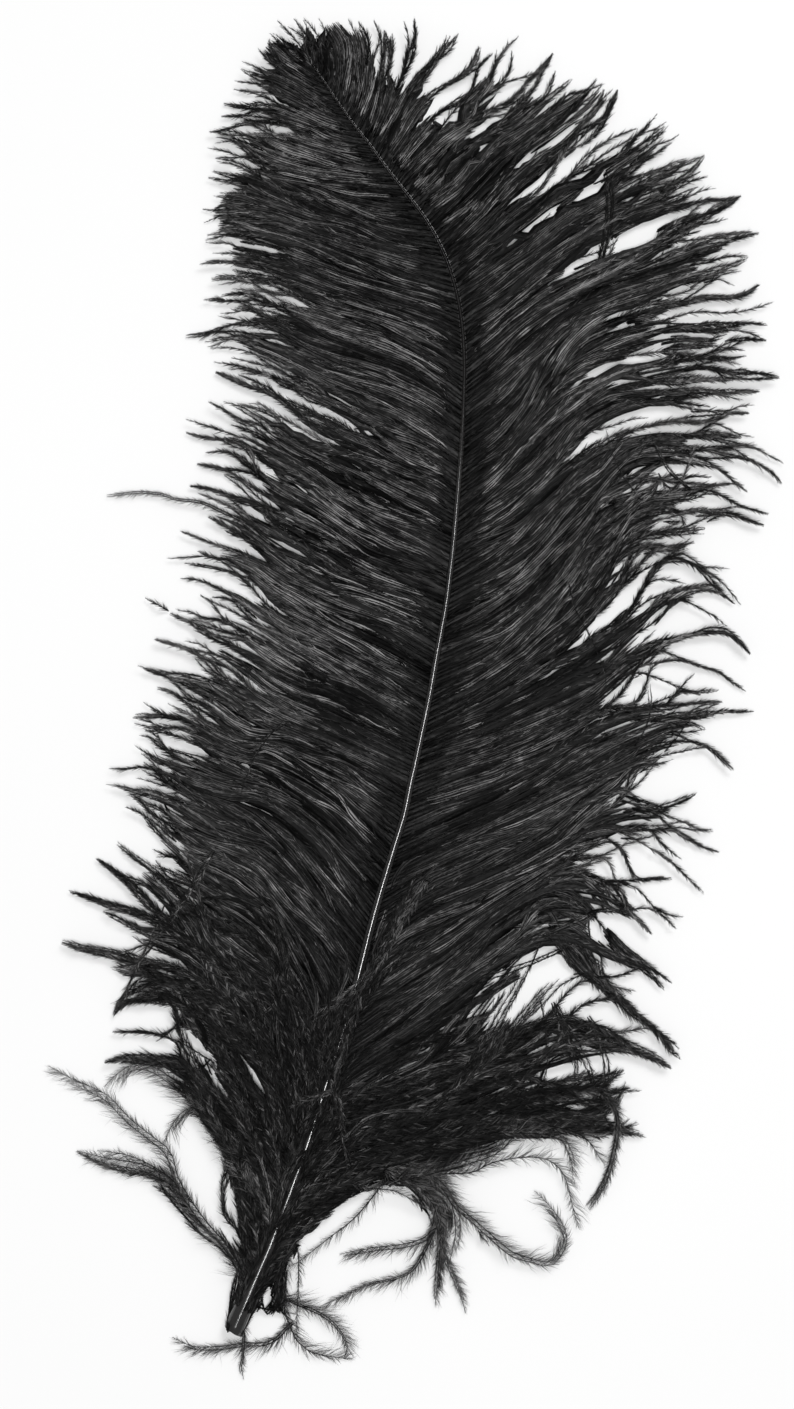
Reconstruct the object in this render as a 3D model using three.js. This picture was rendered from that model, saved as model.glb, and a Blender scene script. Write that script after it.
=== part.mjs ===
// Ostrich wing plume, dyed black, with its quill cut off, lying on a flat surface with its upper side up.
// Millimetres. +X to the right, +Y from the quill towards the feather's tip, +Z up. The surface is Z = 0,
// and the origin is the middle of the outline on that surface.
//
// The shaft (quill and rachis) is one grown piece. The barbs on each side of it form one web each, and the
// steep, loose barbs round the quill form a mass of down on each side. Barbs that stand clear of them are
// strands of their own.

import * as THREE from 'three';

// ---------------------------------------------------------------- driving dimensions

const QUILL_BORE_RADIUS = 3.4; // the cut quill is a tube
const QUILL_BORE_DEPTH = 26;
const CUT_SKEW = 0.16; // the cut leans this far from square, as a slope
const SHAFT_SIDES = 12;
const SPINE_HEIGHTS = [[0, 2.6], [45, 6], [110, 9.6], [200, 12.4], [310, 13], [400, 12], [470, 10.2], [530, 7.8], [575, 5.6], [600, 4.45]];
const WEB_AT_SHAFT = 1.2; // half the web's thickness where it meets the shaft
const BARB_TIP_THICKNESS = 1.8;
const STRAND_RADIUS = 1.2; // a loose barb with its barbules closed up
const STRAND_SIDES = 6;
const STRAND_STEP = 7.5;
const GAP = 0.8; // between the shaft and the webs

// Shaft: distance from the tip, x, y, half width
const SHAFT = [
  [0, -49.2, 286.7, 0.35], [13.3, -42.5, 275.2, 0.49], [26.6, -35.2, 264.1, 0.62], [39.9, -27.7, 253.1, 0.76],
  [53.2, -19.5, 242.6, 0.84], [66.6, -11.8, 231.8, 0.89], [79.9, -3.6, 221.3, 0.94], [93.2, 4.3, 210.6, 1],
  [106.5, 10.8, 199, 1.05], [119.8, 15.8, 186.7, 1.1], [133.1, 19.1, 173.8, 1.15], [146.4, 20.9, 160.7, 1.18],
  [159.7, 21.6, 147.4, 1.21], [173, 21.4, 134.1, 1.24], [186.3, 20.9, 120.8, 1.27], [199.7, 20.1, 107.5, 1.3],
  [213, 19.1, 94.2, 1.33], [226.3, 18, 81, 1.37], [239.6, 16.8, 67.7, 1.41], [252.9, 15.3, 54.5, 1.44],
  [266.2, 13.6, 41.3, 1.48], [279.5, 11.2, 28.2, 1.52], [292.8, 8.8, 15.1, 1.56], [306.1, 6.5, 2, 1.59],
  [319.5, 3.8, -11, 1.65], [332.8, 1, -24, 1.71], [346.1, -1.9, -37, 1.77], [359.4, -4.6, -50, 1.83],
  [372.7, -8.5, -62.8, 1.89], [386, -12.4, -75.5, 1.95], [399.3, -16.2, -88.2, 2.03], [412.6, -19.7, -101.1, 2.13],
  [425.9, -22.9, -114, 2.23], [439.3, -26.2, -126.9, 2.33], [452.6, -29.8, -139.7, 2.43], [465.9, -33.7, -152.4, 2.54],
  [479.2, -37.8, -165.1, 2.66], [492.5, -41.8, -177.8, 2.78], [505.8, -45.7, -190.5, 2.9], [519.1, -50, -203.1, 3.08],
  [532.4, -54.6, -215.6, 3.26], [545.7, -59.2, -228.1, 3.44], [559, -64, -240.5, 3.68], [572.4, -69.3, -252.7, 3.94],
  [585.7, -74.5, -264.9, 4.21], [599, -79.8, -277.2, 4.35],
];

// Webs: each row is one tuft of barbs. It holds the distance from the tip along the shaft where the tuft
// leaves it, the tuft's line from the shaft to its tip as x, y pairs, and, where the cleft before the next
// tuft isn't the usual one, the part of the length that the barbs stay together (0 for no cleft).
const LEFT_VANE = [
  [4.4, [-47.9, 282.4, -50.9, 284.3, -53.8, 286.3, -56.5, 288.7, -59, 291.2, -61.5, 293.7]],
  [10.6, [-44.7, 277.1, -49.1, 278.9, -53.4, 281.1, -57.5, 283.6, -61.5, 286.1, -65.5, 288.9]],
  [17.6, [-40.9, 271.1, -46.6, 273.7, -52.2, 276.5, -57.6, 279.4, -63.2, 282.2, -68.6, 285.4]],
  [29.9, [-34.2, 260.8, -42.6, 264.5, -50.9, 268.4, -59.2, 272.4, -67.6, 276.2, -76, 279.6]],
  [37.8, [-29.9, 254.1, -39.5, 257.9, -49, 262.1, -58.6, 266.1, -68.5, 269.1, -78.7, 271.3]],
  [47.5, [-23.9, 246.4, -35.8, 250, -47.6, 254.1, -59.4, 258, -71.6, 260, -84, 261.6]],
  [66.9, [-12.7, 230.8, -28.5, 233.4, -44, 237.5, -59.3, 242.6, -74.7, 247.1, -90.6, 249.3]],
  [71.3, [-10.1, 227.1, -25.8, 228.8, -41.4, 231.2, -56.8, 234.8, -71.8, 239.9, -87, 244]],
  [78.3, [-5.6, 221.6, -22.6, 224.4, -39.6, 226.8, -56.4, 230.2, -73, 234.7, -89.7, 238.7]],
  [103.8, [8.4, 200.6, -11.7, 204.9, -31.4, 210.9, -50.3, 218.9, -69, 227.4, -88.8, 233]],
  [109.1, [10.9, 196.1, -9.2, 200.6, -28.9, 206.2, -48.8, 211.5, -68.6, 217.1, -88.8, 220.7]],
  [117, [13.6, 188.8, -7.9, 196, -29.7, 202.5, -51.4, 208.8, -73.7, 213, -96.3, 212.8]],
  [135.5, [18, 171.3, -3.4, 179.2, -24.9, 186.8, -46.1, 195.2, -67.9, 202, -90.6, 204]],
  [142.6, [19, 164.3, -1.5, 173.3, -22.9, 180.3, -44.3, 187.2, -66.1, 192.8, -88.4, 196]],
  [153.1, [19.8, 153.9, -1, 166.6, -23.9, 175.2, -47, 183.1, -70.6, 189.5, -95, 191.2]],
  [158.4, [20, 148.7, -0.3, 159.8, -21.9, 168, -43.9, 175.3, -66.2, 181.6, -89.2, 183.7]],
  [169.8, [19.9, 137.3, -1.1, 149.6, -23.6, 158.9, -46.7, 166.7, -70.3, 172.8, -94.5, 174]],
  [183, [19.5, 124.2, 2, 139.9, -19.3, 150.2, -41.5, 158.2, -64.1, 165.4, -87.5, 168.8]],
  [187.4, [19.2, 119.8, -2.3, 133.8, -26.2, 143.3, -50.2, 152.7, -75, 159.2, -100.7, 160]],
  [197.1, [18.6, 110.1, -0.9, 125.2, -23.1, 135.9, -45.7, 145.7, -68.8, 154.4, -93.2, 157.3]],
  [203.3, [18.1, 104, -1.1, 118.2, -22.3, 129.6, -43.7, 140.2, -65.8, 149.7, -89.2, 154.2]],
  [218.2, [16.9, 89.1, -3.3, 101.6, -24.5, 112.2, -45.6, 123.2, -66.3, 134.9, -88.4, 143.7]],
  [232.3, [15.7, 75.1, -4.9, 87.4, -26.4, 98.4, -47.8, 109.4, -69, 120.8, -91, 130.5]],
  [245.5, [14.4, 62, -8.5, 74.7, -31.1, 87.6, -53.2, 101.6, -76.2, 114, -100.7, 123]],
  [251.7, [13.6, 55.9, -7.1, 71.8, -29.7, 85, -52.1, 98.4, -75.6, 110, -100.7, 117.3]],
  [257.8, [12.9, 49.8, -9.1, 60.3, -30.5, 71.8, -51.4, 84.1, -72.8, 95.6, -95.8, 103.2]],
  [264.9, [11.9, 42.8, -10.3, 52.7, -32.1, 63.4, -53.6, 74.7, -75.4, 85.6, -98.5, 93.1]],
  [285.1, [8.2, 23.1, -13.9, 33.6, -36.3, 43.3, -58.1, 54.4, -80, 65.3, -102.9, 73.7]],
  [301.8, [5.3, 6.6, -16.6, 19.9, -39.1, 32.2, -61, 45.5, -83.6, 57.5, -108.6, 62.3]],
  [306.2, [4.5, 2.3, -15.6, 15.8, -36.8, 27.5, -57.6, 39.9, -78.2, 52.5, -101.1, 60.1]],
  [311.5, [3.5, -2.9, -16.4, 10.7, -37.7, 22.4, -59, 33.8, -80, 45.8, -102.9, 53.5]],
  [324.7, [0.7, -15.7, -22.7, -2.5, -46.6, 9.6, -70.3, 22.2, -94.5, 33.6, -118.7, 45.1]],
  [342.3, [-3.3, -32.8, -25.4, -19.9, -48.6, -9.1, -70.8, 3.5, -92.8, 16.8, -116.5, 26.2]],
  [350.2, [-4.9, -40.8, -27.9, -28, -51.6, -16.5, -74.8, -4.2, -98.5, 7.3, -123.6, 15.2]],
  [354.6, [-5.6, -45.1, -25.3, -31.8, -47, -22.1, -69.9, -15.6, -91.2, -5.5, -112.6, 5.1]],
  [360.8, [-7, -50.7, -26.5, -35.4, -48.9, -24.8, -73.1, -19.2, -96.3, -10.9, -119.2, -1.1]],
  [371.4, [-10.3, -60.8, -29.2, -43.3, -51.3, -30, -75.5, -21, -99.9, -12.4, -124.9, -5.9]],
  [383.7, [-14, -72.6, -32.6, -56.6, -52.5, -42.3, -74.5, -31.6, -97.5, -22.8, -120.9, -15.6]],
  [400.4, [-18.9, -88.6, -34.1, -68, -52.5, -50.6, -75.7, -40.5, -99.7, -31.7, -122.7, -20.4]],
  [423.3, [-24.8, -110.8, -41, -87.8, -59.9, -67.3, -83.1, -51.6, -107.6, -37.8, -134.6, -30.6]],
  [442.6, [-29.7, -129.4, -43.9, -107.9, -61.2, -88.7, -81.6, -73.2, -104.1, -60.4, -126.6, -47.7]],
  [476.1, [-39.8, -161.2, -47.3, -134.4, -62.2, -110.9, -83.4, -93.1, -107.5, -78.9, -130.6, -63.1]],
];

const RIGHT_VANE = [
  [1.8, [-47.7, 285.5, -48.7, 288.2, -49.7, 290.9, -50.8, 293.6, -52, 296.3, -53.2, 299], 0],
  [10.6, [-43.2, 278, -42.8, 282.1, -42.5, 286.2, -42.2, 290.3, -42.1, 294.4, -42.2, 298.6]],
  [16.7, [-39.9, 272.8, -39.5, 277.9, -39.3, 283, -38.7, 288.1, -37.7, 293.1, -36.9, 298.1]],
  [26.4, [-34.4, 264.8, -34, 271.7, -33.7, 278.6, -33.1, 285.5, -31.4, 292.1, -29, 298.6]],
  [32.6, [-31, 259.7, -29.8, 267.4, -28.7, 275, -27.6, 282.7, -26.4, 290.3, -24.1, 297.7]],
  [41.4, [-26, 252.6, -22.6, 261.5, -20.2, 270.7, -18.9, 280, -19, 289.5, -18.8, 299]],
  [47.5, [-22, 247.9, -19.2, 256.8, -16.9, 265.9, -15.2, 275.1, -13.9, 284.4, -12.7, 293.7]],
  [51.9, [-19.3, 244.4, -14.9, 254.7, -11.5, 265.5, -8.6, 276.3, -6.8, 287.4, -5.2, 298.6]],
  [56.3, [-16.7, 240.8, -11.3, 251.5, -5.8, 262, 0.3, 272.2, 7.2, 282, 13.7, 292]],
  [62.5, [-13, 235.8, -6.2, 247.2, 1.3, 258.2, 10.7, 267.5, 20.2, 276.8, 27.4, 288]],
  [67.8, [-10, 231.5, -2.2, 242.9, 6.8, 253.4, 17.2, 262.5, 26.1, 273, 34.4, 284]],
  [73, [-6.9, 227.4, 3.6, 240.1, 14.9, 252.1, 26.2, 264.2, 35.6, 277.7, 45.8, 290.6]],
  [78.3, [-3.5, 223.3, 8.5, 236.6, 21.9, 248.5, 36.7, 258.5, 49.8, 270.7, 61.2, 284.5]],
  [84.5, [0.4, 218.6, 12.5, 230.4, 24.8, 242, 38.7, 251.6, 51.6, 262.4, 62.1, 275.7]],
  [93.3, [5.6, 211.2, 19.8, 224, 33.4, 237.4, 48.1, 249.6, 63.4, 261.2, 78.4, 273]],
  [103, [10.4, 202.8, 24.7, 216.5, 38, 231.1, 52.7, 244.3, 68, 256.8, 82.8, 270]],
  [111.8, [14.6, 194.8, 29.7, 209.2, 44.5, 224.1, 59.9, 238.2, 75.3, 252.3, 89.4, 267.8]],
  [118.8, [17, 188.2, 34.1, 203, 51.7, 217.4, 69.7, 231.1, 88.1, 244.4, 106.6, 257.6]],
  [130.2, [20.2, 177, 39.3, 191.3, 58, 206, 77.1, 220.3, 95.9, 234.9, 115.8, 248]],
  [134.6, [21, 172.6, 41.4, 187.2, 61.6, 202.1, 82.9, 215.5, 105.4, 226.6, 127.7, 238.3]],
  [140.8, [21.9, 166.5, 41.6, 181.9, 61.5, 196.8, 82.9, 209.6, 105.7, 219.8, 129, 228.6]],
  [155.8, [23.2, 151.4, 44.7, 169.1, 68.1, 184, 93, 196.3, 118, 208.6, 143.1, 220.7]],
  [170.7, [23.1, 136.4, 44.7, 156.5, 68.9, 173.3, 95.6, 185.7, 123.2, 196.3, 151.4, 204.8]],
  [178.6, [22.9, 128.4, 45.2, 146.1, 67.2, 163.9, 92.2, 177, 119.2, 186.1, 146.6, 193.4]],
  [198.9, [21.8, 108.2, 43.3, 129.1, 62.5, 152.1, 86.4, 169.5, 114.4, 180.1, 143.5, 187.7]],
  [208.6, [21.2, 98.5, 45.2, 119.4, 64.8, 144.8, 89.7, 163.8, 120.1, 173.4, 151, 182]],
  [227.9, [19.6, 79.2, 43.2, 101.8, 67.7, 123.3, 96.7, 137.2, 128.9, 141, 161.6, 140.2]],
  [236.7, [18.9, 70.4, 43.3, 87.1, 65.8, 106.3, 91.4, 120, 120.3, 125.5, 149.7, 129.2]],
  [253.4, [17.1, 53.7, 42.6, 70.4, 65.3, 90.9, 90, 108.7, 119.2, 116.3, 149.7, 115.5]],
  [257.8, [16.5, 49.3, 43.8, 68.5, 69.2, 90.2, 97.4, 107.2, 130, 110.6, 162.4, 103.2]],
  [265.8, [15.6, 41.5, 44.2, 59.4, 69.2, 82.5, 96.7, 101.7, 129.5, 105.4, 161.6, 94.8]],
  [293, [10.7, 14.6, 39.3, 29.3, 63.2, 51.1, 85.9, 74.2, 114.1, 89, 146.2, 90.9]],
  [297.4, [10, 10.2, 40.7, 27.7, 66.3, 52.1, 92, 76.2, 125, 85.8, 159.8, 80.3]],
  [313.3, [7.1, -5.4, 36.7, 14.4, 63.4, 37.8, 87.4, 64.2, 118.4, 78.9, 153.6, 76.8]],
  [317.7, [6.2, -9.7, 31.5, 4.9, 55.3, 21.8, 76.9, 41.3, 98.6, 60.8, 125.9, 70.2]],
  [324.7, [4.7, -16.6, 31.8, -2.1, 59.3, 11.9, 85.9, 27.3, 112.7, 42.3, 142.6, 40.7]],
  [333.5, [2.9, -25.2, 30.6, -13.2, 58.1, -0.9, 84.3, 14.1, 110.4, 29.2, 140, 30.6]],
  [344.1, [0.5, -35.5, 29.5, -23, 58.5, -10.3, 86.1, 4.9, 116.1, 12.3, 146.2, 3.8]],
  [352.9, [-1, -44.1, 25.9, -33.5, 52.5, -22.3, 78.5, -9.8, 105.3, 0.7, 133.8, 4.2]],
  [376.6, [-7.4, -67.2, 22.7, -51, 53.1, -35.3, 83.6, -19.7, 116.2, -9.6, 150.1, -5]],
  [384.6, [-9.7, -74.8, 17.6, -61, 45.1, -47.6, 72.2, -33.4, 99.7, -20.2, 129.4, -13.4]],
  [396, [-13, -85.7, 16.3, -69.6, 46.7, -55.6, 76.1, -39.5, 107, -26.9, 139.6, -31]],
  [422.4, [-19.6, -111.2, 6.2, -91.7, 35.3, -77.5, 63.6, -62, 93.3, -49.5, 124.6, -41.1]],
  [426.8, [-20.6, -115.5, 3.5, -95.5, 31.6, -81.4, 60.4, -68.7, 90.9, -62.5, 120.2, -72.4]],
  [436.5, [-22.8, -124.9, 0.5, -105.6, 27.1, -90.8, 54.1, -76.9, 83.4, -72.6, 113.2, -78.5]],
  [442.6, [-24.4, -130.9, 1.2, -111.5, 28.9, -95.2, 57.9, -81.4, 88.6, -83.7, 118.4, -95.7]],
  [453.2, [-27.2, -141.1, -0.9, -124.6, 24.5, -106.7, 50.8, -90.1, 80.2, -90, 107, -105.4]],
  [477, [-34.3, -163.9, -6.7, -141.7, 21.8, -120.6, 51.5, -101.3, 83, -106.3, 113.6, -124.3]],
  [493.7, [-39.1, -179.9, -28.7, -171.2, -17.7, -163.2, -6, -156.4, 5.9, -150, 17.6, -143.3]],
];

const LEFT_DOWN = [
  [477.4, [-40, -161.8, -47.5, -135, -62.3, -111.5, -83.6, -93.7, -107.7, -79.4, -130.8, -63.7]],
  [506, [-48.8, -189.7, -61.4, -162, -78.5, -136.7, -94.7, -110.9, -115, -88.4, -139.4, -70.2]],
  [515.7, [-52.1, -198.7, -63, -168.7, -79.4, -141.2, -97, -114.3, -122, -95.5, -152.2, -84.7]],
  [523.6, [-54.9, -206.1, -64.6, -176.9, -80.3, -150.2, -98.2, -124.9, -124.9, -112.4, -155.2, -106.2]],
  [539, [-60.3, -220.5, -66.1, -197, -78.3, -175.8, -91.2, -155, -108.5, -138.3, -131.9, -139.7]],
  [544.7, [-62.4, -225.8, -67, -203.6, -79.3, -184.1, -92.7, -165.5, -109.7, -150.3, -131.9, -145.8]],
  [550, [-64.3, -230.7, -68, -208.8, -79.2, -189.6, -94.4, -173.3, -113.4, -161.9, -135.4, -159], 0.62],
  [556.2, [-66.6, -236.3, -69.1, -227.4, -71.6, -218.5, -75.2, -210.1, -79.6, -201.9, -84, -193.8]],
  [564.1, [-69.9, -243.4, -71.5, -235.5, -73.3, -227.7, -75.8, -220, -78.5, -212.4, -81.3, -204.8]],
  [571.1, [-72.8, -249.9, -73.4, -244.2, -74.1, -238.5, -75.6, -233, -77.8, -227.7, -80, -222.4]],
  [579, [-76, -257.1, -75.4, -252.9, -74.8, -248.8, -75, -244.7, -76.5, -240.8, -78.2, -236.9]],
];

const RIGHT_DOWN = [
  [495, [-39.2, -180.4, -28.8, -171.8, -17.9, -163.8, -6.2, -157, 5.7, -150.6, 17.5, -143.9], 0],
  [501.6, [-41.3, -187.5, -16.4, -174.2, 9.9, -164, 35.9, -153.1, 61.2, -140.6, 88.8, -135.5], 0],
  [506.9, [-42.9, -192.6, -12.7, -174.7, 20.5, -162.5, 52.3, -147.2, 85.9, -138.2, 116.7, -153.3]],
  [512.2, [-44.5, -197.6, -15.2, -178.6, 17.5, -165.6, 49.8, -151.6, 83.9, -146.5, 116.7, -158.2]],
  [517.4, [-46.2, -202.7, -18.4, -183, 13.4, -170, 45.5, -158, 79.2, -154, 112.3, -162.1]],
  [526.2, [-49.1, -211, -23.1, -196.9, 6.2, -190.7, 34.8, -182.1, 63.5, -173.3, 91.6, -163]],
  [530.6, [-50.5, -215.2, -23.1, -200.3, 7.9, -193.8, 38.8, -186.7, 70, -182, 99.5, -170.9]],
  [535.9, [-52.3, -220.2, -24.8, -204.3, 6.4, -196.4, 37.6, -188.9, 69.4, -187.9, 101.3, -192]],
  [543.8, [-54.9, -227.7, -33.9, -213.9, -10.9, -203.7, 13.7, -198.8, 38.8, -196.9, 63.9, -199.1]],
  [550, [-57, -233.5, -42.1, -221.7, -25.7, -212, -7.5, -206.8, 11.5, -205.8, 30.4, -207.9]],
  [557, [-59.5, -240.2, -49.6, -230, -38.8, -220.9, -25.9, -215.1, -11.9, -212.7, 2.3, -211.4]],
  [564.1, [-62.2, -246.8, -56.4, -240.3, -50.6, -233.9, -43.8, -228.6, -36.1, -224.7, -27.6, -222.8]],
  [570.2, [-64.5, -252.5, -60.9, -248.6, -57.2, -244.8, -53.6, -241, -49.2, -238.2, -44.4, -236]],
  [576.4, [-66.8, -258.2, -64.3, -254.7, -61.7, -251.3, -59.1, -247.8, -55.6, -246.5, -51.4, -247.5]],
  [582.6, [-69.1, -263.9, -67, -261.3, -64.8, -258.7, -62.4, -256.3, -60, -257.4, -57.6, -259.8]],
];

// Loose barbs: x, y pairs from the root to the tip
const STRANDS = {
  stray_barb_left_high: [-96.9, 86.8, -105, 87.8, -111.3, 90, -121.2, 90.9, -135.4, 89.6],
  stray_barb_left_long: [-79.6, -250.1, -86.1, -237.1, -94.9, -229.1, -101.9, -219.4, -107.7, -206.6, -112.4, -198, -121.3, -190.8, -130.8, -180.5, -138.2, -174, -151, -168.2, -161.8, -162.1],
  stray_barb_left_low: [-109.9, -209.6, -120.9, -204.8, -134.2, -202.6, -148.6, -199.1],
  stray_barb_left_curl: [-101.5, -183.1, -104.2, -184.6, -109.9, -194.2],
  stray_barb_left_arch: [-130, -164.6, -136.2, -171.7],
  stray_barb_quill_left: [-57.6, -279.6, -62.8, -281.8, -72.4, -283.5, -92.3, -285.3, -100.1, -283.6, -106.8, -280.9],
  stray_barb_quill_end: [-75.6, -287.1, -76, -290.6, -75.6, -299],
  stray_barb_quill_curl: [-57.6, -273.4, -52.3, -279.1, -44.8, -284.5, -37.9, -287.9, -30.8, -287.1, -29.9, -282.6, -33.4, -276, -40.4, -270.4, -48.3, -267.3],
  stray_barb_quill_drop: [-52.3, -250.6, -53.2, -259.9, -52.3, -273.9],
  stray_barb_low_slant: [-9.6, -221.1, -17, -220.2, -28, -227.2, -39.6, -237.9, -46.1, -244.8],
  stray_barb_low_arc: [-6.5, -222, 0.1, -222, 5.8, -222.8],
  stray_barb_low_sweep: [5.8, -229.4, 1.3, -237.4, -9.6, -240.9, -24, -242.6, -32.9, -245.3],
  stray_barb_low_long: [7.1, -233.4, 0.1, -245.7, -10.5, -254.5, -24.2, -259, -41.3, -265.5],
  stray_barb_low_drop: [10.2, -220.2, 12, -243.5, 9.3, -268.2],
  stray_barb_low_fork: [14.5, -247.9, 22.5, -270.4],
  stray_barb_low_short: [17.2, -221.1, 18.6, -232.1, 15.5, -241.3],
  stray_barb_hook: [20.8, -222, 30, -233, 43, -243.4, 57.9, -247.4, 64.7, -242.7, 65.6, -233.8, 60.4, -225.1, 52.4, -215.8],
  stray_barb_right_droop: [32, -205.9, 48.1, -201.7, 62, -204.3, 66.6, -214.2, 71.8, -232.5],
  stray_barb_right_bend: [65.2, -194.3, 68.7, -196.9, 70.5, -210.5],
  stray_barb_right_tail: [87.7, -194, 84.6, -206.1, 76.2, -223.7],
};

// ---------------------------------------------------------------- materials

const horn = new THREE.MeshStandardMaterial({ color: 0x2b2a2b, roughness: 0.34, metalness: 0 });
const barb = new THREE.MeshStandardMaterial({ color: 0x1d1c1d, roughness: 0.88, metalness: 0 });
const down = new THREE.MeshStandardMaterial({ color: 0x161616, roughness: 0.94, metalness: 0 });

// ---------------------------------------------------------------- helpers

const lerp = THREE.MathUtils.lerp;

function along(table, x) {
  if (x <= table[0][0]) return table[0][1];
  for (let i = 1; i < table.length; i++) {
    if (x <= table[i][0]) {
      const t = (x - table[i - 1][0]) / (table[i][0] - table[i - 1][0]);
      return lerp(table[i - 1][1], table[i][1], t);
    }
  }
  return table[table.length - 1][1];
}

const spine = (u) => along(SPINE_HEIGHTS, u);

function pairs(flat) {
  const out = [];
  for (let i = 0; i < flat.length; i += 2) out.push([flat[i], flat[i + 1]]);
  return out;
}

function lengthOf(line) {
  let sum = 0;
  for (let i = 1; i < line.length; i++) sum += Math.hypot(line[i][0] - line[i - 1][0], line[i][1] - line[i - 1][1]);
  return sum;
}

// The first part of a line, split again into the same number of equal steps
function shortened(line, part) {
  const goal = lengthOf(line) * part;
  const n = line.length - 1;
  const out = [line[0]];
  for (let k = 1; k <= n; k++) {
    let want = (goal * k) / n;
    for (let i = 1; i < line.length; i++) {
      const d = Math.hypot(line[i][0] - line[i - 1][0], line[i][1] - line[i - 1][1]);
      if (want <= d || i === line.length - 1) {
        const t = Math.min(1, want / d);
        out.push([lerp(line[i - 1][0], line[i][0], t), lerp(line[i - 1][1], line[i][1], t)]);
        break;
      }
      want -= d;
    }
  }
  return out;
}

function solid(name, vertices, faces, material) {
  const geometry = new THREE.BufferGeometry();
  geometry.setAttribute('position', new THREE.Float32BufferAttribute(vertices.flat(), 3));
  geometry.setIndex(faces.flat());
  geometry.computeVertexNormals();
  const mesh = new THREE.Mesh(geometry, material);
  mesh.name = name;
  return mesh;
}

// ---------------------------------------------------------------- the webs

// Underside and top of a web at a part s of a barb's length, where the shaft stands z high. The outer part
// of the web lies flat on the surface, and it rises to the shaft inside that.
function webHeights(s, z) {
  const under = [[0, z - WEB_AT_SHAFT], [0.2, Math.max(0, 0.62 * z - 1.8)], [0.4, Math.max(0, 0.28 * z - 1.2)], [0.6, 0], [1, 0]];
  const over = [[0, z + WEB_AT_SHAFT], [0.2, 0.62 * z + 2.4], [0.4, 0.28 * z + 4.2], [0.6, 5.4], [0.8, 4], [1, BARB_TIP_THICKNESS]];
  return [Math.max(0, along(under, s)), along(over, s)];
}

// Where a web meets the shaft, on the right for side 1 and on the left for side -1
function rootAt(u, side) {
  let i = 1;
  while (i < SHAFT.length - 1 && SHAFT[i][0] < u) i++;
  const [a, b] = [SHAFT[i - 1], SHAFT[i]];
  const t = (u - a[0]) / (b[0] - a[0]);
  const d = Math.hypot(b[1] - a[1], b[2] - a[2]);
  const out = (lerp(a[3], b[3], t) + GAP) * side;
  return [lerp(a[1], b[1], t) - (out * (b[2] - a[2])) / d, lerp(a[2], b[2], t) + (out * (b[1] - a[1])) / d];
}

function web(name, rows, side, material) {
  const columns = [];
  rows.forEach(([u, flat, cleft], i) => {
    const line = pairs(flat);
    line[0] = rootAt(u, side);
    columns.push({ u, line, part: 1 });
    if (i + 1 === rows.length || cleft === 0) return;
    const next = pairs(rows[i + 1][1]);
    const mean = line.map((p, j) => [(p[0] + next[j][0]) / 2, (p[1] + next[j][1]) / 2]);
    const last = line.length - 1;
    const spread = Math.hypot(line[last][0] - next[last][0], line[last][1] - next[last][1]);
    const part = cleft || 1 - Math.min(0.16, Math.max(0.03, (0.55 * spread) / lengthOf(mean)));
    const between = (u + rows[i + 1][0]) / 2;
    mean[0] = rootAt(between, side);
    columns.push({ u: between, line: shortened(mean, part), part });
  });
  const n = columns[0].line.length;
  const vertices = [];
  for (const { u, line, part } of columns) {
    line.forEach(([x, y], j) => {
      const [under, over] = webHeights((j / (n - 1)) * part, spine(u));
      vertices.push([x, y, under], [x, y, over]);
    });
  }
  const at = (c, j, top) => 2 * (c * n + j) + (top ? 1 : 0);
  const faces = [];
  const quad = (a, b, c, d) => faces.push(side > 0 ? [a, b, c] : [a, c, b], side > 0 ? [a, c, d] : [a, d, c]);
  for (let c = 0; c + 1 < columns.length; c++) {
    for (let j = 0; j + 1 < n; j++) {
      quad(at(c, j, 1), at(c + 1, j, 1), at(c + 1, j + 1, 1), at(c, j + 1, 1));
      quad(at(c, j, 0), at(c, j + 1, 0), at(c + 1, j + 1, 0), at(c + 1, j, 0));
    }
    quad(at(c, 0, 0), at(c + 1, 0, 0), at(c + 1, 0, 1), at(c, 0, 1));
    quad(at(c, n - 1, 0), at(c, n - 1, 1), at(c + 1, n - 1, 1), at(c + 1, n - 1, 0));
  }
  const end = columns.length - 1;
  for (let j = 0; j + 1 < n; j++) {
    quad(at(0, j, 0), at(0, j, 1), at(0, j + 1, 1), at(0, j + 1, 0));
    quad(at(end, j, 0), at(end, j + 1, 0), at(end, j + 1, 1), at(end, j, 1));
  }
  return solid(name, vertices, faces, material);
}

// ---------------------------------------------------------------- the shaft

// Section, across and up, as parts of the half width: domed above, with a shallow furrow below
function section(u) {
  const furrow = u < 480 ? 0.3 : Math.max(0, 0.3 * (1 - (u - 480) / 60));
  const out = [];
  for (let k = 0; k < SHAFT_SIDES; k++) {
    const a = (k / SHAFT_SIDES) * Math.PI * 2;
    let across = Math.cos(a);
    let up = Math.sin(a);
    if (k === (SHAFT_SIDES * 3) / 4) up += furrow;
    out.push([across, up]);
  }
  return out;
}

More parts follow.
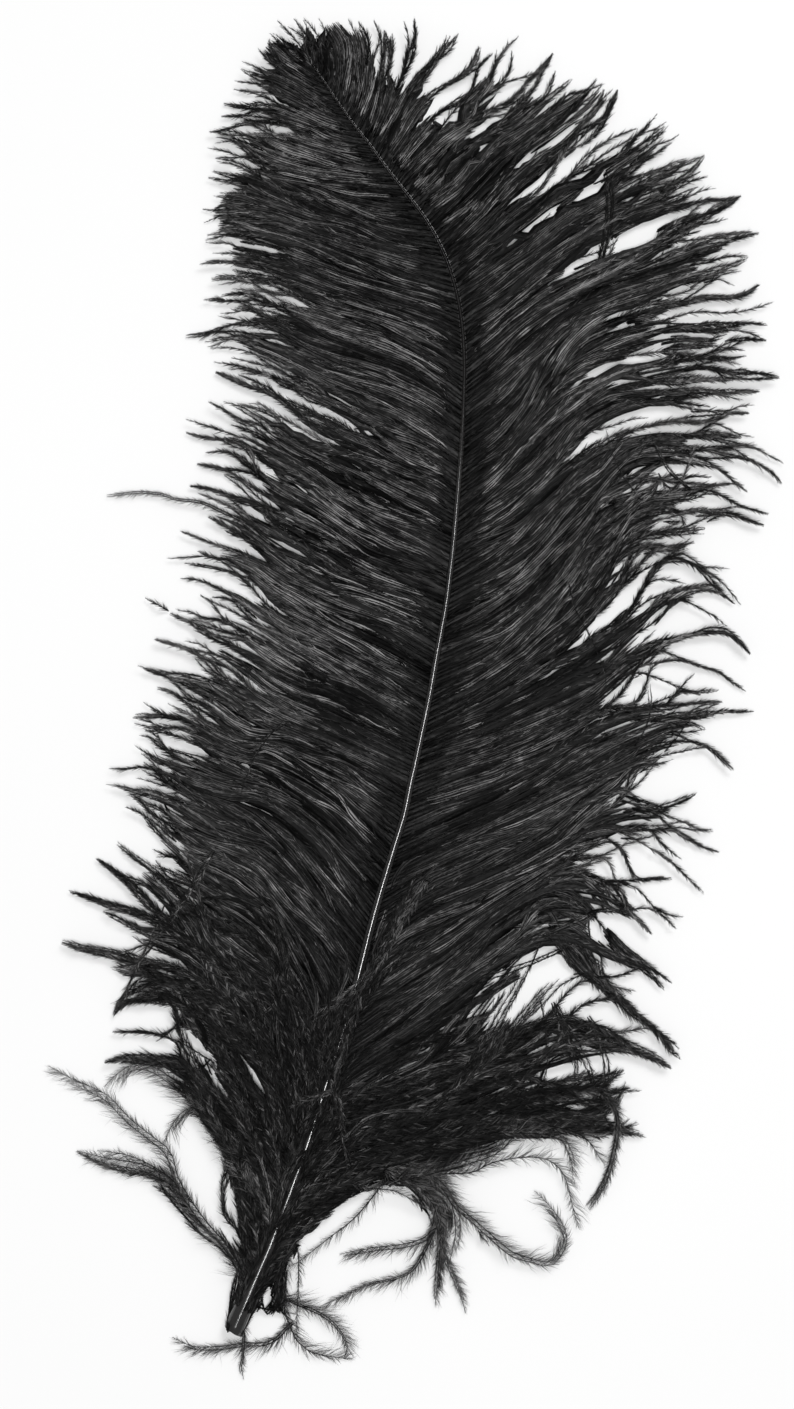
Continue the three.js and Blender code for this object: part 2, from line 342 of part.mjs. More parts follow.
function shaft(name) {
  const vertices = [];
  const faces = [];
  const count = SHAFT.length;
  const direction = (i) => {
    const a = SHAFT[Math.max(0, i - 1)];
    const b = SHAFT[Math.min(count - 1, i + 1)];
    const d = Math.hypot(b[1] - a[1], b[2] - a[2]);
    return [(b[1] - a[1]) / d, (b[2] - a[2]) / d];
  };
  const ring = (i, radius, back) => {
    const [u, x, y] = SHAFT[i];
    const [tx, ty] = direction(i);
    const z = spine(u);
    for (const [across, up] of section(u)) {
      // the across direction is the line's right-hand normal, seen from the tip down
      const lean = i === count - 1 ? across * radius * CUT_SKEW : 0;
      const shift = lean - back;
      vertices.push([x - ty * across * radius + tx * shift, y + tx * across * radius + ty * shift, z + up * radius]);
    }
  };
  vertices.push([SHAFT[0][1], SHAFT[0][2] + 1.2, spine(0)]);
  for (let i = 0; i < count; i++) ring(i, SHAFT[i][3], 0);
  const n = SHAFT_SIDES;
  const first = 1;
  for (let k = 0; k < n; k++) faces.push([0, first + k, first + ((k + 1) % n)]);
  for (let i = 0; i + 1 < count; i++) {
    for (let k = 0; k < n; k++) {
      const a = first + i * n + k;
      const b = first + i * n + ((k + 1) % n);
      faces.push([a, a + n, b + n], [a, b + n, b]);
    }
  }
  // the mouth of the cut tube, its wall and its blind end
  const outer = first + (count - 1) * n;
  const mouth = vertices.length;
  ring(count - 1, QUILL_BORE_RADIUS, 0);
  const inner = vertices.length;
  ring(count - 1, QUILL_BORE_RADIUS * 0.86, QUILL_BORE_DEPTH * 0.45);
  const apex = vertices.length;
  {
    const [u, x, y] = SHAFT[count - 1];
    const [tx, ty] = direction(count - 1);
    vertices.push([x - tx * QUILL_BORE_DEPTH, y - ty * QUILL_BORE_DEPTH, spine(u) + 0.5]);
  }
  for (let k = 0; k < n; k++) {
    const m = (k + 1) % n;
    faces.push([outer + k, mouth + k, mouth + m], [outer + k, mouth + m, outer + m]);
    faces.push([mouth + k, inner + k, inner + m], [mouth + k, inner + m, mouth + m]);
    faces.push([inner + k, apex, inner + m]);
  }
  return solid(name, vertices, faces.map(([a, b, c]) => [a, c, b]), horn);
}

// ---------------------------------------------------------------- the loose barbs

function strand(name, flat) {
  const points = pairs(flat).map(([x, y]) => new THREE.Vector3(x, y, STRAND_RADIUS * Math.cos(Math.PI / STRAND_SIDES)));
  const path = new THREE.CatmullRomCurve3(points, false, 'centripetal');
  const outline = new THREE.Shape();
  for (let k = 0; k < STRAND_SIDES; k++) {
    const a = ((k + 0.5) / STRAND_SIDES) * Math.PI * 2;
    const x = Math.cos(a) * STRAND_RADIUS;
    const y = Math.sin(a) * STRAND_RADIUS;
    if (k === 0) outline.moveTo(x, y);
    else outline.lineTo(x, y);
  }
  outline.closePath();
  const steps = Math.max(3, Math.round(path.getLength() / STRAND_STEP));
  const geometry = new THREE.ExtrudeGeometry(outline, { steps, bevelEnabled: false, extrudePath: path });
  const mesh = new THREE.Mesh(geometry, down);
  mesh.name = name;
  return mesh;
}

// ---------------------------------------------------------------- the feather

const feather = new THREE.Group();
feather.name = 'ostrich_feather';
feather.add(shaft('shaft'));
feather.add(web('left_vane', LEFT_VANE, -1, barb));
feather.add(web('right_vane', RIGHT_VANE, 1, barb));
feather.add(web('left_down', LEFT_DOWN, -1, down));
feather.add(web('right_down', RIGHT_DOWN, 1, down));
for (const [name, line] of Object.entries(STRANDS)) feather.add(strand(name, line));

export default feather;
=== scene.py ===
"""One black ostrich plume with a cut quill, lying flat on a pale surface.

The lines below are the plume's own measurements in millimetres of the shared frame: the shaft, and
the lines that its tufts and single strands follow. Everything on it is mesh made from those lines:
barbs as thin tapered tubes, and barbules as fine blades on both sides of each barb.
"""
import math

import bpy
import numpy as np
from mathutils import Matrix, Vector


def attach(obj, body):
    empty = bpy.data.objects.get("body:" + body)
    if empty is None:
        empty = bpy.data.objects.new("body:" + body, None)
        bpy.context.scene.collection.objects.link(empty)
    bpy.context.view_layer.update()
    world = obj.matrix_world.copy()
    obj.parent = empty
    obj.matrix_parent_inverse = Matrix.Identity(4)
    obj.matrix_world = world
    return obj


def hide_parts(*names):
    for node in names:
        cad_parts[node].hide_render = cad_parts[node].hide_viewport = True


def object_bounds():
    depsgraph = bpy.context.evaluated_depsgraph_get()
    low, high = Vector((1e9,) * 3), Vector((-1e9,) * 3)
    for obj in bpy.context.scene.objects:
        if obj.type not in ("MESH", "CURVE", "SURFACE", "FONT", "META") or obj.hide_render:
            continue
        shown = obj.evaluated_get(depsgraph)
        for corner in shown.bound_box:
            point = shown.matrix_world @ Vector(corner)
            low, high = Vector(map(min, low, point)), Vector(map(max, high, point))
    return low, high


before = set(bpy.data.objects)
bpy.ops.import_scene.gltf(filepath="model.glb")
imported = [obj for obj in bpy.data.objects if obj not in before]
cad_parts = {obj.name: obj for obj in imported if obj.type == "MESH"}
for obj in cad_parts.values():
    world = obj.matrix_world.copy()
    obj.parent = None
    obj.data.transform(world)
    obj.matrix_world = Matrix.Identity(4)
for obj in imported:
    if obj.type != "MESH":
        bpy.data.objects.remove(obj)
CAD_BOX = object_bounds()
MM = 0.001

SHAFT = np.array([  # distance from the tip, x, y, half width
    (0, -49.2, 286.7, 0.35), (13.3, -42.5, 275.2, 0.49), (26.6, -35.2, 264.1, 0.62), (39.9, -27.7, 253.1, 0.76),
    (53.2, -19.5, 242.6, 0.84), (66.6, -11.8, 231.8, 0.89), (79.9, -3.6, 221.3, 0.94), (93.2, 4.3, 210.6, 1),
    (106.5, 10.8, 199, 1.05), (119.8, 15.8, 186.7, 1.1), (133.1, 19.1, 173.8, 1.15), (146.4, 20.9, 160.7, 1.18),
    (159.7, 21.6, 147.4, 1.21), (173, 21.4, 134.1, 1.24), (186.3, 20.9, 120.8, 1.27), (199.7, 20.1, 107.5, 1.3),
    (213, 19.1, 94.2, 1.33), (226.3, 18, 81, 1.37), (239.6, 16.8, 67.7, 1.41), (252.9, 15.3, 54.5, 1.44),
    (266.2, 13.6, 41.3, 1.48), (279.5, 11.2, 28.2, 1.52), (292.8, 8.8, 15.1, 1.56), (306.1, 6.5, 2, 1.59),
    (319.5, 3.8, -11, 1.65), (332.8, 1, -24, 1.71), (346.1, -1.9, -37, 1.77), (359.4, -4.6, -50, 1.83),
    (372.7, -8.5, -62.8, 1.89), (386, -12.4, -75.5, 1.95), (399.3, -16.2, -88.2, 2.03), (412.6, -19.7, -101.1, 2.13),
    (425.9, -22.9, -114, 2.23), (439.3, -26.2, -126.9, 2.33), (452.6, -29.8, -139.7, 2.43), (465.9, -33.7, -152.4, 2.54),
    (479.2, -37.8, -165.1, 2.66), (492.5, -41.8, -177.8, 2.78), (505.8, -45.7, -190.5, 2.9), (519.1, -50, -203.1, 3.08),
    (532.4, -54.6, -215.6, 3.26), (545.7, -59.2, -228.1, 3.44), (559, -64, -240.5, 3.68), (572.4, -69.3, -252.7, 3.94),
    (585.7, -74.5, -264.9, 4.21), (599, -79.8, -277.2, 4.35),
])
RIGHT_TUFTS = [  # distance from the tip where the tuft leaves the shaft, then x, y from the shaft to the tuft's tip
    (1.8, -48.4, 285.1, -50.9, 286.6, -52.8, 288.8, -54.5, 291.2, -56.3, 293.5, -58, 295.8, -59.8, 298.1),
    (6.9, -45.8, 280.6, -46.2, 284.1, -47.3, 287.5, -48.6, 290.6, -49.9, 293.6, -51.1, 296.4, -52.3, 299),
    (10.2, -44.1, 277.8, -44, 281.6, -44.6, 285.3, -45.5, 288.9, -46.5, 292.4, -47.5, 295.6, -48.3, 298.6),
    (14.6, -41.8, 274, -41.3, 278.3, -41.5, 282.6, -41.7, 286.8, -41.8, 290.9, -42, 294.8, -42.2, 298.6),
    (20, -38.9, 269.6, -38.2, 274.5, -38.4, 279.5, -38.5, 284.3, -38.2, 289.1, -37.5, 293.7, -36.9, 298.1),
    (25.9, -35.6, 264.7, -34.2, 270.3, -34, 276, -33.6, 281.8, -32.9, 287.6, -31.1, 293.1, -29, 298.6),
    (32, -32.2, 259.6, -30.4, 265.8, -29.4, 272.2, -28.3, 278.6, -27.4, 285, -26.2, 291.5, -24.1, 297.7),
    (37.7, -29, 254.8, -24.9, 261.3, -22, 268.4, -20.2, 275.8, -19, 283.4, -19.2, 291.1, -18.8, 299),
    (42.9, -25.9, 250.7, -22.1, 257.2, -19.3, 264.1, -17.1, 271.2, -15.2, 278.5, -13.9, 286, -12.7, 293.7),
    (47.2, -23.2, 247.4, -18.8, 255.4, -15.6, 264, -13.2, 272.8, -11.2, 281.7, -10.8, 291, -9.6, 300.3),
    (50.9, -20.9, 244.5, -16.3, 252.7, -13, 261.6, -10.3, 270.6, -7.8, 279.8, -6.6, 289.1, -5.2, 298.6),
    (54.1, -19, 241.9, -14.5, 250.7, -10.8, 260, -7.4, 269.3, -4.1, 278.7, -2.3, 288.4, -0.4, 298.1),
    (57.3, -17.2, 239.4, -12.3, 248.3, -7.8, 257.5, -3, 266.5, 2.4, 275.1, 8.3, 283.4, 13.7, 292),
    (60.5, -15.2, 236.7, -10.3, 246.6, -5.4, 256.5, 0.1, 265.8, 6.5, 274.6, 13, 283.4, 19.4, 292),
    (63.9, -13.3, 233.9, -7.2, 243.6, -1.6, 253.5, 5.5, 262.4, 13.9, 270, 21.7, 278.2, 27.4, 288),
    (67.6, -11.2, 230.9, -4.3, 240.4, 2.8, 249.7, 11.4, 257.7, 20.4, 265.2, 27.3, 274.7, 34.4, 284),
    (71.6, -8.9, 227.7, 0.3, 238.2, 9.9, 248.3, 20.1, 257.9, 29.4, 268.2, 36.9, 280, 45.8, 290.6),
    (75.8, -6.2, 224.5, 2.1, 234.4, 10.9, 244, 20.1, 253, 28.6, 262.8, 36, 273.4, 42.8, 284.5),
    (80.3, -3.3, 221, 6.6, 232.6, 17, 243.7, 29.1, 252.7, 41.6, 261.3, 51.8, 272.6, 61.2, 284.5),
    (85.2, -0.2, 217.1, 10.1, 227.2, 19.9, 237.6, 31.1, 246.6, 43.2, 254.2, 53.5, 264.2, 62.1, 275.7),
    (90.7, 3.1, 212.7, 14, 222.9, 23.7, 234.4, 34.6, 244.5, 46.9, 252.9, 58.1, 262.7, 69.2, 272.6),
    (96.7, 6.1, 207.6, 18, 218.7, 28.9, 231, 40.5, 242.4, 53.1, 252.7, 65.9, 262.8, 78.4, 273),
    (103, 9.2, 202.1, 21.8, 213.1, 32.8, 225.6, 44.4, 237.7, 57.5, 248, 70.4, 258.7, 82.8, 270),
    (109.3, 12.3, 196.6, 25.9, 207.5, 38.3, 219.8, 51.2, 231.5, 64.7, 242.8, 77.6, 254.7, 89.4, 267.8),
    (115.4, 14.4, 190.9, 29.5, 202.2, 44.3, 214, 59.8, 224.8, 75.2, 236, 91, 246.6, 106.6, 257.6),
    (120.9, 16.3, 185.7, 31.8, 198.5, 47.4, 211.2, 64, 222.7, 80.9, 233.9, 97.2, 245.8, 113.6, 257.6),
    (125.7, 17.5, 181, 34.3, 191.3, 50.4, 202.8, 66.4, 214.3, 82.9, 225.4, 98.7, 237.5, 115.8, 248),
    (130.1, 18.6, 176.8, 34.7, 187.5, 50.2, 199, 65.5, 210.9, 81.5, 221.7, 97, 233.3, 113.2, 244),
    (134.3, 19.4, 172.6, 36.1, 184.2, 52.2, 196.5, 68.3, 208.7, 85.4, 219.6, 103, 229.7, 121.1, 238.7),
    (138.8, 20, 168.3, 37.6, 180.9, 54.4, 194.6, 71.5, 207.7, 89.9, 218.7, 109.1, 228, 127.7, 238.3),
    (143.8, 20.8, 163.3, 37.7, 176.4, 54.1, 190, 71.4, 202.5, 89.9, 212.7, 109.3, 221.1, 129, 228.6),
    (149.7, 21.2, 157.4, 38.8, 170.8, 55.4, 185.6, 73.4, 198.4, 92.5, 208.8, 112.6, 217.2, 133, 224.2),
    (156.6, 21.6, 150.4, 40.1, 165.1, 59.1, 178.9, 79.9, 189.8, 101, 200, 122, 210.5, 143.1, 220.7),
    (164.6, 21.6, 142.6, 39.1, 157.5, 57.1, 171.4, 76.6, 182.9, 96.7, 193, 116.7, 203.2, 137.4, 211.4),
    (173.3, 21.4, 133.9, 40.1, 150.9, 59.5, 166.9, 81.3, 179.2, 104.3, 188.8, 127.6, 197.8, 151.4, 204.8),
    (182.3, 21.2, 124.8, 40.7, 139.5, 58.7, 156.2, 78.4, 170.3, 100.6, 179.7, 123.4, 187.2, 146.6, 193.4),
    (191.1, 20.6, 116, 40, 130, 55.2, 148.4, 72.6, 165, 95, 175.2, 119, 182, 143.5, 187.7),
    (199.2, 20.1, 108, 41.8, 121.2, 57.7, 140.8, 74.8, 159.7, 99, 169.7, 125.1, 175.1, 151, 182),
    (206.5, 19.7, 100.7, 41.7, 116, 58.4, 137.1, 77.2, 156.2, 102.8, 165.5, 130, 169.3, 157.2, 174),
    (213.1, 19.1, 94.1, 40.7, 110.4, 57.5, 131.8, 76.5, 150.8, 101.5, 161, 128.1, 164.3, 155, 164.8),
    (219.5, 18.6, 87.7, 39.8, 104.7, 57, 125.9, 77.5, 143.2, 102.7, 150.8, 128.6, 155, 154.5, 157.3),
    (226.2, 18, 81, 38.7, 98.6, 58.4, 117.3, 80.5, 133.2, 106.7, 140.4, 134.1, 141.3, 161.6, 140.2),
    (233.2, 17.4, 74, 37.5, 90.7, 56.6, 108.3, 76.8, 124.6, 101.3, 132.1, 127, 134.1, 152.8, 134.9),
    (240.7, 16.7, 66.6, 38.3, 80.1, 57.2, 97.3, 76.5, 113.9, 100.1, 122.3, 124.9, 125.8, 149.7, 129.2),
    (248.6, 15.8, 58.7, 38.3, 69.9, 57.6, 85.8, 76.2, 102.6, 98.6, 114.1, 124, 117.3, 149.7, 115.5),
    (257, 14.8, 50.4, 37.6, 64.2, 57.9, 81.6, 77.6, 99.7, 101.1, 111.8, 127.6, 113.8, 154.1, 110.7),
    (266, 13.6, 41.5, 38, 58.1, 59.6, 78.2, 81.1, 98.2, 107.1, 109.7, 135.2, 110, 162.4, 103.2),
    (275.5, 12, 32.2, 37.9, 47.7, 59.6, 69, 80.5, 90.9, 106.1, 104.8, 134.8, 104.5, 161.6, 94.8),
    (285.2, 10, 22.6, 35.1, 30.8, 55.9, 46.3, 74, 65.2, 93.7, 82.7, 118.9, 91.2, 146.2, 90.9),
    (294.5, 8.5, 13.5, 35.5, 25.1, 58.1, 43.9, 77.8, 66, 101.1, 83.7, 130.5, 86.5, 159.8, 80.3),
    (303, 7.1, 5.1, 32.6, 17.7, 56, 33.7, 75.7, 54.1, 95.6, 74.5, 123.9, 80.9, 153.6, 76.8),
    (310.2, 5.7, -2, 28.8, 9.4, 50.3, 23.6, 70, 40.2, 87.5, 59.2, 110.3, 71, 136.5, 74.2),
    (316.4, 4.5, -8, 26.6, 2.4, 47, 15.9, 66.5, 30.8, 83.5, 48.4, 102.2, 63.8, 125.9, 70.2),
    (321.8, 3.3, -13.3, 27.3, -1.3, 50.3, 12.6, 71.7, 28.8, 91.2, 47.2, 114.5, 59.1, 140.9, 57),
    (326.9, 2.2, -18.3, 25.9, -6.6, 49.2, 5.8, 72.6, 17.9, 94.4, 32.5, 117.3, 44.6, 142.6, 40.7),
    (332.1, 1.1, -23.4, 24.9, -14.6, 48.4, -5, 71.3, 5.9, 92.6, 19.7, 114.9, 31.6, 140, 30.6),
    (337.5, -0.1, -28.6, 24.8, -19.2, 49.1, -8.6, 72.9, 3.1, 95.9, 16.2, 121.4, 21.1, 147.5, 19.2),
    (343.3, -1.4, -34.3, 23.5, -24.9, 48.3, -15, 72.2, -3.3, 95, 10.4, 121, 12.8, 146.2, 3.8),
    (349.7, -2.6, -40.6, 18.2, -30.8, 39.3, -22, 60.1, -12.4, 80, -1.3, 100.3, 8.6, 122.8, 11.2),
    (356.8, -3.8, -47.6, 19.4, -38.6, 42.3, -29, 64.5, -17.8, 86.5, -6.5, 109.5, 2, 133.8, 4.2),
    (364.7, -6.1, -55.1, 18.7, -45.6, 42.8, -34.4, 65.7, -21.3, 88.9, -9.1, 113.9, -3.1, 139.1, 0.2),
    (373.2, -8.6, -63.3, 17.1, -51.6, 42.8, -39.7, 67.7, -26.2, 93.6, -14.5, 121.5, -8.2, 150.1, -5),
    (382.3, -11.3, -71.9, 12.1, -62.1, 35.4, -51.7, 58.1, -40.2, 80.8, -28.5, 104.2, -18, 129.4, -13.4),
    (391.5, -14, -80.7, 10.8, -68.2, 35.8, -56.3, 60.4, -43.9, 84.6, -30.8, 109.8, -20.4, 136.9, -17.8),
    (400.3, -16.6, -89.2, 9, -75.4, 35.4, -63.4, 60.7, -49.5, 85.4, -34.7, 112.2, -25.3, 139.6, -31),
    (408.5, -18.6, -97.1, 2.8, -84.7, 26.4, -75.5, 50.5, -66.5, 73.1, -54.2, 98.3, -47, 124.6, -41.1),
    (415.7, -20.4, -104, 2.7, -89.7, 28, -78.7, 53.4, -67.7, 78.1, -55, 105.7, -52.9, 133.8, -57.4),
    (421.8, -22, -110, 1.5, -94.3, 27, -82.1, 52.8, -70.4, 78.6, -58.7, 106.6, -58.7, 133.8, -67.1),
    (427.3, -23.3, -115.3, -2.3, -98.9, 21.2, -86.3, 45.5, -75.4, 69.8, -64.6, 95.9, -62.1, 120.2, -72.4),
    (432.7, -24.5, -120.5, -1.2, -103.7, 24.2, -90.6, 49.7, -77.7, 76.1, -67.6, 103.4, -70.6, 127.2, -85.1),
    (438.5, -25.9, -126.2, -5.3, -110.2, 17.2, -97.1, 39.9, -84.4, 63, -72.8, 88.2, -72.8, 113.2, -78.5),
    (445.3, -27.8, -132.7, -5, -116.8, 18.6, -102.5, 42.1, -88, 67.4, -78.3, 93.4, -85.2, 118.4, -95.7),
    (453.4, -30, -140.5, -6.4, -124.3, 17.3, -108.7, 40.4, -92.7, 65.5, -81.6, 90.9, -89.2, 114.9, -101),
    (462.7, -32.6, -149.4, -8.4, -135.1, 14.1, -118.3, 35.6, -100.5, 59.3, -87, 84.7, -91.5, 107, -105.4),
    (472.9, -35.9, -159.1, -11.5, -143, 12.5, -126.1, 36.2, -108.7, 61.7, -95.1, 88, -108.5, 113.6, -124.3),
    (483.4, -39.1, -169.1, -15.2, -151.5, 8.2, -133.4, 31.9, -115.9, 58.5, -106.7, 84.4, -118.9, 111.4, -128.7),
    (493.4, -42, -178.7, -20.3, -169.2, 3.6, -163.5, 27.5, -156.7, 50.7, -147.6, 75.1, -141.5, 101.3, -144.1),
    (502.5, -44.6, -187.4, -18.9, -174.1, 9.1, -165.1, 36.8, -155, 62.6, -140.7, 90.9, -137.3, 116.7, -153.3),
    (510.5, -47.2, -195, -21.6, -180.1, 6.1, -169.7, 33.6, -158.4, 60.6, -146.5, 89.8, -146.3, 116.7, -158.2),
    (517.6, -49.5, -201.7, -24.6, -185.6, 2.6, -174.3, 29.6, -163.3, 57, -154, 85.3, -153.8, 112.3, -162.1),
    (523.7, -51.6, -207.4, -29.7, -196.7, -5.2, -192.2, 19.3, -187.3, 43, -178.8, 67.5, -172.2, 91.6, -163),
    (528.6, -53.3, -212, -30.1, -200.5, -4.1, -195.7, 21.9, -190.1, 47.9, -184.3, 74.7, -181.4, 99.5, -170.9),
    (532.4, -54.6, -215.6, -31.4, -204.2, -6, -198.1, 19.6, -192.5, 45.4, -186.8, 71.9, -188.4, 98.2, -185.4),
    (537.7, -56.4, -220.6, -32.5, -207.4, -6.1, -200.3, 20.4, -193.5, 46.9, -187, 74.2, -188.3, 101.3, -192),
]
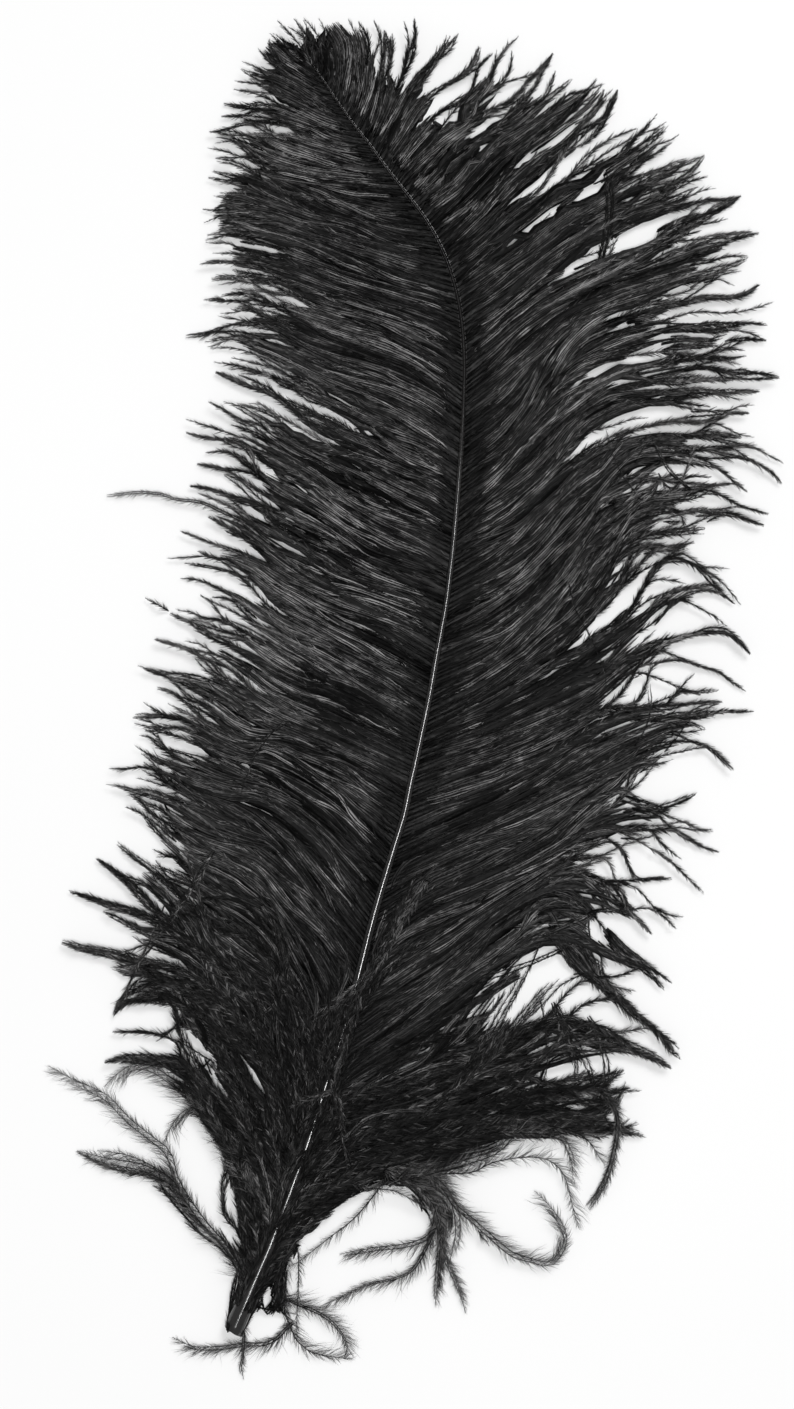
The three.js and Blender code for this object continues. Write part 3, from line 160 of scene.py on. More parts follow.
LEFT_TUFTS = [  # distance from the tip where the tuft leaves the shaft, then x, y from the shaft to the tuft's tip
    (4.4, -47.2, 282.8, -50, 283.8, -52.6, 285.4, -55, 287.3, -57.2, 289.4, -59.4, 291.5, -61.5, 293.7),
    (11.7, -43.3, 276.5, -47.5, 278.2, -51.1, 280.9, -54.6, 283.8, -57.8, 286.6, -60.9, 289.4, -63.7, 292),
    (15.8, -41.2, 273.1, -45.9, 275, -50.2, 277.8, -54.3, 280.7, -58.2, 283.6, -62, 286.3, -65.5, 288.9),
    (20.6, -38.5, 269.1, -44, 271.1, -49.1, 274, -54.1, 277, -59, 279.9, -63.9, 282.5, -68.6, 285.4),
    (26, -35.5, 264.6, -42.3, 266.1, -48.9, 268.6, -55.5, 271.3, -62.2, 274.1, -69, 276.9, -76, 279.6),
    (31.7, -32.4, 259.9, -40.1, 261.9, -47.3, 265.1, -54.6, 268.4, -62, 271.4, -69.7, 273.9, -77.4, 276.6),
    (37.5, -29.2, 255, -37.6, 257.3, -45.6, 260.7, -53.5, 264.2, -61.6, 267.4, -70.1, 269.5, -78.7, 271.3),
    (43.4, -25.6, 250.3, -34.9, 252.1, -43.7, 255.9, -52.3, 260, -61, 263.6, -70.1, 266, -79.1, 267.8),
    (49.6, -21.7, 245.5, -32.3, 247.9, -42.5, 251.6, -52.6, 255.7, -62.9, 258.8, -73.5, 260.2, -84, 261.6),
    (56.2, -17.8, 240.2, -29.4, 242.6, -40.5, 247, -51.6, 251.2, -62.9, 253.9, -74.1, 255.2, -85.3, 255.9),
    (63.2, -13.7, 234.5, -26.7, 234.9, -39.4, 237.4, -52, 240.7, -64.3, 244.9, -77.2, 247.9, -90.6, 249.3),
    (70.6, -9.5, 228.4, -22.7, 228.7, -35.8, 230.3, -48.9, 232.8, -61.7, 236.2, -74.1, 240.9, -87, 244),
    (78.5, -4.5, 222.4, -19.4, 224, -34.2, 226.4, -48.8, 229.8, -63, 234, -76.9, 238.6, -91, 241.8),
    (86.7, 0.7, 216, -15, 219.1, -30.6, 222.2, -45.8, 226.1, -60.8, 230.3, -75.3, 235.1, -89.7, 238.7),
    (95.1, 5.3, 208.9, -10.8, 209.3, -26.5, 212.4, -42.1, 216.5, -56.9, 223.1, -72.2, 229.1, -88.8, 233),
    (103.7, 9.5, 201.5, -7.6, 203.1, -24.2, 207.7, -40.8, 212.3, -56.9, 218.4, -73.2, 224.4, -90.1, 228.6),
    (112.2, 13.3, 194, -4.1, 197.2, -21, 202.7, -37.9, 207.8, -54.8, 212.7, -71.6, 217.9, -88.8, 220.7),
    (120.5, 16.1, 186.1, -2.5, 192.2, -21, 198.4, -39.6, 204.4, -58.2, 210.3, -77.1, 213.3, -96.3, 212.8),
    (128.8, 18.3, 178.1, 0.4, 182.5, -17.6, 187.2, -35.3, 192.9, -53, 199, -71.5, 203.3, -90.6, 204),
    (137, 19.8, 170, 1.4, 176.6, -17.3, 182.5, -35.9, 188.9, -54.5, 194.8, -73.7, 199, -93.2, 200.4),
    (145.1, 20.9, 162, 3.3, 169.9, -14.8, 176.4, -32.9, 182.7, -51, 189, -69.5, 193.4, -88.4, 196),
    (153.4, 21.4, 153.7, 3.8, 164.4, -15.4, 172.2, -34.9, 178.9, -54.4, 185.6, -74.4, 190.3, -95, 191.2),
    (161.8, 21.6, 145.4, 4.4, 155.4, -13.7, 163.6, -32.3, 170.3, -50.8, 177.1, -69.8, 182.3, -89.2, 183.7),
    (170.3, 21.5, 136.9, 3.6, 147.2, -15.1, 155.7, -34.5, 162.4, -54, 169.1, -74, 173.6, -94.5, 174),
    (178.7, 21.3, 128.4, 6.4, 140.6, -10.9, 149.4, -29.8, 155.4, -48.6, 161.4, -67.7, 166.7, -87.5, 168.8),
    (187.1, 20.9, 120.1, 2.8, 132, -17.2, 140.2, -37.7, 147.5, -57.7, 156, -78.9, 160, -100.7, 160),
    (195.3, 20.3, 111.8, 3.9, 124.1, -14.6, 133.3, -33.9, 140.9, -52.8, 149.2, -72.5, 155.8, -93.2, 157.3),
    (203.7, 19.8, 103.5, 3.4, 115.4, -14.3, 125.3, -32.4, 134.5, -50.5, 143.5, -69.3, 151, -89.2, 154.2),
    (212.3, 19.2, 94.9, 2.3, 106.9, -15.6, 116.8, -33.6, 126.3, -51.5, 135.7, -70, 143.7, -89.2, 148.5),
    (221.1, 18.4, 86.2, 1.3, 97.1, -16.6, 106.9, -34.7, 116, -52.1, 126.4, -69.6, 136.5, -88.4, 143.7),
    (229.9, 17.7, 77.4, -0, 86.8, -18.1, 95.6, -36.4, 104.2, -54.4, 113.3, -72.3, 122.8, -91, 130.5),
    (238.3, 17, 68.9, -2.8, 77.3, -22.5, 86, -41.1, 96.7, -60.1, 107.1, -79.8, 116.3, -100.7, 123),
    (246, 16.1, 61.3, -1.5, 73.3, -21, 82.7, -39.8, 93.4, -59.2, 103.5, -79.3, 112, -100.7, 117.3),
    (252.8, 15.3, 54.6, -3.1, 62.6, -21.4, 71, -38.8, 81.1, -56.1, 91.4, -73.2, 102.1, -92.3, 108.5),
    (258.9, 14.5, 48.5, -4.2, 57.1, -22.6, 66.3, -40.1, 77.3, -58, 87.6, -76.2, 97.3, -95.8, 103.2),
    (264.7, 13.8, 42.8, -5.2, 50.5, -23.8, 59.2, -42.1, 68.7, -60.3, 78.3, -78.8, 87.2, -98.5, 93.1),
    (270.5, 13, 37, -5.5, 45.2, -24.1, 52.6, -41.7, 62.4, -59, 72.8, -76.4, 82.8, -95, 90.4),
    (276.7, 11.8, 31, -11.5, 44.3, -36.1, 54.8, -59.5, 68, -82.9, 81, -108.7, 88.1, -135.4, 89.6),
    (283.4, 10.4, 24.4, -6.3, 37, -25.2, 45.3, -44.2, 53.3, -61.6, 64.6, -78.8, 76, -98, 83),
    (290.8, 9.1, 17.1, -9.4, 27.2, -28.3, 36.4, -46.9, 46.2, -64.9, 57.1, -83.4, 66.6, -102.9, 73.7),
    (299, 7.8, 9.1, -11.1, 19.3, -30.3, 29, -49.3, 39, -67.6, 50.3, -87.1, 59.4, -108.6, 62.3),
    (307.7, 6.2, 0.5, -10.9, 12, -28.8, 22.3, -46.6, 32.5, -64, 43.6, -81.5, 54.4, -101.1, 60.1),
    (316.8, 4.4, -8.4, -12.5, 4.1, -29.9, 15.6, -48.1, 25.6, -65.6, 36.8, -83.3, 47.4, -102.9, 53.5),
    (325.9, 2.4, -17.4, -17.5, -6.2, -37.5, 4.6, -57.8, 14.7, -77.5, 26, -98.3, 35.2, -118.7, 45.1),
    (334.8, 0.5, -26, -18.6, -16.9, -38.7, -9.5, -58.7, -1.6, -77.1, 9.1, -96.1, 19.2, -116.5, 26.2),
    (343.3, -1.4, -34.3, -21.5, -25.7, -41.6, -17, -62.3, -9.3, -81.5, 1.2, -102.1, 9.3, -123.6, 15.2),
    (351.3, -2.9, -42.2, -21.8, -31.7, -41.2, -21.9, -61.7, -14.8, -80.8, -4.8, -99.8, 5.7, -120.5, 12.1),
    (359.5, -4.5, -50.2, -21.2, -38, -38.7, -27.3, -57.8, -20.3, -77.1, -14.7, -94.4, -3.9, -112.6, 5.1),
    (368.5, -7.2, -58.8, -23.2, -43.8, -41, -31.7, -60.5, -23.7, -80.9, -19.3, -99.8, -9.8, -119.2, -1.1),
    (378.8, -10.3, -68.6, -26, -52.1, -43.4, -37.9, -62.8, -27.4, -83.5, -20, -103.7, -11.3, -124.9, -5.9),
    (390.9, -13.8, -80.1, -29.6, -65.5, -45.3, -50.8, -62.9, -38.9, -81.8, -29.9, -101.1, -21.9, -120.9, -15.6),
    (404.7, -17.7, -93.4, -31.1, -75.5, -44.9, -58.1, -62.8, -45.6, -83.4, -39.2, -103.4, -30.5, -122.7, -20.4),
    (420.2, -21.6, -108.4, -36.6, -90.6, -51.3, -72.4, -69.8, -58, -90.6, -46.8, -111.4, -35.5, -134.6, -30.6),
    (437.3, -25.6, -125.1, -39.6, -103.9, -53.7, -83.2, -71.7, -67.2, -92.4, -55.5, -113.3, -44.7, -135.4, -37.2),
    (455.5, -30.6, -142.6, -42.6, -121.8, -56, -102.3, -70.7, -84.3, -89.1, -71.4, -107.8, -59.2, -126.6, -47.7),
    (474, -36.2, -160.2, -44.1, -138.3, -55, -117.7, -70.5, -100.4, -90.7, -88.2, -111.2, -76.6, -130.6, -63.1),
    (491.6, -41.5, -176.9, -54.1, -158.1, -69.2, -140.1, -84.5, -121.6, -98.3, -101.7, -117.6, -85, -139.4, -70.2),
    (507.2, -46.1, -191.8, -57.3, -168.9, -71.6, -147.3, -86.4, -125.8, -102, -104.8, -126.1, -92.7, -152.2, -84.7),
    (520, -50.3, -204, -60.4, -180.4, -73.4, -158.1, -88, -136.7, -103.9, -116.7, -129.3, -111.1, -155.2, -106.2),
    (529.9, -53.7, -213.3, -61, -196, -71.3, -179.7, -83.2, -163.8, -94.5, -147.3, -111, -135.7, -131.9, -139.7),
    (537, -56.1, -219.9, -62.4, -203.1, -72.2, -187.6, -84.8, -173.6, -96.2, -158.4, -112.2, -148.1, -131.9, -145.8),
    (547.4, -59.7, -229.6, -65.1, -211.6, -73.5, -194.7, -85.6, -180.3, -99.7, -167.8, -116.7, -160.1, -135.4, -159),
]
RIGHT_DOWN = [  # the same for the loose strands beside the quill
    (495, -39.2, -180.4, -30.6, -173.2, -21.7, -166.2, -12.1, -160.3, -2.2, -154.9, 7.7, -149.5, 17.5, -143.9),
    (501.6, -41.3, -187.5, -20.8, -175.9, 1.1, -167.3, 23.1, -159, 44.5, -149.2, 65.5, -138.7, 88.8, -135.5),
    (506.9, -42.9, -192.6, -18.2, -176.6, 9.6, -166.8, 36.9, -156, 62.5, -141.4, 91.6, -137.9, 116.7, -153.3),
    (512.2, -44.5, -197.6, -20.7, -180.7, 6.7, -170.2, 33.7, -158.8, 60.5, -146.8, 89.8, -146.5, 116.7, -158.2),
    (517.4, -46.2, -202.7, -23.6, -185.2, 2.8, -174.2, 29.3, -163.5, 56.4, -154.3, 84.9, -153.9, 112.3, -162.1),
    (526.2, -49.1, -211, -28, -198, -3.5, -192.9, 20.8, -187.3, 44.2, -178.7, 68.3, -171.9, 91.6, -163),
    (530.6, -50.5, -215.2, -28.3, -201.4, -2.4, -196.1, 23.3, -190.3, 49.1, -184.4, 75.2, -181.2, 99.5, -170.9),
    (535.9, -52.3, -220.2, -30, -205.6, -4, -198.9, 22, -192.6, 48.1, -186.7, 74.8, -188.2, 101.3, -192),
    (543.8, -54.9, -227.7, -37.6, -215.8, -19, -206, 1.2, -200.3, 22, -197.7, 43, -196.6, 63.9, -199.1),
    (550, -57, -233.5, -44.7, -223.5, -31.6, -214.4, -16.9, -208.5, -1.2, -205.7, 14.7, -205.8, 30.4, -207.9),
    (557, -59.5, -240.2, -51.2, -231.7, -42.9, -223.2, -32.6, -217.4, -21.4, -213.6, -9.5, -212.5, 2.3, -211.4),
    (564.1, -62.2, -246.8, -57.4, -241.4, -52.6, -236, -47.5, -230.9, -41.3, -227.1, -34.8, -224.1, -27.6, -222.8),
    (570.2, -64.5, -252.5, -61.5, -249.3, -58.4, -246.1, -55.4, -242.9, -52.4, -239.7, -48.4, -237.8, -44.4, -236),
    (576.4, -66.8, -258.2, -64.7, -255.3, -62.6, -252.4, -60.4, -249.6, -58.3, -246.7, -54.8, -246.5, -51.4, -247.5),
    (582.6, -69.1, -263.9, -67.3, -261.7, -65.5, -259.6, -63.7, -257.4, -61.5, -255.8, -59.6, -257.8, -57.6, -259.8),
]
LEFT_DOWN = [  # the same for the loose strands beside the quill
    (477.4, -40, -161.8, -45.4, -139.1, -56.2, -118.5, -71.7, -101.1, -91.5, -88.8, -111.7, -77.1, -130.8, -63.7),
    (506, -48.8, -189.7, -58.6, -166.2, -72.7, -145.1, -87, -124.1, -100.3, -102.5, -118.8, -85, -139.4, -70.2),
    (515.7, -52.1, -198.7, -60.3, -173.3, -73.8, -150.2, -87.9, -127.5, -103.3, -105.8, -126.8, -93, -152.2, -84.7),
    (523.6, -54.9, -206.1, -62.1, -181.4, -74.7, -158.8, -88.8, -137.2, -104.8, -117.1, -129.9, -111.2, -155.2, -106.2),
    (539, -60.3, -220.5, -64.2, -200.6, -73.8, -182.6, -84.9, -165.5, -95.6, -148.2, -111.8, -136.3, -131.9, -139.7),
    (544.7, -62.4, -225.8, -65.2, -206.9, -74.5, -190.2, -86.3, -175, -97.2, -159.3, -112.9, -148.4, -131.9, -145.8),
    (550, -64.3, -230.7, -66.4, -212.2, -74.5, -195.4, -86.3, -180.9, -99.9, -168.2, -116.8, -160.3, -135.4, -159),
    (556.2, -66.6, -236.3, -68.6, -228.9, -70.7, -221.5, -73, -214.1, -76.6, -207.3, -80.3, -200.6, -84, -193.8),
    (564.1, -69.9, -243.4, -71.2, -236.9, -72.6, -230.3, -74.4, -223.8, -76.7, -217.4, -79, -211.1, -81.3, -204.8),
    (571.1, -72.8, -249.9, -73.3, -245.1, -73.8, -240.4, -74.5, -235.6, -76.3, -231.2, -78.2, -226.8, -80, -222.4),
    (579, -76, -257.1, -75.5, -253.6, -75, -250.2, -74.4, -246.7, -75.4, -243.3, -76.8, -240.1, -78.2, -236.9),
]
STRANDS = [  # node it stands for, barbule length, barbs in the lock, spread of the lock, height where it leaves and at its tip, then x, y from root to tip
    ('left_high', 1.3, 2, 0.8, 4, 1.5, -67.2, 74.2, -75.2, 78.1, -84.8, 82.5, -94.1, 86.5, -105.1, 87.8, -111.2, 90, -121.4, 90.9, -135.4, 89.6),
    ('left_long', 3, 2, 2.2, 5, 1.5, -67.2, -259.8, -74.3, -253.2, -77.4, -250.1, -82.9, -240.9, -91.9, -231, -98.6, -222, -105.3, -210.8, -108.6, -199.5, -116.5, -192.9, -126.2, -185.4, -133.2, -178, -138.1, -174, -150.8, -168.3, -161.8, -162.1),
    ('left_low', 2.8, 2, 2, 4, 2, -98.9, -221.1, -105.1, -213.2, -109.9, -209.6, -120.9, -204.8, -134.1, -202.6, -148.6, -199.1),
    ('left_low', 2.6, 1, 1.2, 4, 2.5, -100.7, -218.4, -106.8, -210.5, -116.5, -203.9, -127.5, -199.5, -139.4, -197.8),
    ('left_curl', 3.2, 2, 1.6, 6, 3, -67.2, -220.2, -72.5, -211.4, -78.4, -203.9, -84, -193.8, -89.7, -185, -95.2, -180.5, -100.2, -181, -104.2, -184.6, -107.7, -190.3, -109.9, -195.1),
    ('left_arch', 3.2, 2, 2, 6, 3, -72.5, -210.5, -77.8, -200, -84.4, -190.3, -91.4, -181.4, -100.5, -173.3, -107.7, -167, -115.7, -162.1, -122.9, -161.2, -130.1, -165.2, -135.9, -170.6),
    ('quill_left', 2.8, 2, 1.2, 1.6, 1.5, -53.6, -273.9, -57.6, -277.4, -60.4, -280.5, -66, -283.1, -75, -283.3, -86.2, -284.9, -97.4, -284.9, -106.8, -280.9),
    ('quill_end', 1.6, 2, 0.9, 1.6, 1.2, -76.9, -272.1, -75.2, -278.1, -75.6, -289.3, -76.7, -293.7, -75.6, -298.9),
    ('quill_curl', 3.4, 2, 1.2, 3, 2, -58.9, -262.4, -51.4, -265.8, -42.4, -269.7, -35.7, -274.8, -31.2, -281.4, -30.1, -286, -31.2, -288.8),
    ('quill_curl', 3.6, 1, 0.8, 2, 1.5, -57.6, -268.6, -52.5, -280.4, -48.8, -284.4, -44.7, -287.1, -35.7, -288.8, -27.3, -289.7),
    ('quill_drop', 1.4, 1, 0.6, 4, 2, -54.9, -232.5, -51.4, -242.2, -51.2, -251.9, -51.4, -261.1, -51.8, -270.8, -52, -281.4),
    ('quill_drop', 2.6, 2, 1.5, 4, 2, -59.3, -232.5, -57.1, -240, -58.1, -255.7, -57.1, -264.2, -55.4, -272.5),
    ('low_slant', 2, 1, 0.8, 8, 4, -12.2, -207.9, -16.6, -215.3, -26.8, -227.6, -37.9, -236.5, -50.3, -246.2, -55.8, -249.2),
    ('low_arc', 2.2, 1, 0.8, 9, 6, -27.6, -211.8, -20, -214, -8.8, -215.3, 1.4, -220.9, 9.3, -225.5),
    ('low_sweep', 2.6, 2, 1.2, 6, 2, 4, -215.8, 9.3, -224.6, 6.9, -234.3, 2.3, -237.8, -5.4, -240, -17.7, -241.6, -32.9, -244.4),
    ('low_long', 2.8, 2, 1.2, 6, 2, 5.8, -218.4, 9.8, -227.2, 6.9, -236.5, -0.9, -250.1, -9.9, -254.5, -20, -256.7, -30.1, -261.3, -41.3, -266.8),
    ('low_drop', 2.4, 4, 2.2, 8, 2, -13.6, -206.1, -4.3, -209.6, 4.5, -215.8, 10.2, -224.2, 11.4, -238.7, 10.2, -255.7, 9.2, -266.8),
    ('low_drop', 2.4, 2, 1.6, 8, 3, -8.3, -205.2, 0.5, -211.4, 6.7, -218.4, 11.1, -229.9, 12, -242.2, 11.1, -253.2),
    ('low_fork', 2.2, 3, 1.4, 8, 2, -2.1, -211.4, 7.6, -219.3, 11.5, -229.9, 12.4, -242.2, 17.1, -253.4, 19.9, -260.7, 22.5, -269.7),
    ('low_short', 2.6, 2, 1.4, 8, 3, 2.3, -206.1, 11.1, -212.3, 17.1, -222, 18.7, -233.2, 17.1, -242.2, 15.5, -247.5),
    ('hook', 3.2, 2, 1.2, 7, 3, -6.5, -202.6, 4, -206.1, 12, -213.2, 17.7, -222, 24.9, -228.1, 32.1, -234.6, 42.8, -243.5, 51.9, -246.2, 59, -247.9, 64.3, -242.6, 66.1, -236.4, 63.4, -229, 58.1, -222, 52.3, -216.2),
    ('right_droop', 3.4, 1, 1, 8, 3, -6.5, -212.3, 9.6, -208.1, 24.9, -207.2, 33.9, -203, 47.3, -200.8, 56.4, -201.3, 62.6, -204.8, 66.1, -210.3, 68, -217.5, 69.8, -225.5, 72.1, -232.8),
    ('right_droop', 3.4, 2, 1.5, 9, 5, -8.3, -210.5, 6.9, -206.7, 20.3, -203, 33.9, -198.6, 43.6, -192, 54.2, -190.7, 62.6, -192),
    ('right_bend', 3, 2, 1.2, 8, 3, 37.5, -189.4, 50.7, -189.4, 59, -190.3, 65.2, -193.3, 68, -198.6, 69.6, -204.4, 69.8, -211),
    ('right_bend', 2.6, 1, 1, 7, 3, 58.6, -186.8, 69.2, -189.4, 76.5, -194.2, 79.7, -198.6, 83.7, -204.4),
    ('right_tail', 1.6, 3, 1, 7, 3, 81.5, -171.8, 85, -175.3, 88.1, -180.6, 89, -185.9, 88.1, -195.1, 85, -207.4, 79.7, -217.5, 75.2, -222.8),
    ('right_tail', 1.6, 2, 0.9, 7, 3, 84.1, -174.4, 87.2, -178.8, 89, -186.8, 86.8, -200.4, 83.2, -213, 76.5, -224.2),
]
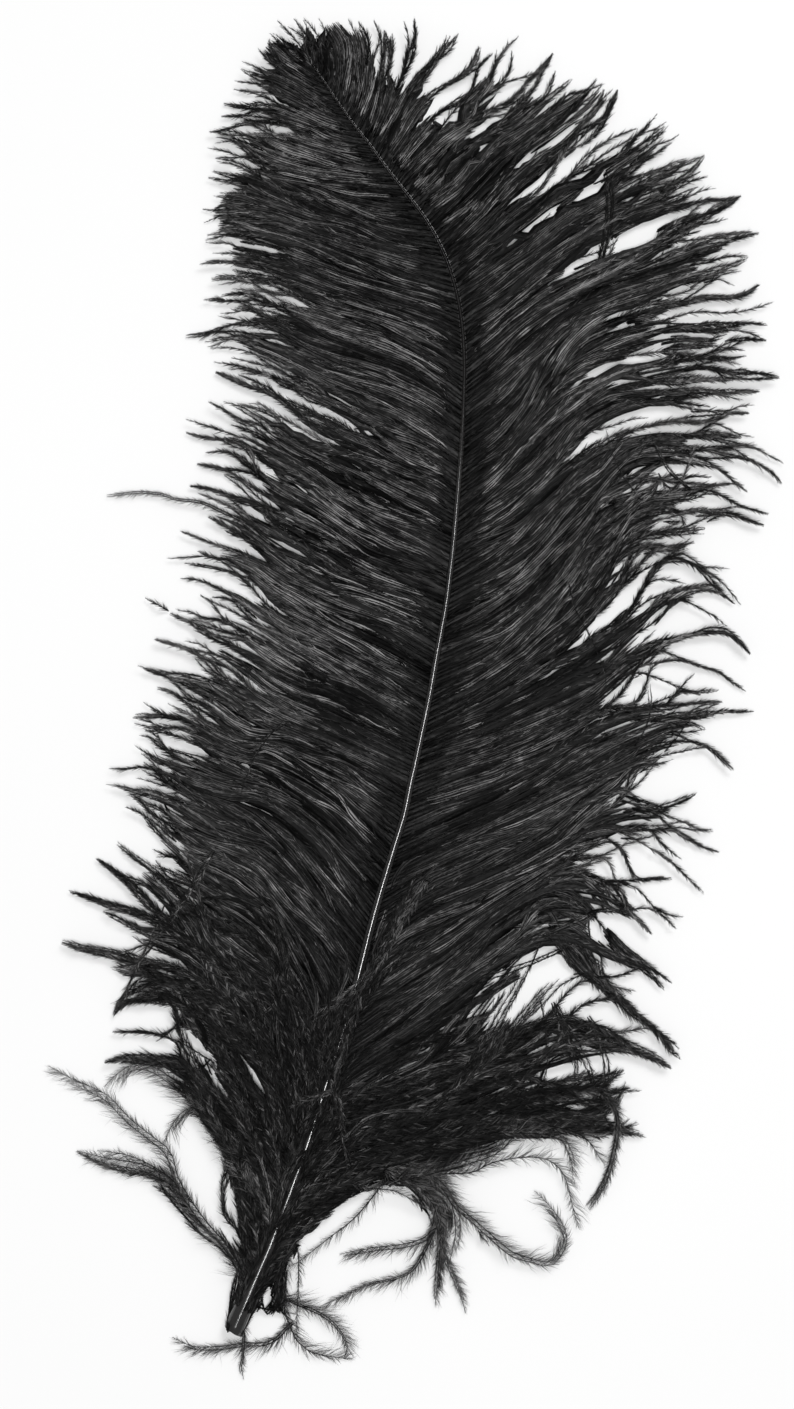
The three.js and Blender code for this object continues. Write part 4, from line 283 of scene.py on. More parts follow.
CROSSING = [  # locks of barbs that lie across the others: piece, barbs, spread, barbule length, greatest height, then x, y from root to tip
    ('left_down', 4, 3, 2.2, 6, -67.2, -133.5, -79.1, -121.2, -93.2, -110.5, -109.5, -99.6, -120.2, -93.9, -133.7, -89.8, -144.5, -86.2, -152.1, -84),
    ('left_down', 3, 2.4, 2.2, 8, -87.9, -114.6, -101.1, -103.6, -113.9, -92.6, -122, -83.8, -129.3, -77.6, -139.5, -70.5),
    ('left_down', 3, 2, 2, 6, -87.5, -101.4, -101.1, -88.2, -113.9, -76.3, -123.8, -68.7, -130.6, -63.3),
    ('left_down', 5, 3, 2.4, 7, -76.9, -136.6, -92.3, -125.6, -107.7, -117.7, -118.4, -115.9, -129.3, -112.7, -145.3, -109.6, -155.2, -106.9),
    ('left_down', 4, 4, 2.6, 5, -72.5, -145.4, -87.9, -132.2, -103.3, -125.6, -112.1, -122.5, -121.8, -116.8, -129.7, -112.4),
    ('left_down', 1, 0.5, 1, 14, -109.9, -90.4, -112.1, -96.1, -115.2, -103.3, -118.4, -110.5, -122.5, -119.4, -126.5, -128.4, -132.1, -139.6),
    ('left_down', 3, 2.5, 2.4, 5, -79.1, -149.8, -92.3, -132.2, -105.8, -126.2, -114.3, -125.2, -120.2, -127.1, -128.8, -132.9),
    ('left_down', 3, 2.5, 2.6, 5, -81.3, -154.2, -94.5, -138.8, -105, -132.9, -113.9, -129.8, -120.9, -131.3, -126.5, -134.3),
    ('left_down', 1, 0.5, 1.2, 6, -87.9, -159.5, -96.3, -154.2, -104, -150, -113, -146.9, -122.9, -145.5, -132.4, -145.9),
    ('left_down', 1, 0.5, 1.8, 5, -83.5, -152, -91.9, -147.2, -98.7, -144.5, -104, -144.1, -109.5, -146.7, -113.9, -150.4),
    ('left_down', 4, 2.5, 3, 5, -67.2, -202.6, -76.9, -185, -87.9, -171.8, -97.7, -163.9, -105.8, -159, -114.8, -157.6, -126.5, -157.2, -135.9, -159.4),
    ('left_down', 3, 2, 2.6, 6, -71.8, -189.4, -77, -174.2, -87.9, -154.5, -97, -142.8, -105, -127.5, -108.6, -118.1),
    ('left_down', 3, 2, 2.6, 6, -67.2, -189.4, -74.7, -174, -81.6, -159.5, -89.2, -147.2, -96.3, -135.7, -102.3, -125.6, -105.1, -114.6),
    ('left_down', 4, 2.5, 2.8, 7, -61.2, -193.8, -62.3, -174.4, -67.9, -159.5, -81.3, -148, -91.6, -137.5, -96.3, -127.8),
    ('left_down', 4, 2.5, 2.8, 7, -57, -198.2, -59.2, -178.4, -64.1, -160.4, -72.7, -145.4, -80.4, -132.2, -84.8, -118.1),
    ('left_down', 4, 2.5, 2.8, 7, -54.9, -193.8, -55.8, -176.2, -60.2, -158.6, -67.2, -141.9, -72.5, -127.8, -75.2, -114.6),
    ('left_down', 3, 2, 2.8, 7, -52.3, -189.4, -50.5, -171.8, -52.3, -154.2, -58.4, -136.6, -62, -123.4, -62.8, -110.2),
    ('left_down', 3, 2, 2.6, 8, -49.2, -185, -46.1, -167.4, -45.2, -149.8, -50.2, -133.8, -57.3, -124.7, -56.5, -115.9, -57.3, -106.7, -61.1, -95.2),
    ('left_down', 2, 1.2, 2.2, 12, -64.6, -136.6, -75.3, -122.1, -84.4, -111.4, -89.7, -102.3, -95.1, -84.2, -98.7, -72.8, -100.7, -64.4),
    ('left_down', 3, 2.2, 2.6, 8, -76.9, -205.2, -84.8, -189.4, -91.9, -174.4, -96.3, -161.2, -101.6, -148, -104.2, -134.8),
    ('left_down', 5, 3, 3, 6, -71.6, -229, -75.2, -215.8, -80.4, -202.6, -88.4, -188.5, -98, -175.3, -108.6, -166.5),
    ('left_down', 3, 2, 3, 5, -73.4, -236, -76.5, -225.5, -77.8, -215.8, -76.9, -206.1, -74.3, -198.2),
    ('left_down', 1, 0.4, 3.4, 5, -73.8, -241.3, -77.8, -232.1, -82.9, -225.4, -84, -217.5, -81.8, -210.8, -76.7, -206.1),
    ('left_down', 2, 1, 2.6, 5, -74.3, -244.8, -75.6, -233.2, -75.6, -220.2, -75.6, -210.8, -73.4, -202.6),
    ('left_down', 2, 1.2, 1.6, 14, -50.5, -211.4, -45.2, -193.8, -40.8, -178, -43.5, -163, -47.9, -149.8, -50.5, -137.5),
    ('right_down', 2, 1.2, 1.4, 15, -37.3, -177.1, -33.8, -166.5, -30.3, -155.1, -27.6, -141, -25, -129.6),
    ('right_down', 1, 0.5, 1.4, 16, -41.7, -156.8, -36.9, -165.2, -34.2, -177.1, -32.5, -187.6, -30.3, -200.8, -29.8, -207.9),
    ('right_down', 4, 2, 2.2, 15, -32.9, -149.8, -27.6, -134.8, -18.8, -118.1, -10, -101.4, -3, -86.4, 2.3, -75.9),
    ('right_down', 3, 1.6, 2, 15, -28.5, -132.2, -18.8, -115.5, -11.8, -102.3, -7.4, -88.2, -5.6, -78.5),
    ('right_down', 3, 1.6, 2, 14, -24.1, -136.6, -13.6, -121.6, -2.1, -110.2, 11.1, -101.4, 20.8, -96.1),
    ('left_down', 3, 1.2, 1.4, 14, -32.9, -132.2, -27.6, -132.2, -21.5, -125.2, -14.4, -114.6),
    ('right_down', 4, 2.4, 2.2, 9, 24.3, -158.6, 46.3, -145.4, 65.2, -140.1, 74.3, -143, 90.3, -150.2, 103.9, -156.4, 112.3, -161.7),
    ('right_down', 2, 1.2, 1.6, 10, 28.7, -169.6, 43.6, -163.4, 56.4, -157.3, 74.3, -149.3, 87.6, -146.5, 102.2, -143.9),
    ('right_down', 3, 1.6, 2, 9, 24.3, -170, 37.5, -166.5, 49.1, -165.4, 56.4, -168.1, 69.8, -170.8, 83.2, -171.7, 99.4, -171.3),
    ('right_down', 3, 1.8, 2, 9, 28.7, -176.2, 41.9, -175.3, 51.9, -173.5, 65.2, -171.7, 79.7, -167.7, 91.8, -163.6),
    ('right_down', 2, 1.4, 2, 13, 60.4, -133.1, 64.3, -141.9, 68, -150.2, 70.7, -159.9, 70.3, -170),
    ('right_down', 2, 1.4, 2, 13, 62.1, -134, 67.4, -145.4, 72.5, -154.6, 77, -164.5, 78.8, -173.6),
    ('right_down', 2, 1.4, 2, 13, 76.2, -139.2, 80.2, -145.4, 82.4, -153.8, 84.1, -161.7, 83.2, -175.3),
    ('right_down', 1, 0.5, 1.4, 13, 55.1, -132.2, 56.8, -140.1, 57.7, -150.2, 57.7, -161.8, 55, -171.4),
    ('right_down', 5, 3, 2.4, 8, 28.7, -185, 50.7, -184.1, 63.9, -186.8, 77.1, -188.5, 89.4, -189.4, 101.7, -191.9),
    ('right_down', 3, 2, 2.2, 8, 37.5, -181.5, 57.3, -185, 72.7, -189.4, 84.1, -189.4, 90.3, -187.9, 98.1, -186.1),
    ('right_down', 3, 2, 2.2, 9, 46.3, -176.2, 63.9, -181.5, 77.1, -183.2, 85.9, -180.6, 90.3, -175.3, 93.1, -168.1),
    ('right_down', 4, 3, 2.4, 8, 24.3, -178, 42.8, -172.7, 57.3, -173.6, 70.9, -176.2, 81.5, -178, 90.3, -179.7),
    ('right_down', 5, 4, 2.6, 7, 6.7, -197.3, 24.3, -191.2, 41.9, -185.9, 58.6, -185, 74.4, -187.6, 83.2, -192),
    ('right_down', 4, 3, 2.4, 9, 2.3, -185, 19.9, -169.2, 34.8, -154.2, 46.3, -141, 55.1, -130.4, 63, -122.5),
    ('right_down', 2, 1.2, 2, 10, 22.5, -161.2, 30.4, -149.8, 37.5, -137.5, 43.6, -127.8, 48, -119),
    ('right_down', 1, 0.5, 1.6, 12, 55.6, -105.9, 50.7, -117.3, 45.5, -127.9, 40.1, -137.9, 34.5, -148.2),
    ('right_down', 2, 1.5, 1.2, 12, 64.9, -109.3, 48.9, -116.1, 28.6, -122.8, 6.7, -127.8),
    ('right_down', 1, 0.5, 1.8, 12, 74.2, -120.3, 64.1, -125.4, 55.6, -134.7, 47.2, -141.4),
    ('right_vane', 4, 2.6, 1.6, 12, 81.5, 192.5, 84.1, 204.4, 85.4, 217.6, 84.1, 232.1),
    ('right_vane', 1, 0.5, 1.2, 12, 99.1, 87.8, 91.2, 98.4, 86.8, 108.9, 84.1, 118.6),
    ('right_vane', 2, 1, 1.4, 12, 121.1, 92.2, 111.4, 101, 106.1, 110.7, 103.5, 117.7),
    ('right_vane', 1, 0.5, 1.2, 13, 67.4, 50.8, 70.9, 38.5, 78, 26.2, 83.2, 13.9, 84.1, 4.2),
    ('right_vane', 1, 0.5, 1, 12, 102.6, -7.2, 103.9, -0.2, 103.5, 6.8),
    ('right_vane', 1, 0.5, 1, 12, 96.4, -20.4, 100.8, -13.4, 103, -5.5, 103, 4.2),
    ('right_vane', 1, 0.5, 1.2, 12, 109.6, -23.1, 114.9, -16.9, 119.3, -10.8, 123.3, -5.5),
    ('left_vane', 1, 0.4, 1, 14, -58.4, -9.9, -63.7, -16, -69.9, -24.8, -74.3, -35.4, -76.9, -45.1),
    ('left_vane', 1, 0.4, 1, 14, -56.7, -10.8, -65.5, -16, -71.6, -21.3),
    ('left_vane', 2, 1, 1.6, 12, -88.4, -66.2, -96.3, -79.4, -103.3, -90.4, -109.9, -99.2, -116.5, -104.9),
]
OVER_QUILL = [  # locks that cross over the quill: barbs, spread, barbule length, greatest height, lightness, then x, y from root to tip
    (4, 2.2, 2.2, 15, 0.27, 4.5, -78.5, -2.1, -90.4, -8.7, -101.4, -16.2, -115.5, -25.0, -126.0, -34.7, -133.1, -45.2, -140.6),
    (3, 1.8, 2.2, 15, 0.24, -23.7, -126.9, -26.8, -138.8, -30.3, -149.8, -33.4, -159.5, -36.0, -168.7),
    (2, 0.9, 1.6, 15, 0.12, -36.9, -165.6, -33.8, -174.0, -32.0, -180.6, -30.7, -191.2),
    (2, 1.0, 1.8, 14, 0.27, -49.6, -135.7, -47.9, -142.8, -43.5, -152.9),
    (3, 1.8, 2.0, 15, 0.04, -46.1, -148.9, -40.8, -156.4, -37.3, -163.0, -35.1, -169.2),
    (5, 4.0, 2.2, 15, -0.04, -29.8, -130.4, -33.4, -141.0, -36.4, -152.0, -39.5, -161.7, -41.7, -171.8),
    (4, 3.0, 2.2, 15, -0.06, -25.9, -129.6, -29.4, -140.1, -32.9, -150.7, -36.4, -159.9, -39.1, -168.3),
    (3, 2.6, 2.2, 15, 0.0, -36.4, -135.7, -37.3, -143.6, -37.8, -151.6, -39.5, -159.5, -41.3, -166.5),
    (2, 1.2, 2.0, 14, 0.14, -33.8, -170.5, -42.6, -173.1, -50.1, -175.3, -57.1, -179.3),
    (4, 2.8, 1.8, 14, -0.12, -40.0, -177.5, -44.8, -184.1, -50.1, -191.2),
    (3, 2.4, 1.8, 14, -0.12, -47.0, -196.4, -51.4, -203.9, -56.2, -211.8),
    (4, 2.8, 1.8, 14, -0.14, -51.8, -218.4, -56.7, -225.9, -62.0, -233.8),
    (4, 2.6, 1.8, 14, -0.14, -54.5, -225.9, -58.9, -230.8, -64.6, -236.9),
    (3, 1.8, 2.0, 13, -0.02, -58.0, -121.2, -52.7, -128.7, -48.8, -137.5, -45.2, -147.2),
    (3, 2.0, 2.2, 12, 0.06, -67.2, -90.4, -61.1, -99.2, -57.1, -109.3, -55.8, -119.9, -50.5, -132.2),
]
# where the closed web ends, and the openings in it, in mm: one ring of x, y a line
BODY = (
    (-34.9,297.5,-32,296.9,-28.7,293.7,-23.3,294,-20.3,292.2,-18.6,286,-17,283.4,-17.3,274.4,-16.1,277.3,-13.9,278.5,-11.7,277.9,-10.3,275.9,-10.9,273.4,-13.3,271.4,-13.8,265.2,-11.9,270.9,-8.3,273.5,-6.6,274.1,-4.9,273.3,-3.6,269.5,4.4,279.7,6.4,280.2,8.5,278.8,8.7,275.9,-0.2,262.9,0.7,262.8,5.6,267,7.6,266.5,9,264.4,8.5,262.4,1.6,254.5,6.6,256.9,8.3,256.2,9.4,254.3,9.5,250.4,4.1,242.9,7.5,244.9,11.9,251.5,16.2,251.7,25.2,256.3,26.8,260.3,20.6,258.4,18.1,260.2,17.8,262.9,26.4,270.9,32.6,273.5,37.1,271.8,38.5,269.2,37.6,267.2,30.8,261.1,34.2,258.7,34,255.8,28,252.9,27.1,249.5,24.7,247.4,27.7,244.8,27.5,240.9,28.1,239.9,29.6,239.8,30.6,242.1,33.7,245,31,248,31.3,250.7,33.3,252.6,39.1,254.7,48.2,266.2,50.9,266.2,53.4,263.6,57.6,266.2,63.7,263.6,68.8,266.8,74,268.1,76.3,267.4,78,265.4,81.5,267.1,84.2,265.6,84.6,263.3,82,258.9,73.4,250.8,73.6,247.9,71.2,244.3,70.3,240.2,66.4,238.1,62.8,238.8,61.3,235.5,47.7,224.5,42.3,218.1,42.8,217.6,53.8,225,57.6,224.4,64,227.4,67.4,226.1,71.2,227.4,72.9,227.1,74.6,224.8,74.1,222.4,65.4,214.7,63.6,214.3,60.8,215.6,57.6,213.7,37.6,197.7,34.8,193.2,48.1,202.1,58.5,211.5,62.8,212.1,82.7,223.4,82.9,225.2,78.3,225.9,76.4,227.5,76.3,231.6,77.2,233.7,82.4,236.9,87.7,238.2,93.4,245.7,95.8,246.3,98.9,244.7,103.1,247.4,105.3,246.7,106.6,244.9,105.6,238.3,96,231.1,98,229.8,112.6,235.7,115,235.3,116.3,233.5,116,231.4,110.8,228.1,114,228.8,116.1,227.6,116.7,225,114.5,222.2,117.9,222.7,119.9,221.7,121.4,218.4,120.7,215.8,117.4,213.8,105.8,212.2,101,210.4,97.8,207.4,87.4,202,83.9,202.4,81.5,204.9,75.9,202.1,75.8,198.6,73,193.1,66.2,189.4,65.5,185.6,59.5,181.3,68.3,185.4,71.9,190.7,87,196.6,90.1,196.7,96.7,199.2,99.9,198.7,102.6,199.6,106.2,202.6,106.4,205.4,107.8,207.6,121.8,213.8,126.9,213.3,128.3,211.2,128,209.3,126.6,207.7,121.8,206.3,115.4,202.2,114.9,198.5,117.4,198.8,119.3,200.9,121.2,201.7,127.2,201.4,131.7,202.8,134.1,202,135.6,200.1,134.8,197.3,129,194.5,128.2,192,125.8,189.9,130.4,189.5,133.3,187.5,133.9,185.3,132.1,182.8,129.8,181.8,126.5,182.6,121.7,180.5,116.4,180,110.4,176.3,106.3,175.6,103.2,173.5,96.6,172.5,88.3,169.4,86.7,167.8,89.1,166.2,90.1,163.5,91,163.3,93.4,164.5,92.3,167.4,93.7,169.7,101.5,172,104.6,171.6,106.9,174.1,109.1,174.7,111.6,172.9,111.2,167.9,113.5,166.5,117.6,165.4,125.3,165.5,128.7,163.2,133.5,161.8,134.2,158.7,131,155.3,127.1,153.5,120.2,152.7,122.8,150.2,123.4,144.4,121.3,141.7,116.7,140.4,116.5,137.1,122.3,136.1,123.4,133.9,122.9,132.2,119.6,128.4,117.5,127.5,102.6,129.6,87.1,125.3,82.5,122.9,77.6,116.3,73.1,113.4,72.1,109.7,73,108.8,77.7,112.3,80.9,113.5,84.7,112.8,87.6,116.5,91.7,118.1,94.5,117.5,96.8,115.2,117.1,118,120.1,115.9,119.8,112,124.9,111.4,127.1,110.1,128.3,105.3,127.5,103.3,125.7,102.2,111.4,104,106.9,101.1,104.7,101.8,102.9,103.9,100.9,104,97.6,103.3,94.7,100.5,91.4,99,91.2,97.7,96,98.3,98.9,96.9,99.7,94.9,98.3,91.6,102.6,94.2,103,97.5,105.6,99,108.3,96.7,106.9,93,107.6,91.9,113.4,93.2,115.7,95.8,117.5,96.3,125.9,94.4,127.5,92.9,127.8,91.1,126.1,88.9,115.8,85.4,114.3,82.6,110.4,80.9,105.7,76.3,105,75,105.7,71.9,103.5,69.5,106.9,66.6,107,64.9,106,63.3,104,62.6,101.5,63.8,96.9,64.2,92.7,62.5,85.3,49.5,91.5,59.3,93.3,60.6,95.5,60.4,97.4,58.8,98.4,56,97.7,53.9,82.2,38.6,78.5,32.7,74.3,30,75.4,28.2,79.4,29.1,93.3,39.9,95.8,39.6,98.3,37.6,102.5,40.4,103.2,43.1,104.7,44.7,111.2,47.1,115.5,49.8,117.9,50.3,121.8,48.9,123.4,46.1,121.6,43.3,117.9,42.1,114,39.5,106,31.2,102.1,29.8,95.8,23.9,102,27.2,105.2,26.5,109.8,27.2,112.4,24.6,111,20.9,109.6,19.7,101.8,17.3,100.3,15.8,98.3,10.7,93.5,8.9,83.1,-1.9,88.5,-0.8,91.9,-2.5,96.9,-0.8,100.3,-2.5,103.3,-1.3,105.3,-2.3,107.1,-4.9,112.2,-6.2,121.8,-4.3,125.8,-2.7,127.8,-3.6,128.7,-5.6,127.3,-8.2,123.5,-9.3,121.8,-11.5,119.3,-12.7,118.1,-15.3,115.3,-16.7,113.7,-20.1,105.4,-22.8,107.2,-27.3,104.2,-31.3,98.2,-32.3,95.9,-35.7,91.8,-37.4,92,-38.1,95.4,-38.6,97.4,-42.6,103.3,-45.2,111.9,-45.5,113.3,-47.8,112.4,-50,104.1,-54,102.7,-57.9,96.8,-60.8,94,-61,90.7,-59.2,87.4,-59.8,83.5,-62.9,75.2,-67,69.6,-67.2,71.9,-69.2,72.7,-71.7,75.4,-72.7,77.9,-76,81.1,-78,81.3,-82.3,82.1,-84,85.5,-84.4,84.4,-82.2,84.8,-80.5,88.7,-78.3,93.5,-79.3,95.6,-81.5,94.5,-85.4,92.3,-87.4,94.2,-90.4,96.7,-91.4,97.9,-93.3,97.4,-95.7,95.3,-97.1,93.1,-96.8,87.8,-93.3,82.1,-92.8,78.4,-87.7,76,-87.4,80.8,-94.5,80.4,-96.8,78,-99.7,79.8,-102.7,81.4,-103.3,83.4,-101.2,86.1,-101.2,103,-116,103.1,-117.7,101.8,-119.5,95.7,-120.5,89.4,-115.1,80,-112.8,83.3,-119.1,85.7,-121.4,86.3,-123.7,89.4,-125.6,92.4,-129.6,91.9,-132.5,89.4,-133.8,84.3,-132,79.8,-126.4,75.6,-123.7,69.5,-121.3,62.8,-112.2,62.6,-108.8,57.9,-106.5,53.3,-109.3,44.9,-116.3,44.7,-117.6,46.8,-120.6,46.5,-122.3,39,-127.1,36,-132.8,36.1,-136.1,33.3,-140.1,33.7,-143,36.9,-143,40.2,-140.6,44.6,-139.8,52.7,-141.7,55.6,-140.2,57.7,-137.4,62,-135.1,66.2,-138.5,69.2,-137.9,72.2,-140.6,79.3,-141.8,90.1,-146.4,95,-151.6,95.1,-153.4,93.9,-155.1,92.1,-155.7,85.4,-154.7,82.1,-155.7,74.6,-152.6,74.7,-158.1,73.4,-160.7,71,-161.5,67.5,-159.8,61.2,-160.8,58,-166.5,59.6,-167.6,69,-169.5,69.9,-164.7,76.1,-162.4,78.5,-163.4,80.7,-166.2,84.6,-166.5,86.1,-169.2,86.2,-173,85.3,-175.7,87.8,-179,86.6,-182.1,86.9,-184.5,87.4,-185.5,89.9,-185.4,91.7,-186.7,92.2,-188.4,91,-190.6,88.7,-192.2,80.7,-193.1,77,-194.8,73.9,-193.2,70.4,-192.8,67.3,-194.8,62.8,-193.2,59.5,-193.7,55.5,-192.6,48.5,-193.7,42.4,-191.3,38.9,-193.5,38,-196.9,35.1,-199.3,30.8,-200.7,25.5,-200.8,24.3,-202.1,24.3,-204.9,23,-206.6,17.7,-208.8,13.6,-209.2,19.2,-218.8,16.9,-221.6,12.8,-220.1,12.3,-220.9,13.6,-222.9,17.7,-224.5,18.9,-230.3,18,-232.8,14.9,-235,13.8,-238.7,11.3,-240.6,7.2,-239.9,5.4,-238.2,4.7,-235.7,7.3,-228.3,5.6,-226.6,-3.3,-222.3,-4.1,-219.9,-1.7,-216.9,-2.4,-216,-7.1,-213.9,-11.7,-213.9,-15.7,-212.4,-19.1,-215.6,-28.4,-219,-30,-221,-32.9,-222.5,-37.9,-228.4,-41.7,-230.4,-46.7,-236.4,-50.4,-237.9,-51.3,-244.9,-55.9,-246.9,-56.4,-249.1,-54.6,-252.7,-56.5,-257.6,-54.8,-261.6,-56,-264.6,-52.9,-266.1,-51.6,-268.3,-52.2,-270.4,-53.7,-271.6,-56,-271.8,-58.6,-270.3,-63.1,-271.1,-66.7,-268.4,-70.5,-270.2,-75.8,-279,-78.3,-279.2,-82.5,-276.9,-83.7,-274.4,-81.4,-267.2,-80.8,-258.1,-78.1,-251.8,-78.4,-250.7,-82.6,-245.6,-86.6,-242.7,-91.3,-240.7,-98.2,-234.8,-100.9,-231.4,-101.9,-227.2,-110,-218.1,-112.7,-212.9,-113.6,-206.9,-113.1,-205.2,-109.3,-203.4,-107,-204.1,-100.5,-218.2,-92.9,-229.9,-90.1,-230.3,-84.3,-232.9,-80.5,-238.4,-81,-232.8,-78.7,-229.5,-77.9,-224.2,-78.6,-218.4,-81.5,-213.6,-83.8,-212.6,-85.1,-210.4,-84.2,-204.9,-85.7,-194.7,-95,-184.5,-98.5,-184.2,-100.3,-182.9,-100.9,-180.7,-98.7,-177.5,-99.1,-176,-107.2,-169,-109.2,-165.4,-108.6,-162.8,-111.1,-161.6,-112.3,-159.7,-111.1,-156.5,-105,-153.9,-104.3,-149.3,-102.5,-148,-99.8,-147.8,-99.9,-146,-103.6,-143.9,-104.1,-140,-106.6,-135,-108.1,-134.3,-114.2,-134.7,-117.5,-133.6,-119.1,-129.8,-121.4,-127.9,-123.3,-124.2,-128.9,-121.7,-131.3,-118.4,-131.4,-114.7,-128.7,-112.6,-121.1,-113.5,-115.1,-115.4,-111.7,-115.2,-111.8,-112.3,-116.9,-112.3,-119.3,-111.2,-121.6,-107.4,-120.4,-103.8,-128.9,-99.3,-130.7,-95.9,-129.3,-93,-127.1,-91.2,-122.8,-90.9,-119.1,-92.3,-119,-90.1,-121.5,-86.1,-120.2,-83.3,-120.5,-78.5,-117.7,-74.2,-112.6,-73.3,-109.4,-74.7,-103.7,-75.1,-108.2,-71.1,-109.8,-65.2,-115.9,-58.1,-118.4,-52.9,-116.4,-48.9,-120.4,-45.8,-122.4,-42.4,-121.7,-40.4,-119.4,-39.1,-111,-39.3,-111,-35.6,-107.7,-33.7,-109.1,-32.3,-111.6,-34.6,-114.4,-34.2,-118.1,-31.2,-118.5,-26.8,-116.6,-23.9,-109.7,-20.8,-100.6,-22.4,-100.5,-19.7,-102,-17.4,-102.3,-14.9,-107.4,-7.9,-107.1,-5.7,-105.8,-4.4,-103.4,-4.2,-101.4,-6,-96.7,-6.8,-88.4,-10.5,-95.9,-3.3,-96.4,-1.6,-95.6,1.4,-99.2,3.4,-102.8,3,-104.7,4.6,-106.6,9.1,-105,12,-103,12.7,-96.2,11.3,-92.1,11.4,-93.1,16,-91.5,17.9,-89.3,18.6,-85,15.5,-84,12,-81.6,9.6,-77.9,8.3,-75,10.5,-79.3,14.1,-85.4,17.3,-86.8,19.7,-85.6,22.8,-86.2,25.8,-83.8,28.5,-82.7,33.3,-80.3,34.8,-76,34.1,-76.6,36,-76,38.6,-81.7,42.6,-82.8,45.3,-81.4,47.4,-79.2,48.1,-70.3,43.7,-67.1,47.2,-74.2,54.9,-80.2,56.8,-85.5,61.2,-85.5,63.8,-82,67.2,-70.3,64,-74.6,69,-84.3,74.7,-85,76.4,-84.5,81,-82.9,83.2,-77.9,84.6,-67.6,79.1,-63.4,75.4,-61.4,76.4,-64,77.8,-65.9,81.8,-71.2,83.4,-73.1,85.8,-72.6,87.9,-70.7,89.5,-71.4,92.1,-70.1,95.1,-75.2,100.9,-75.8,102.7,-74.3,105,-71.6,105.8,-75.7,108.8,-76.7,111.1,-75.8,113.8,-76.6,116,-76.1,117.8,-73.7,119.3,-70.7,119,-74.3,122.1,-73.5,127,-69.7,129.8,-63.9,128.5,-59,124.6,-57.6,121.6,-54.4,118.7,-49.7,116.8,-46.9,113.8,-43.3,112.3,-39.6,113.9,-32.3,111.2,-41.7,115.5,-51.1,122,-51.8,125.1,-49.1,127.3,-46,127.6,-42.9,125.5,-24.4,119.1,-26,121.5,-42.5,128,-56.1,136.8,-57.5,138.5,-57.6,140.2,-54.1,143.6,-59.2,147.3,-64.1,147.7,-71.2,151.2,-74.3,154.6,-78.7,157.3,-78.7,160.5,-72.9,162.9,-72.9,166.1,-70.6,168.6,-68.5,169.5,-64.1,169.2,-61.9,170.7,-60.5,173.5,-56.6,176.1,-60.3,178.4,-60.8,180.1,-60.1,182,-60.9,182.6,-65.3,181.7,-68.2,183.3,-71.3,180.9,-73.7,182.1,-74.4,184.1,-73.3,186.2,-71,186.9,-68.5,185.4,-67.7,187,-78,189.7,-80.1,191.1,-80.3,198.2,-78.2,202,-85.6,204.5,-86.5,207.2,-86.1,210,-88.6,214.4,-85.2,218.3,-84.1,221.7,-79.1,224.4,-82.1,227.3,-81.4,230.5,-76.6,231.4,-73.6,234,-69.4,233.4,-74.6,237.1,-76.5,241,-78.7,242.6,-79.2,244.6,-77.9,246.7,-74.1,248.2,-67.4,249,-64.1,250.5,-59.6,248.3,-51.5,248.4,-46.6,247.3,-48.4,248.7,-64.4,252.6,-68.4,257.8,-68.4,260.5,-65.8,262.3,-60.9,262.6,-52.2,259.8,-63.5,265.3,-68.2,268.6,-71.9,273.7,-71.9,276.3,-69.3,278.1,-61.4,276.2,-66.8,282.7,-65.1,288.1,-61.3,290.9,-59.6,291.2,-48.7,284.4,-49.2,288.9,-50.7,292,-49.5,294.5,-46.2,296.1,-41.3,293.6,-39.1,296),
    (12,238.5,6.9,232.2,8.1,232.1,12.6,235.3,16.7,233.6,18.3,236,14.7,236.2),
    (105.3,163.4,104.3,162.7,106.4,157.8,105.1,155.2,94.4,152.8,93.4,149.8,91.6,148.5,82,146.7,76.9,144.8,74.4,139.6,80.1,141.1,83.9,142.2,87.9,146,105.6,148.6,111.3,150.9,109,153.1,108.5,155.9,109.3,158.1,112.3,160.1,108.1,161),
    (85.8,74.3,81.4,71.6,80.1,69.3,80.9,69.4,86.2,71.6,86.9,73.1),
    (16.2,62.6,10.4,21.4,13.2,36.4),
    (99.8,-5.9,94.6,-8.7,90.6,-6.4,89.7,-7.2,89.5,-10.4,85.5,-13.9,84.6,-14.5,86.1,-14.5,90.1,-11.5,95.1,-11.2,97.7,-8.5,100.4,-7.3),
    (74.9,-168.5,72.7,-169.8,73.8,-173.4,70.6,-178.1,71.1,-179.6,72.5,-180.3,75.6,-179.2,76.8,-174.7,75.3,-171.9),
    (-63.5,-255.9,-65.7,-258.3,-66.7,-262.1,-64.7,-265.2,-62.2,-263.3,-63.6,-260.2),
    (5.9,280.4,1.5,276.4,-5.3,266.2,-5.2,267.8,-4.2,271.1,-3.6,271.1,-3.6,269.3,-2,272.5,1.3,276.7,4.6,279.9),
    (-5.9,273.8,-5.4,273.8,-5.2,273.1,-6.2,269.2,-7.1,267.9,-7.8,268.6,-7.4,270.8),
    (5.9,267.2,-0.1,261.3,-1.4,260.4,-1.6,261,-0.7,263.2,-0,262.2,4.4,266.5),
    (79.8,266.7,79,265.4,79.1,264.4,77.2,264.5,75.4,261.9,74.3,261.9,74.6,263.7,77,266.1,77.4,266.3,78,265.2),
    (35.8,266.3,30.6,261.1,32.9,260.1,32.9,259.6,30.6,259.6,30.2,261.1,32.5,263.9),
    (48.1,266.3,47.8,265,48.3,263.9,43.7,259.3,41.6,258,44.4,260.4,45.1,263.2,46.1,263.1,47,263.9,47.4,264.5,46.9,265),
    (83.8,265.8,84.8,264.1,84.4,262.6,80.9,257.8,82,260.6,84,262.6,84,263.7,83.3,264.7),
    (0.6,265.4,0.8,264.8,-0.1,263.5,-0.2,264.1),
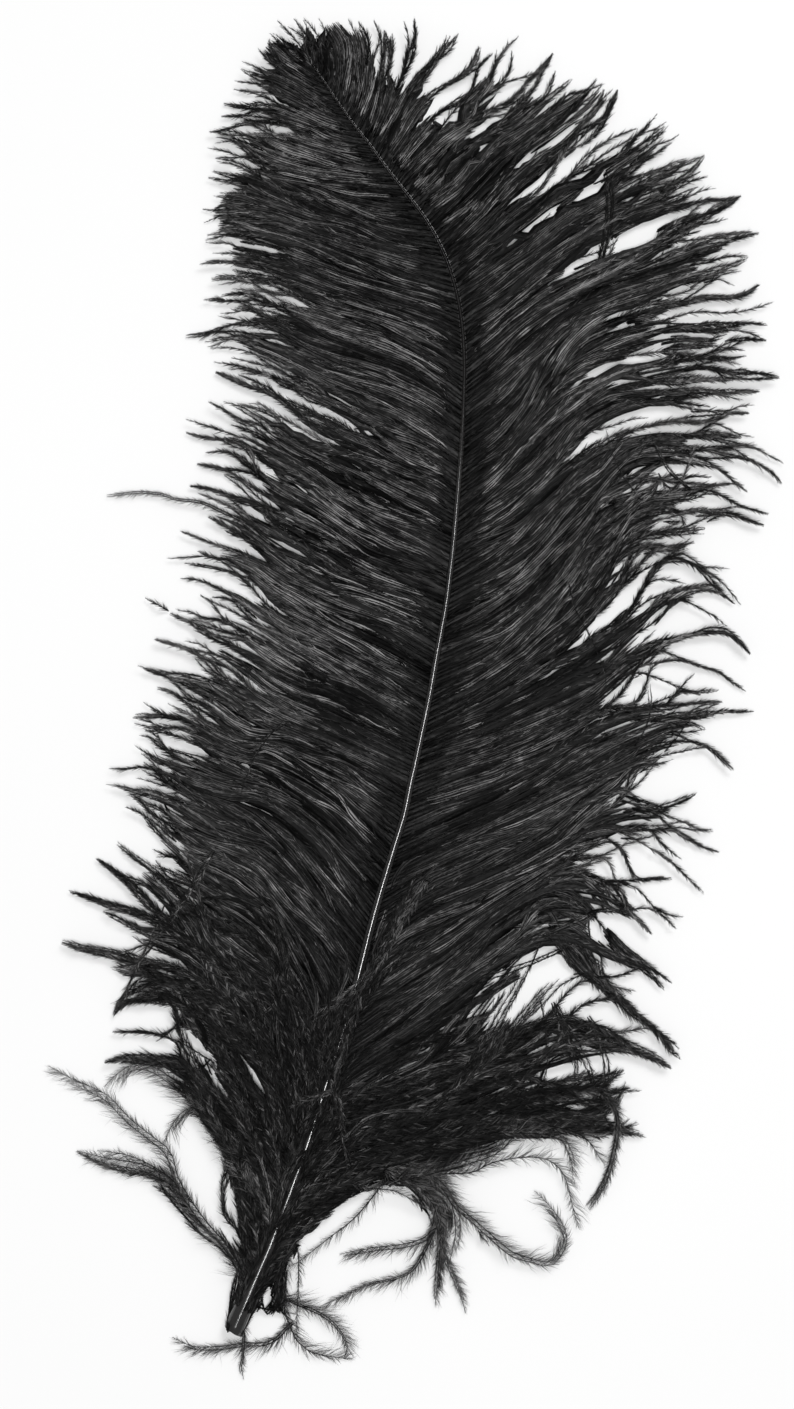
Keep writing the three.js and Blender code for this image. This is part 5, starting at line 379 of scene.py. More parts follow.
    (81.2,264.5,81.8,264.3,81.1,262.8,80,261.7,78.8,262,78.1,261.8,78.3,262.1,80,263.1),
    (58.8,261.9,59.8,261.7,58.9,260,54.7,256.2,54.3,256,53.8,256.8,54.4,257.9,55.8,258.7),
    (4.6,258.8,4.8,258.2,1.5,254.9,1.5,253.9,5,256.6,6.1,256.4,3.2,253.2,1.6,252.6,-0.5,249.4,-1.2,249.7,1.1,254.9),
    (77.2,258.8,77.5,258.1,76.9,256.1,76.3,256.6,75.5,256.2,75.4,255.3,74.6,255.1,73.3,255.2,73.3,255.7),
    (67.1,257.1,69.4,257,69.5,256,66.2,252.7,65.3,252.5,64,253,63.2,254),
    (24.4,256.2,24.6,254.7,23.7,253.8,21.8,253.4,23.7,255.1,23.4,255.4,17.7,252.4,15.5,250.6,14.7,251.2,14.8,251.8,16.2,251.6,20.4,254.4),
    (-65.8,254.4,-60.7,254.1,-57.7,253.1,-57.3,252.5,-65.5,253.7),
    (38.9,254.4,37.3,252.9,34.1,252.2,33.4,251.2,31.5,250.4,31.2,249.5,31,250.5,33.2,252.7,37,253.3),
    (73.2,254.4,73.8,254.2,72.5,253,70.6,252.2,68.4,250.5,66.8,247.7,64.9,246.5,64.4,245.2,60.8,243.1,60.5,243.5,61.8,245.6,62.9,245.5,66,248.9,67.2,249.4,69.7,252.7),
    (27,252.7,27.6,252.7,27.7,250.7,26.8,249.9,25.6,249.7,24.4,250.1),
    (-64.4,250.4,-62.1,250,-59.7,248.1,-51.4,248.4,-49.4,247.8,-53.6,247.9,-55.4,247.1,-59.6,247.7,-61.1,248.8,-62,248,-62.8,248.3,-66.4,247.5,-69.9,248,-72.3,247.7,-72,248.3,-70.3,248.8,-66.3,249.2,-65,248.4,-63.8,248.4,-63.4,248.7),
    (9,250,3.7,243.4,4,242.7,6.4,244.3,7.4,244.1,2.3,239.6,-0.1,237.1,-1.1,238.1),
    (101.4,246.9,102,246.9,101.8,246.5,98.9,244.1,97.2,242.8,96.2,242.8,96.6,244.3,97.4,245.2,98.9,244.6),
    (8.5,246,8.7,245.4,7.9,244.6,7.7,245.2),
    (93.9,246.1,94.5,245.9,92.2,244.3,93.2,243.7,91.9,241.5,88.8,238.8,87.8,238.2,90.6,241.1,91.7,244.3),
    (104.5,245.6,105.1,245.6,105.2,244.9,104.2,243.2,102.1,242.3,101.1,242.9,99.5,242.7,99.4,243.2,101.4,244.7,102.5,244.1),
    (-74.6,242.5,-73.6,241.6,-72.1,238.7,-74.3,238.3,-75,239,-74,238.9,-73.6,239.5),
    (27.5,242.5,27.4,240.5,28.1,239.3,27,238.6,26.2,238.9,26.1,240),
    (38,241.6,38.6,241,36.7,238.6,33.2,235.1,31,233.7,27.7,229.7,27.1,230.2,27.9,231.5,31.2,236.2,31.6,236.3,31.5,235.3,32.2,235.2,33.8,236.6,33.8,237.2,32.7,237.1,32.4,237.7,34.9,239.5,36.3,241.2),
    (13.4,240.3,14,240.1,13.1,237.6,12.7,238.6,11.4,238.4,7.2,233.3,6.7,232.1,7.8,231.3,6.7,230.4,5.4,229.1,4.6,229.8,7.2,234.2,11.2,238.6),
    (23.5,239.5,24.2,239.1,23.7,237.1,20.4,233.8,20,233.6,20,234.2,21.8,238.1),
    (50.8,239.5,52.3,239.3,50.8,237.3,48.3,235.3,45.1,233.7,44.5,233.1,44.2,233.7,46.4,236.8),
    (20,239,20.7,237.9,20.2,236.2,19.1,236.3,18.8,234,17.1,232.3,16,232,15.3,231,12,229,12.1,228.3,12.7,228.3,16.8,230.3,17.5,230.2,17.5,229.2,16.5,228.5,15.8,227,11.2,224.1,9.4,222.3,8.6,222.1,8.1,223.2,10.1,225.2,10.5,226.5,12.2,227.6,11.5,228.1,9,226.7,13.4,232,15.6,233.7,17.3,233.8,18.5,236.1,17.4,236.4,18.9,238.4),
    (28.4,238.6,29.4,238.6,29.4,238,25.7,233.3,25.5,231.8,23.1,229.4,22.2,229.2,22.1,229.9,23.7,231.8,24.4,234.2,27.3,237.9),
    (105.3,238.1,103.8,236.2,100.1,234.6,97.3,232.2,97.1,232.4,100.5,235.5),
    (83.4,237.3,85.4,237.4,85.7,236.7,82.7,234.9,81.6,235.5,79.4,234.2,78.7,231.8,77.6,230.7,76.4,230.1,76.4,231.1,77.2,232.4,78.2,232.7,77.9,234.4),
    (-68.8,235.9,-64.1,233.9,-62.1,233.7,-61.2,232.9,-61.4,232.5,-65.4,232.2,-67.8,233.8),
    (40.7,235.9,41.7,235.7,32.8,224.5,32.5,223,31,221.4,30.7,220.4,28.8,219.2,28.3,219.1,27.5,219.9,27.9,221,32.5,225.6,36.7,232.9),
    (61.3,235.9,54.3,229.4,48.8,225.2,51,227.8,54.1,229.6),
    (113.3,235.9,114.8,235.5,115.7,234,112.6,232.3,115.2,234.6,114.2,234.6,111.5,233.3,109.8,232,110.4,231.1,109.9,230.5,103.5,227.7,101.3,228.1,100.3,227,95.7,225.4,95,224.4,91.5,222.6,90,222.8,90.8,223.6,91.5,223,92.3,223.4,93.6,224.7,93.4,225,92.2,224.4,91.8,225.8,101.4,230.3,101.5,230.7,100.9,230.8,98.4,229.6,99.2,230.7,103.8,231.9,105.8,233.3,109.3,234.6,110.8,234.5),
    (55.2,234.6,55.8,234.6,55.6,233.8,51.4,230.5,50.8,230.5,51,231.3),
    (93.9,234.2,95,234,94.1,233.1,93,233.3,91.9,232.7,91.2,231.2,91.5,231,92.1,231.5,92.4,231.2,91.9,230.5,90.4,230.5,91.3,232.8),
    (83.3,232,83.6,231.3,82.8,230.4,83.1,229.6,81.5,228.6,80.7,229.2,80.8,230.6),
    (94.4,230.7,96.3,230.7,97.6,229.4,96,228.6,94.7,228.2,94.5,228.9,93.5,229.2),
    (89.1,230.2,89.7,229.2,86.6,227,86,227,86,228),
    (40.2,228.5,41.3,228.3,40.4,226.5,37.6,223.2,37.1,223,36.8,223.7,37.6,225.8),
    (70.2,227.1,70.8,226.9,69,225.2,58.2,218.5,57.7,218.9,57.9,220.1,60.2,220.8,63.7,223.5,66.2,226.2,67.8,226),
    (81.6,226.7,83.5,226.7,83.7,225.5,83.4,224.8,83.1,225.4,81.6,225.6,79,225.6),
    (47.7,224.9,42.9,219.7,42,217.5,42.6,216.8,40,215.1,39.1,213.8,38.4,213.6,39,214.8,40.4,216,42.4,219.7),
    (56.1,224.9,57.5,223.9,48.3,217.7,45.1,216.2,43.8,216,44.2,216.6,47.8,219.2,50.5,220.4,51.2,221.4,53.2,222.1),
    (100.5,224.1,103,223.7,103.1,223.2,99.7,221.8,98.1,219.9,96.6,219.6,95.4,218.6,94.8,219,91.3,219.5,92.4,220.8,94.8,222.3),
    (115.5,223.6,114.2,222.3,115.6,221.7,113.2,221.1,111.4,220.7,111.3,221.2),
    (74.1,223.2,74.1,222.3,69.9,218.1,65.2,214.6,64.9,214.8,66,215.9,71.9,220.6),
    (117.2,222.7,117.8,222.6,116.7,222,116,222.3),
    (49.5,221.9,50.5,221.7,47.7,220.5,43.5,217.7,42.9,217.5,43.8,218.3),
    (76.3,220.1,76.9,219.9,75.9,219.1,78.7,219,74.9,217.2,74.2,217.5,75.6,218.8,74.6,218.8,70.6,216.6,71.9,217.9),
    (61.8,216.6,62.8,216.6,62.8,214.7,60.5,215.7,54.1,210.7,52.8,209.8,52.8,210.2,56.1,213.1),
    (69.3,216.1,69.8,216,66.8,213.8,64.4,213.1,62.9,211.6,60.9,210.9,59.8,208.5,59.1,208.4,58.8,208.7,59.6,210.4,61.3,212.2,62.9,212,64.4,213.5,68.1,215.1),
    (120.4,216.1,120.9,216.1,120.7,215.7,118.7,214.2,113.6,212.8,111.4,212.8,111.1,213.1,112.7,213.6,114.8,213.8,116.4,215.3,118.9,215),
    (49.5,214.8,51.4,214.8,50.8,213.5,45.1,210,43.3,208.3,42.3,207.9,42,208.6,43,209,43.8,210.4,45.7,211.1,46.8,212.2,47.5,212.1),
    (125.2,212.6,125.7,212.4,122.3,209.8,113,206.3,112.4,206.5,114.2,207.8,120.9,210.3),
    (84.7,206.9,85.7,206.9,86.2,205.9,85.6,206.4,85.3,205.4,82.3,204.1,81.6,205.1,79.6,203.2,75.5,202,75.6,201,73,199.7,72.8,200.3,77.6,204.3),
    (121.2,206.5,121.8,206.3,120.1,205,115.3,202.3,115.2,201,114.3,200.6,113.3,200.8,114.2,202,119,205.6),
    (108,205.6,108.6,205.4,107.3,203.2,103.4,199.7,106.4,202.8,106.3,204.3),
    (50.3,203.8,50.1,202.8,49,202.5,36,193.1,33.1,191.7,32.8,192.4,33.8,193.5,34.9,195.4,35.2,194.7,34.6,193.1,36,193.5),
    (131.7,202.9,134.4,201.9,134.5,201.4,133.4,200.9,132.8,201.6,130.7,202.1,130.5,202.5),
    (-78.5,202.5,-76.2,202.1,-75.8,201.5,-77.2,200.6,-74.7,199.6,-68.6,199.5,-64.3,198.5,-60.8,196.8,-59.9,195.9,-60.3,195.3,-79.1,199.6,-79.4,200.3,-78,201.9),
    (97,199.4,100.2,198.5,97.3,197.4,96.2,197.5,96.3,198.5,94.9,198.4),
    (112,197.7,112.5,197.7,112.1,197,106.4,193.6,106.1,194.3,106.6,195.2,107.7,194.9,109.5,196.1,108.1,196.2,108.4,196.8),
    (74.2,197.2,74.7,197,73.7,195.9,73.9,195.2,73.4,194,72.4,193.3,72.1,192.2,70.7,191.8,72,192.6,71.1,193.1,71.1,194.6),
    (126,191.1,127,190.9,125.6,190.2,125.6,189.6,131.1,189.3,132.3,188.4,130.6,187.8,128.6,186.8,127.7,187.7,128.8,188.9,125.5,188.6,124.3,189.1,123.8,189.9,124.1,190.4),
    (74.1,189.7,75.6,189.7,75.2,189.1,72.4,188,69,185.2,66.1,183.7,65.4,183.4,65.8,184,68.1,185.2,69.5,186.5,70.2,188),
    (-64.9,188.9,-55.1,186.2,-52.6,184.7,-52.6,184.1,-53.2,183.8,-57.4,185.2),
    (87.3,188,88.8,188,88.6,186.7,84,184.3,83.3,184.6,83.6,186,84.7,187.1,85.3,186.5),
    (-68.4,187.5,-63.9,186.2,-61.3,184.9,-62,184.6,-63.7,184.6,-64.7,185.3,-67.9,186.1,-67.4,187.1),
    (-73.7,185.8,-69,185.5,-67.1,184.7,-67,184.3,-67.7,184.2,-68.5,184.4,-71.6,183.8,-73.8,184.2,-74.3,185),
    (117.7,184.4,117.4,183.8,115.7,183,106.5,180.4,106.3,180.9,111.5,183.1),
    (62.7,184,62,183,59.4,181.6,59.6,180.5,57.3,179.3,56.5,179.1,56.5,179.6,58,181.2),
    (76.7,184,77.5,183.3,76.4,182.3,76.3,181.4,74.7,179.9,72.4,179.2,71.5,179,71.5,180,72.8,180.5,75.5,183.6),
    (123,183.6,123.7,183.3,123.1,182.5,119.5,181.6,120.2,181.1,122,181.5,123.5,181.2,121.1,180.2,119.3,180.6,116.4,180.1,112.4,178.3,111.7,177.2,109.2,175.8,107.2,176.1,109,176.4,112.4,179.6,116.8,181.8),
    (-74.1,182.7,-69.5,182.8,-69.1,182.1,-70,181.2,-72.1,181.9,-72.3,181.2,-72.8,181.2),
    (-60.9,182.7,-52.9,180.1,-50.7,177.9,-51,177.6,-54.4,178.1,-55.5,179.2,-60,181.2,-60,182.3),
    (-48.2,179.2,-45.8,178.7,-45.1,178.1,-44.8,176.7,-45.4,175.9,-46.9,176.4,-48.4,177.9,-48.7,178.4),
    (-56.5,176.5,-53.3,176.5,-51.7,175,-49.3,173.9,-48.4,172.3,-48.9,171.6,-49.5,171.7,-50.5,171.4,-51.1,172.1,-53.9,172.9,-57,174.6,-57.4,175.2,-56.4,175.5),
    (101.8,173.9,103.3,173.9,102.9,173.3,96.9,172.7,90.3,170.1,88.7,169.8,90,170.8,93.2,171.5,96.6,173),
    (101.8,172.1,104.2,171.1,101.7,170.5,99.5,170.9,95.3,169.5,94.8,168.5,93.5,169.3,93.9,169.9),
    (111.5,170.4,111.2,167.1,107.4,166.6,106.3,167.1,106.9,168.4),
    (87.7,169.5,86.5,167.8,87.4,167.1,85.7,166.2,84.7,166.3,84.3,166.9),
    (-62.2,167.3,-59.9,167.3,-57.7,165.1,-57.9,164.7,-59.2,164.5,-62.1,166.5),
    (93.5,165.1,96.2,164.7,95.9,164.1,89.1,162,87.2,160.4,85.6,161.6,89.1,163.3,91,163.2,93.6,164.5),
    (110.2,164.2,112.1,164.2,111.3,163.6,110.5,163.9,109.2,163.1,107.9,163,105.4,163.8),
    (-72.8,163.8,-70.5,163.3,-70.5,162.8,-73.8,161.7,-75.9,162,-72.7,162.8),
    (124.7,163.8,127.6,163.9,128.6,163.1,131.2,163,131.2,162.6,124.6,163.1,124.3,163.4),
    (64,162.9,65.4,162.9,64.9,161.6,61.5,159.2,60.4,159.1,60.3,159.6,63.5,161.2,64.6,162.3,63.2,162.3),
    (-66.2,162.5,-63.8,162.1,-62.1,161.2,-61.7,160.5,-62.1,160.1,-64,160.2,-64,159.7,-62,159.5,-59.2,158.3,-55.5,154.6,-56.3,153.8,-58,154.2,-67.4,158.9,-72.3,160.5),
    (-69.4,160.8,-69.7,160.5,-68.5,160,-66.9,160.1,-66.5,160.5,-66.8,160.8),
    (117.2,161.1,131.2,160.8,132.5,160,131.5,158.8,129,158.6,128.1,157.3,126.5,157.4,128,158.3,126.3,159.1,122,159.1,118.9,159.9,117.5,159.5,115.8,159.9,111.9,159.1,111.6,159.4,112.6,159.7,113.2,160.8),
    (56.1,159.4,56.7,159.4,56.8,158.7,55.8,156.6,53.9,154.1,52.9,153.8,52.1,154.4,52.1,155.9),
    (120.8,156.3,123.7,156.4,124.1,156,123.7,155.6,116.7,155.1,114.2,154.8,114.2,155.4,115,155.8,117.1,155.6),
    (115.5,153.7,122.8,153.3,122.8,152.9,119.9,152.8,121.3,151.7,119.8,151.6,118.3,150.4,116.6,150,114,150.2,110.9,149,106.6,148.5,106.3,148.2,106.8,147.8,106,147.4,105.5,147.9,104.4,148,103.4,147.2,101.3,146.8,101,147.1,102,147.3,101.9,147.9,102.7,148.4,105.6,148.5,113.6,151.6,117.8,151.3,113.1,152.4,112.9,153.2),
    (-70.6,151,-66.9,150.6,-64.3,148.8,-63.9,147.8),
    (118.6,147.9,122.6,147.9,122.7,146.5,121.2,146.6,120.6,145.9,120.2,147.2,117.3,147.3),
    (-59.1,147.5,-54.6,145.7,-46.8,141.3,-47.3,141.2,-50.1,142.8,-51.4,142.4,-50.4,141.2,-46.9,139.4,-44.9,139.4,-43.9,140.1,-38.4,137.4,-38.5,136.3,-36.1,135.6,-33.2,132.4,-29.5,130.8,-28.7,129.9,-28.5,128.3,-34.4,130.8,-36.3,131.5,-36.1,132.7,-36.6,133.4,-39.4,133.7,-42.6,135.3,-44.8,135.3,-46.7,137.4,-47.3,137.4,-47.3,136.8,-54.6,140.5,-57,140.8,-56.6,141.8,-55,141.8,-49.5,139,-47.8,138.6,-47.6,139.1,-54.7,142.5,-53.8,143,-53.8,143.5,-56.1,144.7),
    (104.5,145.3,108.1,145.1,102.9,144.2,101.2,143.7,99.7,144),
    (87.8,144.4,88.9,144.5,89.1,144,87.3,143.5,85.6,142.2,84.3,142.1,84.7,143.5),
    (122.1,143.5,123.1,143.3,121.4,141.6,116.7,140.6,116.2,139.7,114.5,139.7,113.2,140.6,112,140.3,111.1,140.7,111.5,141.3,118.5,143.2),
    (96.6,141.3,98.5,141.3,99,140.6,98.5,139.9,94.7,139.7,90.3,138.4,88.3,138.5,88.7,139.6,89.5,140),
    (74.6,140.9,75.2,140.7,74.1,139.7,75.2,138.9,73.9,137.7,73.8,138.7,73.1,138.8,70.9,138,70.2,138.3,71.5,139.6,73,139.8),
    (76.8,140,77.4,139.8,76.2,139.3,75.5,139.6),
    (-42.7,138.2,-43,138,-42.5,137.2,-39.6,136.2,-39.2,136.9,-41.2,137.2),
    (110.3,138.3,116.2,138.4,116.6,138,116.4,136.8,120.5,136.9,122.5,135.9,122.3,135,118.5,135.3,117.1,136.2,105.1,136.5,100,136.6,98.2,135.8,96.5,135.8,95.7,136.5,97,137.4,98.6,137.1,104.3,137.9,105,137.2,107,136.7,107.1,137.2,105.9,137.8,110.5,137.5,110.8,137.8),
    (-56.5,137.4,-46.3,131.7,-45.1,130.2,-39.7,128.6,-36.2,126.8,-35.8,125.8,-33.1,125.5,-31.9,124.5,-20.3,119.8,-19.3,118.6,-16.7,119,-13.3,117.6,-12.7,116.4,-13.3,115.2,-14.4,115.5,-18,114.2,-21.6,117.1,-22.6,117.1,-22.3,116.1,-23.4,117.1,-27.3,118.9,-34.1,120.5,-36.3,122.4,-38.2,122.1,-40.5,123.7,-49.5,126.7,-49.2,127.4,-46.6,127.8,-44.9,127.3,-42.9,125.3,-41.8,125.5,-39.9,124.5,-34.8,123.3,-33.7,122.3,-30,121.1,-25.9,119.1,-24.2,119,-25.6,121.5,-29.7,122.7,-31.3,123.7,-43.4,128.4,-44.5,129.5,-46.4,130.2,-49.3,133),
    (-28.8,134.3,-27.8,134.3,-25.8,133.2,-24.9,130.8,-25.8,130.6,-28.6,132.6,-29.4,133.6),
    (97,133.9,100.8,134,106.4,133,107.2,132.4,102.6,131.4,97.3,133.1,92.7,132.8,93.4,133.5),
    (-23.6,132.5,-21.9,132.6,-20.3,132.1,-17,129.3,-17.2,128.4,-24,131,-24.4,131.7),
    (115.9,132.1,118.4,132.2,119.8,131.4,121.9,131.8,122.2,131.5,121.6,130.8,121,130.1,119.3,130.1,118,130.9,115.9,131.1,115.5,131.5),
    (-69.8,129.9,-63.9,128.6,-58.2,123.8,-61.8,125.8,-63.4,127.3,-66.3,128.2,-66.6,128,-63.6,126.2,-63.1,124.5,-59.9,122.9,-59.9,122.3,-61.2,121.8,-62.1,122.4,-62.8,122.2,-63.9,123.3,-68.7,125.5,-68.8,125.9,-67.4,126.2,-67.8,126.8,-71.5,127.2,-71.4,125.8,-72.3,125.9,-72,125.3,-69.6,124.6,-62.6,120.7,-64.1,120.4,-65.5,121.2,-65.9,119.9,-64.9,117.4,-63.4,116.3,-64.2,115.6,-66.1,118.9,-69.5,120.3,-71.9,120.7,-71.5,120.1,-68.7,118.9,-69.1,117.9,-72,117.7,-68.3,114.9,-67.8,112.6,-70.6,114.4,-72.2,116.2,-73.7,115.7,-75.6,117.2,-75.3,115.7,-76.8,116.1,-76.4,117.6,-75,118.9,-73.4,119.4,-70.5,118.7,-74.2,121.4,-74.7,123.9,-73.7,126.8,-71.1,129.4),
    (-33.2,129,-30,128.1,-27.4,126.2,-31.9,128),
    (82.9,123.7,83.5,123.6,81.2,121.5,79,118.9,78.5,117.6,77.1,116.9,76.4,117,76.5,117.8,79.6,120.1,80,121.3),
    (-58.7,122.4,-57.8,122.4,-57.7,121.6,-53.9,118.3,-50.2,117.1,-48.8,116,-50,115.7,-54.4,117.8,-55.5,119.3,-58.1,121.1),
    (-46.8,119.3,-40.7,115.6,-37,114.1,-36.2,113,-42,115.6),
    (91.3,116.7,91.8,116.5,90.8,115.5,91.4,114.8,89.7,113.9,89.1,113.5,88.6,113.9,88.6,115.4),
    (86.9,114.9,87.6,114.6,87.5,113.1,86,113.2,83.1,111.3,80.6,110.7,79.8,111.1,80.3,111.9,82.8,112.8,84.4,112.6),
    (73.7,114.5,74.3,114.3,72.8,113.2,72,109.7,73,108.1,71.4,107.2,69.3,107.3,69.3,107.9,70.3,109,71.9,112.7),
    (79.8,113.2,79.6,112.6,77.6,111.9,73.5,108.6,75,110.5),
    (-35.4,112.7,-32.6,112.3,-28.2,110.5,-26.7,109.4,-25.4,109.7,-23.8,109.2,-23,108.1,-24.4,107.7,-26.2,108.2,-26.8,108.9,-32.8,110.4,-33.6,111,-32.2,110.9,-32.2,111.4),
    (-76.4,112.3,-74.9,111,-74.6,110,-72.9,109.5,-72.4,107.7,-70.9,106.1,-70.9,102.9,-72,104.2,-72.9,105.4,-71.8,106,-72,106.4,-76.3,109.5,-75.7,110.2,-76.9,111.1),
    (-70.6,111.4,-68.7,111.4,-67.8,110.5,-67.4,109.7,-67.7,109.4,-71,109.9),
    (123,109.7,125.9,109.8,127.5,109.2,127.9,108.2,125.9,108,120.8,108.6,120.8,109.2),
    (-68.9,108.3,-66.1,107.9,-60.1,103.8,-56.4,102.2,-55.5,101.3,-56.2,100.6,-60.5,102.9,-63,105.3,-64.2,105,-66.9,106.6,-67.6,106.5),
    (-69.8,106.1,-66.2,102.9,-63,101.7,-61.8,100.7,-56.4,100,-54.6,98.7,-54.6,98,-55.4,97.5,-56.7,98.3,-58,98,-59.7,98.4,-61.2,99.5,-62.3,99,-66.7,99.8,-68.9,102,-69.8,103.8),
    (-36.3,106.1,-25.9,104.9,-23.4,103.5,-24.1,102.3,-25,101,-28.5,101.5,-32.2,103.9,-35.4,105.1),
    (112.4,106.1,118.4,106.3,120.2,105.9,121.1,106.2,124.1,105.8,127.5,103.9,126.7,102.5,123.7,104.5,121.2,104.2,120.2,104.9,118.9,104.6,117.1,105.4,115.4,105,112.7,105.4),
    (100.5,104.4,106.5,104,106.8,103.4,105.2,103.2,104,102.5,103.3,103.9,100.1,103.8),
    (-75,103.9,-73.5,103.5,-71.8,101.7,-71.3,99.9,-73.1,100.9,-74.4,102.2,-74.9,101.2,-75.4,101.2,-75.9,102.6,-74.9,102.5),
    (-45.5,103.9,-41,103.1,-41.1,102,-39.8,100.7,-38.5,100.2,-37.9,99.6,-38.2,99.3,-41.8,102.2,-42.9,101.6,-43.2,102.6),
    (97,103.5,97.6,103.3,94.5,100.3,91.5,99.3,90.8,97.9,91.4,97.3,91.1,97.1,89.6,97.8,91.5,101.1,94.5,102),
    (-40.2,102.6,-37.5,101.3,-33.5,97.8,-33.1,97.4,-33.4,97.1,-35.4,98,-36.6,100),
    (-73.7,99.5,-72.1,98.8,-70.3,99.2,-68.7,98.7,-67.4,96.7,-69.4,97.9,-71,97.2,-67.8,96,-67.3,94.3,-65.6,93.4,-63.6,92.3,-63,91.7,-63.3,91.4,-65.1,92.2,-66.8,91.8,-68.2,92.6,-70.2,92.8,-70.7,93.5,-69.9,94.8,-70.5,96,-72.6,97.8),
    (-31,98.6,-29.1,98.2,-24.3,95.6,-23.8,94.9,-24.5,94.3,-25.3,94.1,-28.7,96.9,-29.7,96.7,-31,98),
    (-39.8,98.2,-36.6,97.3,-36.7,96.7,-35.9,95.9,-34.4,96,-29.3,93.2,-28.6,93.4,-26.2,91.9,-24.7,90.3,-24.9,89.9,-25.9,88.7,-28,89.3,-30.4,92.5,-31.5,92.4,-33.5,94.3,-35.4,95),
    (94.8,98.2,96.7,98,93.5,97.3,92.9,97.1,91.8,97.8),
    (-50,95.6,-48.8,95.7,-46.9,94.9,-44.1,92.1,-44.5,91,-47.6,93.4,-49.5,94.1,-50.4,94.9),
    (122.1,95.6,125.3,94.7,124.9,93.6,124.2,93.1,121.1,93.5,118.2,93.7,118.2,95.1,122,94.9),
    (114.2,94.2,115.6,94.2,115,92.5,113.5,91,111.7,91.7,111.6,92.1,113,92.5,111.1,92.9,113.6,93.1),
    (-71,90.7,-69.6,90.7,-63.5,87.2,-63.4,84.9,-64.7,85,-69,85.6,-71.3,87.2,-72.8,87.5,-71.5,89,-70.5,89.3),
    (-50.8,88.1,-48.4,88.2,-47.6,87.7,-46.6,86,-47.4,84.8,-48.9,86.3,-50.4,86.6,-51.2,87.5),
    (118.2,88.1,123.5,88.1,119.6,86.6,116.4,85.7,116.8,86.3,119.6,87,118.2,87.5),
    (89.1,87.2,90.2,87.3,91,86.6,88.4,84.9,88,85.6,87.1,85.3,86.5,85,86.6,84,85.6,84,86,85),
    (84.2,85.9,84.9,85.6,84.4,84.5,82.9,84.1,82,83.3,81.5,82.5,82.2,81.8,81.4,81.3,80.3,80.5,80.7,82.4,82.5,84.6),
    (-59.6,85,-55.7,82.6,-55.1,81.5,-55.7,81.3,-58.7,82.7,-58.2,83.7),
    (-79,84.6,-76.2,84.1,-73.3,81.7,-73.1,81.4,-73.5,81.5,-75.5,81.8,-79.8,84),
    (-81.6,83.7,-77.1,81.9,-76.1,80.8,-77.2,80.4,-82.9,83.1),
    (-83.8,82.4,-83.2,82.4,-82.4,80.7,-83.3,80,-81.5,79.3,-79,76.5,-78.4,76.5,-78.4,77.9,-76.6,75.8,-77,75.1,-78.9,75.2,-77.7,74.3,-75.7,74,-69.1,70.5,-66,67.9,-65.7,67.3,-66.2,67.3,-70.3,70.1,-71,68.5,-70.2,68.3,-69.6,68.3,-69.5,67.6,-70.6,67.3,-72.2,69.2,-74.4,70.5,-75.9,70.8,-76.6,72.2,-77.7,71.7,-79.7,73.1,-82.8,74.5,-83.3,74.5,-82.4,73.6,-83,73.4,-84.3,74.7,-85.1,76.5,-84.4,77.2,-82.3,76.7,-80.4,75.1,-79.3,75.6,-81.5,77.1,-84.7,77.8,-84.1,78.7,-84.4,79.9,-83.7,80.4,-84.4,81.2),
    (-47.3,82.4,-43.4,80.9,-42.3,79.7,-41.9,78.5,-42.3,77.8,-47.1,80.7,-47.8,81.6),
    (111.1,81.9,112.5,81.8,107,79.9,105.4,80,105.4,80.6,106.2,81.1),
    (-71.9,81,-67.8,79.3,-63.2,75.2,-61.7,75.7,-60.5,74.7,-60.7,74.2,-62.7,74.3,-68.3,78.9,-69.8,79.1),
    (-58.7,81.1,-53.3,79.3,-49.8,77.5,-49,76.5,-54.4,78.2),
    (-61.8,79.3,-60.8,79.3,-59.5,78.4,-59.6,77.4,-58.8,76.9,-57.1,77.2,-55.1,76.2,-49,72.1,-55.7,72.1,-58.7,73.4,-59,74.9,-61,76.5),
    (86.4,76.2,87.1,75.9,86.2,74.3,85.5,74.4,81.8,72.1,80.7,70.9,80,68.8,79.4,69.2,80.9,72.1,82.9,73.2,83.4,74.9,84.6,75.4,85.3,75.2),
    (-50.8,74.9,-42.3,72.3,-41.3,71.1,-41.9,69.9,-42.9,69.5),
    (-61.8,70.9,-59.5,70.5,-56.8,69.2,-55.2,67.7,-53.3,67.4,-51.3,65.9,-48.5,64.8,-47.9,64,-48.4,63.3,-48.9,62.9,-50.5,63.2,-54.8,65.1,-59.6,68.1),
    (-77.2,70.5,-74,69.2,-70.2,65.5,-69.5,63.9,-65.2,61.2,-65.4,60.7,-67.1,61.1,-72.2,63.5,-72.1,64,-70.1,63.7,-70.9,65.7,-74.9,69.2),
    (-50.4,69.2,-47.6,68.7,-46.5,67.6,-44.1,67.4,-43.6,66.8,-44.7,65.7,-45.6,65.1,-47.8,65.9,-48.5,66.9,-49.1,66.8,-50.4,67.7),
    (-83.8,66.1,-81.9,65.7,-78.6,63.7,-78.4,63.3,-79.1,63.2,-81.3,63.6,-83.5,64.4,-84.5,62.9,-85.6,63.3,-85.6,63.9),
    (-59.2,65.6,-54.6,63.5,-54.2,62.8,-54.6,62.4,-55.8,62.3,-58.8,63.3,-59.7,64.9),
    (93.9,64.3,93.7,62.9,92.6,62.6,88.8,55.8,87.8,55.1,91,60.2,90.4,61.3),
    (93.9,60.8,95.9,60.4,97.2,58.9,94.8,57.2,95,59.1,94.3,59.5,93,58.2,91.2,54.8,89.5,51.6,88.5,50.9,88.2,51.6,93.1,60.4),
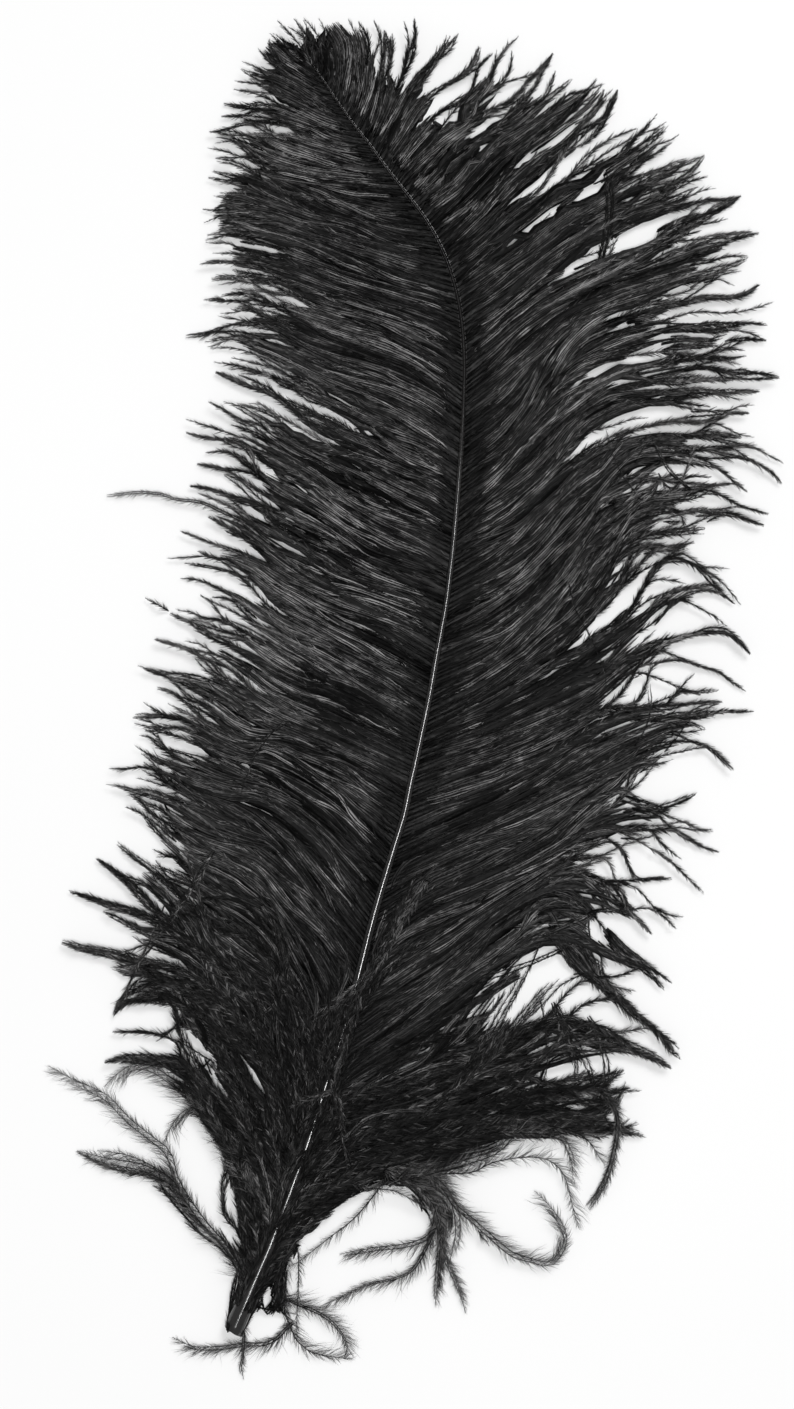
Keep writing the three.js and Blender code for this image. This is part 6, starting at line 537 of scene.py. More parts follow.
    (81.2,60.4,82.2,60.4,82.4,59.6,81.3,56.2,80.9,55.4,79.9,55,81.4,57.9,80.3,57.7,77.4,53.6,74.6,50.7,73.2,48.2,74.8,47.8,73.9,46.1,71.7,43.5,70.4,42.6,70.2,43.2,71.3,44.7,70.6,46.3,73.4,49.2,73.7,50.7,74.7,51.4,76.5,54.5,77.8,55.4,77.7,56.4),
    (97.9,56.8,98.5,55.8,97.6,53.6,90.6,46.1,86.7,42.6,88.4,44.8,88.1,46,89.1,47.6,93.5,52,95.2,52.9,95.7,54.2,97.2,55.4),
    (85.5,51.1,85.3,48.7,82.9,46.3,82.4,46.4,82.9,47.6),
    (-70.2,50.7,-65.4,46.1,-60.8,44.1,-60.5,43.1,-57.7,41.9,-58.5,41.2,-60.5,41.5,-61.4,40.6,-59,38.4,-59.9,37.3,-60.5,36.9,-64.5,40,-65.1,42.1,-64.7,42.3,-63.3,41.2,-62.6,41.3,-62.6,41.9,-64.9,43.1,-67.3,45.5,-67.6,46,-66.9,47.2),
    (116.8,50.3,118,50.4,120.9,49.2,116.3,48.2,114.9,47.4,114.6,47.7,115.9,48.5,116.1,49.4,114.6,48.9,113.5,47.9,113.5,48.3,114.6,49.4),
    (-79.9,48.1,-76.2,47.2,-70.2,43.5,-69.7,44.5,-69.2,44.5,-68.2,42,-68.5,41.8,-70.5,43.2,-72.4,43.5,-75.7,45.8,-81.1,47.4),
    (122.9,47.2,123.6,46.3,123.1,44.8,121.4,43.1,120.4,43.2,121.8,43.9,122.2,45.4,121.1,45.9,119.5,45.9,120.8,46.7),
    (77.6,45.9,78.6,45.9,78.5,45.4,75.4,42.4,74.9,42.5,73.7,42.7,73.7,43.2,76.1,44.4),
    (-82.5,45.4,-81,45,-79.9,43.5,-77.7,42.6,-72.2,34.9,-68.7,32.7,-69.1,31.6,-70.3,32.8,-73.7,34.7,-74.4,35.7,-76.1,35.8,-76.5,37.2,-75.8,38.4,-78.9,40.8,-78,41.3,-78.4,41.9,-82.5,43.5,-82.9,44.8),
    (79.4,43.7,80,43.5,78.7,40.9,76.7,39.3,76.3,39.1,76.4,40.1),
    (117.7,42.8,119.1,42.2,118.1,42.3,112,37.9,107.8,33.8,107.3,32.5,105.5,30.7,102.3,30,95.9,24.1,95.8,22.8,94.7,22.3,94.4,23,98.9,27.6,98.8,28.7,100.5,30,101.3,29.8,102,30.3,101.3,31,102.5,32.5,102.7,34.4,103.9,35.4,105.1,35.2,108,39.7,110.8,41,109.1,37.8,107.6,36.6,105.8,34,103.6,32.7,104.2,32.5,105.2,33.2,106.4,32.5,108.2,35.1,110.4,36.9,112,39.7),
    (-76.3,41.9,-75.3,41.9,-66.1,35.7,-64.3,34,-64.7,33,-65.4,33.3,-66.5,34.4,-67.4,33.4,-69.3,34.3,-71.5,36.5,-71.8,37.9,-72.8,37.8,-73.3,39.1),
    (84.2,41,81.6,37.9,78.9,33.1,77.8,32,74.3,30.3,81.6,38.8),
    (87.7,35.7,87,33,83.8,30.9,83.1,29.9,83.3,30.9,83.9,31.8,82.7,31.2,82.7,31.6),
    (-76.3,34.8,-70.5,31.3,-71.3,31.3,-76.7,33.4,-75.8,33.8),
    (89.5,33.5,90.1,33.4,88.8,32,87.1,31.1,83.7,27.5,83,27.7,83.1,28.5),
    (-83,32.2,-81.9,31.8,-80.9,30.1,-81,29.4,-82.5,29,-79.7,27.8,-79.3,27.2,-81.7,27.1,-83.8,27.7,-83.9,30.2),
    (-76.7,31.8,-70,29.6,-69.6,29.2,-70,28.5,-72.1,29.7,-73.3,29.4),
    (-79,30.9,-73.5,28.7,-72.2,27.4,-72.6,26.8,-76.6,28.7,-77.3,28.6,-79,29.9),
    (70.6,30.9,71.3,30.6,70.3,29,65.2,23.6,64.8,24,65.9,25.4,65.8,26.5),
    (74.1,29.5,75.3,28,77.5,28.8,78.1,28.5,78.2,28.1,77,26.7,75.9,25.9,76.5,27.8,75,27.7),
    (80.3,28.3,81.3,28.1,77.8,25,77.2,24.6,77.2,25.6),
    (102.7,27.4,104.9,26.4,107.2,26.3,102.1,24.9,100.8,25.7,99.6,24.8,98.3,24.7,96.3,23.3,97,24.3,101,26.9,102,26.8),
    (-85.6,26.9,-78.4,23,-75.9,20.6,-74.4,19.9,-74.6,19.3,-81.9,24.3,-86,26.3),
    (88.6,26.5,89.2,25.9,87,23.7,81.2,20.2,83.5,21.9,83,22.5),
    (-80.7,26.1,-77.4,25.7,-74.9,24.3,-72.2,21.7,-70.9,19.9,-71.1,19.3,-72.2,20.3,-73.3,20.2,-74.4,21.7),
    (-86.4,25.2,-84.5,24.7,-82.3,23.4,-81.9,22.4,-82.9,22.5,-82.9,22,-80.4,20.5,-80.3,19.8,-85.6,22,-85.4,23),
    (71.9,25.2,73.5,25.3,73.8,24.6,71.5,23.4,69,21,66.9,20.1,65.2,20,64.2,19.5,64.5,20.8,66.8,21.5,67.1,23),
    (60.5,22.1,62.8,22.1,62.4,21.1,60.4,20,61.5,19.9,62,18.8,57.8,16,56.3,15.5,56.7,17.2,55.6,17.1,55.2,18.1,58,19.7),
    (9.9,21.6,10.6,20.1,9.5,15.1,9.7,13.5,8.3,9.6,7.3,10.3,8,14.3,8.8,15.2),
    (-85.1,20.3,-81.9,19.5,-79.5,18,-78.4,18.1,-76.6,16.8,-73.4,13.4,-73.5,12.3,-75.5,13.1,-77.6,14.9,-75.3,14.7,-77.5,16.4),
    (-76.8,19,-71.5,15.8,-69.1,15,-67.8,13.3,-68.3,12.7,-68.9,12.7,-70.4,14.2,-71.1,14.1,-71.8,15.1,-72.9,14.9,-75.9,17.1),
    (77.6,19,78.2,19,78.2,18,72.2,14.8,71.4,15.6,71.9,16.4),
    (-90,18.6,-87.6,18.1,-85,15.5,-85.8,15.5,-88.1,17.2,-91.3,18),
    (-92.2,17.2,-91.3,16.7,-90.3,16.8,-88.3,15.3,-86.8,10.9,-88.2,11.4,-90.1,12.9,-90.5,12.1,-89.7,10.4,-90.2,9.9,-98,10.7,-98.3,10.1,-96.9,9.4,-97.6,9,-98.8,9.2,-99.4,9.9,-104.2,11.2,-105.8,11,-105.4,11.6,-104.5,12.4,-103,12.8,-96.7,11.3,-91.6,11.4,-93.2,13.9,-92.8,14.7,-91.8,14,-91.5,14.3,-91.6,15,-93,16.2),
    (-86.9,14.6,-85.8,14.7,-85,14.2,-84.1,13.3,-84.3,12.2,-82.5,10.1,-81.1,9.3,-81.3,9.1,-83.6,10.3,-84.7,9.7,-86.9,13.6),
    (64,13.3,65.1,13.3,65.5,12.7,63.7,11.4,62.1,10.8,60.4,11.2,59.5,10.8,58.8,11.3,59.6,12.4,62.5,12.6),
    (-74.6,11.1,-69.1,5.8,-69.8,4.5,-71.3,3.9,-71.5,4.5,-70.8,5.1,-71.1,5.6,-71.3,6.2,-71.7,6.1,-72,4.8,-73.2,6.1,-74.2,8.7,-74.6,8.9,-75.2,7.8,-76.3,8.7),
    (-93,9.3,-90.2,9.4,-89.2,8.7,-87.9,9,-86.3,8.4,-86.6,7.7,-87.5,7.3,-88.5,8,-89.7,7.7,-92.6,8.7),
    (-106.2,8,-101.6,5.1,-101.3,5.4,-102,6.4,-101.5,6.8,-98.2,6.2,-98.6,4.8,-99.6,4.3,-97.8,3,-99.2,3.4,-100.6,3.1,-102.2,4.9,-104.2,5.9,-104.3,5.4,-102.2,3.6,-103.2,3,-105,4.8),
    (92.1,8,82.4,-2.3,82.1,-2.1,84.5,1.2,87.3,3.2),
    (-79.4,6.7,-76.4,5.6,-75.3,3.1,-77.5,4.9,-78.8,5.4),
    (-93,4.9,-88.8,4.2,-85.9,4.5,-82.1,2.5,-82.3,1.7,-83.5,2,-85.1,2.3,-85,1.2,-86.6,0.3,-88,1,-89,2.7,-89.8,3.2,-92.6,3.5),
    (-97,2.7,-94,1.2,-93.2,-0.2,-93.5,-0.9,-95.2,-0,-95.1,1),
    (-104.5,-3.9,-103,-4.3,-101.4,-6.2,-99.4,-5.9,-96,-6.9,-94.8,-8,-89.4,-10.5,-90.5,-10.7,-92.8,-9.9,-95.9,-7.7,-97,-7.8,-97.2,-8.5,-100.2,-8.1,-104.2,-5.9,-106.7,-6.7,-107.1,-5.6,-105.8,-4.3),
    (120.7,-4.3,119.6,-5.4,117.1,-5.5,114,-6.8,113.8,-6.5,116.4,-5.2),
    (128.2,-4.3,128.8,-5.8,127.5,-7.1,123.3,-8.1,122.6,-8,122.6,-6.9,122,-6.8,119.9,-8.7,119,-8.9,117.7,-7.8),
    (82.9,-4.7,88.5,-4.6,88.8,-4.9,87.9,-5.4,82.8,-5.5,82.5,-5.1),
    (79.4,-8.3,81.9,-8.2,82.3,-8.6,80.9,-10.2,79.6,-10.2,78,-11.6,77.1,-10.8),
    (-106.7,-9.1,-105.6,-9,-103,-10,-102.2,-11.3,-102.6,-11.9,-105,-11.9),
    (86,-10,89.6,-10,88.7,-10.5,88.6,-11.3,86.2,-13.3,85.3,-14.1,83.7,-14.3,83.8,-12.7,84.8,-12,85.2,-10.5),
    (101.8,-10,106,-10.1,106,-10.6,103.9,-11.2,100.1,-11.9),
    (90.8,-11.4,93.2,-12.4,90.6,-13.3,89.4,-13.8,88.7,-13.5),
    (95.7,-12.2,97.2,-12.4,95.9,-13.7,93.9,-14.4,92.6,-14.4,95,-13.2),
    (-103.1,-14,-99.9,-15.7,-98.5,-17.4,-99,-18.2,-101.8,-17.6,-102.4,-16.5,-102.1,-14.9),
    (81.6,-15.3,83.5,-16.4,79.3,-17.8,78.1,-18.1,77.9,-17.3,79,-16.2,80.9,-15.9),
    (112.4,-16.6,114.4,-16.5,115.2,-17.1,114.8,-18.5,114.1,-18.7,111.6,-18.5,111.5,-17.5),
    (-100.5,-19.3,-92.5,-21.9,-91.1,-23.5,-91.6,-24.3,-92.8,-24.4,-96.7,-22.7,-98.1,-23.5,-100.5,-22.9),
    (104.5,-21,105.1,-21.2,103.3,-23,101.6,-24.2,100.8,-24,99.7,-23.8,100.1,-23.2),
    (107.1,-21,109,-21.6,106.7,-21.9,105.3,-22.8,105,-23.4,105.9,-24.7,103.1,-25.3,102.7,-24.5),
    (-111.1,-21.5,-110.5,-21.5,-105.1,-25.3,-106.8,-25.7,-108.3,-24.5,-110.2,-24.3,-110.9,-23.7,-113.3,-24.1,-113,-25.2,-116.4,-23.9,-113.1,-22.9),
    (-107.1,-21.5,-105.3,-21.5,-105.4,-22.5,-104.5,-23.4,-100.8,-24.1,-99.1,-25,-99.1,-25.6,-100.6,-26,-103.2,-25.1,-105.4,-23.8,-106.1,-21.9),
    (-117.7,-25,-114.9,-27.6,-114.9,-28.2,-116.5,-28.8,-117.3,-28.5,-117.8,-29.2,-118.6,-28.2,-118.7,-27.1),
    (105.4,-25.9,106.8,-25.9,107.3,-27.3,106.6,-26.7,104.3,-27.5,101.7,-27.5,99.7,-28.2,99.7,-27.2,100.5,-26.7),
    (-111.5,-29.4,-109.5,-29.3,-107.6,-30.5,-105.4,-34.4,-104.4,-35.1,-106,-35.4,-107.8,-34.6,-107.4,-33.7,-109.2,-32,-109.8,-32.6),
    (-116,-29.8,-115.4,-29.8,-115.5,-31.3,-114.2,-33.5,-112.7,-34.6,-113.9,-34.5,-118.1,-31.3,-117.3,-30.3),
    (-114.6,-30.3,-114,-30.3,-113.3,-31.3,-110.1,-33.3,-110.3,-33.7,-110.8,-34,-112.4,-33.5,-113.6,-31.6,-114.6,-31.3),
    (102.7,-30.3,102.9,-30.9,102,-32.1,99.1,-31.9,97.9,-32.5,95.9,-35.7,95.2,-36.1,95.2,-34.7,97,-32.5),
    (-111.1,-36.4,-103,-41.9,-104.2,-42.4,-108.6,-40.7,-115.2,-39.4,-116.4,-39.5,-116.8,-40.1,-111.3,-41.1,-109.5,-42.4,-110.8,-43.3,-114.9,-41.3,-116.9,-41.1,-120.8,-39.7,-116.9,-38.5,-112,-39.6,-110.8,-39.3,-110.5,-39,-111.1,-38.2,-110.5,-37.7,-111.5,-37),
    (-122.5,-42.1,-120.2,-42.6,-118.2,-44.1,-113.6,-45.2,-111.1,-46.7,-109.6,-47,-109.6,-47.6,-110.8,-48.2,-110,-50.4,-110.8,-51.2,-109.8,-52.4,-108.4,-53.1,-109.3,-53.6,-109.2,-54.6,-112,-53.3,-114.4,-50.5,-114.9,-51.5,-116.1,-50.9,-117.1,-51.3,-117.3,-50.5,-116.2,-49.8,-116.2,-48.8,-120.6,-45.6,-122.1,-43.6),
    (87.3,-42.6,89.2,-43.2,87.7,-45.6,87.2,-45.9,86.8,-45.5,87.9,-43.9,86.3,-44.2,85.9,-43.8),
    (100.6,-43.9,103.9,-45.5,110.1,-44.7,111.9,-45.4,111.9,-46.5,108.8,-47.3,106.5,-46,102.7,-46.2,100.1,-45),
    (93.1,-45.7,93.7,-45.7,94.5,-46.7,92.2,-47.4,92.2,-48,95.4,-48.3,91.3,-48.4,91.5,-47.2,93.2,-46.7),
    (93.9,-50.9,95.4,-50.9,95,-51.5,90.7,-52.6,89.1,-52.4,89.5,-51.8),
    (-118.2,-52.3,-116.2,-52.3,-115.1,-53.7,-111.8,-54.9,-109.6,-57.5,-109.1,-59.3,-103,-63.7,-104.2,-64.4,-105.4,-63.9,-108.3,-60.2,-109.8,-59.9,-112,-58.2,-115.4,-54.5,-117.2,-54.5,-115.8,-55.8,-114.6,-59,-112,-61.3,-111.1,-63,-107.9,-66.3,-107,-68.7,-108,-68.6,-108,-69.1,-106.7,-70.5,-105.4,-70.9,-104.9,-72.2,-104,-72.5,-104,-73.1,-100.4,-75.2,-100.5,-76.2,-98.6,-76.5,-98.6,-77,-100.2,-77.2,-99.1,-78.7,-99.3,-79.2,-102.3,-78.4,-104.8,-76.5,-105.3,-76.5,-105.2,-76.9,-103.5,-78.2,-103.8,-78.5,-108.6,-76.4,-110.8,-77.2,-114,-74.3,-116.1,-74.1,-116.3,-74.4,-115.5,-75.7,-114.1,-76.9,-114.5,-77.9,-118.6,-76.5,-118.7,-78.5,-117.5,-81.4,-119,-81,-120.8,-79.7,-119.9,-76.5,-117.3,-73.8,-115.6,-73.3,-113.9,-73.6,-112.2,-73.3,-110.5,-73.8,-109.4,-74.8,-107,-74.7,-104.6,-75.4,-103.5,-75.1,-104.4,-73.8,-108.5,-70.9,-108.3,-69.9,-109.5,-68.4,-109.1,-67.1,-109.6,-65,-112,-63,-112.9,-60.8,-116,-58.1,-117.1,-55.3,-118.2,-54.2,-118.6,-52.9),
    (97,-52.3,98.5,-52.3,98.8,-53.3,100.2,-54.2,98.5,-55.5,95.9,-56.4,95,-55.8,91.2,-55.2,90.9,-54.5,92.2,-53.6,94.2,-53.4),
    (-109.8,-55.8,-109.2,-55.8,-108.7,-57.1,-107.2,-58.1,-106.6,-58.1,-106.7,-57.1,-106.1,-57.1,-102.6,-59.8,-102.9,-60.4,-104.3,-59.3,-105.1,-60,-106.3,-59.5,-109.6,-56.6),
    (87.8,-58.4,92.3,-58.9,92.3,-59.9,91.1,-59.2,89.3,-59.5,84.7,-60.3,84.7,-59.8),
    (80.3,-61.9,82.2,-61.9,83.5,-63,80.3,-64.1,74.3,-67.4,71.8,-66.7,69.7,-66.8,69.3,-67.4,70.6,-67.9,70.9,-68.4,70.5,-68.8,67.5,-68.7,67,-68,67.5,-67.2,78.7,-63.9),
    (72.3,-71.2,72.4,-71.8,75.4,-72.7,76.9,-74.3,77.8,-76,76.9,-75.6,75.5,-74.9,75.2,-73,71.1,-72.2,71.1,-71.6),
    (64,-76,66.5,-75.9,67.3,-76.5,67.1,-77.3,65.3,-78.6,63.1,-78.8,62.2,-77.5,62.5,-76.7),
    (-113.7,-78.2,-112.7,-78.2,-110.3,-79.7,-109.5,-81.6,-109.9,-82,-110.5,-81.7,-111.4,-80.4,-112.1,-81.1,-112.7,-80.8,-112.7,-79.5,-113.7,-78.8),
    (88.6,-78.2,91.6,-78.5,94.5,-80,94.2,-80.7,91.9,-80.2,90.4,-80.1,89.8,-79,86.1,-79.3),
    (90.4,-81.3,92.8,-81.8,92.9,-82.9,92.3,-83.7,91.3,-83.6,90,-81.9),
    (-120.3,-81.8,-116.3,-85.3,-116.4,-86.3,-114.7,-87.2,-113.6,-87,-113.7,-88.1,-110.7,-89.4,-110.4,-90,-110.9,-90.7,-111.7,-91.2,-112.1,-90.8,-112.6,-90.5,-113.1,-90.7,-113.3,-91.2,-112.3,-92,-113.3,-92,-118.1,-88,-120.4,-84.2),
    (-101.4,-81.7,-96.4,-83.5,-96,-84.1,-96.9,-85,-98.4,-85.4,-100.6,-84.6,-101.8,-82.4),
    (84.3,-81.7,87.1,-81.8,87.6,-82.5,86.9,-83.7,88.4,-84.4,89.1,-85.5,89.1,-85.8,88,-84.8,87.3,-85,84.7,-83.2),
    (93.9,-83.1,94.5,-83.1,95.1,-83.8,94.5,-85.4,93.2,-86.7,92.2,-84.8),
    (83,-84.4,84.4,-84.4,87.9,-88.3,87.2,-88.6,86,-88.1,84.8,-85.7),
    (73.3,-85.3,76.1,-85.7,77.6,-86.8,77.5,-87.3,75.4,-87.2),
    (-121.6,-86.1,-120.6,-86.6,-119.7,-88.3,-116.7,-91,-116.8,-92.5,-116.1,-93.5,-116.8,-93.8,-119.4,-92.9,-118.9,-92.5,-118.9,-90.1,-121.2,-87.6),
    (-126.5,-91,-122.7,-90.9,-121.1,-91.4,-120.4,-92.4,-122.2,-91.8,-123.5,-92.6,-126.1,-91.6),
    (84.2,-91.9,87.4,-92.7,85.4,-93.5,82.1,-92.9),
    (-129.6,-93.2,-127.7,-93.6,-126.5,-95.1,-124.2,-95.8,-123.5,-96.5,-121.1,-96.7,-120,-97.9,-118,-97.6,-117.1,-99.5,-120.9,-99.2,-123.4,-98.6,-126.3,-96.3,-126.9,-96.9,-125.5,-98,-126.2,-98.3,-127.7,-96.7,-130,-96,-130.6,-95.2),
    (-130.5,-97.2,-129,-97.2,-126.2,-99.6,-123.7,-99.8,-123.2,-101.1,-119.5,-103.9,-119.2,-104.9,-119.6,-106.7,-118.8,-108,-120,-108.4,-121.2,-108.7,-121.8,-107.1,-120.2,-103.8,-121.9,-102.4,-124.8,-101.7,-128.7,-99.5,-130.5,-97.8),
    (77.7,-97.6,79.1,-98,78.1,-98.9,78,-100.5,79.9,-103,81.5,-103.5,82.1,-102.4,82.6,-102.4,85.3,-106.8,84.4,-108.3,83.7,-108.4,80.9,-106.4,79.7,-105.9,79.4,-106.5,83.1,-109,82.8,-109.7,81.6,-109.6,78.5,-106.5,78.7,-105,77.6,-103.5,77.9,-102.3,77.1,-100.1),
    (57,-98.5,58,-98.5,59.8,-99.7,58.5,-100.8,56.6,-101.2,56.4,-99.2),
    (57.4,-105.1,60.2,-107.2,57.8,-106.4,55.8,-108.3,55.5,-108,56.1,-105.9),
    (53,-105.5,53.6,-105.5,53.2,-106.1,49.5,-108.1,47.9,-109.6,47.2,-109.3,47.8,-107.7,49.9,-106.4),
    (53.9,-107.3,54.6,-107.6,54.5,-108.7,53.4,-109,49.5,-112.1,44.6,-116.5,44.7,-118,45.8,-119,43.8,-120.5,42,-120.4,43.3,-116.9,52.2,-108.2),
    (45.1,-108.6,45.7,-108.6,45.8,-109.3,44.2,-112.1,43.7,-111.9,44.1,-109.8),
    (-117.2,-109,-113.9,-108.9,-112.3,-109.5,-110.2,-110.9,-108.7,-111.2,-102.1,-114.7,-100,-117.3,-100.7,-118.1,-104.9,-117.1,-105.9,-115.8,-107.3,-114.6,-108,-114.8,-108.3,-115.8,-109.1,-116.3,-114.6,-115.8,-111.4,-115.3,-111.4,-112.5,-113.4,-112,-116.9,-112.4,-118.5,-111.8),
    (-128.7,-112.5,-124.4,-113.7,-121.4,-113.3,-120.7,-114,-122.4,-114.4,-124.4,-114.1),
    (63.6,-112.6,64.6,-112.6,68,-118,69.4,-118.7,69.3,-120.2,70.3,-120.9,69.6,-121.2,68.8,-120.6,67.3,-117.4,64.9,-114.9),
    (84.2,-112.6,86,-113.6,87.9,-113.9,90.6,-115.2,92.2,-116.7,94.6,-117.4,95,-118.9,94.2,-119.4,93.3,-119.1,90.2,-115.6,88.8,-114.7,85.4,-113.8,82.9,-114,82.5,-113.4),
    (81.6,-115.6,82.7,-116.5,83,-118.9,84.8,-120.6,83,-120.2),
    (37.2,-118.7,38.7,-119.1,38.7,-121.1,36.9,-123.7,34.6,-123.7,35,-122.7,35.2,-122.1,34.8,-121.7,33.2,-123.2,33.2,-121.8,35.9,-119.2),
    (71.5,-122.2,73.9,-122.2,75.2,-122.7,77.2,-124.6,79.6,-124.9,80.1,-126.1,83.5,-127.9,86.2,-130.6,86.2,-131.2,83.4,-131.2,82.5,-130.3,81.8,-128,79.6,-126.2,77.6,-125.5,75.6,-123.6,74,-123.4),
    (-123.8,-123.6,-121.5,-123.6,-120.2,-125.7,-120.9,-126.5,-122.1,-126.7),
    (28.8,-124,28.9,-124.6,29.8,-125,26.5,-126.9,25.6,-127.3,25.3,-126.6),
    (87.7,-124.9,91.3,-127.3,92.3,-129.4,87.5,-126.1,87.2,-125.6),
    (38.9,-126.6,37.8,-129.9,35.9,-132.8,36.5,-134.8,36,-136.4,33.5,-136.6,32.8,-136.3,36,-131.2,35.8,-129.7),
    (-119,-127.1,-116.1,-126.9,-113.8,-128.6,-113.9,-129.1,-116.4,-129.3,-116.3,-130.3,-119,-130.7,-118.9,-129.7,-121,-128.4,-121.2,-127.9),
    (29.7,-127.5,30.7,-127.5,30.3,-129,29,-129.9,27,-130.1,26.5,-130.9,26.1,-131.2,25.8,-130.6,26.8,-129),
    (-116.4,-131.5,-113.4,-131.8,-111.3,-131.3,-106.7,-133.4,-104.8,-133.7,-104.9,-134.7,-104.2,-135.3,-103.5,-135.1,-104,-134.1,-103,-134.1,-102.5,-134.9,-102.6,-136.4,-105.4,-136.5,-107.8,-134.1,-113.9,-134.8,-117.3,-133.8,-118.6,-132.3),
    (29.2,-131.5,30.3,-131.5,30.4,-132.2,27.8,-136.6,26.8,-136.7,26.5,-135.3),
    (-98.8,-131.9,-97.3,-132.8,-96.6,-136,-95.5,-137.9,-96.2,-138.2,-99.7,-134.7,-100.1,-132.8),
    (-98.3,-139,-94.1,-141,-94.5,-142.8,-94.2,-145.2,-94.8,-145.3,-96.6,-143.5,-97,-142.9,-96,-142.6,-96,-140.7,-97.9,-139.8,-97.9,-142.1,-98.5,-140.5),
    (-92.6,-142.1,-88.9,-146.4,-87.6,-149.5,-88.5,-150.5,-89.6,-150.5,-92.2,-148.4,-91.9,-146.3,-92.7,-144.5),
    (-100.5,-145.1,-98.6,-145.6,-97.2,-150.7,-97.3,-153.1,-98.8,-153,-99.6,-153.2,-100,-151.7,-100.7,-151.1,-100.7,-148.1,-99.5,-147.7,-99.8,-145.9),
    (-96.6,-148.7,-92.2,-152.8,-91.7,-154,-89.8,-156.1,-89.3,-157.7,-89.8,-158.4,-90.2,-158.3,-91.2,-157,-93.5,-156.7,-94.2,-155.3,-95.4,-155.9,-96.2,-155.4,-96.7,-154.2,-96.3,-152.9),
    (-83.4,-149.5,-80.3,-151,-80.1,-151.9,-80.8,-152.5,-81.7,-152.9,-82.5,-152.3,-83.8,-150.6),
    (-89.1,-155.2,-87.6,-155.2,-86.3,-156.5,-85.8,-157.7,-86,-161.5,-83.2,-163.2,-82.8,-164,-82.2,-168.7,-82.5,-169,-82.8,-168,-84.3,-166.4,-86.5,-162.4,-86.7,-160.9,-89.5,-155.9),
    (-98.4,-157,-97.7,-157,-96.6,-158.4,-95.1,-159.2,-93.8,-161.8,-93.5,-163.8,-92,-166.2,-92.2,-167.2,-94.8,-164.2,-96,-161.8,-98.8,-159.3,-98.9,-157.7),
    (-75,-159.2,-70.7,-162,-67.4,-165.8,-66.8,-167.4,-67.2,-170.9,-66.9,-174,-67.7,-174.8,-68.5,-174.3,-69,-173.5,-68.7,-171.5,-69.3,-171.5,-70,-173,-70.6,-172.6,-70.4,-169.6,-70.9,-167.5,-71.8,-165.3,-73.7,-163.3,-74,-161.4,-75,-160.2),
    (-89.1,-161,-88.5,-161,-84.3,-170.4,-81.5,-174.6,-81.9,-175.2,-83.4,-174.3,-85,-171.5,-85.8,-170.6,-86.7,-170.6,-87.8,-169,-88.8,-166.1),
    (-100.6,-173.7,-98.2,-175,-95.5,-177.7,-95.6,-178.7,-97,-178.5,-97.9,-179.4,-97.4,-180.5,-99.4,-181.5,-100.5,-181.3,-100.6,-179.4,-98.5,-177.5,-99.1,-175.9,-100.6,-174.7),
    (-94.8,-177.2,-91.1,-178.5,-90.3,-180.5,-92,-179.9,-93.1,-180.5,-94.8,-178.7),
)

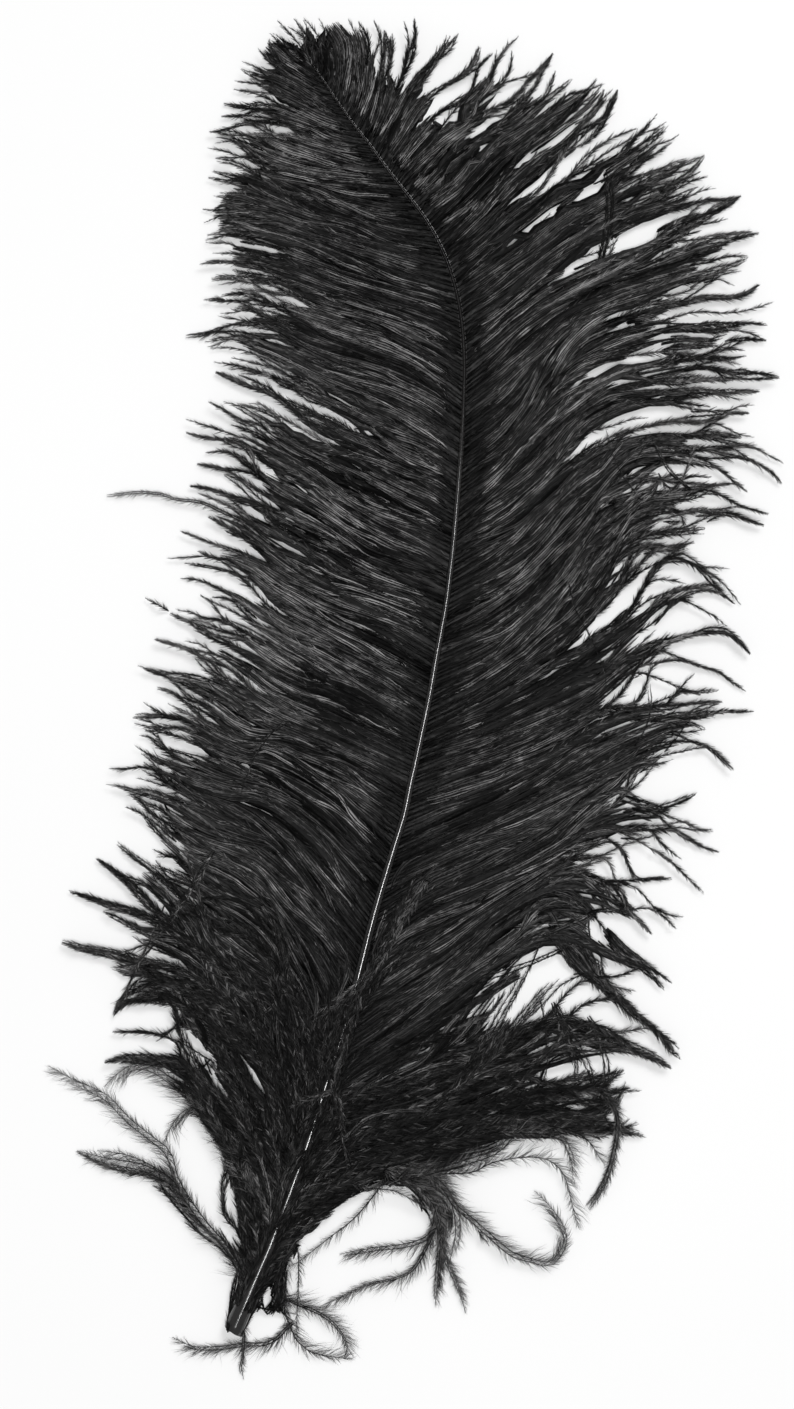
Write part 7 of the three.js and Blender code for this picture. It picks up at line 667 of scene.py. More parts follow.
# single barbs that make the fringe, from the web outward, in mm: x, y, x, y, ...
FRINGE = (
    (82.1,-124.2,88,-128.5,93.3,-133.5,98.3,-138.8,103.8,-143.7,109.1,-148.8,113.6,-154.5),
    (85.1,108.9,89.6,114.6,96.2,118,103.3,120.2,110.6,121.7,118,121.4,125.4,120.8,132.5,122.9,139.2,125.8,146.6,125.6),
    (87.3,7.3,93.1,11.4,99.3,14.5,106.2,16.3,113.3,17.1,120.2,16.4,126.9,14,133.6,11.8,139.4,7.6,145.3,3.7),
    (78.9,-58.9,85.9,-57.5,92.8,-59.2,99.3,-62.4,105.3,-66.3,111.1,-70.5,116.5,-75.3,121.8,-80.2,127,-85.2),
    (98.8,165.6,106.3,166,113.4,167.7,120.6,169.7,128.1,170.2,135.5,169.8,143,170.4,150.3,172.1,157.4,174.6),
    (95.6,167.3,102.7,169.1,109.2,172.4,116.3,173.7,123.5,175.5,130.8,176.2,138.1,176.6,145,178,151.1,182.1),
    (99.3,82.8,107.2,83.7,114.9,82.6,122.8,82.8,130.6,82.1,138.4,81.7,145.8,78.9,153.3,76.6),
    (25.7,264.3,32.2,269.5,35.2,277.2,39.3,284.4,45,290.4),
    (-40.6,119.2,-47.2,123,-53.4,127.3,-59.5,131.8,-66.1,135.4,-73.3,137.8,-80.1,141,-87.2,143.7),
    (100.2,20.9,106.9,24,113.9,26.4,121,28.5,128.3,29.4,135.7,29.3,142,25.6,147,20.2),
    (-68.7,1.2,-73.9,6.7,-79.5,11.6,-86.1,15.3,-93.1,17.9,-99.5,21.8,-106.6,24.2,-113.8,26.4),
    (86,30.9,91.5,35.7,96,41.3,99.4,47.8,102.3,54.4,107.3,59.5,112.8,64.2,119.7,66.3),
    (114.1,109.4,121.4,109.3,128.6,109.1,135.6,107.1,142.8,106.1,149.6,103.8,155.9,100.1,161,95),
    (-103.5,-219.6,-108.4,-214.2,-114.3,-210.5,-121,-207.8,-128.2,-207,-135.3,-205.2,-142,-202.4,-148.5,-199),
    (102.5,55.6,108.6,60.5,116,62.2,122.8,58.2,128.3,52.4,134.3,47.2,140.2,42.1),
    (110.6,143.1,117.4,144.5,124.3,145.5,131.3,145.2,138,143.3,144.9,142.7,151.8,143,158.5,141.4),
    (-44.9,135.3,-51,139,-56.8,143.2,-63.1,146.7,-68.9,150.9,-75.5,153.6,-82.6,154.5,-89.8,154.4),
    (68.9,244.7,72.2,250.8,76.5,256.2,80.5,261.8,82.8,268.2),
    (72.4,-63.4,79.1,-60.7,85.9,-62.6,91.2,-67.5,94.3,-74.1,98.2,-79.2,105.5,-78.7,112.8,-78.5),
    (59.7,236.2,65.2,240.9,69.9,246.7,76.4,250.1,82.1,254.6,86,260.9,89,267.6),
    (54,219,60.7,223.2,66.5,228.5,71.1,234.7,76.6,240.2,83.1,244.7,90.1,248.2,97.4,251),
    (-113.8,-116.8,-120.6,-115.8,-127.4,-115,-133.8,-112.2,-140.7,-110.5,-147.5,-109,-154.2,-106.6),
    (-1,256.6,4,261.8,9.4,266.7,15.4,270.7,21.4,274.7,26.9,279.2,28.7,286),
    (89.8,-56.2,97.4,-56.6,105,-57.4,112.8,-57.5,119.7,-60.5,126.1,-64.6,133.5,-66.9),
    (88.3,-4.9,96.2,-4.3,103.9,-2.8,111.2,-1.1,117.2,3.6,124.8,1.7),
    (65.1,108.7,69.4,114.1,75.6,116.8,82.2,118.9,88.8,120.9,95.5,122.4,102.4,123.2),
    (-56.8,80,-63.5,82.8,-70.3,85.6,-77.4,87.2,-84,90.2,-91,92.6,-98.2,93.7),
    (88.9,49,94.2,55.3,100.2,60.8,106.5,65.8,114.5,66.2,122.1,69.1),
    (114.8,90,121.8,91.3,128.9,91.9,135.4,89.3,141.5,85.6,148.2,83.3,155.1,81.6),
    (21,251.3,27.2,255.5,34.1,258.4,40.6,261.9,45.9,267.3,50.5,273,56.4,277.5,60.3,283.9),
    (100.7,-21.7,107.5,-19,114.6,-18.4,121.9,-18.5,128.8,-20.7,134.4,-25.2,139.6,-30.5),
    (95.1,31.4,100.9,36.1,104.7,42.2,110.5,46.3,117.4,48.9,124.8,49.4,131.9,50,137.5,45.3),
    (110.6,133.3,118.7,134,126.9,134.3,135,134,143,134.6,151.1,135),
    (-26.6,106.8,-33.4,108.8,-39.4,112.5,-45.5,115.8,-51.4,119.7,-57.5,123.3,-63.9,126.4,-70.6,128.3,-77.5,130),
    (99,139.2,107.1,139.3,115.3,139.2,123.4,139.9,131.6,140.2,139.7,140.3),
    (-44.8,172.5,-51.9,176.2,-59.7,177.1,-67.3,179.1,-75.3,179,-83,177.5),
    (59.4,-139.7,63.2,-133.5,68.3,-128.3,74.1,-124,80.8,-125.6,87.1,-129.4,93.1,-133.5,98.2,-138.7,103.6,-143.7,109,-148.6,113.4,-154.4),
    (102.4,195.8,108.7,198.9,115.7,200.4,122.8,200.7,129.9,201.6,137,201.9,144,203.3,151,204.5),
    (107.1,99.5,110.6,93.4,116.9,92.3,123.8,93.5,131,93.5,138.3,94.4),
    (87.8,92.6,94.6,95.5,101.6,97.4,108.6,95.9,115.9,94.9,123.1,94.6,130.4,94,137.7,94.6),
    (90.4,-5,97.8,-4.2,105.2,-3,112.5,-2.6,120,-2,127.5,-1.5,134.9,-1.2),
    (51.6,257.1,57.7,262,63.5,267.2,68.9,272.8),
    (-71.8,25.4,-78.7,28.4,-86,30.4,-93.1,32.7,-100.3,35,-107.2,37.9),
    (113.5,62.9,120.3,60.1,126.9,56.6,132.9,52.4,138,47,142.7,41.1),
    (81.3,-85.2,87.5,-89.5,94.6,-92.2,102.2,-92,109.3,-94.7,114.6,-100.2),
    (115.9,155.2,122.5,155.9,129.1,156.9,135.3,159),
    (74.1,-76.3,80.5,-79.4,87.4,-80.8,94.4,-81.3,100.1,-85.3,105,-90.4,110.1,-95.1,114.6,-100.5),
    (-65.5,106.7,-72,110.2,-78.6,113.6,-85.8,114.5,-93.1,115.6,-100.3,117.3),
    (-10.5,262.5,-7.9,269.6,-5.1,276.7,-2.9,283.8,-0.1,290.7,-0.5,298.3),
    (-57.5,183.8,-65.4,184.3,-73.3,184.2,-81.1,185.1,-88.9,184.2),
    (-17.3,260.4,-15.3,268.1,-12.1,275.3,-10.3,283,-10.8,290.8),
    (-116.6,-96.6,-123.7,-94.5,-130.4,-91.4,-137.4,-89.3,-144.4,-86.7,-151.5,-84.7),
    (-111.8,-93.3,-117,-88.2,-121.9,-82.8,-127.7,-78.5,-133.6,-74.4,-139.6,-70.2),
    (108.3,216.4,116.3,219,124,222.1,132.2,224.5),
    (106.9,114,114.2,115.1,121.4,116,128.7,116.1,135.9,116,143.2,115.2),
    (72.7,-8.8,79.3,-5.3,85.7,-1.6,91.3,3.3,95.8,9.2,101.6,12.4),
    (-70.7,40.4,-76.7,44.3,-82.9,47.6,-89.4,49.9,-95.9,52.5,-102.9,53.2),
    (-101.7,-163.9,-107.3,-159.7,-114.4,-158.6,-121.6,-158.1,-128.9,-158.3,-136.1,-159.1),
    (39.5,253,44.7,258.4,49.6,264.2,53.1,270.9,56.4,277.5,60.4,284),
    (-69.9,60.6,-76.5,63.3,-82.9,66.7,-89.6,69,-96.4,71.4,-103.1,73.9),
    (86.6,222.8,91.8,227.7,98.6,230.2,105.5,232.4,112.5,234.1,119.1,237),
    (93.7,68.6,99.8,71.4,106.5,73.2,113.4,73.5,120.3,74.1,127.1,74.9),
    (-103.2,-40.7,-109,-36.7,-114.1,-31.8,-120.1,-29.6,-127.1,-30.4,-134.2,-30.1),
    (62.2,224.2,67.3,229,73,233,79.6,235.6,86.1,238.2),
    (113.6,208,121.3,210.7,129.1,213.4,136.5,216.2,143.1,221.2),
    (107,171.4,114.7,173.7,121.6,177.6,128.3,182.1,135,186.5,142.9,187.9),
    (106.8,39.6,112.7,43.5,119.4,43.3,125.7,40.2,131.8,36.8,137.2,32.3),
    (-43.9,133.8,-50.4,137,-57.2,139.4,-63.7,142.3,-70.6,144.1,-77.5,145.9),
    (115.4,107,122.3,106.3,128.8,103.9,134.8,100.4,139.8,95.8,145.5,91.8),
    (-108.5,-147.3,-116.4,-146.6,-124.4,-145.8,-132.4,-146),
    (-91.2,-16.6,-97.4,-13.6,-104,-12.5,-110.7,-12.3,-117.1,-9.8,-123.7,-8.1),
    (79.4,-13.1,87,-9.7,94.8,-7.4,102.8,-5,111.1,-5.9),
    (62.7,225.1,68.8,230,76.1,232.9,83.4,235.7,90.7,238.4,97.1,243,103.9,246.8,109.6,252.1),
    (114.2,-8.5,120.9,-7.4,127.7,-6.3,134.6,-5.6,141.5,-5.3,148.4,-5.1),
    (91.5,-112.4,98.9,-116.1,106.2,-119.6,112.8,-124.5),
    (23.5,260.1,30.1,265,36.7,269.8,41.1,276.6,42.5,284.6),
    (115.2,163.5,123.1,162.4,131.1,161.1,138.9,162.1,146.8,161.1,154.1,157.8),
    (119.1,109.4,127,109.7,134.8,109.6,142.5,111,150.3,110.3),
    (60.5,-143.3,67,-140.4,71.9,-135.4,78.1,-132.4,85.1,-131.2,91.6,-132.4,96.6,-137.5,101.9,-142.1,107.2,-146.9,112.1,-152),
    (48.8,-176,53.4,-170.9,59.4,-168.5,66.3,-166.8,73.3,-165.9,80.2,-164.3),
    (-47.9,261.1,-55.2,264.8,-63.3,266.2,-71.4,266.9,-79.6,267.8),
    (84.6,4.6,90.2,9.6,97,11.9,104.2,10.1,111.2,7.5,118,4.5,124.9,2),
    (47.5,217.9,53.1,222.8,57.9,228.5,61.9,234.7,66.6,240.3,73.3,243.4,79,248.1,82.9,254.3,86.2,261.1,89.1,267.9),
    (62.7,-156.8,69.8,-154.8,77.1,-154.1,84.3,-153.5,91.7,-153.7,98.8,-155.5,105.7,-158.1,112.2,-161.6),
    (-59.1,37.6,-64.8,41.8,-69.7,46.8,-74.4,52.1,-80.6,55.2,-87.3,57.2,-94.2,58.7,-101.2,60),
    (57,187,63.1,190.9,69.9,193.1,76.7,195.3,83.4,198,89.3,201.8),
    (-85.1,-8.1,-91.5,-3.5,-98.8,-0.4,-105.6,3.2,-113.2,5.4),
    (-53.4,253,-61.1,254.6,-68.9,255.7,-76.7,256.5,-84.5,256.3),
    (97.5,175.6,105.2,177.2,113.1,177.3,120.5,179.7,126.7,184.6,134,187.4,141.7,188.5),
    (109.9,147.9,116.7,149.2,123.5,150.3,130,152.7,136.7,154.2,143.6,153.7),
    (83,-150.6,90.7,-151.6,97.9,-154.8,105.1,-157.9,112.1,-161.5),
    (115.6,207,122.6,210.1,129.5,213.5,136.1,217.1,142.8,221),
    (108.4,215.4,115.3,216.8,122.2,218.2,129.2,219,136.1,219.6,142.7,221),
    (-41.2,274.5,-46.4,280.1,-50.8,286.3,-55.4,292.4,-60.3,298.3),
    (43.1,255.5,48.9,260,55.2,263.6,59.4,269.4,61.8,276.3),
    (111.1,41.3,118.1,45.3,125.9,47.9,133.9,46.4,140.5,42),
    (87.3,92.7,94.2,95.9,101.2,98.3,108.3,96.2,115.6,96.4,122.8,97.6,130.3,97.2),
    (-55.9,85.7,-63.1,88.7,-70,92.1,-76.7,96,-83.9,98.9),
    (-49.7,168.2,-56.6,170.9,-63.5,173.6,-70.5,176,-77.6,177.8,-85,177),
    (-49.7,167.9,-56.7,170.8,-63.8,173.5,-71.3,174,-78.7,174.9,-86.2,175.5),
    (-106.5,-130.9,-113.6,-130.1,-120.7,-131.5,-127.8,-132.6,-132,-138.3),
    (90.3,-56.3,98.4,-56.3,106.4,-56.7,114.6,-56.2,122.7,-57,130.9,-57.4),
    (-63,116.4,-68.9,121.2,-76.2,123.5,-83.2,126.7,-89.8,130.5),
    (112.6,163.6,119.6,163.2,126.5,164.4,133.5,164.7,140.4,165.6,147.4,165.5,154.3,164.7),
    (-106.9,-131,-113.9,-128.5,-121.4,-128.3,-128.1,-131.7,-132,-138.2),
    (86,-47.5,91.4,-42.2,97.5,-37.7,102.6,-32.1,107.1,-26.2),
    (105.1,120.7,112.5,122.2,119.8,124.3,127.2,125.1,134.5,125.7,141.6,128.3,149,129.4),
    (-64.8,109.2,-71,113.8,-78.4,115.5,-85.5,118.5,-92.8,121),
    (-18.3,262.3,-16.1,270.1,-14.8,277.9,-13.6,285.9,-13.3,293.8),
    (-63.4,233.7,-69.7,237.2,-76.7,238.6,-83.7,240.5,-90.8,242),
    (102.6,220.7,109.3,224.4,115.7,228.4,121.9,232.7,127.1,238.3),
    (125.7,151,132.7,153.8,139.5,156.9,146.8,158.3,154.3,157.4),
    (74.4,-145.3,81.7,-145.8,88.9,-146.4,96.1,-145.2,103.2,-144.6,109.1,-148.8,113.6,-154.5),
    (107.1,121,114.2,122.1,121.4,121.5,128.6,121.7,135.4,119.7,141.8,116.6,148.9,115.4),
    (115,191.1,122.7,192.7,130.6,193.2,138.4,194,146.2,193.7),
    (-47.9,251.3,-55.2,253.2,-62.8,253.3,-70.3,253.7,-77.5,256.2,-85,256.1),
    (67,228.8,73.4,232.3,79.3,236.6,85.5,240.5,91.9,244.1,97.9,247.9,103.5,252.6),
    (23.6,264.7,29,269.1,33.6,274.1,36.7,280.3,40.4,286.1,45.5,290.8),
    (121.4,126.6,130.4,126.1,139.3,126.6),
    (122.5,196.4,129.7,198.2,136.8,200.4,143.7,203,150.9,204.6),
    (-73.9,13.8,-80.4,17.7,-87.6,20,-93.8,24.2,-101.2,25.8),
    (77.8,-78.5,84.9,-81.1,91.4,-84.7,93.7,-91.7,98.9,-97.1,104.1,-102.6),
    (90.4,52.3,93.7,58.9,98.4,64.6,104.9,67.5,112.3,66.6,119.6,67.7),
    (89.1,227.3,95.5,233.1,101.5,239.4,107.8,245.2),
    (86.3,171.9,93.4,174.2,100.8,174.6,108.2,174,115.6,174,122.9,175.4,130.3,176.3,137.7,176.6,144.8,177.9,150.9,182.1),
    (59.2,-74.4,65.6,-70.9,72.1,-67.6,78.7,-64.4,85.5,-62.5,91.5,-66.5,94.2,-73.2,96.7,-79.8),
    (-70.5,76.5,-76.3,80.7,-82,84.8,-88.3,88.1,-95,90.5),
    (-49.9,242.2,-56.3,245,-62.5,248.2,-68.3,252,-75,253.9),
    (-56.5,256.9,-63.1,259,-70,259.7,-76.8,260.6,-83.7,261.8),
    (-0.6,269.7,3.8,275.3,8.8,280.3,13.7,285.4,18.2,290.9),
    (120,183.4,126.7,185.3,133,188.1,139.2,191.1,145.8,193.4),
    (-79.8,100.7,-87.7,101.9,-95.6,103.5),
    (-104.9,-62.6,-109.7,-57.8,-114.8,-53.4,-120.2,-49.4,-126.7,-47.3),
    (-54.9,141.9,-60.8,145.3,-67.3,147,-73.9,148.7,-80.5,150.3),
    (110.7,203.9,117,206.9,123.8,208.3,130.7,209.5,137.3,211.8),
    (69.4,245.4,72.8,251.1,77.5,255.9,81.2,261.5,83.2,267.9),
    (66.9,-188.9,74.1,-190.6,81.2,-192.1,88,-190,95.2,-189.1),
    (-67.9,191.4,-74.5,192.2,-81.1,192.4,-87.8,192.3,-94.3,191.2),
    (60.2,-74.8,66.3,-71.4,72.9,-69.8,79.8,-69.8,86.5,-69.8),
    (60,-74.6,66.4,-71.2,73.2,-68.6,80.4,-68.5,87.6,-67.7),
    (96.1,41.6,99.6,48,104.8,52.6,112,52.2,119.1,51),
    (131.8,203.4,140,204.6,148.3,205.2),
    (101.7,84.8,109.9,85,116.3,81.2,119.4,73.7,126.9,72.8),
    (-55.1,128.6,-60.4,132.7,-65.5,136.9,-71.2,140.3,-77.4,142.6),
    (23.8,253.1,31,255.8,38.6,257.1,46.1,259.2,52.3,263.8),
    (110.4,147.9,117,149.1,123.6,149.7,130.2,150.6,136.8,150.6),
    (95.1,239.3,100.9,243.1,106.2,247.7,111.1,252.5),
    (-75.4,19.4,-81.4,23.8,-87.9,27.4,-94.4,31.1,-100.7,35,-107.5,38),
    (127.9,145.6,135.8,143.8,143.7,141.3,151.8,140.6,160,141.1),
    (98.4,-48,105.3,-48.5,111.7,-50.8,118,-53.6,123.9,-56.9,130.8,-57.4),
    (-73,59,-79.9,61.3,-87.1,62.3,-94.3,63,-101.5,62.4,-108.8,62),
    (-81.5,-12.9,-87,-8,-93.4,-4.3,-100.1,-1.4,-106,2.8,-112.9,5.3),
    (138.9,110.8,147.1,111.2,154.5,107.8,161.7,103.8),
    (-46.7,253.7,-53.1,257.1,-59.2,260.8,-65.4,264.4,-72.2,266.8,-79.3,267.7),
    (106.3,-8.3,113.7,-6.9,121.3,-6.5,128.7,-4.5),
    (-25.6,111.7,-32.3,114.1,-39.2,115.6,-44.9,119.5,-50,124.5,-55.4,129.1,-61.3,133.1,-67.7,135.9,-74.3,138.2,-80.8,141.2,-87.3,143.9),
    (-61.1,163.2,-69.6,165.1,-78.2,165.6,-86.5,163.4),
    (-53.9,163.3,-61.7,166.5,-69.4,170,-77.5,172.2),
    (100.6,-48.8,108.5,-48.4,115.8,-45.2,123.1,-41.8),
    (95.2,74.4,101.8,78,109.1,79.1,116.4,80.9,123.7,82.6,131.2,82,138.6,81.7,145.6,79,152.8,76.7),
    (-62.4,226.2,-68.5,229.3,-74.1,233.2,-80.5,235.7,-87.2,236.6),
    (46.7,255.7,53.6,260.9,58.2,268.2,61.8,276),
    (-108,-82,-113.1,-77.7,-118.3,-73.6,-123.5,-69.5,-128.9,-65.7),
    (91.8,229.6,96.1,234.5,101.8,237.8,107.7,240.5,112.9,244.5),
    (100.3,132.1,108.1,131,115.5,128.4,123.2,126.9,131,126.2,138.8,126.5),
    (84.5,44.6,90.3,50.1,96.9,54.5,103.8,58.5,110.9,61.8,118.1,64.4),
    (90.4,236.3,97,241.2,103,246.9,109.5,251.9),
    (-98.2,-28.7,-104.1,-25.4,-109.5,-21.6,-114.7,-17.5,-120.4,-15.5),
    (-15.4,272.7,-14.6,281.2,-15.1,289.9,-18.2,297.8),
    (-61,163.2,-68.8,164.9,-76.9,165.2,-84.7,163.6,-92.3,161.2,-100.3,160.2),
    (74.9,-119.4,81.5,-121.5,88.4,-121.4,94.9,-119.5,101.3,-117.4,107.3,-120.4,112.8,-124.5),
    (-70.9,27.5,-77.8,31,-84.5,34.7,-92.2,36.1,-99.6,38),
    (94.5,-29.5,101.2,-26.9,108,-24.7,115.1,-23.2,122.2,-21.6,129.2,-21,134.6,-25.6,139.7,-30.7),
    (123.2,115.8,129.7,115.8,136.3,115.7,142.8,115),
    (106.4,120.7,114.5,122.3,122.6,122,130.7,122.1,138.1,125.4,146.3,125.8),
    (85.2,-2.1,90.8,3.3,94.9,9.9,99.2,16.4,104.9,21.6,112,24.9,119.1,28.1,126.9,29.1,134.6,29.4,141.5,26,146.9,20.4),
    (92.4,221.6,98.4,225.2,105.3,226.1,112.3,226.4,118.8,228.6,125.2,231.3),
    (58.3,-71.1,64.5,-67.1,71.4,-65.2,78.4,-63.4,85.3,-61.9,91.1,-66.3,94.2,-72.9,96.6,-79.6),
    (-97,-145.4,-103.2,-141.6,-105.6,-134.4,-112.2,-130.7,-119.9,-131.3,-127.3,-132.8,-132,-138.1),
    (-44.7,137.3,-50.8,142,-57,146.7,-63.5,150.9,-70.6,154.1,-77.3,158,-84.8,158.5,-92.4,157.5),
    (-94.4,6.3,-102.4,8.9,-110.7,10.7,-118.7,12.9),
    (86.7,-111.3,92.5,-114.9,99,-117.5,104.2,-121.9,109.4,-126.7),
    (72.6,188,79.8,191.1,85.5,196.1,89.4,202.9),
    (139.4,164.3,147,165.3,154.7,164.8),
    (120.7,109.4,128.4,110,136.1,111.1,143.8,111.9,151.1,109.8),
    (-65.2,28.7,-70.6,33,-76.4,36.4,-82.1,40,-88.5,42.3,-94.4,45.6),
    (109.9,88.5,115.3,92.7,118.5,99,120.7,105.8,123.9,112.2),
    (-57.8,80.1,-64.7,84.1,-71.4,88.5,-77.2,94.1,-83.7,98.8),
    (-68.2,196.7,-76.1,198.3,-83.7,200.6,-91.7,201.3),
    (104.9,220.8,112.4,224.8,120.5,226.9,128.6,229.1),
    (5.9,254.2,11.9,258.6,18.8,260.9,24.6,265.3,26.6,272.1,28.8,278.8,34.1,283.7),
    (40.9,194.2,46.4,198.3,50.9,203.4,55.1,208.8,59.6,213.9),
    (98.7,167.3,106.4,169.2,113.4,172.9,121,174.9,128.9,176.2,136.8,176.6,144.4,177.7,151,182.1),
    (-55.9,266,-63.2,269.3,-71.1,270.5,-79.1,271.5),
    (23.2,259.1,28.9,264.2,35.3,268.3,42.2,271.5,49.5,273.7,56.2,277.2,60.4,283.6),
    (-80.4,-17.3,-88.2,-13.4,-94.8,-7.9,-101,-1.9),
    (116.1,115.4,123.3,115.8,130.4,114.5,137.3,112.6,144.4,112,151.2,109.9),
    (84.2,54.3,88.7,60.2,94,65.3,100.5,68.3,107.8,67.8,115.1,66.9,122.1,69.1),
    (-91.6,-16.7,-97.9,-13.6,-104.6,-12.8,-111.5,-13.4,-118.4,-13.9),
    (-66.3,157.8,-74.3,159.1,-82.2,159.1,-90.2,158),
    (97.4,44.2,101.4,50.7,105.4,57,111.2,61.9,118.1,64.1),
    (105,-18.1,111.9,-14.4,119.6,-14.3,127.3,-12.7),
    (-66.6,241.3,-74.3,244.2,-81.8,247.7,-89.8,249.3),
    (110.4,147.9,118.2,149.2,126.1,149.8,133.9,149.5,141.7,149.9),
    (-65.4,96,-71.1,101.1,-77,105.8,-83.7,109.3),
    (-64.2,167.3,-70.9,170.7,-78.2,170.5,-85.4,169.6),
    (-62.6,240.3,-68.3,245.3,-75.2,248.2,-82.7,249.2,-90.2,249.3),
    (115,62.6,122.3,59.4,130.1,58.1,138.1,57.4),
    (-99,-168.1,-104.3,-162.2,-112.2,-160.7,-119.9,-158.7,-127.8,-157.9,-135.8,-159),
    (96.6,-6.6,104.2,-4.9,111.7,-4.5,119.1,-2.2,126.8,-1.4,134.5,-1),
    (102.2,72.1,109.7,73.4,117.1,74.5,124.2,77.2,131.1,80.4,138.4,81.2,145.6,78.8,152.9,76.7),
    (-64,117.7,-68.5,122.3,-73.9,125.6,-79.6,128.3),
    (-42.7,243.4,-49.4,245.7,-56.2,247,-63.2,247.6,-70.3,247.9,-77.4,248.1),
    (-102.7,-62.4,-107.7,-58.2,-112.5,-53.8,-117.3,-49.3,-122.1,-44.9),
    (118.9,61,126,56.7,131.9,50.8,137.2,44.4),
    (106.8,131.9,114.4,130.8,121.9,129.5,129.5,128.7),
    (-55.9,183.4,-64.1,184.5,-72.2,186.1,-80.1,188.4),
    (-99.9,-42.6,-106.9,-38.6,-114.5,-36.4,-122.3,-34.6),
    (-112,-117.5,-119.1,-115.7,-126.2,-113.9,-133,-111.4,-140.3,-110.5,-147.5,-108.9,-154.5,-106.6),
    (-64.2,142.5,-72,144.9,-79.9,147.3,-88,148.7),
    (-85.1,-8,-91.7,-3.3,-98.7,0.5,-104.2,6.5,-110.9,10.7,-118.6,12.9),
    (6.2,264.2,11.7,268.2,17.9,271.1,23.8,274.6,29.4,278.4,34,283.4),
    (-60.9,163.2,-69.4,165.2,-77.8,166.9,-86.3,168.4),
    (115,107.5,122.1,106.8,129,105.9,136.1,105.9,143.1,105.6,149.9,103.6,156,100.1,160.9,95),
    (85.6,-111,91.4,-115.6,98.5,-117.9,104.1,-122.5,109.9,-127.4),
    (-60,111.3,-66.3,115.7,-73.2,118.5,-80.6,120.6),
    (63.7,-141.8,71.2,-143,78.9,-143.3,85.7,-146.3,92.2,-150.3,98.1,-155.1,105.2,-157.9,112,-161.4),
    (-24.5,115.7,-31.3,119.2,-37.7,123.4,-45.2,125.1,-52.6,127.2,-59,131.6,-65.7,135.3,-73.1,137.7,-80.1,141,-87.3,143.8),
    (-103.8,-133.4,-111.2,-131.8,-118.8,-133.3,-126.5,-134.3,-132.1,-138.5),
    (88,223.4,94.2,226.3,100.2,229.6,106.7,231.5,113.2,233.4,119.1,237),
    (-109.8,-125.9,-116.7,-125.3,-123.3,-127.6,-128.7,-131.8,-132,-137.9),
    (-88.8,-21.8,-96.2,-18.8,-103.7,-16.6,-111,-13.7,-118.8,-12.8),
    (-62.2,120.8,-69.2,124.7,-76.3,128.4,-83.9,131),
    (-95.3,-11.9,-101.9,-8.7,-109,-7.3,-116.3,-7.2,-123.5,-7.5),
    (81,-5.3,89.6,-4.5,97,-1.2,101.7,6),
    (-5.4,275.7,-3.5,283,-2.7,290.2,-4.7,297.4),
    (-10.3,261.8,-7.5,269.1,-4.3,276.2,-0.3,282.8,0.2,290.5,-0.4,298.3),
    (-61.2,247.6,-67.5,252.1,-75,252.7,-82.5,250.5,-89.9,249.3),
    (-108.3,38.9,-113.1,42.3,-118.1,45.3),
    (-21.5,266.8,-20.2,274.9,-18,282.8,-15.5,290.5,-18.2,298),
    (92.2,221.6,98.1,225.7,105.1,227.3,112.3,228.3,119.3,229.8,124.9,234.4),
    (89.7,111.9,97.3,113.4,104.7,116.1,112.4,116.8,120.1,116.2,127.9,116.1,135.7,115.9,143.4,115),
    (-71.8,25.4,-78.7,28.4,-85.9,30.9,-92.7,34,-100.1,35.1,-107.1,37.9),
    (-110,-44.5,-117.1,-42.1,-123.9,-39.6,-131,-37.7),
    (121.5,163.2,128.6,164.6,135.7,163.6,142.9,163.1),
    (-69.7,224.7,-76.5,227.1,-83.6,227.9,-90.7,229.1),
    (72.6,-92.8,79.5,-92.3,86.5,-91.4,93.4,-93.5,99.3,-97.6,104.2,-102.7),
    (-66.2,158,-73.4,159.3,-80.6,160.5,-87.7,161.8,-94.8,160.6),
    (65.6,-174.1,72.9,-174.9,80.4,-176.7,87.9,-175.7,92.9,-170),
    (-67.4,194.6,-74.5,195.7,-81.7,195.9,-88.9,196.2),
    (-116.9,-107.3,-120.9,-113.5,-126.2,-118.2,-133.4,-117.4),
    (70.6,-69.8,78.2,-69.4,85,-70.5,88.1,-77.5,91.2,-84.4,93.3,-91.7,98.7,-97.2,104.1,-102.7),
    (-49.3,176.7,-55.9,178.9,-62.3,181.3,-68.6,184.2,-75.4,184.9,-82.3,185.2,-89.2,184.2),
    (115.5,182.5,124,183.4,132.2,184.7,140.2,181.8),
    (107.2,203.2,112.6,207.4,118.5,211.2,123.5,216,129.5,219.1,136.4,219.6,142.9,221.1),
    (103.5,196.8,110.5,201.1,118.3,203.9,126.1,206.2),
    (92.4,102.4,98.5,106.2,100.7,113.1,106.4,115.9,113.8,115.9,121.2,115.7,128.6,116,135.9,115.9,143.2,115),
    (-41.3,274.6,-46.1,279.7,-50.9,284.6,-56.9,288.1,-62.3,292.4),
    (106.2,87.6,113.6,88.1,120.8,88.2,127.8,90.6,134.8,89.6,141.2,85.9,148,83.4,155.1,81.6),
    (85.4,223.4,90.7,227.9,96.5,231.6,101.3,236.6,106.8,240.7,112.7,244.4),
    (101.8,217.4,108.8,220,115,224,121.5,227.3,128.7,229.2),
    (78.7,-188.5,86,-188,93,-190.3,100.3,-191.6),
    (94.9,17.1,102,20.7,109.7,20.9,117.1,18,124.4,14.9,132,12.7,138.6,8.3,145.1,3.8),
    (107.8,192.4,113.4,196.2,119.6,199.3,125.2,203.3),
    (76.6,-119.3,82.3,-124.3,89.5,-126.7,96.8,-128.7),
    (119.2,158.6,128.5,157.8,137,161),
    (123,145.2,130.1,145.1,136.4,141.7,143.4,140.7,150.6,140.6,157.8,141.2),
    (-104.3,-114,-111.3,-111.1,-118,-108.4,-124.2,-104),
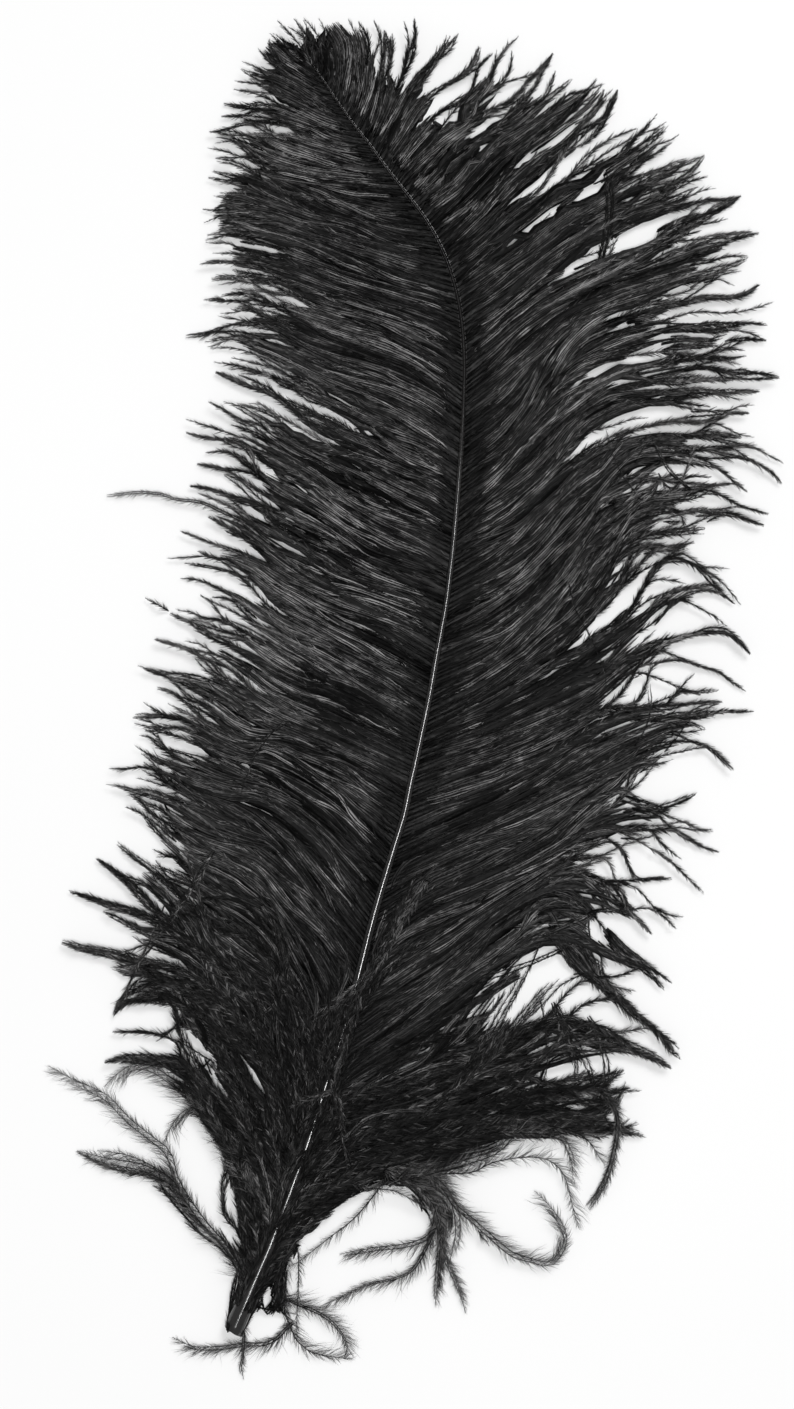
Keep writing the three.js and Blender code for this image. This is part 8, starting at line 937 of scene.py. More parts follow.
    (-100.4,-42.2,-107,-38.3,-113.6,-34.5,-120.1,-30.8),
    (-62.8,93.5,-68.1,98.1,-74.6,100.7,-81.6,101.3,-88.5,102.3,-95.5,103.5),
    (76.2,-145.6,84.2,-146.8,91.6,-149.2,97.7,-154.7,105.2,-157.9,112.3,-161.9),
    (82.3,163.1,88.9,166,95.5,168.7,102.3,170.9,109.4,172.1,116.4,173.7,123.4,175.4,130.6,176.3,137.8,176.6,144.7,177.8,150.7,181.7),
    (-14.9,255.2,-12.5,262.1,-12.1,269.4,-11.6,276.7,-10.3,283.9,-10.9,291.1),
    (-110.3,-87.8,-115.4,-83,-121.4,-79.5,-127.9,-77.1,-134,-73.9,-139.8,-70.1),
    (-56.1,43,-63.2,46.9,-70.2,50.9,-77.4,54.3,-84.9,56.8,-92.8,58.6,-100.8,59.9),
    (-63.8,72.5,-68.8,76.8,-73.8,81.1,-78.5,85.8,-83.7,89.8),
    (103.9,140.5,111.7,141.8,119.5,142.5,127.3,142.2),
    (-74.7,18.6,-80.6,22.7,-87.1,25.4,-93.3,28.8,-98.9,33.2),
    (72.5,-8.7,78.9,-5.5,85.5,-3,92.3,-2.2,98.7,-0.3,101.9,6),
    (94.5,162.7,101.7,164.3,108.8,166.1,116.1,165.1,123.3,163.8,130.6,162.7,137.9,161.9),
    (-108.5,-97.9,-114.2,-93.7,-119.4,-89,-124.3,-83.9,-129.4,-79.1,-134.3,-74.1,-140.1,-70.1),
    (-70.5,225.2,-76.7,227.4,-82.7,230.1,-88.9,231.8),
    (-67.5,240,-73.6,243.2,-80,245.7,-86.9,246.8),
    (24.7,-148.7,29.7,-141.8,35.5,-135.7,40.4,-128.8),
    (89.8,63.3,95.5,66.2,102.3,66.2,109,66,115.4,67.4,121.1,71),
    (110,-9.2,116.3,-7.7,122.1,-4.8,128.1,-2.3,134.5,-1.1),
    (90.4,-56.3,98.5,-56.2,105.4,-59.3,110.3,-65.9),
    (74,-70,81.6,-68.6,88.5,-65.2,95.7,-62.5,103.1,-63),
    (68.5,-151.2,67.8,-144.6,68.1,-138.4,72.8,-133.7),
    (-69.8,37.7,-75.4,41.9,-82,43.8,-88.9,45.1),
    (118.1,82.5,125.2,82.3,132.2,83.3,139.3,84.3,146.4,83.4),
    (69.9,-81.9,76.3,-83.8,80.2,-89.4,86.5,-91.9,93.2,-93.8,98.9,-97.5,103.7,-102.6),
    (87.1,30.5,92.9,34.5,97.8,39.5,103.6,43.6,110,46.4,116.7,48.8,123.7,49.5,130.6,50.3,136.3,46.5),
    (77.7,230.6,83.2,234.5,88.4,238.9,93.2,243.7,98.1,248.3,103.3,252.6),
    (109.7,60.7,115.8,64,121.9,61.1,127.6,57.1,133.3,52.9),
    (-98.6,-165.1,-101.7,-158.3,-104.1,-151.2,-110,-147.8,-117.4,-146.4,-124.9,-145.8,-132.4,-145.9),
    (49.4,-167.3,56.6,-168.4,63.8,-167.9,71,-167.1,78,-165.7,85,-165.1,91.8,-162.7),
    (-70.3,203,-77.4,205.1,-84.7,204.1,-91.6,201.5),
    (90.6,52.1,94.5,58.5,98.8,64.6,105.1,67.5,112.5,66.5,119.7,68),
    (125.6,184.4,132.3,187.1,139.1,189.6,145.4,193.2),
    (-78.1,-233.5,-83,-227.3,-84.7,-219.8,-84.6,-211.9,-82.7,-204.5,-85.6,-197.3),
    (-19.8,114,-26.5,117.1,-32.7,121.4,-39.3,124.3,-46.7,125.7,-53.7,128,-59.9,132.2,-66.5,135.5,-73.5,138,-80.3,141.1,-87.3,143.8),
    (-59.5,81.1,-65.7,83.8,-71.9,86.9,-78.7,88.3,-85,90.9,-91.7,92.8,-98.6,93.7),
    (102.8,134.7,110.8,135.3,118.8,135.8,126.9,135.9,134.8,134.7,142.8,134.8,150.9,135),
    (-56,264.6,-63,268.4,-69.7,272.4,-76.6,276.4),
    (82.2,-110.9,89.9,-113.4,97.3,-116.7,104.1,-120.4,109.4,-126.5),
    (-51.4,78.9,-58.2,82.1,-64.7,85.8,-70.8,90.3,-76,95.7,-82.7,99.2),
    (105.2,192.1,111.5,197,119.3,198.3,127.1,199.9,135.1,200.7,142.9,202.7,150.6,204.6),
    (-95.3,-12,-102,-8.8,-109.2,-7.1,-116,-4.3),
    (-75.6,19.7,-81.4,24.2,-87.5,28.1,-93.8,31.8,-100.5,34.9,-107.2,37.9),
    (-72.2,70.6,-78.1,74,-84.4,76.5,-90.2,80),
    (-55.7,71.9,-60.7,76.8,-65.2,82.4,-71.1,86.5,-78,88.1,-84.7,90.6,-91.5,92.8,-98.7,93.6),
    (67.3,-172.9,74.1,-171.5,81,-171.1,85.6,-166.4,91.4,-162.8),
    (-61.6,110.8,-67.5,115,-73.9,118,-80.6,120.6),
    (-108.6,-108.1,-116.4,-106.9,-123.9,-109.5,-131.6,-111.4,-139.4,-110.6,-147.2,-109.1,-154.7,-106.5),
    (94.7,236.2,101.4,241,108.6,244.9,116,248.4),
    (100.5,227.2,107.2,230,114.1,232.1,119.5,236.7),
    (-57.6,271.2,-63.8,274,-69.7,277.5,-75.9,280.1),
    (-74.8,104.1,-82.7,108.5,-92,108.6),
    (116,115.4,122.9,116.4,129.8,117.5,136.6,116.9,143.4,115.1),
    (-51,177.3,-58.4,180.1,-65.7,182.9,-73.6,183.5,-81.4,184.8,-89.2,184),
    (-65,190.2,-72.1,191.6,-79.4,191.8,-86.7,191.7,-93.8,191.2),
    (116.8,185.1,124.3,186.9,131.4,189.9,138.9,191.1,146.3,193.6),
    (93.2,68.3,99.2,71.4,105.9,72.7,112.6,71.9,119.3,72.1,125.7,74.2),
    (115.7,162.3,123.3,161.9,130.8,162.5,138.3,163.6,145.9,164.5),
    (-85.8,-16.2,-91.8,-12.8,-96.8,-8.2,-103.2,-5.9,-108.8,-2.2),
    (-65.7,184.4,-72.6,183.9,-79.3,183,-86.1,182),
    (-54.3,71.3,-60.8,75.3,-65.2,81.5,-71.1,86.3,-78.5,88.1,-85.5,91.1,-92.9,93.2),
    (95.2,87.9,101.6,90.5,106.2,95.4,112.3,98.4,119.1,98.5),
    (-114.8,-107.8,-120,-113.7,-125.4,-119.7,-132.7,-118.7),
    (56.7,256.3,62.9,260.3,68,265.4,74.8,267.5,80.1,272.5),
    (-103.3,-67.2,-108.8,-62.2,-114.6,-57.6,-119.4,-52),
    (63.5,99.8,69.7,105.2,75.8,110.6,83.2,113.9,90.9,116.6,98.7,118.8,106.6,120.8,114.7,122.3,122.8,121.9,130.9,122.2,138.2,125.6,146.4,125.7),
    (101.8,135,108.8,135.7,115.9,136.1,122.9,136.9,129.9,135.9,137,135.8,144.1,135.6,151.2,135),
    (-49.6,168.2,-56.5,170.9,-63.4,173.8,-70,177.2,-77.2,178.1,-84.5,177.1),
    (115.2,3.9,123.9,3,132.8,3.8),
    (115.7,82.6,123.5,82.4,131,81.3,138.6,81.6,145.8,78.9,153,76.5),
    (100.6,64,106.7,65,112.9,65.1,118.8,67.1),
    (78.7,-189.6,85,-188.7,91.2,-188,97.2,-185.9),
    (114.7,207.1,120.9,209.7,126.6,213.1,131.7,217.4,137.6,219.6),
    (92.3,-4.9,99.4,-4,105.8,-1.2,112.4,1.4,118.6,4.3,125.2,2.1),
    (104.2,-57.9,110,-64.6,117.2,-69.9),
    (-103,-8.4,-111.5,-5.9,-119.2,-1.4),
    (112.6,226.1,117.7,229.7,122.1,234.1,126.7,238.3),
    (93.3,68.5,99.5,71.5,106.3,73.3,113.2,74.5,120.3,74.5,127.3,75),
    (77.4,-78.3,83.4,-82.3,87.2,-88.5,93,-92.9,98.8,-97.3,103.7,-102.7),
    (91.5,-49.6,99.4,-48.6,106.5,-51.5,112.3,-56.7,119.3,-60.2,125.9,-64.5,133.5,-66.9),
    (61.9,-76.2,70.3,-74.4,78.4,-71.1,86.5,-69.8),
    (-106.3,-130.7,-102.1,-138.1,-106.4,-144.7,-114.4,-147.4),
    (77.6,250.5,82.6,255.4,85.1,261.9,89,267.6),
    (-51.2,165.8,-57.8,167.8,-64.1,170.2,-70.8,171.5,-77.5,172.3),
    (116.8,139.2,123.9,140,131,141,138.1,140.6,145.2,140.8,152.4,140.6,159.5,141.2),
    (-56.5,256.1,-63.4,258.5,-70.6,258.2,-77.6,256.6,-84.9,256.2),
    (91.1,-55.8,97.9,-55.3,104.7,-55.7,111.6,-55.1,118.1,-53.8,124.1,-56.9,131,-57.4),
    (-102.5,-68.8,-108.7,-63.1,-113.9,-56.6,-119.6,-50.5,-127.2,-47.2),
    (92.8,-42.5,100.3,-45.2,108.1,-47.2,116,-45.4,123.3,-41.7),
    (110.1,84,117.4,82.7,124.8,83.7,132.2,83.3,139.7,82.5),
    (82.2,86.6,89.6,87.7,95.8,91.2,100.8,96.5,108.2,96.2,115.6,94.9,123,94.6,130.5,94.1,138,94.6),
    (74.3,199.3,80.8,202.4,87.1,205.7,94,207.5,100.7,209.8),
    (62.9,-176.9,71.1,-176.5,79.5,-177,86.8,-173.5,94.5,-170.3),
    (-46.5,133.7,-52.1,137.7,-58.1,140.7,-64.6,142.7,-71.2,144.3,-77.9,145.8),
    (68.4,-98.3,75.1,-94,82.9,-93,90.7,-94,98.1,-96.9,103.7,-102.6),
    (-99.5,-141.7,-103.5,-135,-111.4,-133.7,-119.4,-133.1),
    (-32.8,127.2,-39.5,129.5,-46.4,131.1,-51.6,135.9,-57.1,140.2,-63.9,142.4,-70.8,144.2,-77.7,145.9),
    (-6.4,258.8,-2.3,265.6,3.3,271.3,7.8,277.8,12.1,284.5,17.4,290.4),
    (10,244.7,15.2,249.9,21,253.9,27.6,257,34,260.2,40.9,262.6,46.2,267.6,50.8,273.2,56.4,277.6,60.4,283.8),
    (-107.8,-104.9,-115.4,-104.3,-122.5,-101.5,-129.1,-97.9,-135.8,-94.3),
    (65.5,-110.7,68.6,-117.1,74.3,-121.7,80.8,-125,87,-129,92.8,-133.5,98,-138.8,103.7,-143.5,109.1,-148.6,113.6,-154.5),
    (15.2,270.6,21.3,274.5,26.1,279.6,27.8,286.5),
    (130.5,145.3,137.7,143.7,145.1,144.1,152.4,143.1,159.6,141.2),
    (-80.4,5.8,-85.9,11.6,-91.3,17.5,-98.2,21.7,-106.1,24.1,-113.9,26.4),
    (62,237.3,66.4,242.6,71.1,247.8,77,251.5,82.8,255.4,86.2,261.4,89.1,267.7),
    (-104.9,-12.6,-111.2,-12.1,-117.3,-11.9,-123.2,-10.2),
    (-73.1,204.9,-82.2,206.2,-91.1,204),
    (-23.7,281.5,-25.4,290.2,-29.2,298.3),
    (-83.5,175.7,-88.1,176,-92.6,175),
    (109.6,114.7,117.4,115.7,124.7,118.4,131.5,122.3,138.5,125.6,146.4,125.7),
    (-104.7,-39,-110.4,-32.9,-117.3,-29.9,-125.6,-30.4,-133.9,-30.3),
    (-68.4,238.9,-74.1,243,-80.7,244.8,-87.5,244.3),
    (84.2,233.8,89.6,238,94.1,243.2,98.3,248.5,104.7,250.5,110.4,254),
    (106,216.5,112.2,218.7,118.1,221.7,123.8,224.9),
    (75.9,-77.5,83,-80.4,87.8,-86.3,92.3,-92.3,98.4,-97,103.7,-102.6),
    (92.2,29.8,97.7,34.4,102.6,39.7,106.9,45.2,113.7,47.7,120.6,49.6),
    (121.7,116,129.3,115.3,136.7,113.8,144.1,112.2,151.2,109.8),
    (88.7,92.6,96,95.7,103.9,96.2,111.6,98,119.5,98.3),
    (-51,252.3,-59.3,254.1,-67.8,254,-76.2,254.7),
    (109.7,147.4,116.7,148.7,123.9,149.1,131,149.7,138.2,150.1,145.3,150.9),
    (27.8,-233.5,30.4,-236.6,32.8,-239.8),
    (-64.2,72.8,-70.1,77,-75.5,81.8,-81.7,85,-88.3,88,-95.1,90.5),
    (-58.7,139.8,-67.1,142.8,-76.1,142.9),
    (104.1,-90.6,110.4,-94,117.6,-95.7),
    (-51.1,114.2,-56.7,119.6,-62.5,124.6,-69.6,127.6,-77.1,129.6),
    (-99,-74.8,-103.4,-70.2,-109.3,-68.1,-115.3,-66.1),
    (108.5,192.5,114.6,196.1,120.8,199.6,126.9,203,133.8,204.6,140.9,204.8,148,205.4),
    (-64.4,49.5,-69.8,54.1,-76.2,57,-81.9,61,-88.6,62.6,-95.1,65.2),
    (-49.7,168.3,-56.7,171,-63.5,174.4,-70,178.1,-77.5,178.1,-85,176.9),
    (114.3,26.6,121.6,28.6,128.8,30.8,136.2,30.3,142.1,25.6,147.1,19.9),
    (50,219.2,55.3,223.9,59.6,229.5,63.4,235.5,67.2,241.5,70.9,247.6,76.3,252,82.5,255.4,86.2,261.4,89,267.9),
    (-78.6,-17.6,-84.8,-14.5,-90.5,-10.7,-95.4,-5.9,-100.8,-1.6,-106.3,2.7,-112.7,5.2),
    (110.6,142.9,117.7,144.5,124.7,145.9,131.6,146.2,138.5,144.2,145.5,142.9,152.7,143,159.6,141.2),
    (110.6,164.3,117.5,163.5,124.4,162.7,131.2,161.4,138.1,162.1),
    (-52.2,273.7,-58,277.3,-63.8,280.9,-68.8,285.5),
    (92.6,-48.9,100.6,-47.7,108.5,-46.4,116.1,-43.9,123.8,-41.3),
    (87.7,-40.4,94.7,-42.9,101.9,-44.8,109.1,-47.1,116.3,-45.3,123.1,-41.9),
    (90.3,-34.7,97.3,-30.5,105.4,-28.8,113.2,-26.7),
    (-101.5,-45.5,-108.2,-43,-114.8,-40.5,-121.9,-40.2,-128.5,-38,-135.5,-37.2),
    (24,253.5,26.1,259.6,29.9,264.5,35.7,267.5,40.5,271.8),
    (-82.5,5.7,-89.4,8.4,-96.4,10.9,-103.7,11.6,-111.2,11.3,-118.4,13),
    (-64.9,62.2,-71.2,67,-77.1,72.3,-83.5,76.8,-90.7,80.1),
    (94.3,221,102.2,223.2,110.3,224.6,117.8,228,125.2,231.3),
    (108.6,153.6,115.6,155.2,122.8,154.4,129.7,155.5,136.7,154.4,143.9,153.7),
    (80.7,149.5,87.7,150.7,94.7,151,101.7,152.1,108.7,153,115.7,152.4,122.7,151.4,129.7,150.6,136.8,150.7),
    (-75.8,4.9,-81.9,9.2,-86.9,14.8,-93.2,18.2,-99.7,21.8,-106.7,24.2,-113.9,26.4),
    (-119.4,-100.7,-127.8,-96.7,-136.5,-93.5),
    (85.9,-47.5,90.5,-43,94.6,-38.2,97.5,-32.5),
    (-111.9,-93.1,-117.2,-88.1,-122.6,-83.5,-127.8,-78.6,-133.6,-74.3,-139.6,-70.3),
    (110.8,133.3,119.1,134,127.5,134.3,135.8,133.3,143.9,131.7),
    (-53,163.8,-59.5,166.6,-66.1,169,-72.4,172.2,-78.9,174.9,-85.9,175.5),
    (121.3,149.6,129.3,150.8,136.8,153.6,144.8,153.3),
    (-61.1,88,-68.1,91.2,-74.7,95.1,-80.9,99.4,-88,102.1,-95.6,103.5),
    (105.7,-56.7,113,-57.6,119.5,-61.5,126.4,-64.7,133.6,-67),
    (75.3,-77.2,82.3,-80,89.7,-79.6,97.2,-79.1,104.8,-78.7,112.3,-78.6),
    (-64.8,107.5,-71.1,110.8,-77.4,113.9,-84,115.4),
    (-76,215.9,-84.5,214.9,-93.1,215.5),
    (24.8,-146.6,29.6,-140.1,35.1,-134.3,39,-127.2),
    (-62.9,173.4,-69.9,175.4,-77.2,175.3,-84.5,175.2,-91.6,175.3),
    (-56.3,256.8,-63.1,259,-70.2,259.3,-77.2,259.9,-84,261.8),
    (108.1,-10.7,114.6,-10,121.1,-11,127.4,-12.7),
    (-79.8,17.5,-86.6,19.4,-93.5,20.9,-100.4,22.6,-107.3,24.4,-114,26.5),
    (-84.1,117.8,-92.3,120.4,-100.4,123.1),
    (115.6,115.4,123.8,116.9,131.8,118.9),
    (-56.4,163.1,-64.1,166.2,-71.5,169.8,-79.4,170.9),
    (88.6,226.7,94.8,231,99.9,236.7,105.4,242),
    (-41.1,132.1,-48.3,135.4,-55.8,137.9,-62.6,141.7,-70.2,144.1,-77.9,145.8),
    (-73.8,120.3,-77,121.5,-80.2,122.7),
    (-87.6,6.3,-94.4,8.4,-101.1,10.9,-107.9,12.2,-114.9,12.5,-121.6,14.7),
    (-65.4,49.5,-71.2,53.1,-76.3,57.6,-82,61.3,-88.5,62.7,-94.8,65.2),
    (-28.5,117.4,-34.8,120.8,-41.4,123.4,-48.4,125.5,-54.7,128.6,-60.7,132.7,-67.2,135.8,-74.1,138,-80.6,141.1,-87.3,143.9),
    (-33.2,118.1,-39.8,121.7,-46.1,125.9,-52.9,128.9,-59.6,132.3,-66.4,135.7,-73.5,137.9,-80.3,141,-87.3,143.9),
    (-47.7,254,-54.4,257.3,-61,260.8,-68.4,261.1,-75.8,260.6,-83.2,261.8),
    (127.7,145.6,135.8,144.2,144,144.8,151.9,143.2,159.8,141.1),
    (-99.7,-140.1,-104,-133.8,-111.7,-132.6,-119.5,-132.7),
    (106.9,200.1,112.9,203.9,119.5,206.3,125.5,210,131.4,213.7,137.5,217.1,143.1,221.2),
    (86.3,82.4,92.3,86.7,98.9,90.2,105.1,94.1,111.5,96.9),
    (-65.4,143.1,-73.5,144.8,-81.8,145.3),
    (86.3,-9.8,93.2,-8.6,100.3,-9,107.2,-7.3,114.1,-6,121.2,-5.9,128.1,-4.2,134.6,-1.2),
    (-59.7,100.5,-66.6,103.7,-71.4,109.4,-78.1,112.5,-85.3,114.4,-92.9,115.6,-100.3,117.3),
    (-38.5,130.4,-45.1,133.2,-51.8,135.6,-58.5,138,-64.1,142.3,-70.9,144.3,-77.9,145.7),
    (-43.9,279,-45.6,285.8,-49.6,291.4,-55.7,294.9),
    (-61.8,94.9,-67,99.4,-72.4,103.5,-78.3,106.8,-84.7,109,-91.5,108.8),
    (109.9,-9.1,117.8,-8.8,125.6,-8.2,133,-5.7,140.9,-5.4,148.8,-5),
    (99.7,213.1,107,214.7,114.6,214.6,121.6,216.9,128.5,219.4,136,219.7,143.1,221.1),
    (-48.1,74.6,-55.6,77.1,-62.7,80.3,-68.8,85.3,-76.2,87.6,-83.6,90.2,-91.1,92.7,-98.9,93.7),
    (-116.6,-96.6,-124.7,-94.1,-132.8,-92.1,-140.5,-89.2),
    (-50.8,69.8,-57,72.6,-62.8,76,-67,81.4),
    (-61.4,56.6,-68.1,60.1,-74.3,64.3,-81.5,66.1,-88.5,68.7,-95.6,71.2,-102.6,73.9),
    (19.7,247.9,25.6,252.7,31.6,257.2,38.3,260.8,44.2,265.5,49.5,271,54.6,276.2,59.4,282),
    (-66.3,30,-71.8,34.6,-76.7,39.8,-81.9,44.4,-88.9,45.1),
    (-14.8,274.2,-14.3,280.8,-12.7,287.2,-13.1,293.8),
    (111.6,173.1,118.3,174.5,124.9,176.5,131.8,176.4,138.6,176.5,145.2,178.1,150.9,182),
    (-59.7,271.4,-67.8,274.3,-76.1,276.6),
    (121.9,109.2,129.1,109.4,136.1,107.7,143.2,106.7,149.8,103.8,155.9,99.9,161.1,94.9),
    (-71.2,27.8,-77.9,31.1,-83.9,35.4,-88.3,41.3,-94.3,45.5),
    (-85.2,-8.6,-90.7,-4.2,-96.9,-1.1,-102.4,3.1,-108.2,6.9),
    (83.8,-4.3,91.1,-3.7,98.4,-3.4,105.7,-2.7,112.8,-2.3,120.2,-2,127.4,-1.6,134.7,-1.2),
    (119.6,115.9,127.6,116.4,135.7,116.5,143.6,115.2),
    (-43.3,283.3,-47.6,291.5,-52.9,299.1),
    (109.3,78.1,114.2,78.1,119.2,77.9),
    (77.5,-121.7,82.1,-127,88,-130.6,93.3,-135,98.8,-139.4,104,-144.1,109.2,-148.8,113.4,-154.3),
    (-72.3,217.6,-80.3,219.8,-88.4,220.4),
    (-118,-115.6,-124.7,-116,-131.2,-113.9,-137.8,-112.7),
    (-101.4,-164.1,-106.8,-159.4,-113.9,-157.8,-121.3,-157.9,-128.7,-157.9,-136,-159),
    (-21.5,281.1,-22.2,289.7,-25,297.8),
    (-104.7,-39.4,-111.7,-33.2,-119,-27.6),
    (127.5,149.9,135.5,149.1,143.3,147.1),
    (-24.8,106.3,-32.1,108.6,-38.5,112.7,-45.1,116.4,-51.8,119.9,-58.5,123.7,-65.4,127,-72.8,128.7),
    (83.6,-56,92.7,-57.5,101.1,-60.9),
    (92.6,-40.4,94.8,-33.3,100,-28.5,107.1,-26.2),
    (-110.4,-89.1,-115.4,-84.1,-121.5,-80.7,-128,-78.1,-133.9,-74.2,-139.6,-70.1),
    (92.7,-4.6,98.2,0.5,101.6,7.2,104.3,14.3,110.8,16.8,118.3,17.1,125.4,14.4,132.7,12.3,139,7.9,145.3,3.7),
    (-100.4,-27.8,-106.6,-24.5,-112.3,-20.4,-117.5,-15.6),
    (-84.8,34.9,-91.8,35.9,-98.5,38.1,-105.2,39.9),
    (73.9,255.6,80.4,261.8,86.5,268.4),
    (-53.1,243.6,-60.5,246.6,-67.6,250.3,-74.7,253.1,-82.2,250.6,-89.9,249.2),
    (101.6,-141.9,109,-147.6,116.2,-153.3),
    (-44.7,174.6,-52.9,177.5,-61.5,178,-70,179.4),
    (-64.7,95.5,-70.4,101.5,-76.3,106.8,-84.2,109.2),
    (16.1,244.3,21.9,249,27.9,253.4,34,257.8,40.3,262,45.8,267.1,50.6,272.8,56.2,277.4,60.4,283.7),
    (66.6,-173.3,73.9,-172.1,81.2,-171.5,87.1,-167.4),
    (12.2,268.8,19,273.4,24.8,279.2,28.1,286.4),
    (107.7,230.5,114,233.6,120.5,236.1,127,238.8),
    (113.9,163.5,122,164.1,130,165.5,138.1,165.5,146.2,165.2,154.4,164.8),
    (-75.5,7.6,-80.8,12.6,-86.5,17.2,-92.7,21.1,-99.9,22.5,-107,24.4,-114.1,26.5),
    (38.2,252.2,43.4,258,48.4,264,53.2,270,56.2,277.2,60.4,283.8),
    (-107.7,-51.4,-112.8,-47.3,-118.9,-44.8,-124.6,-41.5),
    (-64.9,96,-69.6,102,-71.6,109.2,-78.1,112.6,-85.4,114.4,-92.9,115.6,-100.4,117.3),
    (10.2,249.6,15.2,255.8,20.6,261.7,26.2,267.3,31.1,273.4),
    (-69.4,27.5,-76.6,31.2,-83.3,35.5,-89,41),
    (55.2,-169,63.2,-167.7,70.7,-164.8,78.5,-162.8),
    (-71.5,48.9,-76.8,53.8,-81.9,59.2,-88.2,62.3,-95,65.1),
    (114.5,90.7,120.9,92.2,127.4,93.6,133.8,95.1,140.4,94.6,146.2,91.3),
    (56.9,-169.3,64.5,-170,71.8,-172,79.4,-171.2,85.6,-167.2,91.5,-162.8),
    (-11.5,276.7,-9.8,284.5,-9.8,292.5),
    (103,145.8,109.5,148.1,116.2,150.2,123,150.8,129.9,150.4,136.9,150.7),
    (-105.6,-53.1,-112,-48.8,-119,-45.8,-125.2,-41.4),
    (104.2,38.9,108.7,44,114.7,47.1,121.4,48.7,128.2,48.2,134.6,46,140.2,42.1),
    (105.6,-66.3,111.4,-70.4,117,-74.7,121.8,-79.9,126.7,-85),
    (54,-168.4,61,-168.4,67.5,-170.2,74.2,-171.4,81.1,-170.4,86.6,-166.3),
    (-62.8,93.9,-68.5,99.4,-71.9,106.5,-77.2,111.9,-84.7,114.4,-92.5,115.5,-100.3,117.3),
    (97.9,151.4,105.8,152.5,113.7,151.6,121.6,150.9,129.5,150.3,137.5,150.1,145.4,150.9),
    (-21.2,274.2,-21,282.3,-21.4,290.1,-24.8,297.4),
    (-56.1,119.2,-60.9,124.1,-66,128.7,-72.6,130.1),
    (112.3,155.2,119.2,155.6,125.9,155.3,132.5,157),
    (103.1,196.3,110.3,199.8,118.2,201.2,125.8,203.1),
    (75.5,-121.2,80.1,-126.3,85.8,-130.2,91.5,-134,97,-138.1,102.4,-142.5,107.5,-147.2,112.3,-152.2),
    (-64.7,58.1,-72.1,61.7,-79.4,65,-86.9,68,-94.5,70.8,-102.2,73.8),
    (-102.6,-45,-109.5,-42.4,-116.5,-39.7,-123.9,-39.2,-131.1,-37.7),
    (98.4,225.8,105.9,229.1,113.8,230.6,121.5,232.5,127,238.3),
    (97.7,77,104.1,80.4,110.9,82.6,118,82.9,125.2,82.8,132.4,82.2,139.5,81.5,146.2,78.8,153,76.7),
    (-101.7,-151,-103.7,-144.4,-104.9,-137.6,-108.3,-131.8,-114.9,-130.4,-121.6,-131.9,-128.3,-133,-132,-138.4),
    (97.4,29,103.7,32.7,109.2,37.6,114.4,42.7,120.7,46,127.6,47.9,134.5,45.9,140.5,42),
    (63.9,100,70.5,104.7,76.5,110,84,112.9),
    (113.3,188.2,121.3,190.8,129.5,191.9,137.6,193.9,145.9,193.6),
    (89.2,225.7,96.3,229.3,104.2,231.2,112.1,233,119.2,236.9),
    (78,80.3,83.8,85.4,90.6,89.2,98.6,90,105.3,93.8,111.1,98.8),
    (91.8,209.5,98.8,212.5,106.4,213.3,113.7,215,120.9,217.7,128.3,219.5,135.9,219.6,143.1,221.1),
    (82.4,163.2,88.9,166.3,95.1,170,102,172.5,109,174.1,116.1,174.9,123.3,175.8,130.5,176.4,137.8,176.5,144.7,177.8,150.8,181.9),
    (94.2,-26.9,100.2,-22.6,107.3,-20.8,114.5,-19,121.8,-18.5,128.9,-20.7,134.4,-25.5,139.7,-30.8),
    (73.4,24.2,79.3,29.1,86.5,32.3,93.1,36.6,97.2,43.1,101.1,50,105.2,56.6,111,61.8,118.1,64.2),
    (-66.5,21.1,-72.4,25.2,-79.3,26.8,-86.2,28.3,-92.9,30.5,-99.1,34.2,-105.6,37),
    (100,86.2,105.4,90,112,90.7,116.6,95.3,122.3,97.8,129,97.4),
    (58,-72.1,64.4,-68.1,71.4,-66.3,78.5,-64.1,85.6,-62.4,91.7,-66.6,94.4,-73.5,97.8,-79.2,105.3,-78.7,112.9,-78.6),
    (49,216.7,55.4,220.6,61.1,225.5,67.1,229.7,72.6,234.7,77.8,240.1,83.6,244.9,90.3,248.3,97.2,251.1),
    (92,65.9,98,70,105.4,70.7,112.6,72.4,119.9,73.9,127.2,74.7),
    (103.4,140.5,111.4,141.1,119.4,141.6,127.4,142.2),
    (121,28.4,128.4,30,135.9,29.7,142.1,25.6,147.1,19.9),
    (-100.3,-17.5,-106.2,-15.7,-112.3,-14.4,-118.4,-13.9),
    (93.6,-31.4,102,-28.5,110.9,-27.2),
    (102.1,-142.3,107.4,-146.9,111.3,-152.7,116.3,-157.5),
    (116.2,-8.4,122.7,-6.6,129.3,-5,136.1,-5.2),
    (-105.8,-30.6,-111.6,-27.5,-117.4,-24.4,-122.6,-20.4),
    (-59.9,80.7,-67.3,84.2,-75.4,85.9,-82.5,89.5,-90.1,92.4,-98.2,93.7),
    (-98,-75.7,-104.9,-70.1,-113.7,-69.2),
    (103.7,-19,109.8,-15.5,116.4,-15.8,122.8,-18.6,129.4,-20.9,134.6,-25.5,139.4,-30.6),
    (77.4,-78.4,84.7,-80.4,89.5,-85.4,92.7,-92.2,98.5,-97,103.7,-102.6),
    (-80.5,32.7,-88.7,35.1,-97.3,35.8),
    (90.3,34.6,95.6,39.8,100.4,45.4),
    (-63.8,234.1,-71.2,238.1,-79.5,237.7,-87.6,237.3),
    (110.6,-1.9,116.3,5,122.6,11.4),
    (-63.5,158.5,-70.9,160,-78.2,161.7,-85.7,161.7,-93,160.9,-100.6,160.2),
    (90.6,-61,98.8,-61.2,107,-58.7),
    (-52.1,263.4,-58.3,266.3,-64.8,268,-70.9,270.8,-77.7,271.5),
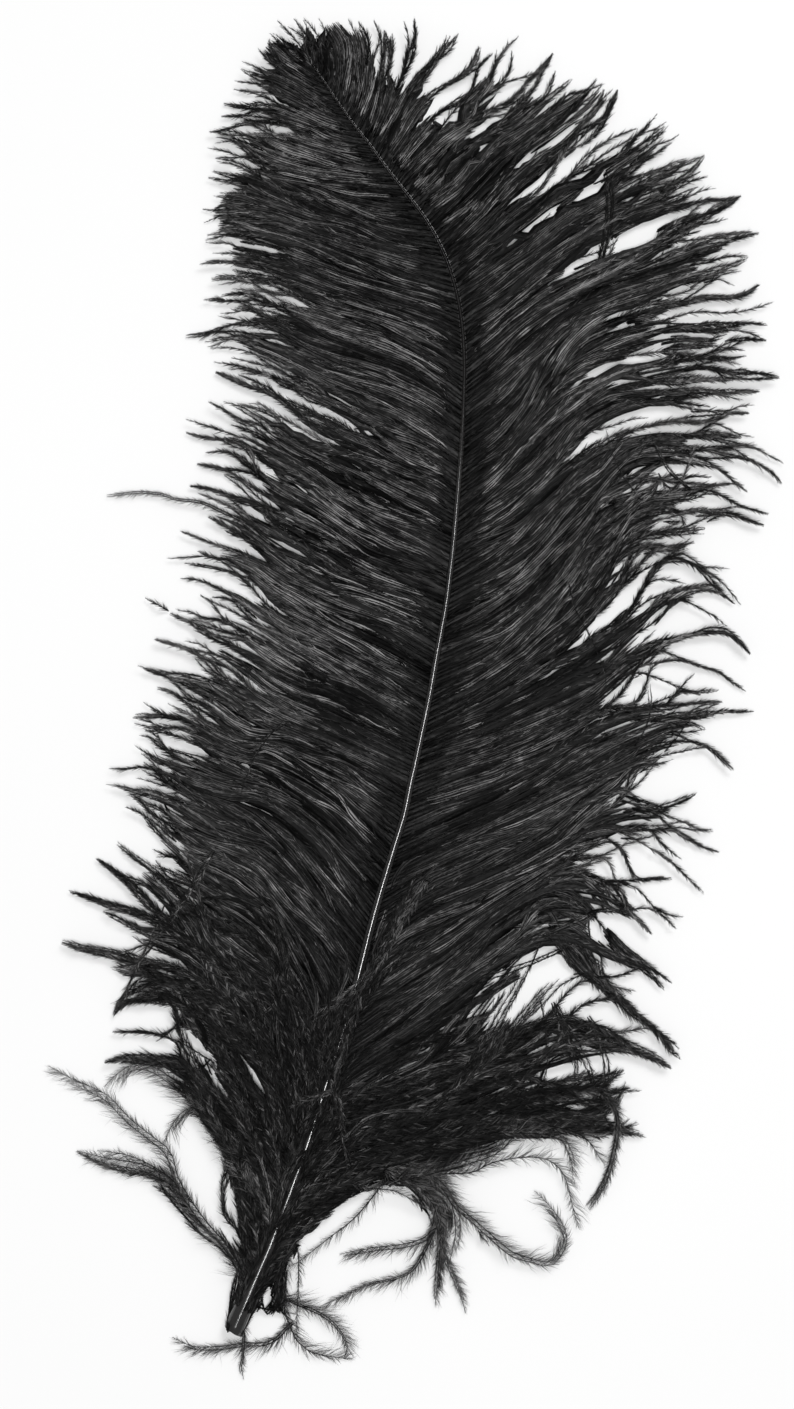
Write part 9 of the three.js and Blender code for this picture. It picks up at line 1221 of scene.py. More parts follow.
    (-109.9,-117.6,-116.8,-116.2,-122.4,-119.7,-125.9,-125.6,-129.4,-131.7,-132,-138.3),
    (-72.1,86,-79.8,88,-87.5,90.4),
    (123.4,80.6,130.9,80.9,138.4,81.5,145.5,78.8,152.8,76.8),
    (-14.7,255.3,-12.1,262.2,-11.3,269.4,-11.3,276.8,-10.2,284,-10.9,291.2),
    (71.6,-74.9,78.6,-77.5,84.8,-81.3,91.1,-85,93.4,-91.9,98.7,-97.1,103.6,-102.7),
    (110.8,206.1,117.3,209.4,123.5,212.7,130.6,214,136.9,216.9,142.8,221),
    (-46.2,169.6,-52.6,172.3,-58.8,175.4,-65.1,178.5,-71.9,179.2,-78.8,178.3),
    (73.5,243.6,78.7,248.8,82.8,255.1,86.9,261.1,89.2,268.1),
    (-68.9,1.5,-73.9,7.1,-79.2,12.2,-86.1,15.4,-93.2,17.8,-99.6,21.8,-106.7,24.3,-114,26.4),
    (93.7,68.7,99.8,71.4,106.2,73.6,112.3,76.7,118.8,78.4),
    (74.2,105.4,80.8,109.5,86.9,114.1,93.8,117.1,101.1,119.6,108.7,121.3,116.4,122.5,124.1,121.9,131.6,122.5,138.7,125.6,146.4,125.8),
    (63.9,-141.7,71.5,-142.6,79,-143.1,85.8,-146.6,92.2,-150.6,98.2,-155.3,105.3,-158,112.1,-161.5),
    (77.2,-105.5,81.5,-111.7,82.5,-119.1,85.9,-125.8,91.7,-130.9,96.7,-136.8,102.3,-142.3,108,-147.6,113,-153.5),
    (105.1,214.7,112.9,215.5,120.4,216.7,127.6,219.5,135.4,219.7,142.8,221),
    (88.7,48.8,93.8,54.6,99.6,59.6,105.3,64.7,112.4,66,119.8,67.9),
    (-74.4,212.5,-83.7,212.4,-92.5,209.9),
    (62.3,-142,69.2,-142.2,76.2,-142.4,82.9,-143.6,88.9,-147.1,94.1,-151.7,99.8,-155.7,106.2,-158.3,112.3,-161.8),
    (-59.9,240.4,-66.5,245.3,-74,247.4,-82.3,247.5,-90.2,249.3),
    (-66.6,65.6,-72,70.1,-78.3,72.9,-84,76.9,-90.3,79.9),
    (-36.1,116.4,-42.7,119.8,-49.5,122.6,-54.9,127.4,-60.4,132.3,-66.8,135.7,-73.8,138,-80.4,141.1,-87.3,143.8),
    (116.9,192.8,123.6,195.6,130.8,197,137.3,200.2,144,203,151.1,204.6),
    (-67.6,65.1,-72.9,69.5,-78.1,74.2,-84.4,77.2,-90.7,80),
    (-65,105.1,-71.3,109.3,-78.5,110.8,-85.3,113.9,-92.7,115.5,-100,117.4),
    (-128.2,-112.3,-134.7,-110.5,-141.5,-109.9,-148.2,-108.7,-154.6,-106.5),
    (-0.6,269.6,4.3,275.4,9.8,280.6,15.6,285.4,19.4,292),
    (77.5,-94.2,82.1,-99.2,86.6,-104.3,92,-108.5,97.1,-113,102.4,-117.2,108.1,-121.1),
    (27.4,255.7,34.5,258.4,41.7,261,47.9,265.5,53.4,270.6,56.5,277.5,60.5,284.1),
    (69.8,248.2,74.6,254.7,79.9,260.9,82.8,268.3),
    (-52.5,256.6,-60.1,259.5,-67.6,261.9,-75.6,261.1,-83.6,261.8),
    (66.3,-173.4,74.2,-173.1,81.5,-175.3,88.3,-176.7,92.5,-170.2),
    (-80.4,5.7,-86.3,9.2,-91.8,13.2,-96.4,18.1),
    (-66.1,201.1,-74.3,203.1,-82.6,204.4,-90.9,204),
    (110.6,143.3,118.5,145,126.2,147.2,133.9,149.4,141.9,150),
    (-17.6,255.2,-15.9,262.9,-14.5,270.4,-13.7,278.1,-13.6,286,-13.2,293.8),
    (102.2,54.4,107.3,59.2,114.3,60.3,121.3,59.9,127.7,56.6,133.5,52.4),
    (68.1,257,73.3,261.1,78.2,265.5,82.6,270.2),
    (-37.2,242.5,-43.8,245.1,-50.3,247.9,-57.4,247.5,-64.4,248.4,-71.5,248.8),
    (-10.4,261.9,-7.7,269,-4.9,276,-2.7,283.2,-0.3,290.2,-0.5,297.8),
    (-109.8,-44.8,-116.8,-42.4,-124,-40.7,-130.8,-37.9),
    (102.5,-3.3,110.4,-2.2,118.6,-1.8,126.7,-1.5,134.9,-1.1),
    (-66.4,155.8,-74.6,158,-83,158.1,-91.2,156.2),
    (-41.4,284.7,-45,291.5,-48.5,298.3),
    (-79.1,45.7,-86.2,48.9,-92.8,52.7),
    (-97.9,-28.7,-103.9,-25.4,-109.3,-21.3,-113.4,-15.9,-119.3,-12.8),
    (-95.7,-11.7,-102.1,-8.7,-109.1,-7.6,-116.2,-7.9,-123.3,-7.9),
    (89.9,51.8,92.9,58,95.9,64.3,101.8,67.4,108.7,67,115.6,66.7,122.1,69.1),
    (91.7,240.2,96.1,246.4,101.4,252,106.2,257.9),
    (98.8,-32.2,103.4,-29.1,107.8,-25.8),
    (66.6,258.8,71.9,263.4,77,268.1,83.4,270.8),
    (109,-9.7,115.4,-9.5,121.7,-10.1,127.6,-12.4),
    (-57.8,177.6,-65.7,179.3,-73.1,182.9,-81.1,184.7,-89.2,184),
    (-111.5,-123,-118.6,-121.8,-124.3,-125.9,-128.9,-131.4,-132,-138),
    (-111,-97,-117.9,-95.2,-124.4,-92.4,-131.3,-90.7,-138.1,-88.9,-144.8,-86.6,-151.7,-84.7),
    (5.6,253.9,11.8,258.8,18.3,263.2,25.6,266.5,31.7,271.6,35.6,278.5,39.8,285.2,45.4,290.8),
    (98.6,139.2,105.5,139.6,112.4,139,119.3,139.1,126.1,139.5,133,140,140,140.2),
    (25.6,263.8,31.6,269.3,34.7,276.9,35.8,285),
    (-34.1,115,-41.3,117.6,-47.1,122.5,-53.2,127.2,-59.3,131.8,-66,135.5,-73.3,137.9,-80.2,141.1,-87.3,144),
    (-12.6,274.4,-10.9,280.8,-11.8,287.3,-13,293.8),
    (102.5,66.3,109.3,67,115.9,68.4,122.6,69.6),
    (17.9,249.4,23.2,252.8,27.5,257.1,31.8,261.6),
    (-4.6,261.9,-0.6,268.4,4.5,274.1,9,280.4,13.8,286.4,19.2,291.9),
    (39.5,256.8,44.9,261.2,50.3,265.5,53.8,271.6,56.7,277.9,60.4,283.9),
    (-99.2,-163.8,-103.9,-157.7,-111.8,-156.9,-119.7,-157.9,-127.7,-157.8,-135.7,-158.9),
    (93.2,-29.2,100.7,-25.6,108.1,-22),
    (-59.9,91.2,-66.3,95.8,-73.1,99.4,-80.3,101.4,-88,102.1,-95.7,103.5),
    (-110.5,-212,-117.9,-208.8,-126,-208,-133.9,-206.1,-141.4,-202.9,-148.6,-198.9),
    (15.1,248.7,21.1,252.6,27.6,255.8,34.3,258.8,40.7,262.3,46.2,267.3,50.7,273,56.2,277.5,60.3,283.6),
    (82.5,163.1,89.1,166.2,95.5,169.6,102.3,171.7,109.4,172.6,116.6,173.8,123.6,175.5,130.8,176.3,138,176.6,144.9,178,150.9,182.1),
    (43.7,255.7,49.9,260.2,56.5,264,62.7,268.3,68.6,273),
    (128.4,78,134.2,80.7,140.6,80.1,146.9,78.4,153.1,76.6),
    (90.9,-42.8,94.9,-35.5,99.9,-29.1,107.7,-25.8),
    (-96.3,-80.9,-102.8,-78.4,-109.1,-75.5,-115.4,-72.5),
    (22.5,251.9,26.8,256.9,29.1,263,34.8,266.5,39.3,271.7,41.9,278,42.5,284.8),
    (34.7,-125.3,41.8,-121,48.6,-116.3),
    (108.9,111.1,115.9,110,122.9,110.5,129.8,111.2,136.7,110.4,143.6,111.7,150.4,110.2),
    (115.2,3.9,121.2,3.3,127.3,4.1,133.5,4.1),
    (-89.8,0.3,-96.8,4.2,-103.8,7.9,-111.2,10.9,-118.8,13.4),
    (-76.6,-217.6,-79.1,-211.8,-82.9,-206.6,-85.1,-200.7),
    (99.7,196.2,105,201.3,110.2,206.5,116.6,209.8,123.7,211.7,130.7,213.9,137.2,216.9,143.2,221.3),
    (-54,253.7,-61.4,256.1,-68.6,258.9,-76.1,260.5,-83.8,261.8),
    (-21,273.7,-20.6,282.2,-20.5,290.4,-24.9,297.6),
    (-50.2,272,-56.8,275.9,-63.4,279.7,-68.5,285.3),
    (83.1,-129.2,90,-133.2,95.5,-138.9,102.3,-142.9,108.4,-148.1,113.4,-154.2),
    (96.7,14.8,101.8,20,108.2,23.4,114.7,26.4,121.6,28.5,128.9,29.5,136.1,29.2,142.1,25.4,147.1,20.1),
    (83.9,-80.4,90.4,-83,93.1,-89.1,98.1,-93),
    (-64.6,63.2,-70.3,68.7,-77.5,71.7,-83.9,76.3,-90.7,80.2),
    (-90.9,-29.1,-97,-25.8,-103.3,-23.2,-109.7,-21.1,-115.1,-16.9,-121.1,-15.8),
    (63.4,-174.6,70.8,-172.2,77.7,-169.2,84.4,-165.5,91.5,-162.6),
    (-41.6,274.7,-46.1,279.7,-48,286.2,-49.2,292.8,-52.7,298.7),
    (78.8,39.2,84.1,43.7,89.8,47.9,95.2,52.2,99.9,57.4),
    (107,87.1,114.3,87.6,121.3,89.6,128.2,91.7,135,89.6,141.2,85.8,148,83.4,155.1,81.6),
    (102,217.2,109.4,219.9,116.9,222.2,124.2,224.9),
    (102.1,135.9,109,135.5,116,134.9,123,134.7,130,134.6,136.9,133.9,143.7,134.9,150.7,134.8),
    (81.6,89.9,86.7,94.1,92.7,97.2,99.1,98.8,105.8,99.3),
    (-88.1,-1.8,-94.1,1.8,-99.8,5.5,-105.9,8.7,-112.3,11.3,-118.9,13.3),
    (93.5,130.5,100.9,130.3,108.3,131,115.8,131.4,123.2,132),
    (82.8,170.5,90.2,173.1,98,173.7,105.7,174.8,113.6,174.8,121.4,175.4,129.2,176.3,137.1,176.6,144.6,177.8,151,182.3),
    (-47.3,70.7,-53.9,73.5,-60.3,76.8,-64.9,82.2,-70.7,86.4,-77.6,88.1,-84.4,90.7,-91.3,92.8,-98.4,93.7),
    (-55.6,128.9,-61.5,132.9,-68.1,135.1,-74.4,138.2,-80.7,141.2,-87.3,143.8),
    (88.2,-110.7,94.6,-113.8,101.4,-116,107,-120.1,112.7,-124.5),
    (-64,226.6,-71.4,230.8,-78.9,234.4,-87.1,235.8),
    (-11.2,277.6,-10.7,285.6,-12.6,293.4),
    (-117.7,-74.2,-124.2,-68.6,-130.5,-62.7),
    (119.3,121.5,126.3,121.6,132.8,124,139.3,125.9,146.3,125.8),
    (-34.3,284,-37.3,291.7,-42.3,298.3),
    (136.3,157.6,145.2,158.4,154.2,157.6),
    (129.7,152.4,138,154.6,145.7,158.1,154.3,157.4),
    (-6,273,-2.5,278.6,-0.9,285,0,291.6,-0.5,298.2),
    (-59.5,87.5,-67,90.6,-73.5,95.2,-80.3,99.3,-87.8,101.9,-95.7,103.6),
    (72.8,-183.1,77.7,-178.9,82.1,-174,88.3,-172.3,94.6,-170.5),
    (112.4,131.2,120.9,129.2,129.5,128.5),
    (63.5,-76.9,71,-75,78.5,-74.8),
    (79.4,-190,87.6,-188.9,94.4,-184.4),
    (-69.1,121.4,-76.8,122.9,-83.7,126.7,-90.4,130.7),
    (-111.9,-93.2,-117.1,-88.1,-123,-83.8,-128.4,-79,-133.9,-74.1,-140,-70.1),
    (-105,-132.5,-112.4,-131.6,-120,-132.3,-127.4,-133.2,-132.1,-138.4),
    (3.5,275.2,8.1,280,11.8,285.5,15.5,290.9),
    (88.2,165.6,95.2,167.8,102.3,169.7,108.7,173,116,173.7,123.1,175.4,130.4,176.2,137.8,176.6,144.8,177.9,150.9,182),
    (78.1,-120.4,85,-125.9,92.8,-130.1),
    (-64.4,95,-70.6,100.1,-76.7,105.1,-83.6,109.1),
    (-37.8,132.7,-44.9,136,-51.3,140.4,-58.2,143.5,-65,147.2),
    (75.3,-152.4,82.6,-152.6,90,-152.6,97.1,-154.7,104,-157.5,110.6,-160.8),
    (-92.3,-15.3,-98.8,-12.7,-105.7,-11.9,-112.4,-10.4),
    (-99.6,-80.8,-108.2,-77.9,-114.3,-71.1),
    (81.9,-4.1,89.3,0.9,95.1,7.6),
    (117.4,207.4,124.8,208.9,131,212.8,137.1,217,143.2,221.3),
    (115.4,207.1,122.6,210.3,129.2,214.6,136.1,218.1,143.3,221.3),
    (91.9,10.5,98.1,14.3,103.6,17.7,108.4,22.5,114.9,26,121.7,28.4,128.9,29.4,136.2,29.2,142.3,25.3,147.1,19.9),
    (-2.2,255,2.3,261.1,7.2,266.6,13.8,270.3,20.2,274.2,25.7,279.3,28.1,286.3),
    (-45.9,279.1,-51.6,283.9,-58.1,287.3,-63.4,292.5),
    (-62.7,82.3,-69.2,86.1,-76.2,88.6,-83.5,90.2,-90.7,92.6,-98.2,93.7),
    (63.6,-77,71,-74.9,78.1,-72.1,85.2,-70),
    (7.9,279.7,12.3,284.8,13.4,291.5),
    (120.9,174.8,128.9,175.8,136.8,176.1,144.5,177.7,151.2,182.2),
    (-109.1,-97.8,-116.1,-95.4,-122.7,-92.2,-129.9,-90.6,-137.2,-89.1,-144.2,-86.7,-151.4,-84.9),
    (131.2,109.7,138.2,110.7,144.4,107.6,150.3,103.6,156.3,99.8,161.3,94.8),
    (-70.6,217.4,-77.8,220.7,-85.6,222.7),
    (-53.4,79.3,-60.4,83.1,-67.8,85.8,-75.4,88.1,-83.1,90.1,-90.7,92.6,-98.6,93.7),
    (-56.7,278.3,-62.3,283.1,-64.4,289.5),
    (101.3,-141.8,106.8,-146.9,110.7,-153.2,116.4,-157.9),
    (105.9,106.2,113.2,105.6,120.5,105.4,127.7,104.1,134.3,100.7,139.9,95.9,145.9,91.6),
    (31.7,248.7,37.7,253.6,43.1,259.1,48.1,264.8,53.3,270.2,56.3,277.2,60.4,283.7),
    (-100.5,-224.3,-104.5,-219.4,-109.7,-215.8,-114.9,-212.9),
    (-60.2,162.5,-66.9,164.2,-73.8,164.5,-80.5,165.1,-87.1,163,-93.6,161,-100.5,160.3),
    (80.8,41.1,85.9,45.8,91.5,49.9,96,55,100.2,60.5,105.1,65.3,111.8,66,118.5,67.2),
    (60.6,-142.4,67.6,-141.4,74.6,-141.7,81.4,-144,87.7,-147.4,93.3,-151.7,99.2,-155.6,105.9,-158.2,112.2,-161.6),
    (88.9,50.2,91.9,56.9,94.5,63.8,100.1,67.9,107.3,67.8,114.6,66.9,121.7,69),
    (-52.3,126.4,-58.2,131.3,-63.5,136.7,-70.3,140,-77.4,142.6),
    (-112.1,-102.5,-118.8,-101.9,-124.9,-99.1,-130.6,-95.5,-137,-93),
    (115.5,195.6,123.3,198.5,130.8,202.3,138.7,204.7,147,205.5),
    (-103.9,-38.8,-109.1,-33.5,-114.2,-28.4,-120.2,-24.1),
    (110.9,-9,118.5,-8.5,126,-7.2,133.4,-5.5,141,-5.3,148.7,-5.1),
    (76,-110.7,79.4,-117.7,85,-121.7,92.7,-121.6),
    (85.5,-104.1,90.5,-108.8,95.8,-113,101.2,-117.2,107.1,-120.5,112.7,-124.4),
    (-7.2,260,-3.2,266.9,0.5,273.7,6.7,278.7,12.1,284.5,17.4,290.5),
    (-99,-168.2,-104.3,-162.2,-112.2,-161.1,-120.1,-159.8,-127.9,-158.4,-135.9,-159),
    (95.6,19,101.6,22.9,108.1,25.5,115.2,26.9,122.1,28.6,129.3,29.5,136.4,29.2,142.3,25.3,147.1,20),
    (96.5,42.4,100.8,49.3,105.7,55.6,111,61.7,118.3,64.1),
    (87.3,15.4,94.1,19.8,100.3,25,105.8,30.6),
    (70.4,252.8,76,255.9,80.7,260.3,85.6,264.6),
    (73.2,243.3,79.2,248,83.9,253.8,86.3,261,89.1,268),
    (-93.7,-232.4,-98.7,-227.1,-103.9,-222,-109.3,-217.2,-115.1,-213.7),
    (73,-134.5,79.7,-132.1,86.9,-132,93.3,-134.4,98.5,-139.2,104,-143.9,109.2,-148.8,113.6,-154.4),
    (60.6,-75,66.6,-71.7,73.2,-70.6,79.8,-70.1,86.4,-69.7),
    (71.7,104.6,77.7,109.5,83.7,114.1,90.4,117.4,97.9,118.7,105.3,120.6,112.8,122,120.4,122.2,128,121.6,135,124.3,142.4,125.9),
    (87.9,-107,92.7,-111.2,98.4,-114,104.1,-116.6),
    (-39.9,243.2,-47,245.8,-54.4,247.1,-62,247.3,-69.6,248,-77.2,247.9),
    (-104.4,-7.8,-110.6,-7,-116.7,-6.5,-122.9,-6.8),
    (-48.3,70.3,-54.8,73.1,-60.9,76.7,-65.3,82.4,-71.2,86.4,-78.2,87.9,-84.8,90.7,-91.7,92.8,-98.9,93.7),
    (-31.3,117.9,-38.2,121.4,-44.6,125.9,-51.6,129.1,-58.6,132.4,-65.8,135.4,-73.2,137.7,-80.2,141.1,-87.5,143.8),
    (-69.5,35.5,-75.3,40.7,-81.2,45.7,-88,49.4,-95.1,52.4,-102.9,53.2),
    (109.4,132.3,116.5,132.9,123.5,132.8,130.4,133.9,137.3,133.8,144.2,134.9,151.2,135),
    (94,224.7,100.2,228.2,106.3,232,112.6,235.2,119.2,237.7),
    (15.7,271,21.1,275.1,25.3,280.4,27.9,286.4),
    (114.4,173.4,121.7,176.3,129.3,177.2,137.1,176.8,144.5,177.7,151,182.2),
    (-43.2,249.1,-50.9,252.1,-59.1,252.4,-67.1,254,-75.3,254.3),
    (98.8,168,106.2,170.4,113.8,171.9,121.3,173.8,128.8,176.1,136.6,176.6,144.2,177.6,150.8,182),
    (-0.8,269.6,4,276.1,8.7,282.6,13.7,289),
    (74.3,-149.3,81.9,-152,89.5,-154.4,97.5,-155.7,105.3,-158,112.4,-161.7),
    (105.6,106.3,113,106,120.2,104.1,127.5,103,134.6,100.5,140.1,95.6,146.1,91.3),
    (-59.9,111.8,-65.7,115.8,-71.2,120.3,-77.4,123.7,-83.6,126.9,-89.7,130.5),
    (53.9,255.2,60.6,259.8,66.9,264.7,74.5,267.2,80.2,272.7),
    (-68.1,223,-75.3,226.2,-83.1,227,-90.6,229),
    (-67.9,218.7,-73.5,221.7,-79.8,222.7,-86.1,221.5),
    (83.6,-9.2,90.6,-6.6,97.6,-4,104.9,-3.2,112.2,-2.4,119.8,-2,127.2,-1.5,134.6,-1.1),
    (-64.3,175,-71.7,179.1,-79.9,180),
    (-102.5,-56.1,-109,-53.9,-114.5,-49.9,-119.4,-45,-125.1,-41.4),
    (94.8,18.7,100.8,22.9,107.1,26.2,114.3,26.9,121.4,28.5,128.6,29.4,135.9,29.3,142,25.5,146.9,20.3),
    (-94.8,-83.1,-100.5,-78.7,-107.1,-75.4,-114,-72.6),
    (107.3,112.1,114.3,111.2,121.3,111,128.2,109.9,135.2,109.7,142.1,110.9),
    (8.1,256.3,15.1,260.3,22.3,263.7,25.7,270.7,28,278.2,34,283.4),
    (-73.6,5,-80.3,8.6,-87.3,11.7,-92.6,17.2,-99.1,21.5,-106.4,24.1,-113.8,26.4),
    (-100.2,-44.9,-107,-42.5,-113.7,-39.8,-120.7,-38.6),
    (-68.4,15.6,-74.3,19.8,-79.8,24.3,-86.5,26.9,-93,30.1,-99.1,34,-105.7,37.1),
    (-56.4,185.1,-63.6,188,-71.3,189.2,-78.6,191.8,-86.4,192.3,-94.1,191.2),
    (74.6,23,80.5,28.1,86.1,33.5,92.3,38,97.4,43.5,101.3,50.2,105.4,56.8,111.2,61.8,118.2,64),
    (61.3,234.1,65.7,239.9,71,244.9,76.1,250.1,82,254.5,85.9,260.6,88.9,267.1),
    (-85.5,-16.2,-92.6,-12,-98.7,-6.6,-106,-2.9),
    (99.2,139.3,107.3,139.5,115.5,139.5,123.5,140.5,131.7,140.3,139.9,140.2),
    (-61.8,231.3,-68.6,234.8,-74.1,240.2,-79.4,245.4,-87,246.8),
    (64.6,-179.5,71.1,-180.7,77.6,-179.6,82.8,-175.5,87.4,-171.5,94,-170.4),
    (98.9,226.1,106,229.3,113.5,231.3,119.5,235.8,126.8,238.5),
    (-66.4,223.7,-72.8,228.5,-80.3,230.7,-88.3,232),
    (-94.2,-12.4,-102.6,-9.2,-111.4,-8.4),
    (97.3,138.6,104.3,139.2,111.4,138.2,118.5,138.6,125.4,139.9,132.6,140.1,139.7,140.2),
    (81.8,86.2,89.2,87.3,95.9,89.9,100.9,95.3,108.1,96.3,115.5,94.9,123,94.6,130.4,94,137.9,94.6),
    (70.2,-75.1,76.9,-78.2,84.2,-79.5,91.8,-78.6),
    (76,34.5,81.5,39.1,86.6,44.1,90.7,50,95.2,55.6,100.3,60.8,105.6,65.6,112.6,66,119.5,67.7),
    (-54.6,183.1,-63,185.5,-71.5,186.7,-80,188.4),
    (6.9,-215.9,13.7,-220.4,15.9,-228.2,15.3,-236.4),
    (-36.7,281.5,-39.5,287.9,-43.5,293.7,-48.4,298.8),
    (102.5,86.9,109.9,86.7,117.3,86.2),
    (-100.4,-61.7,-106.7,-56.9,-113,-52,-118.8,-46.6,-125,-41.8),
    (-64.3,94.9,-69.5,99.3,-75.4,102.6,-80.4,107.3,-86.7,109.1),
)

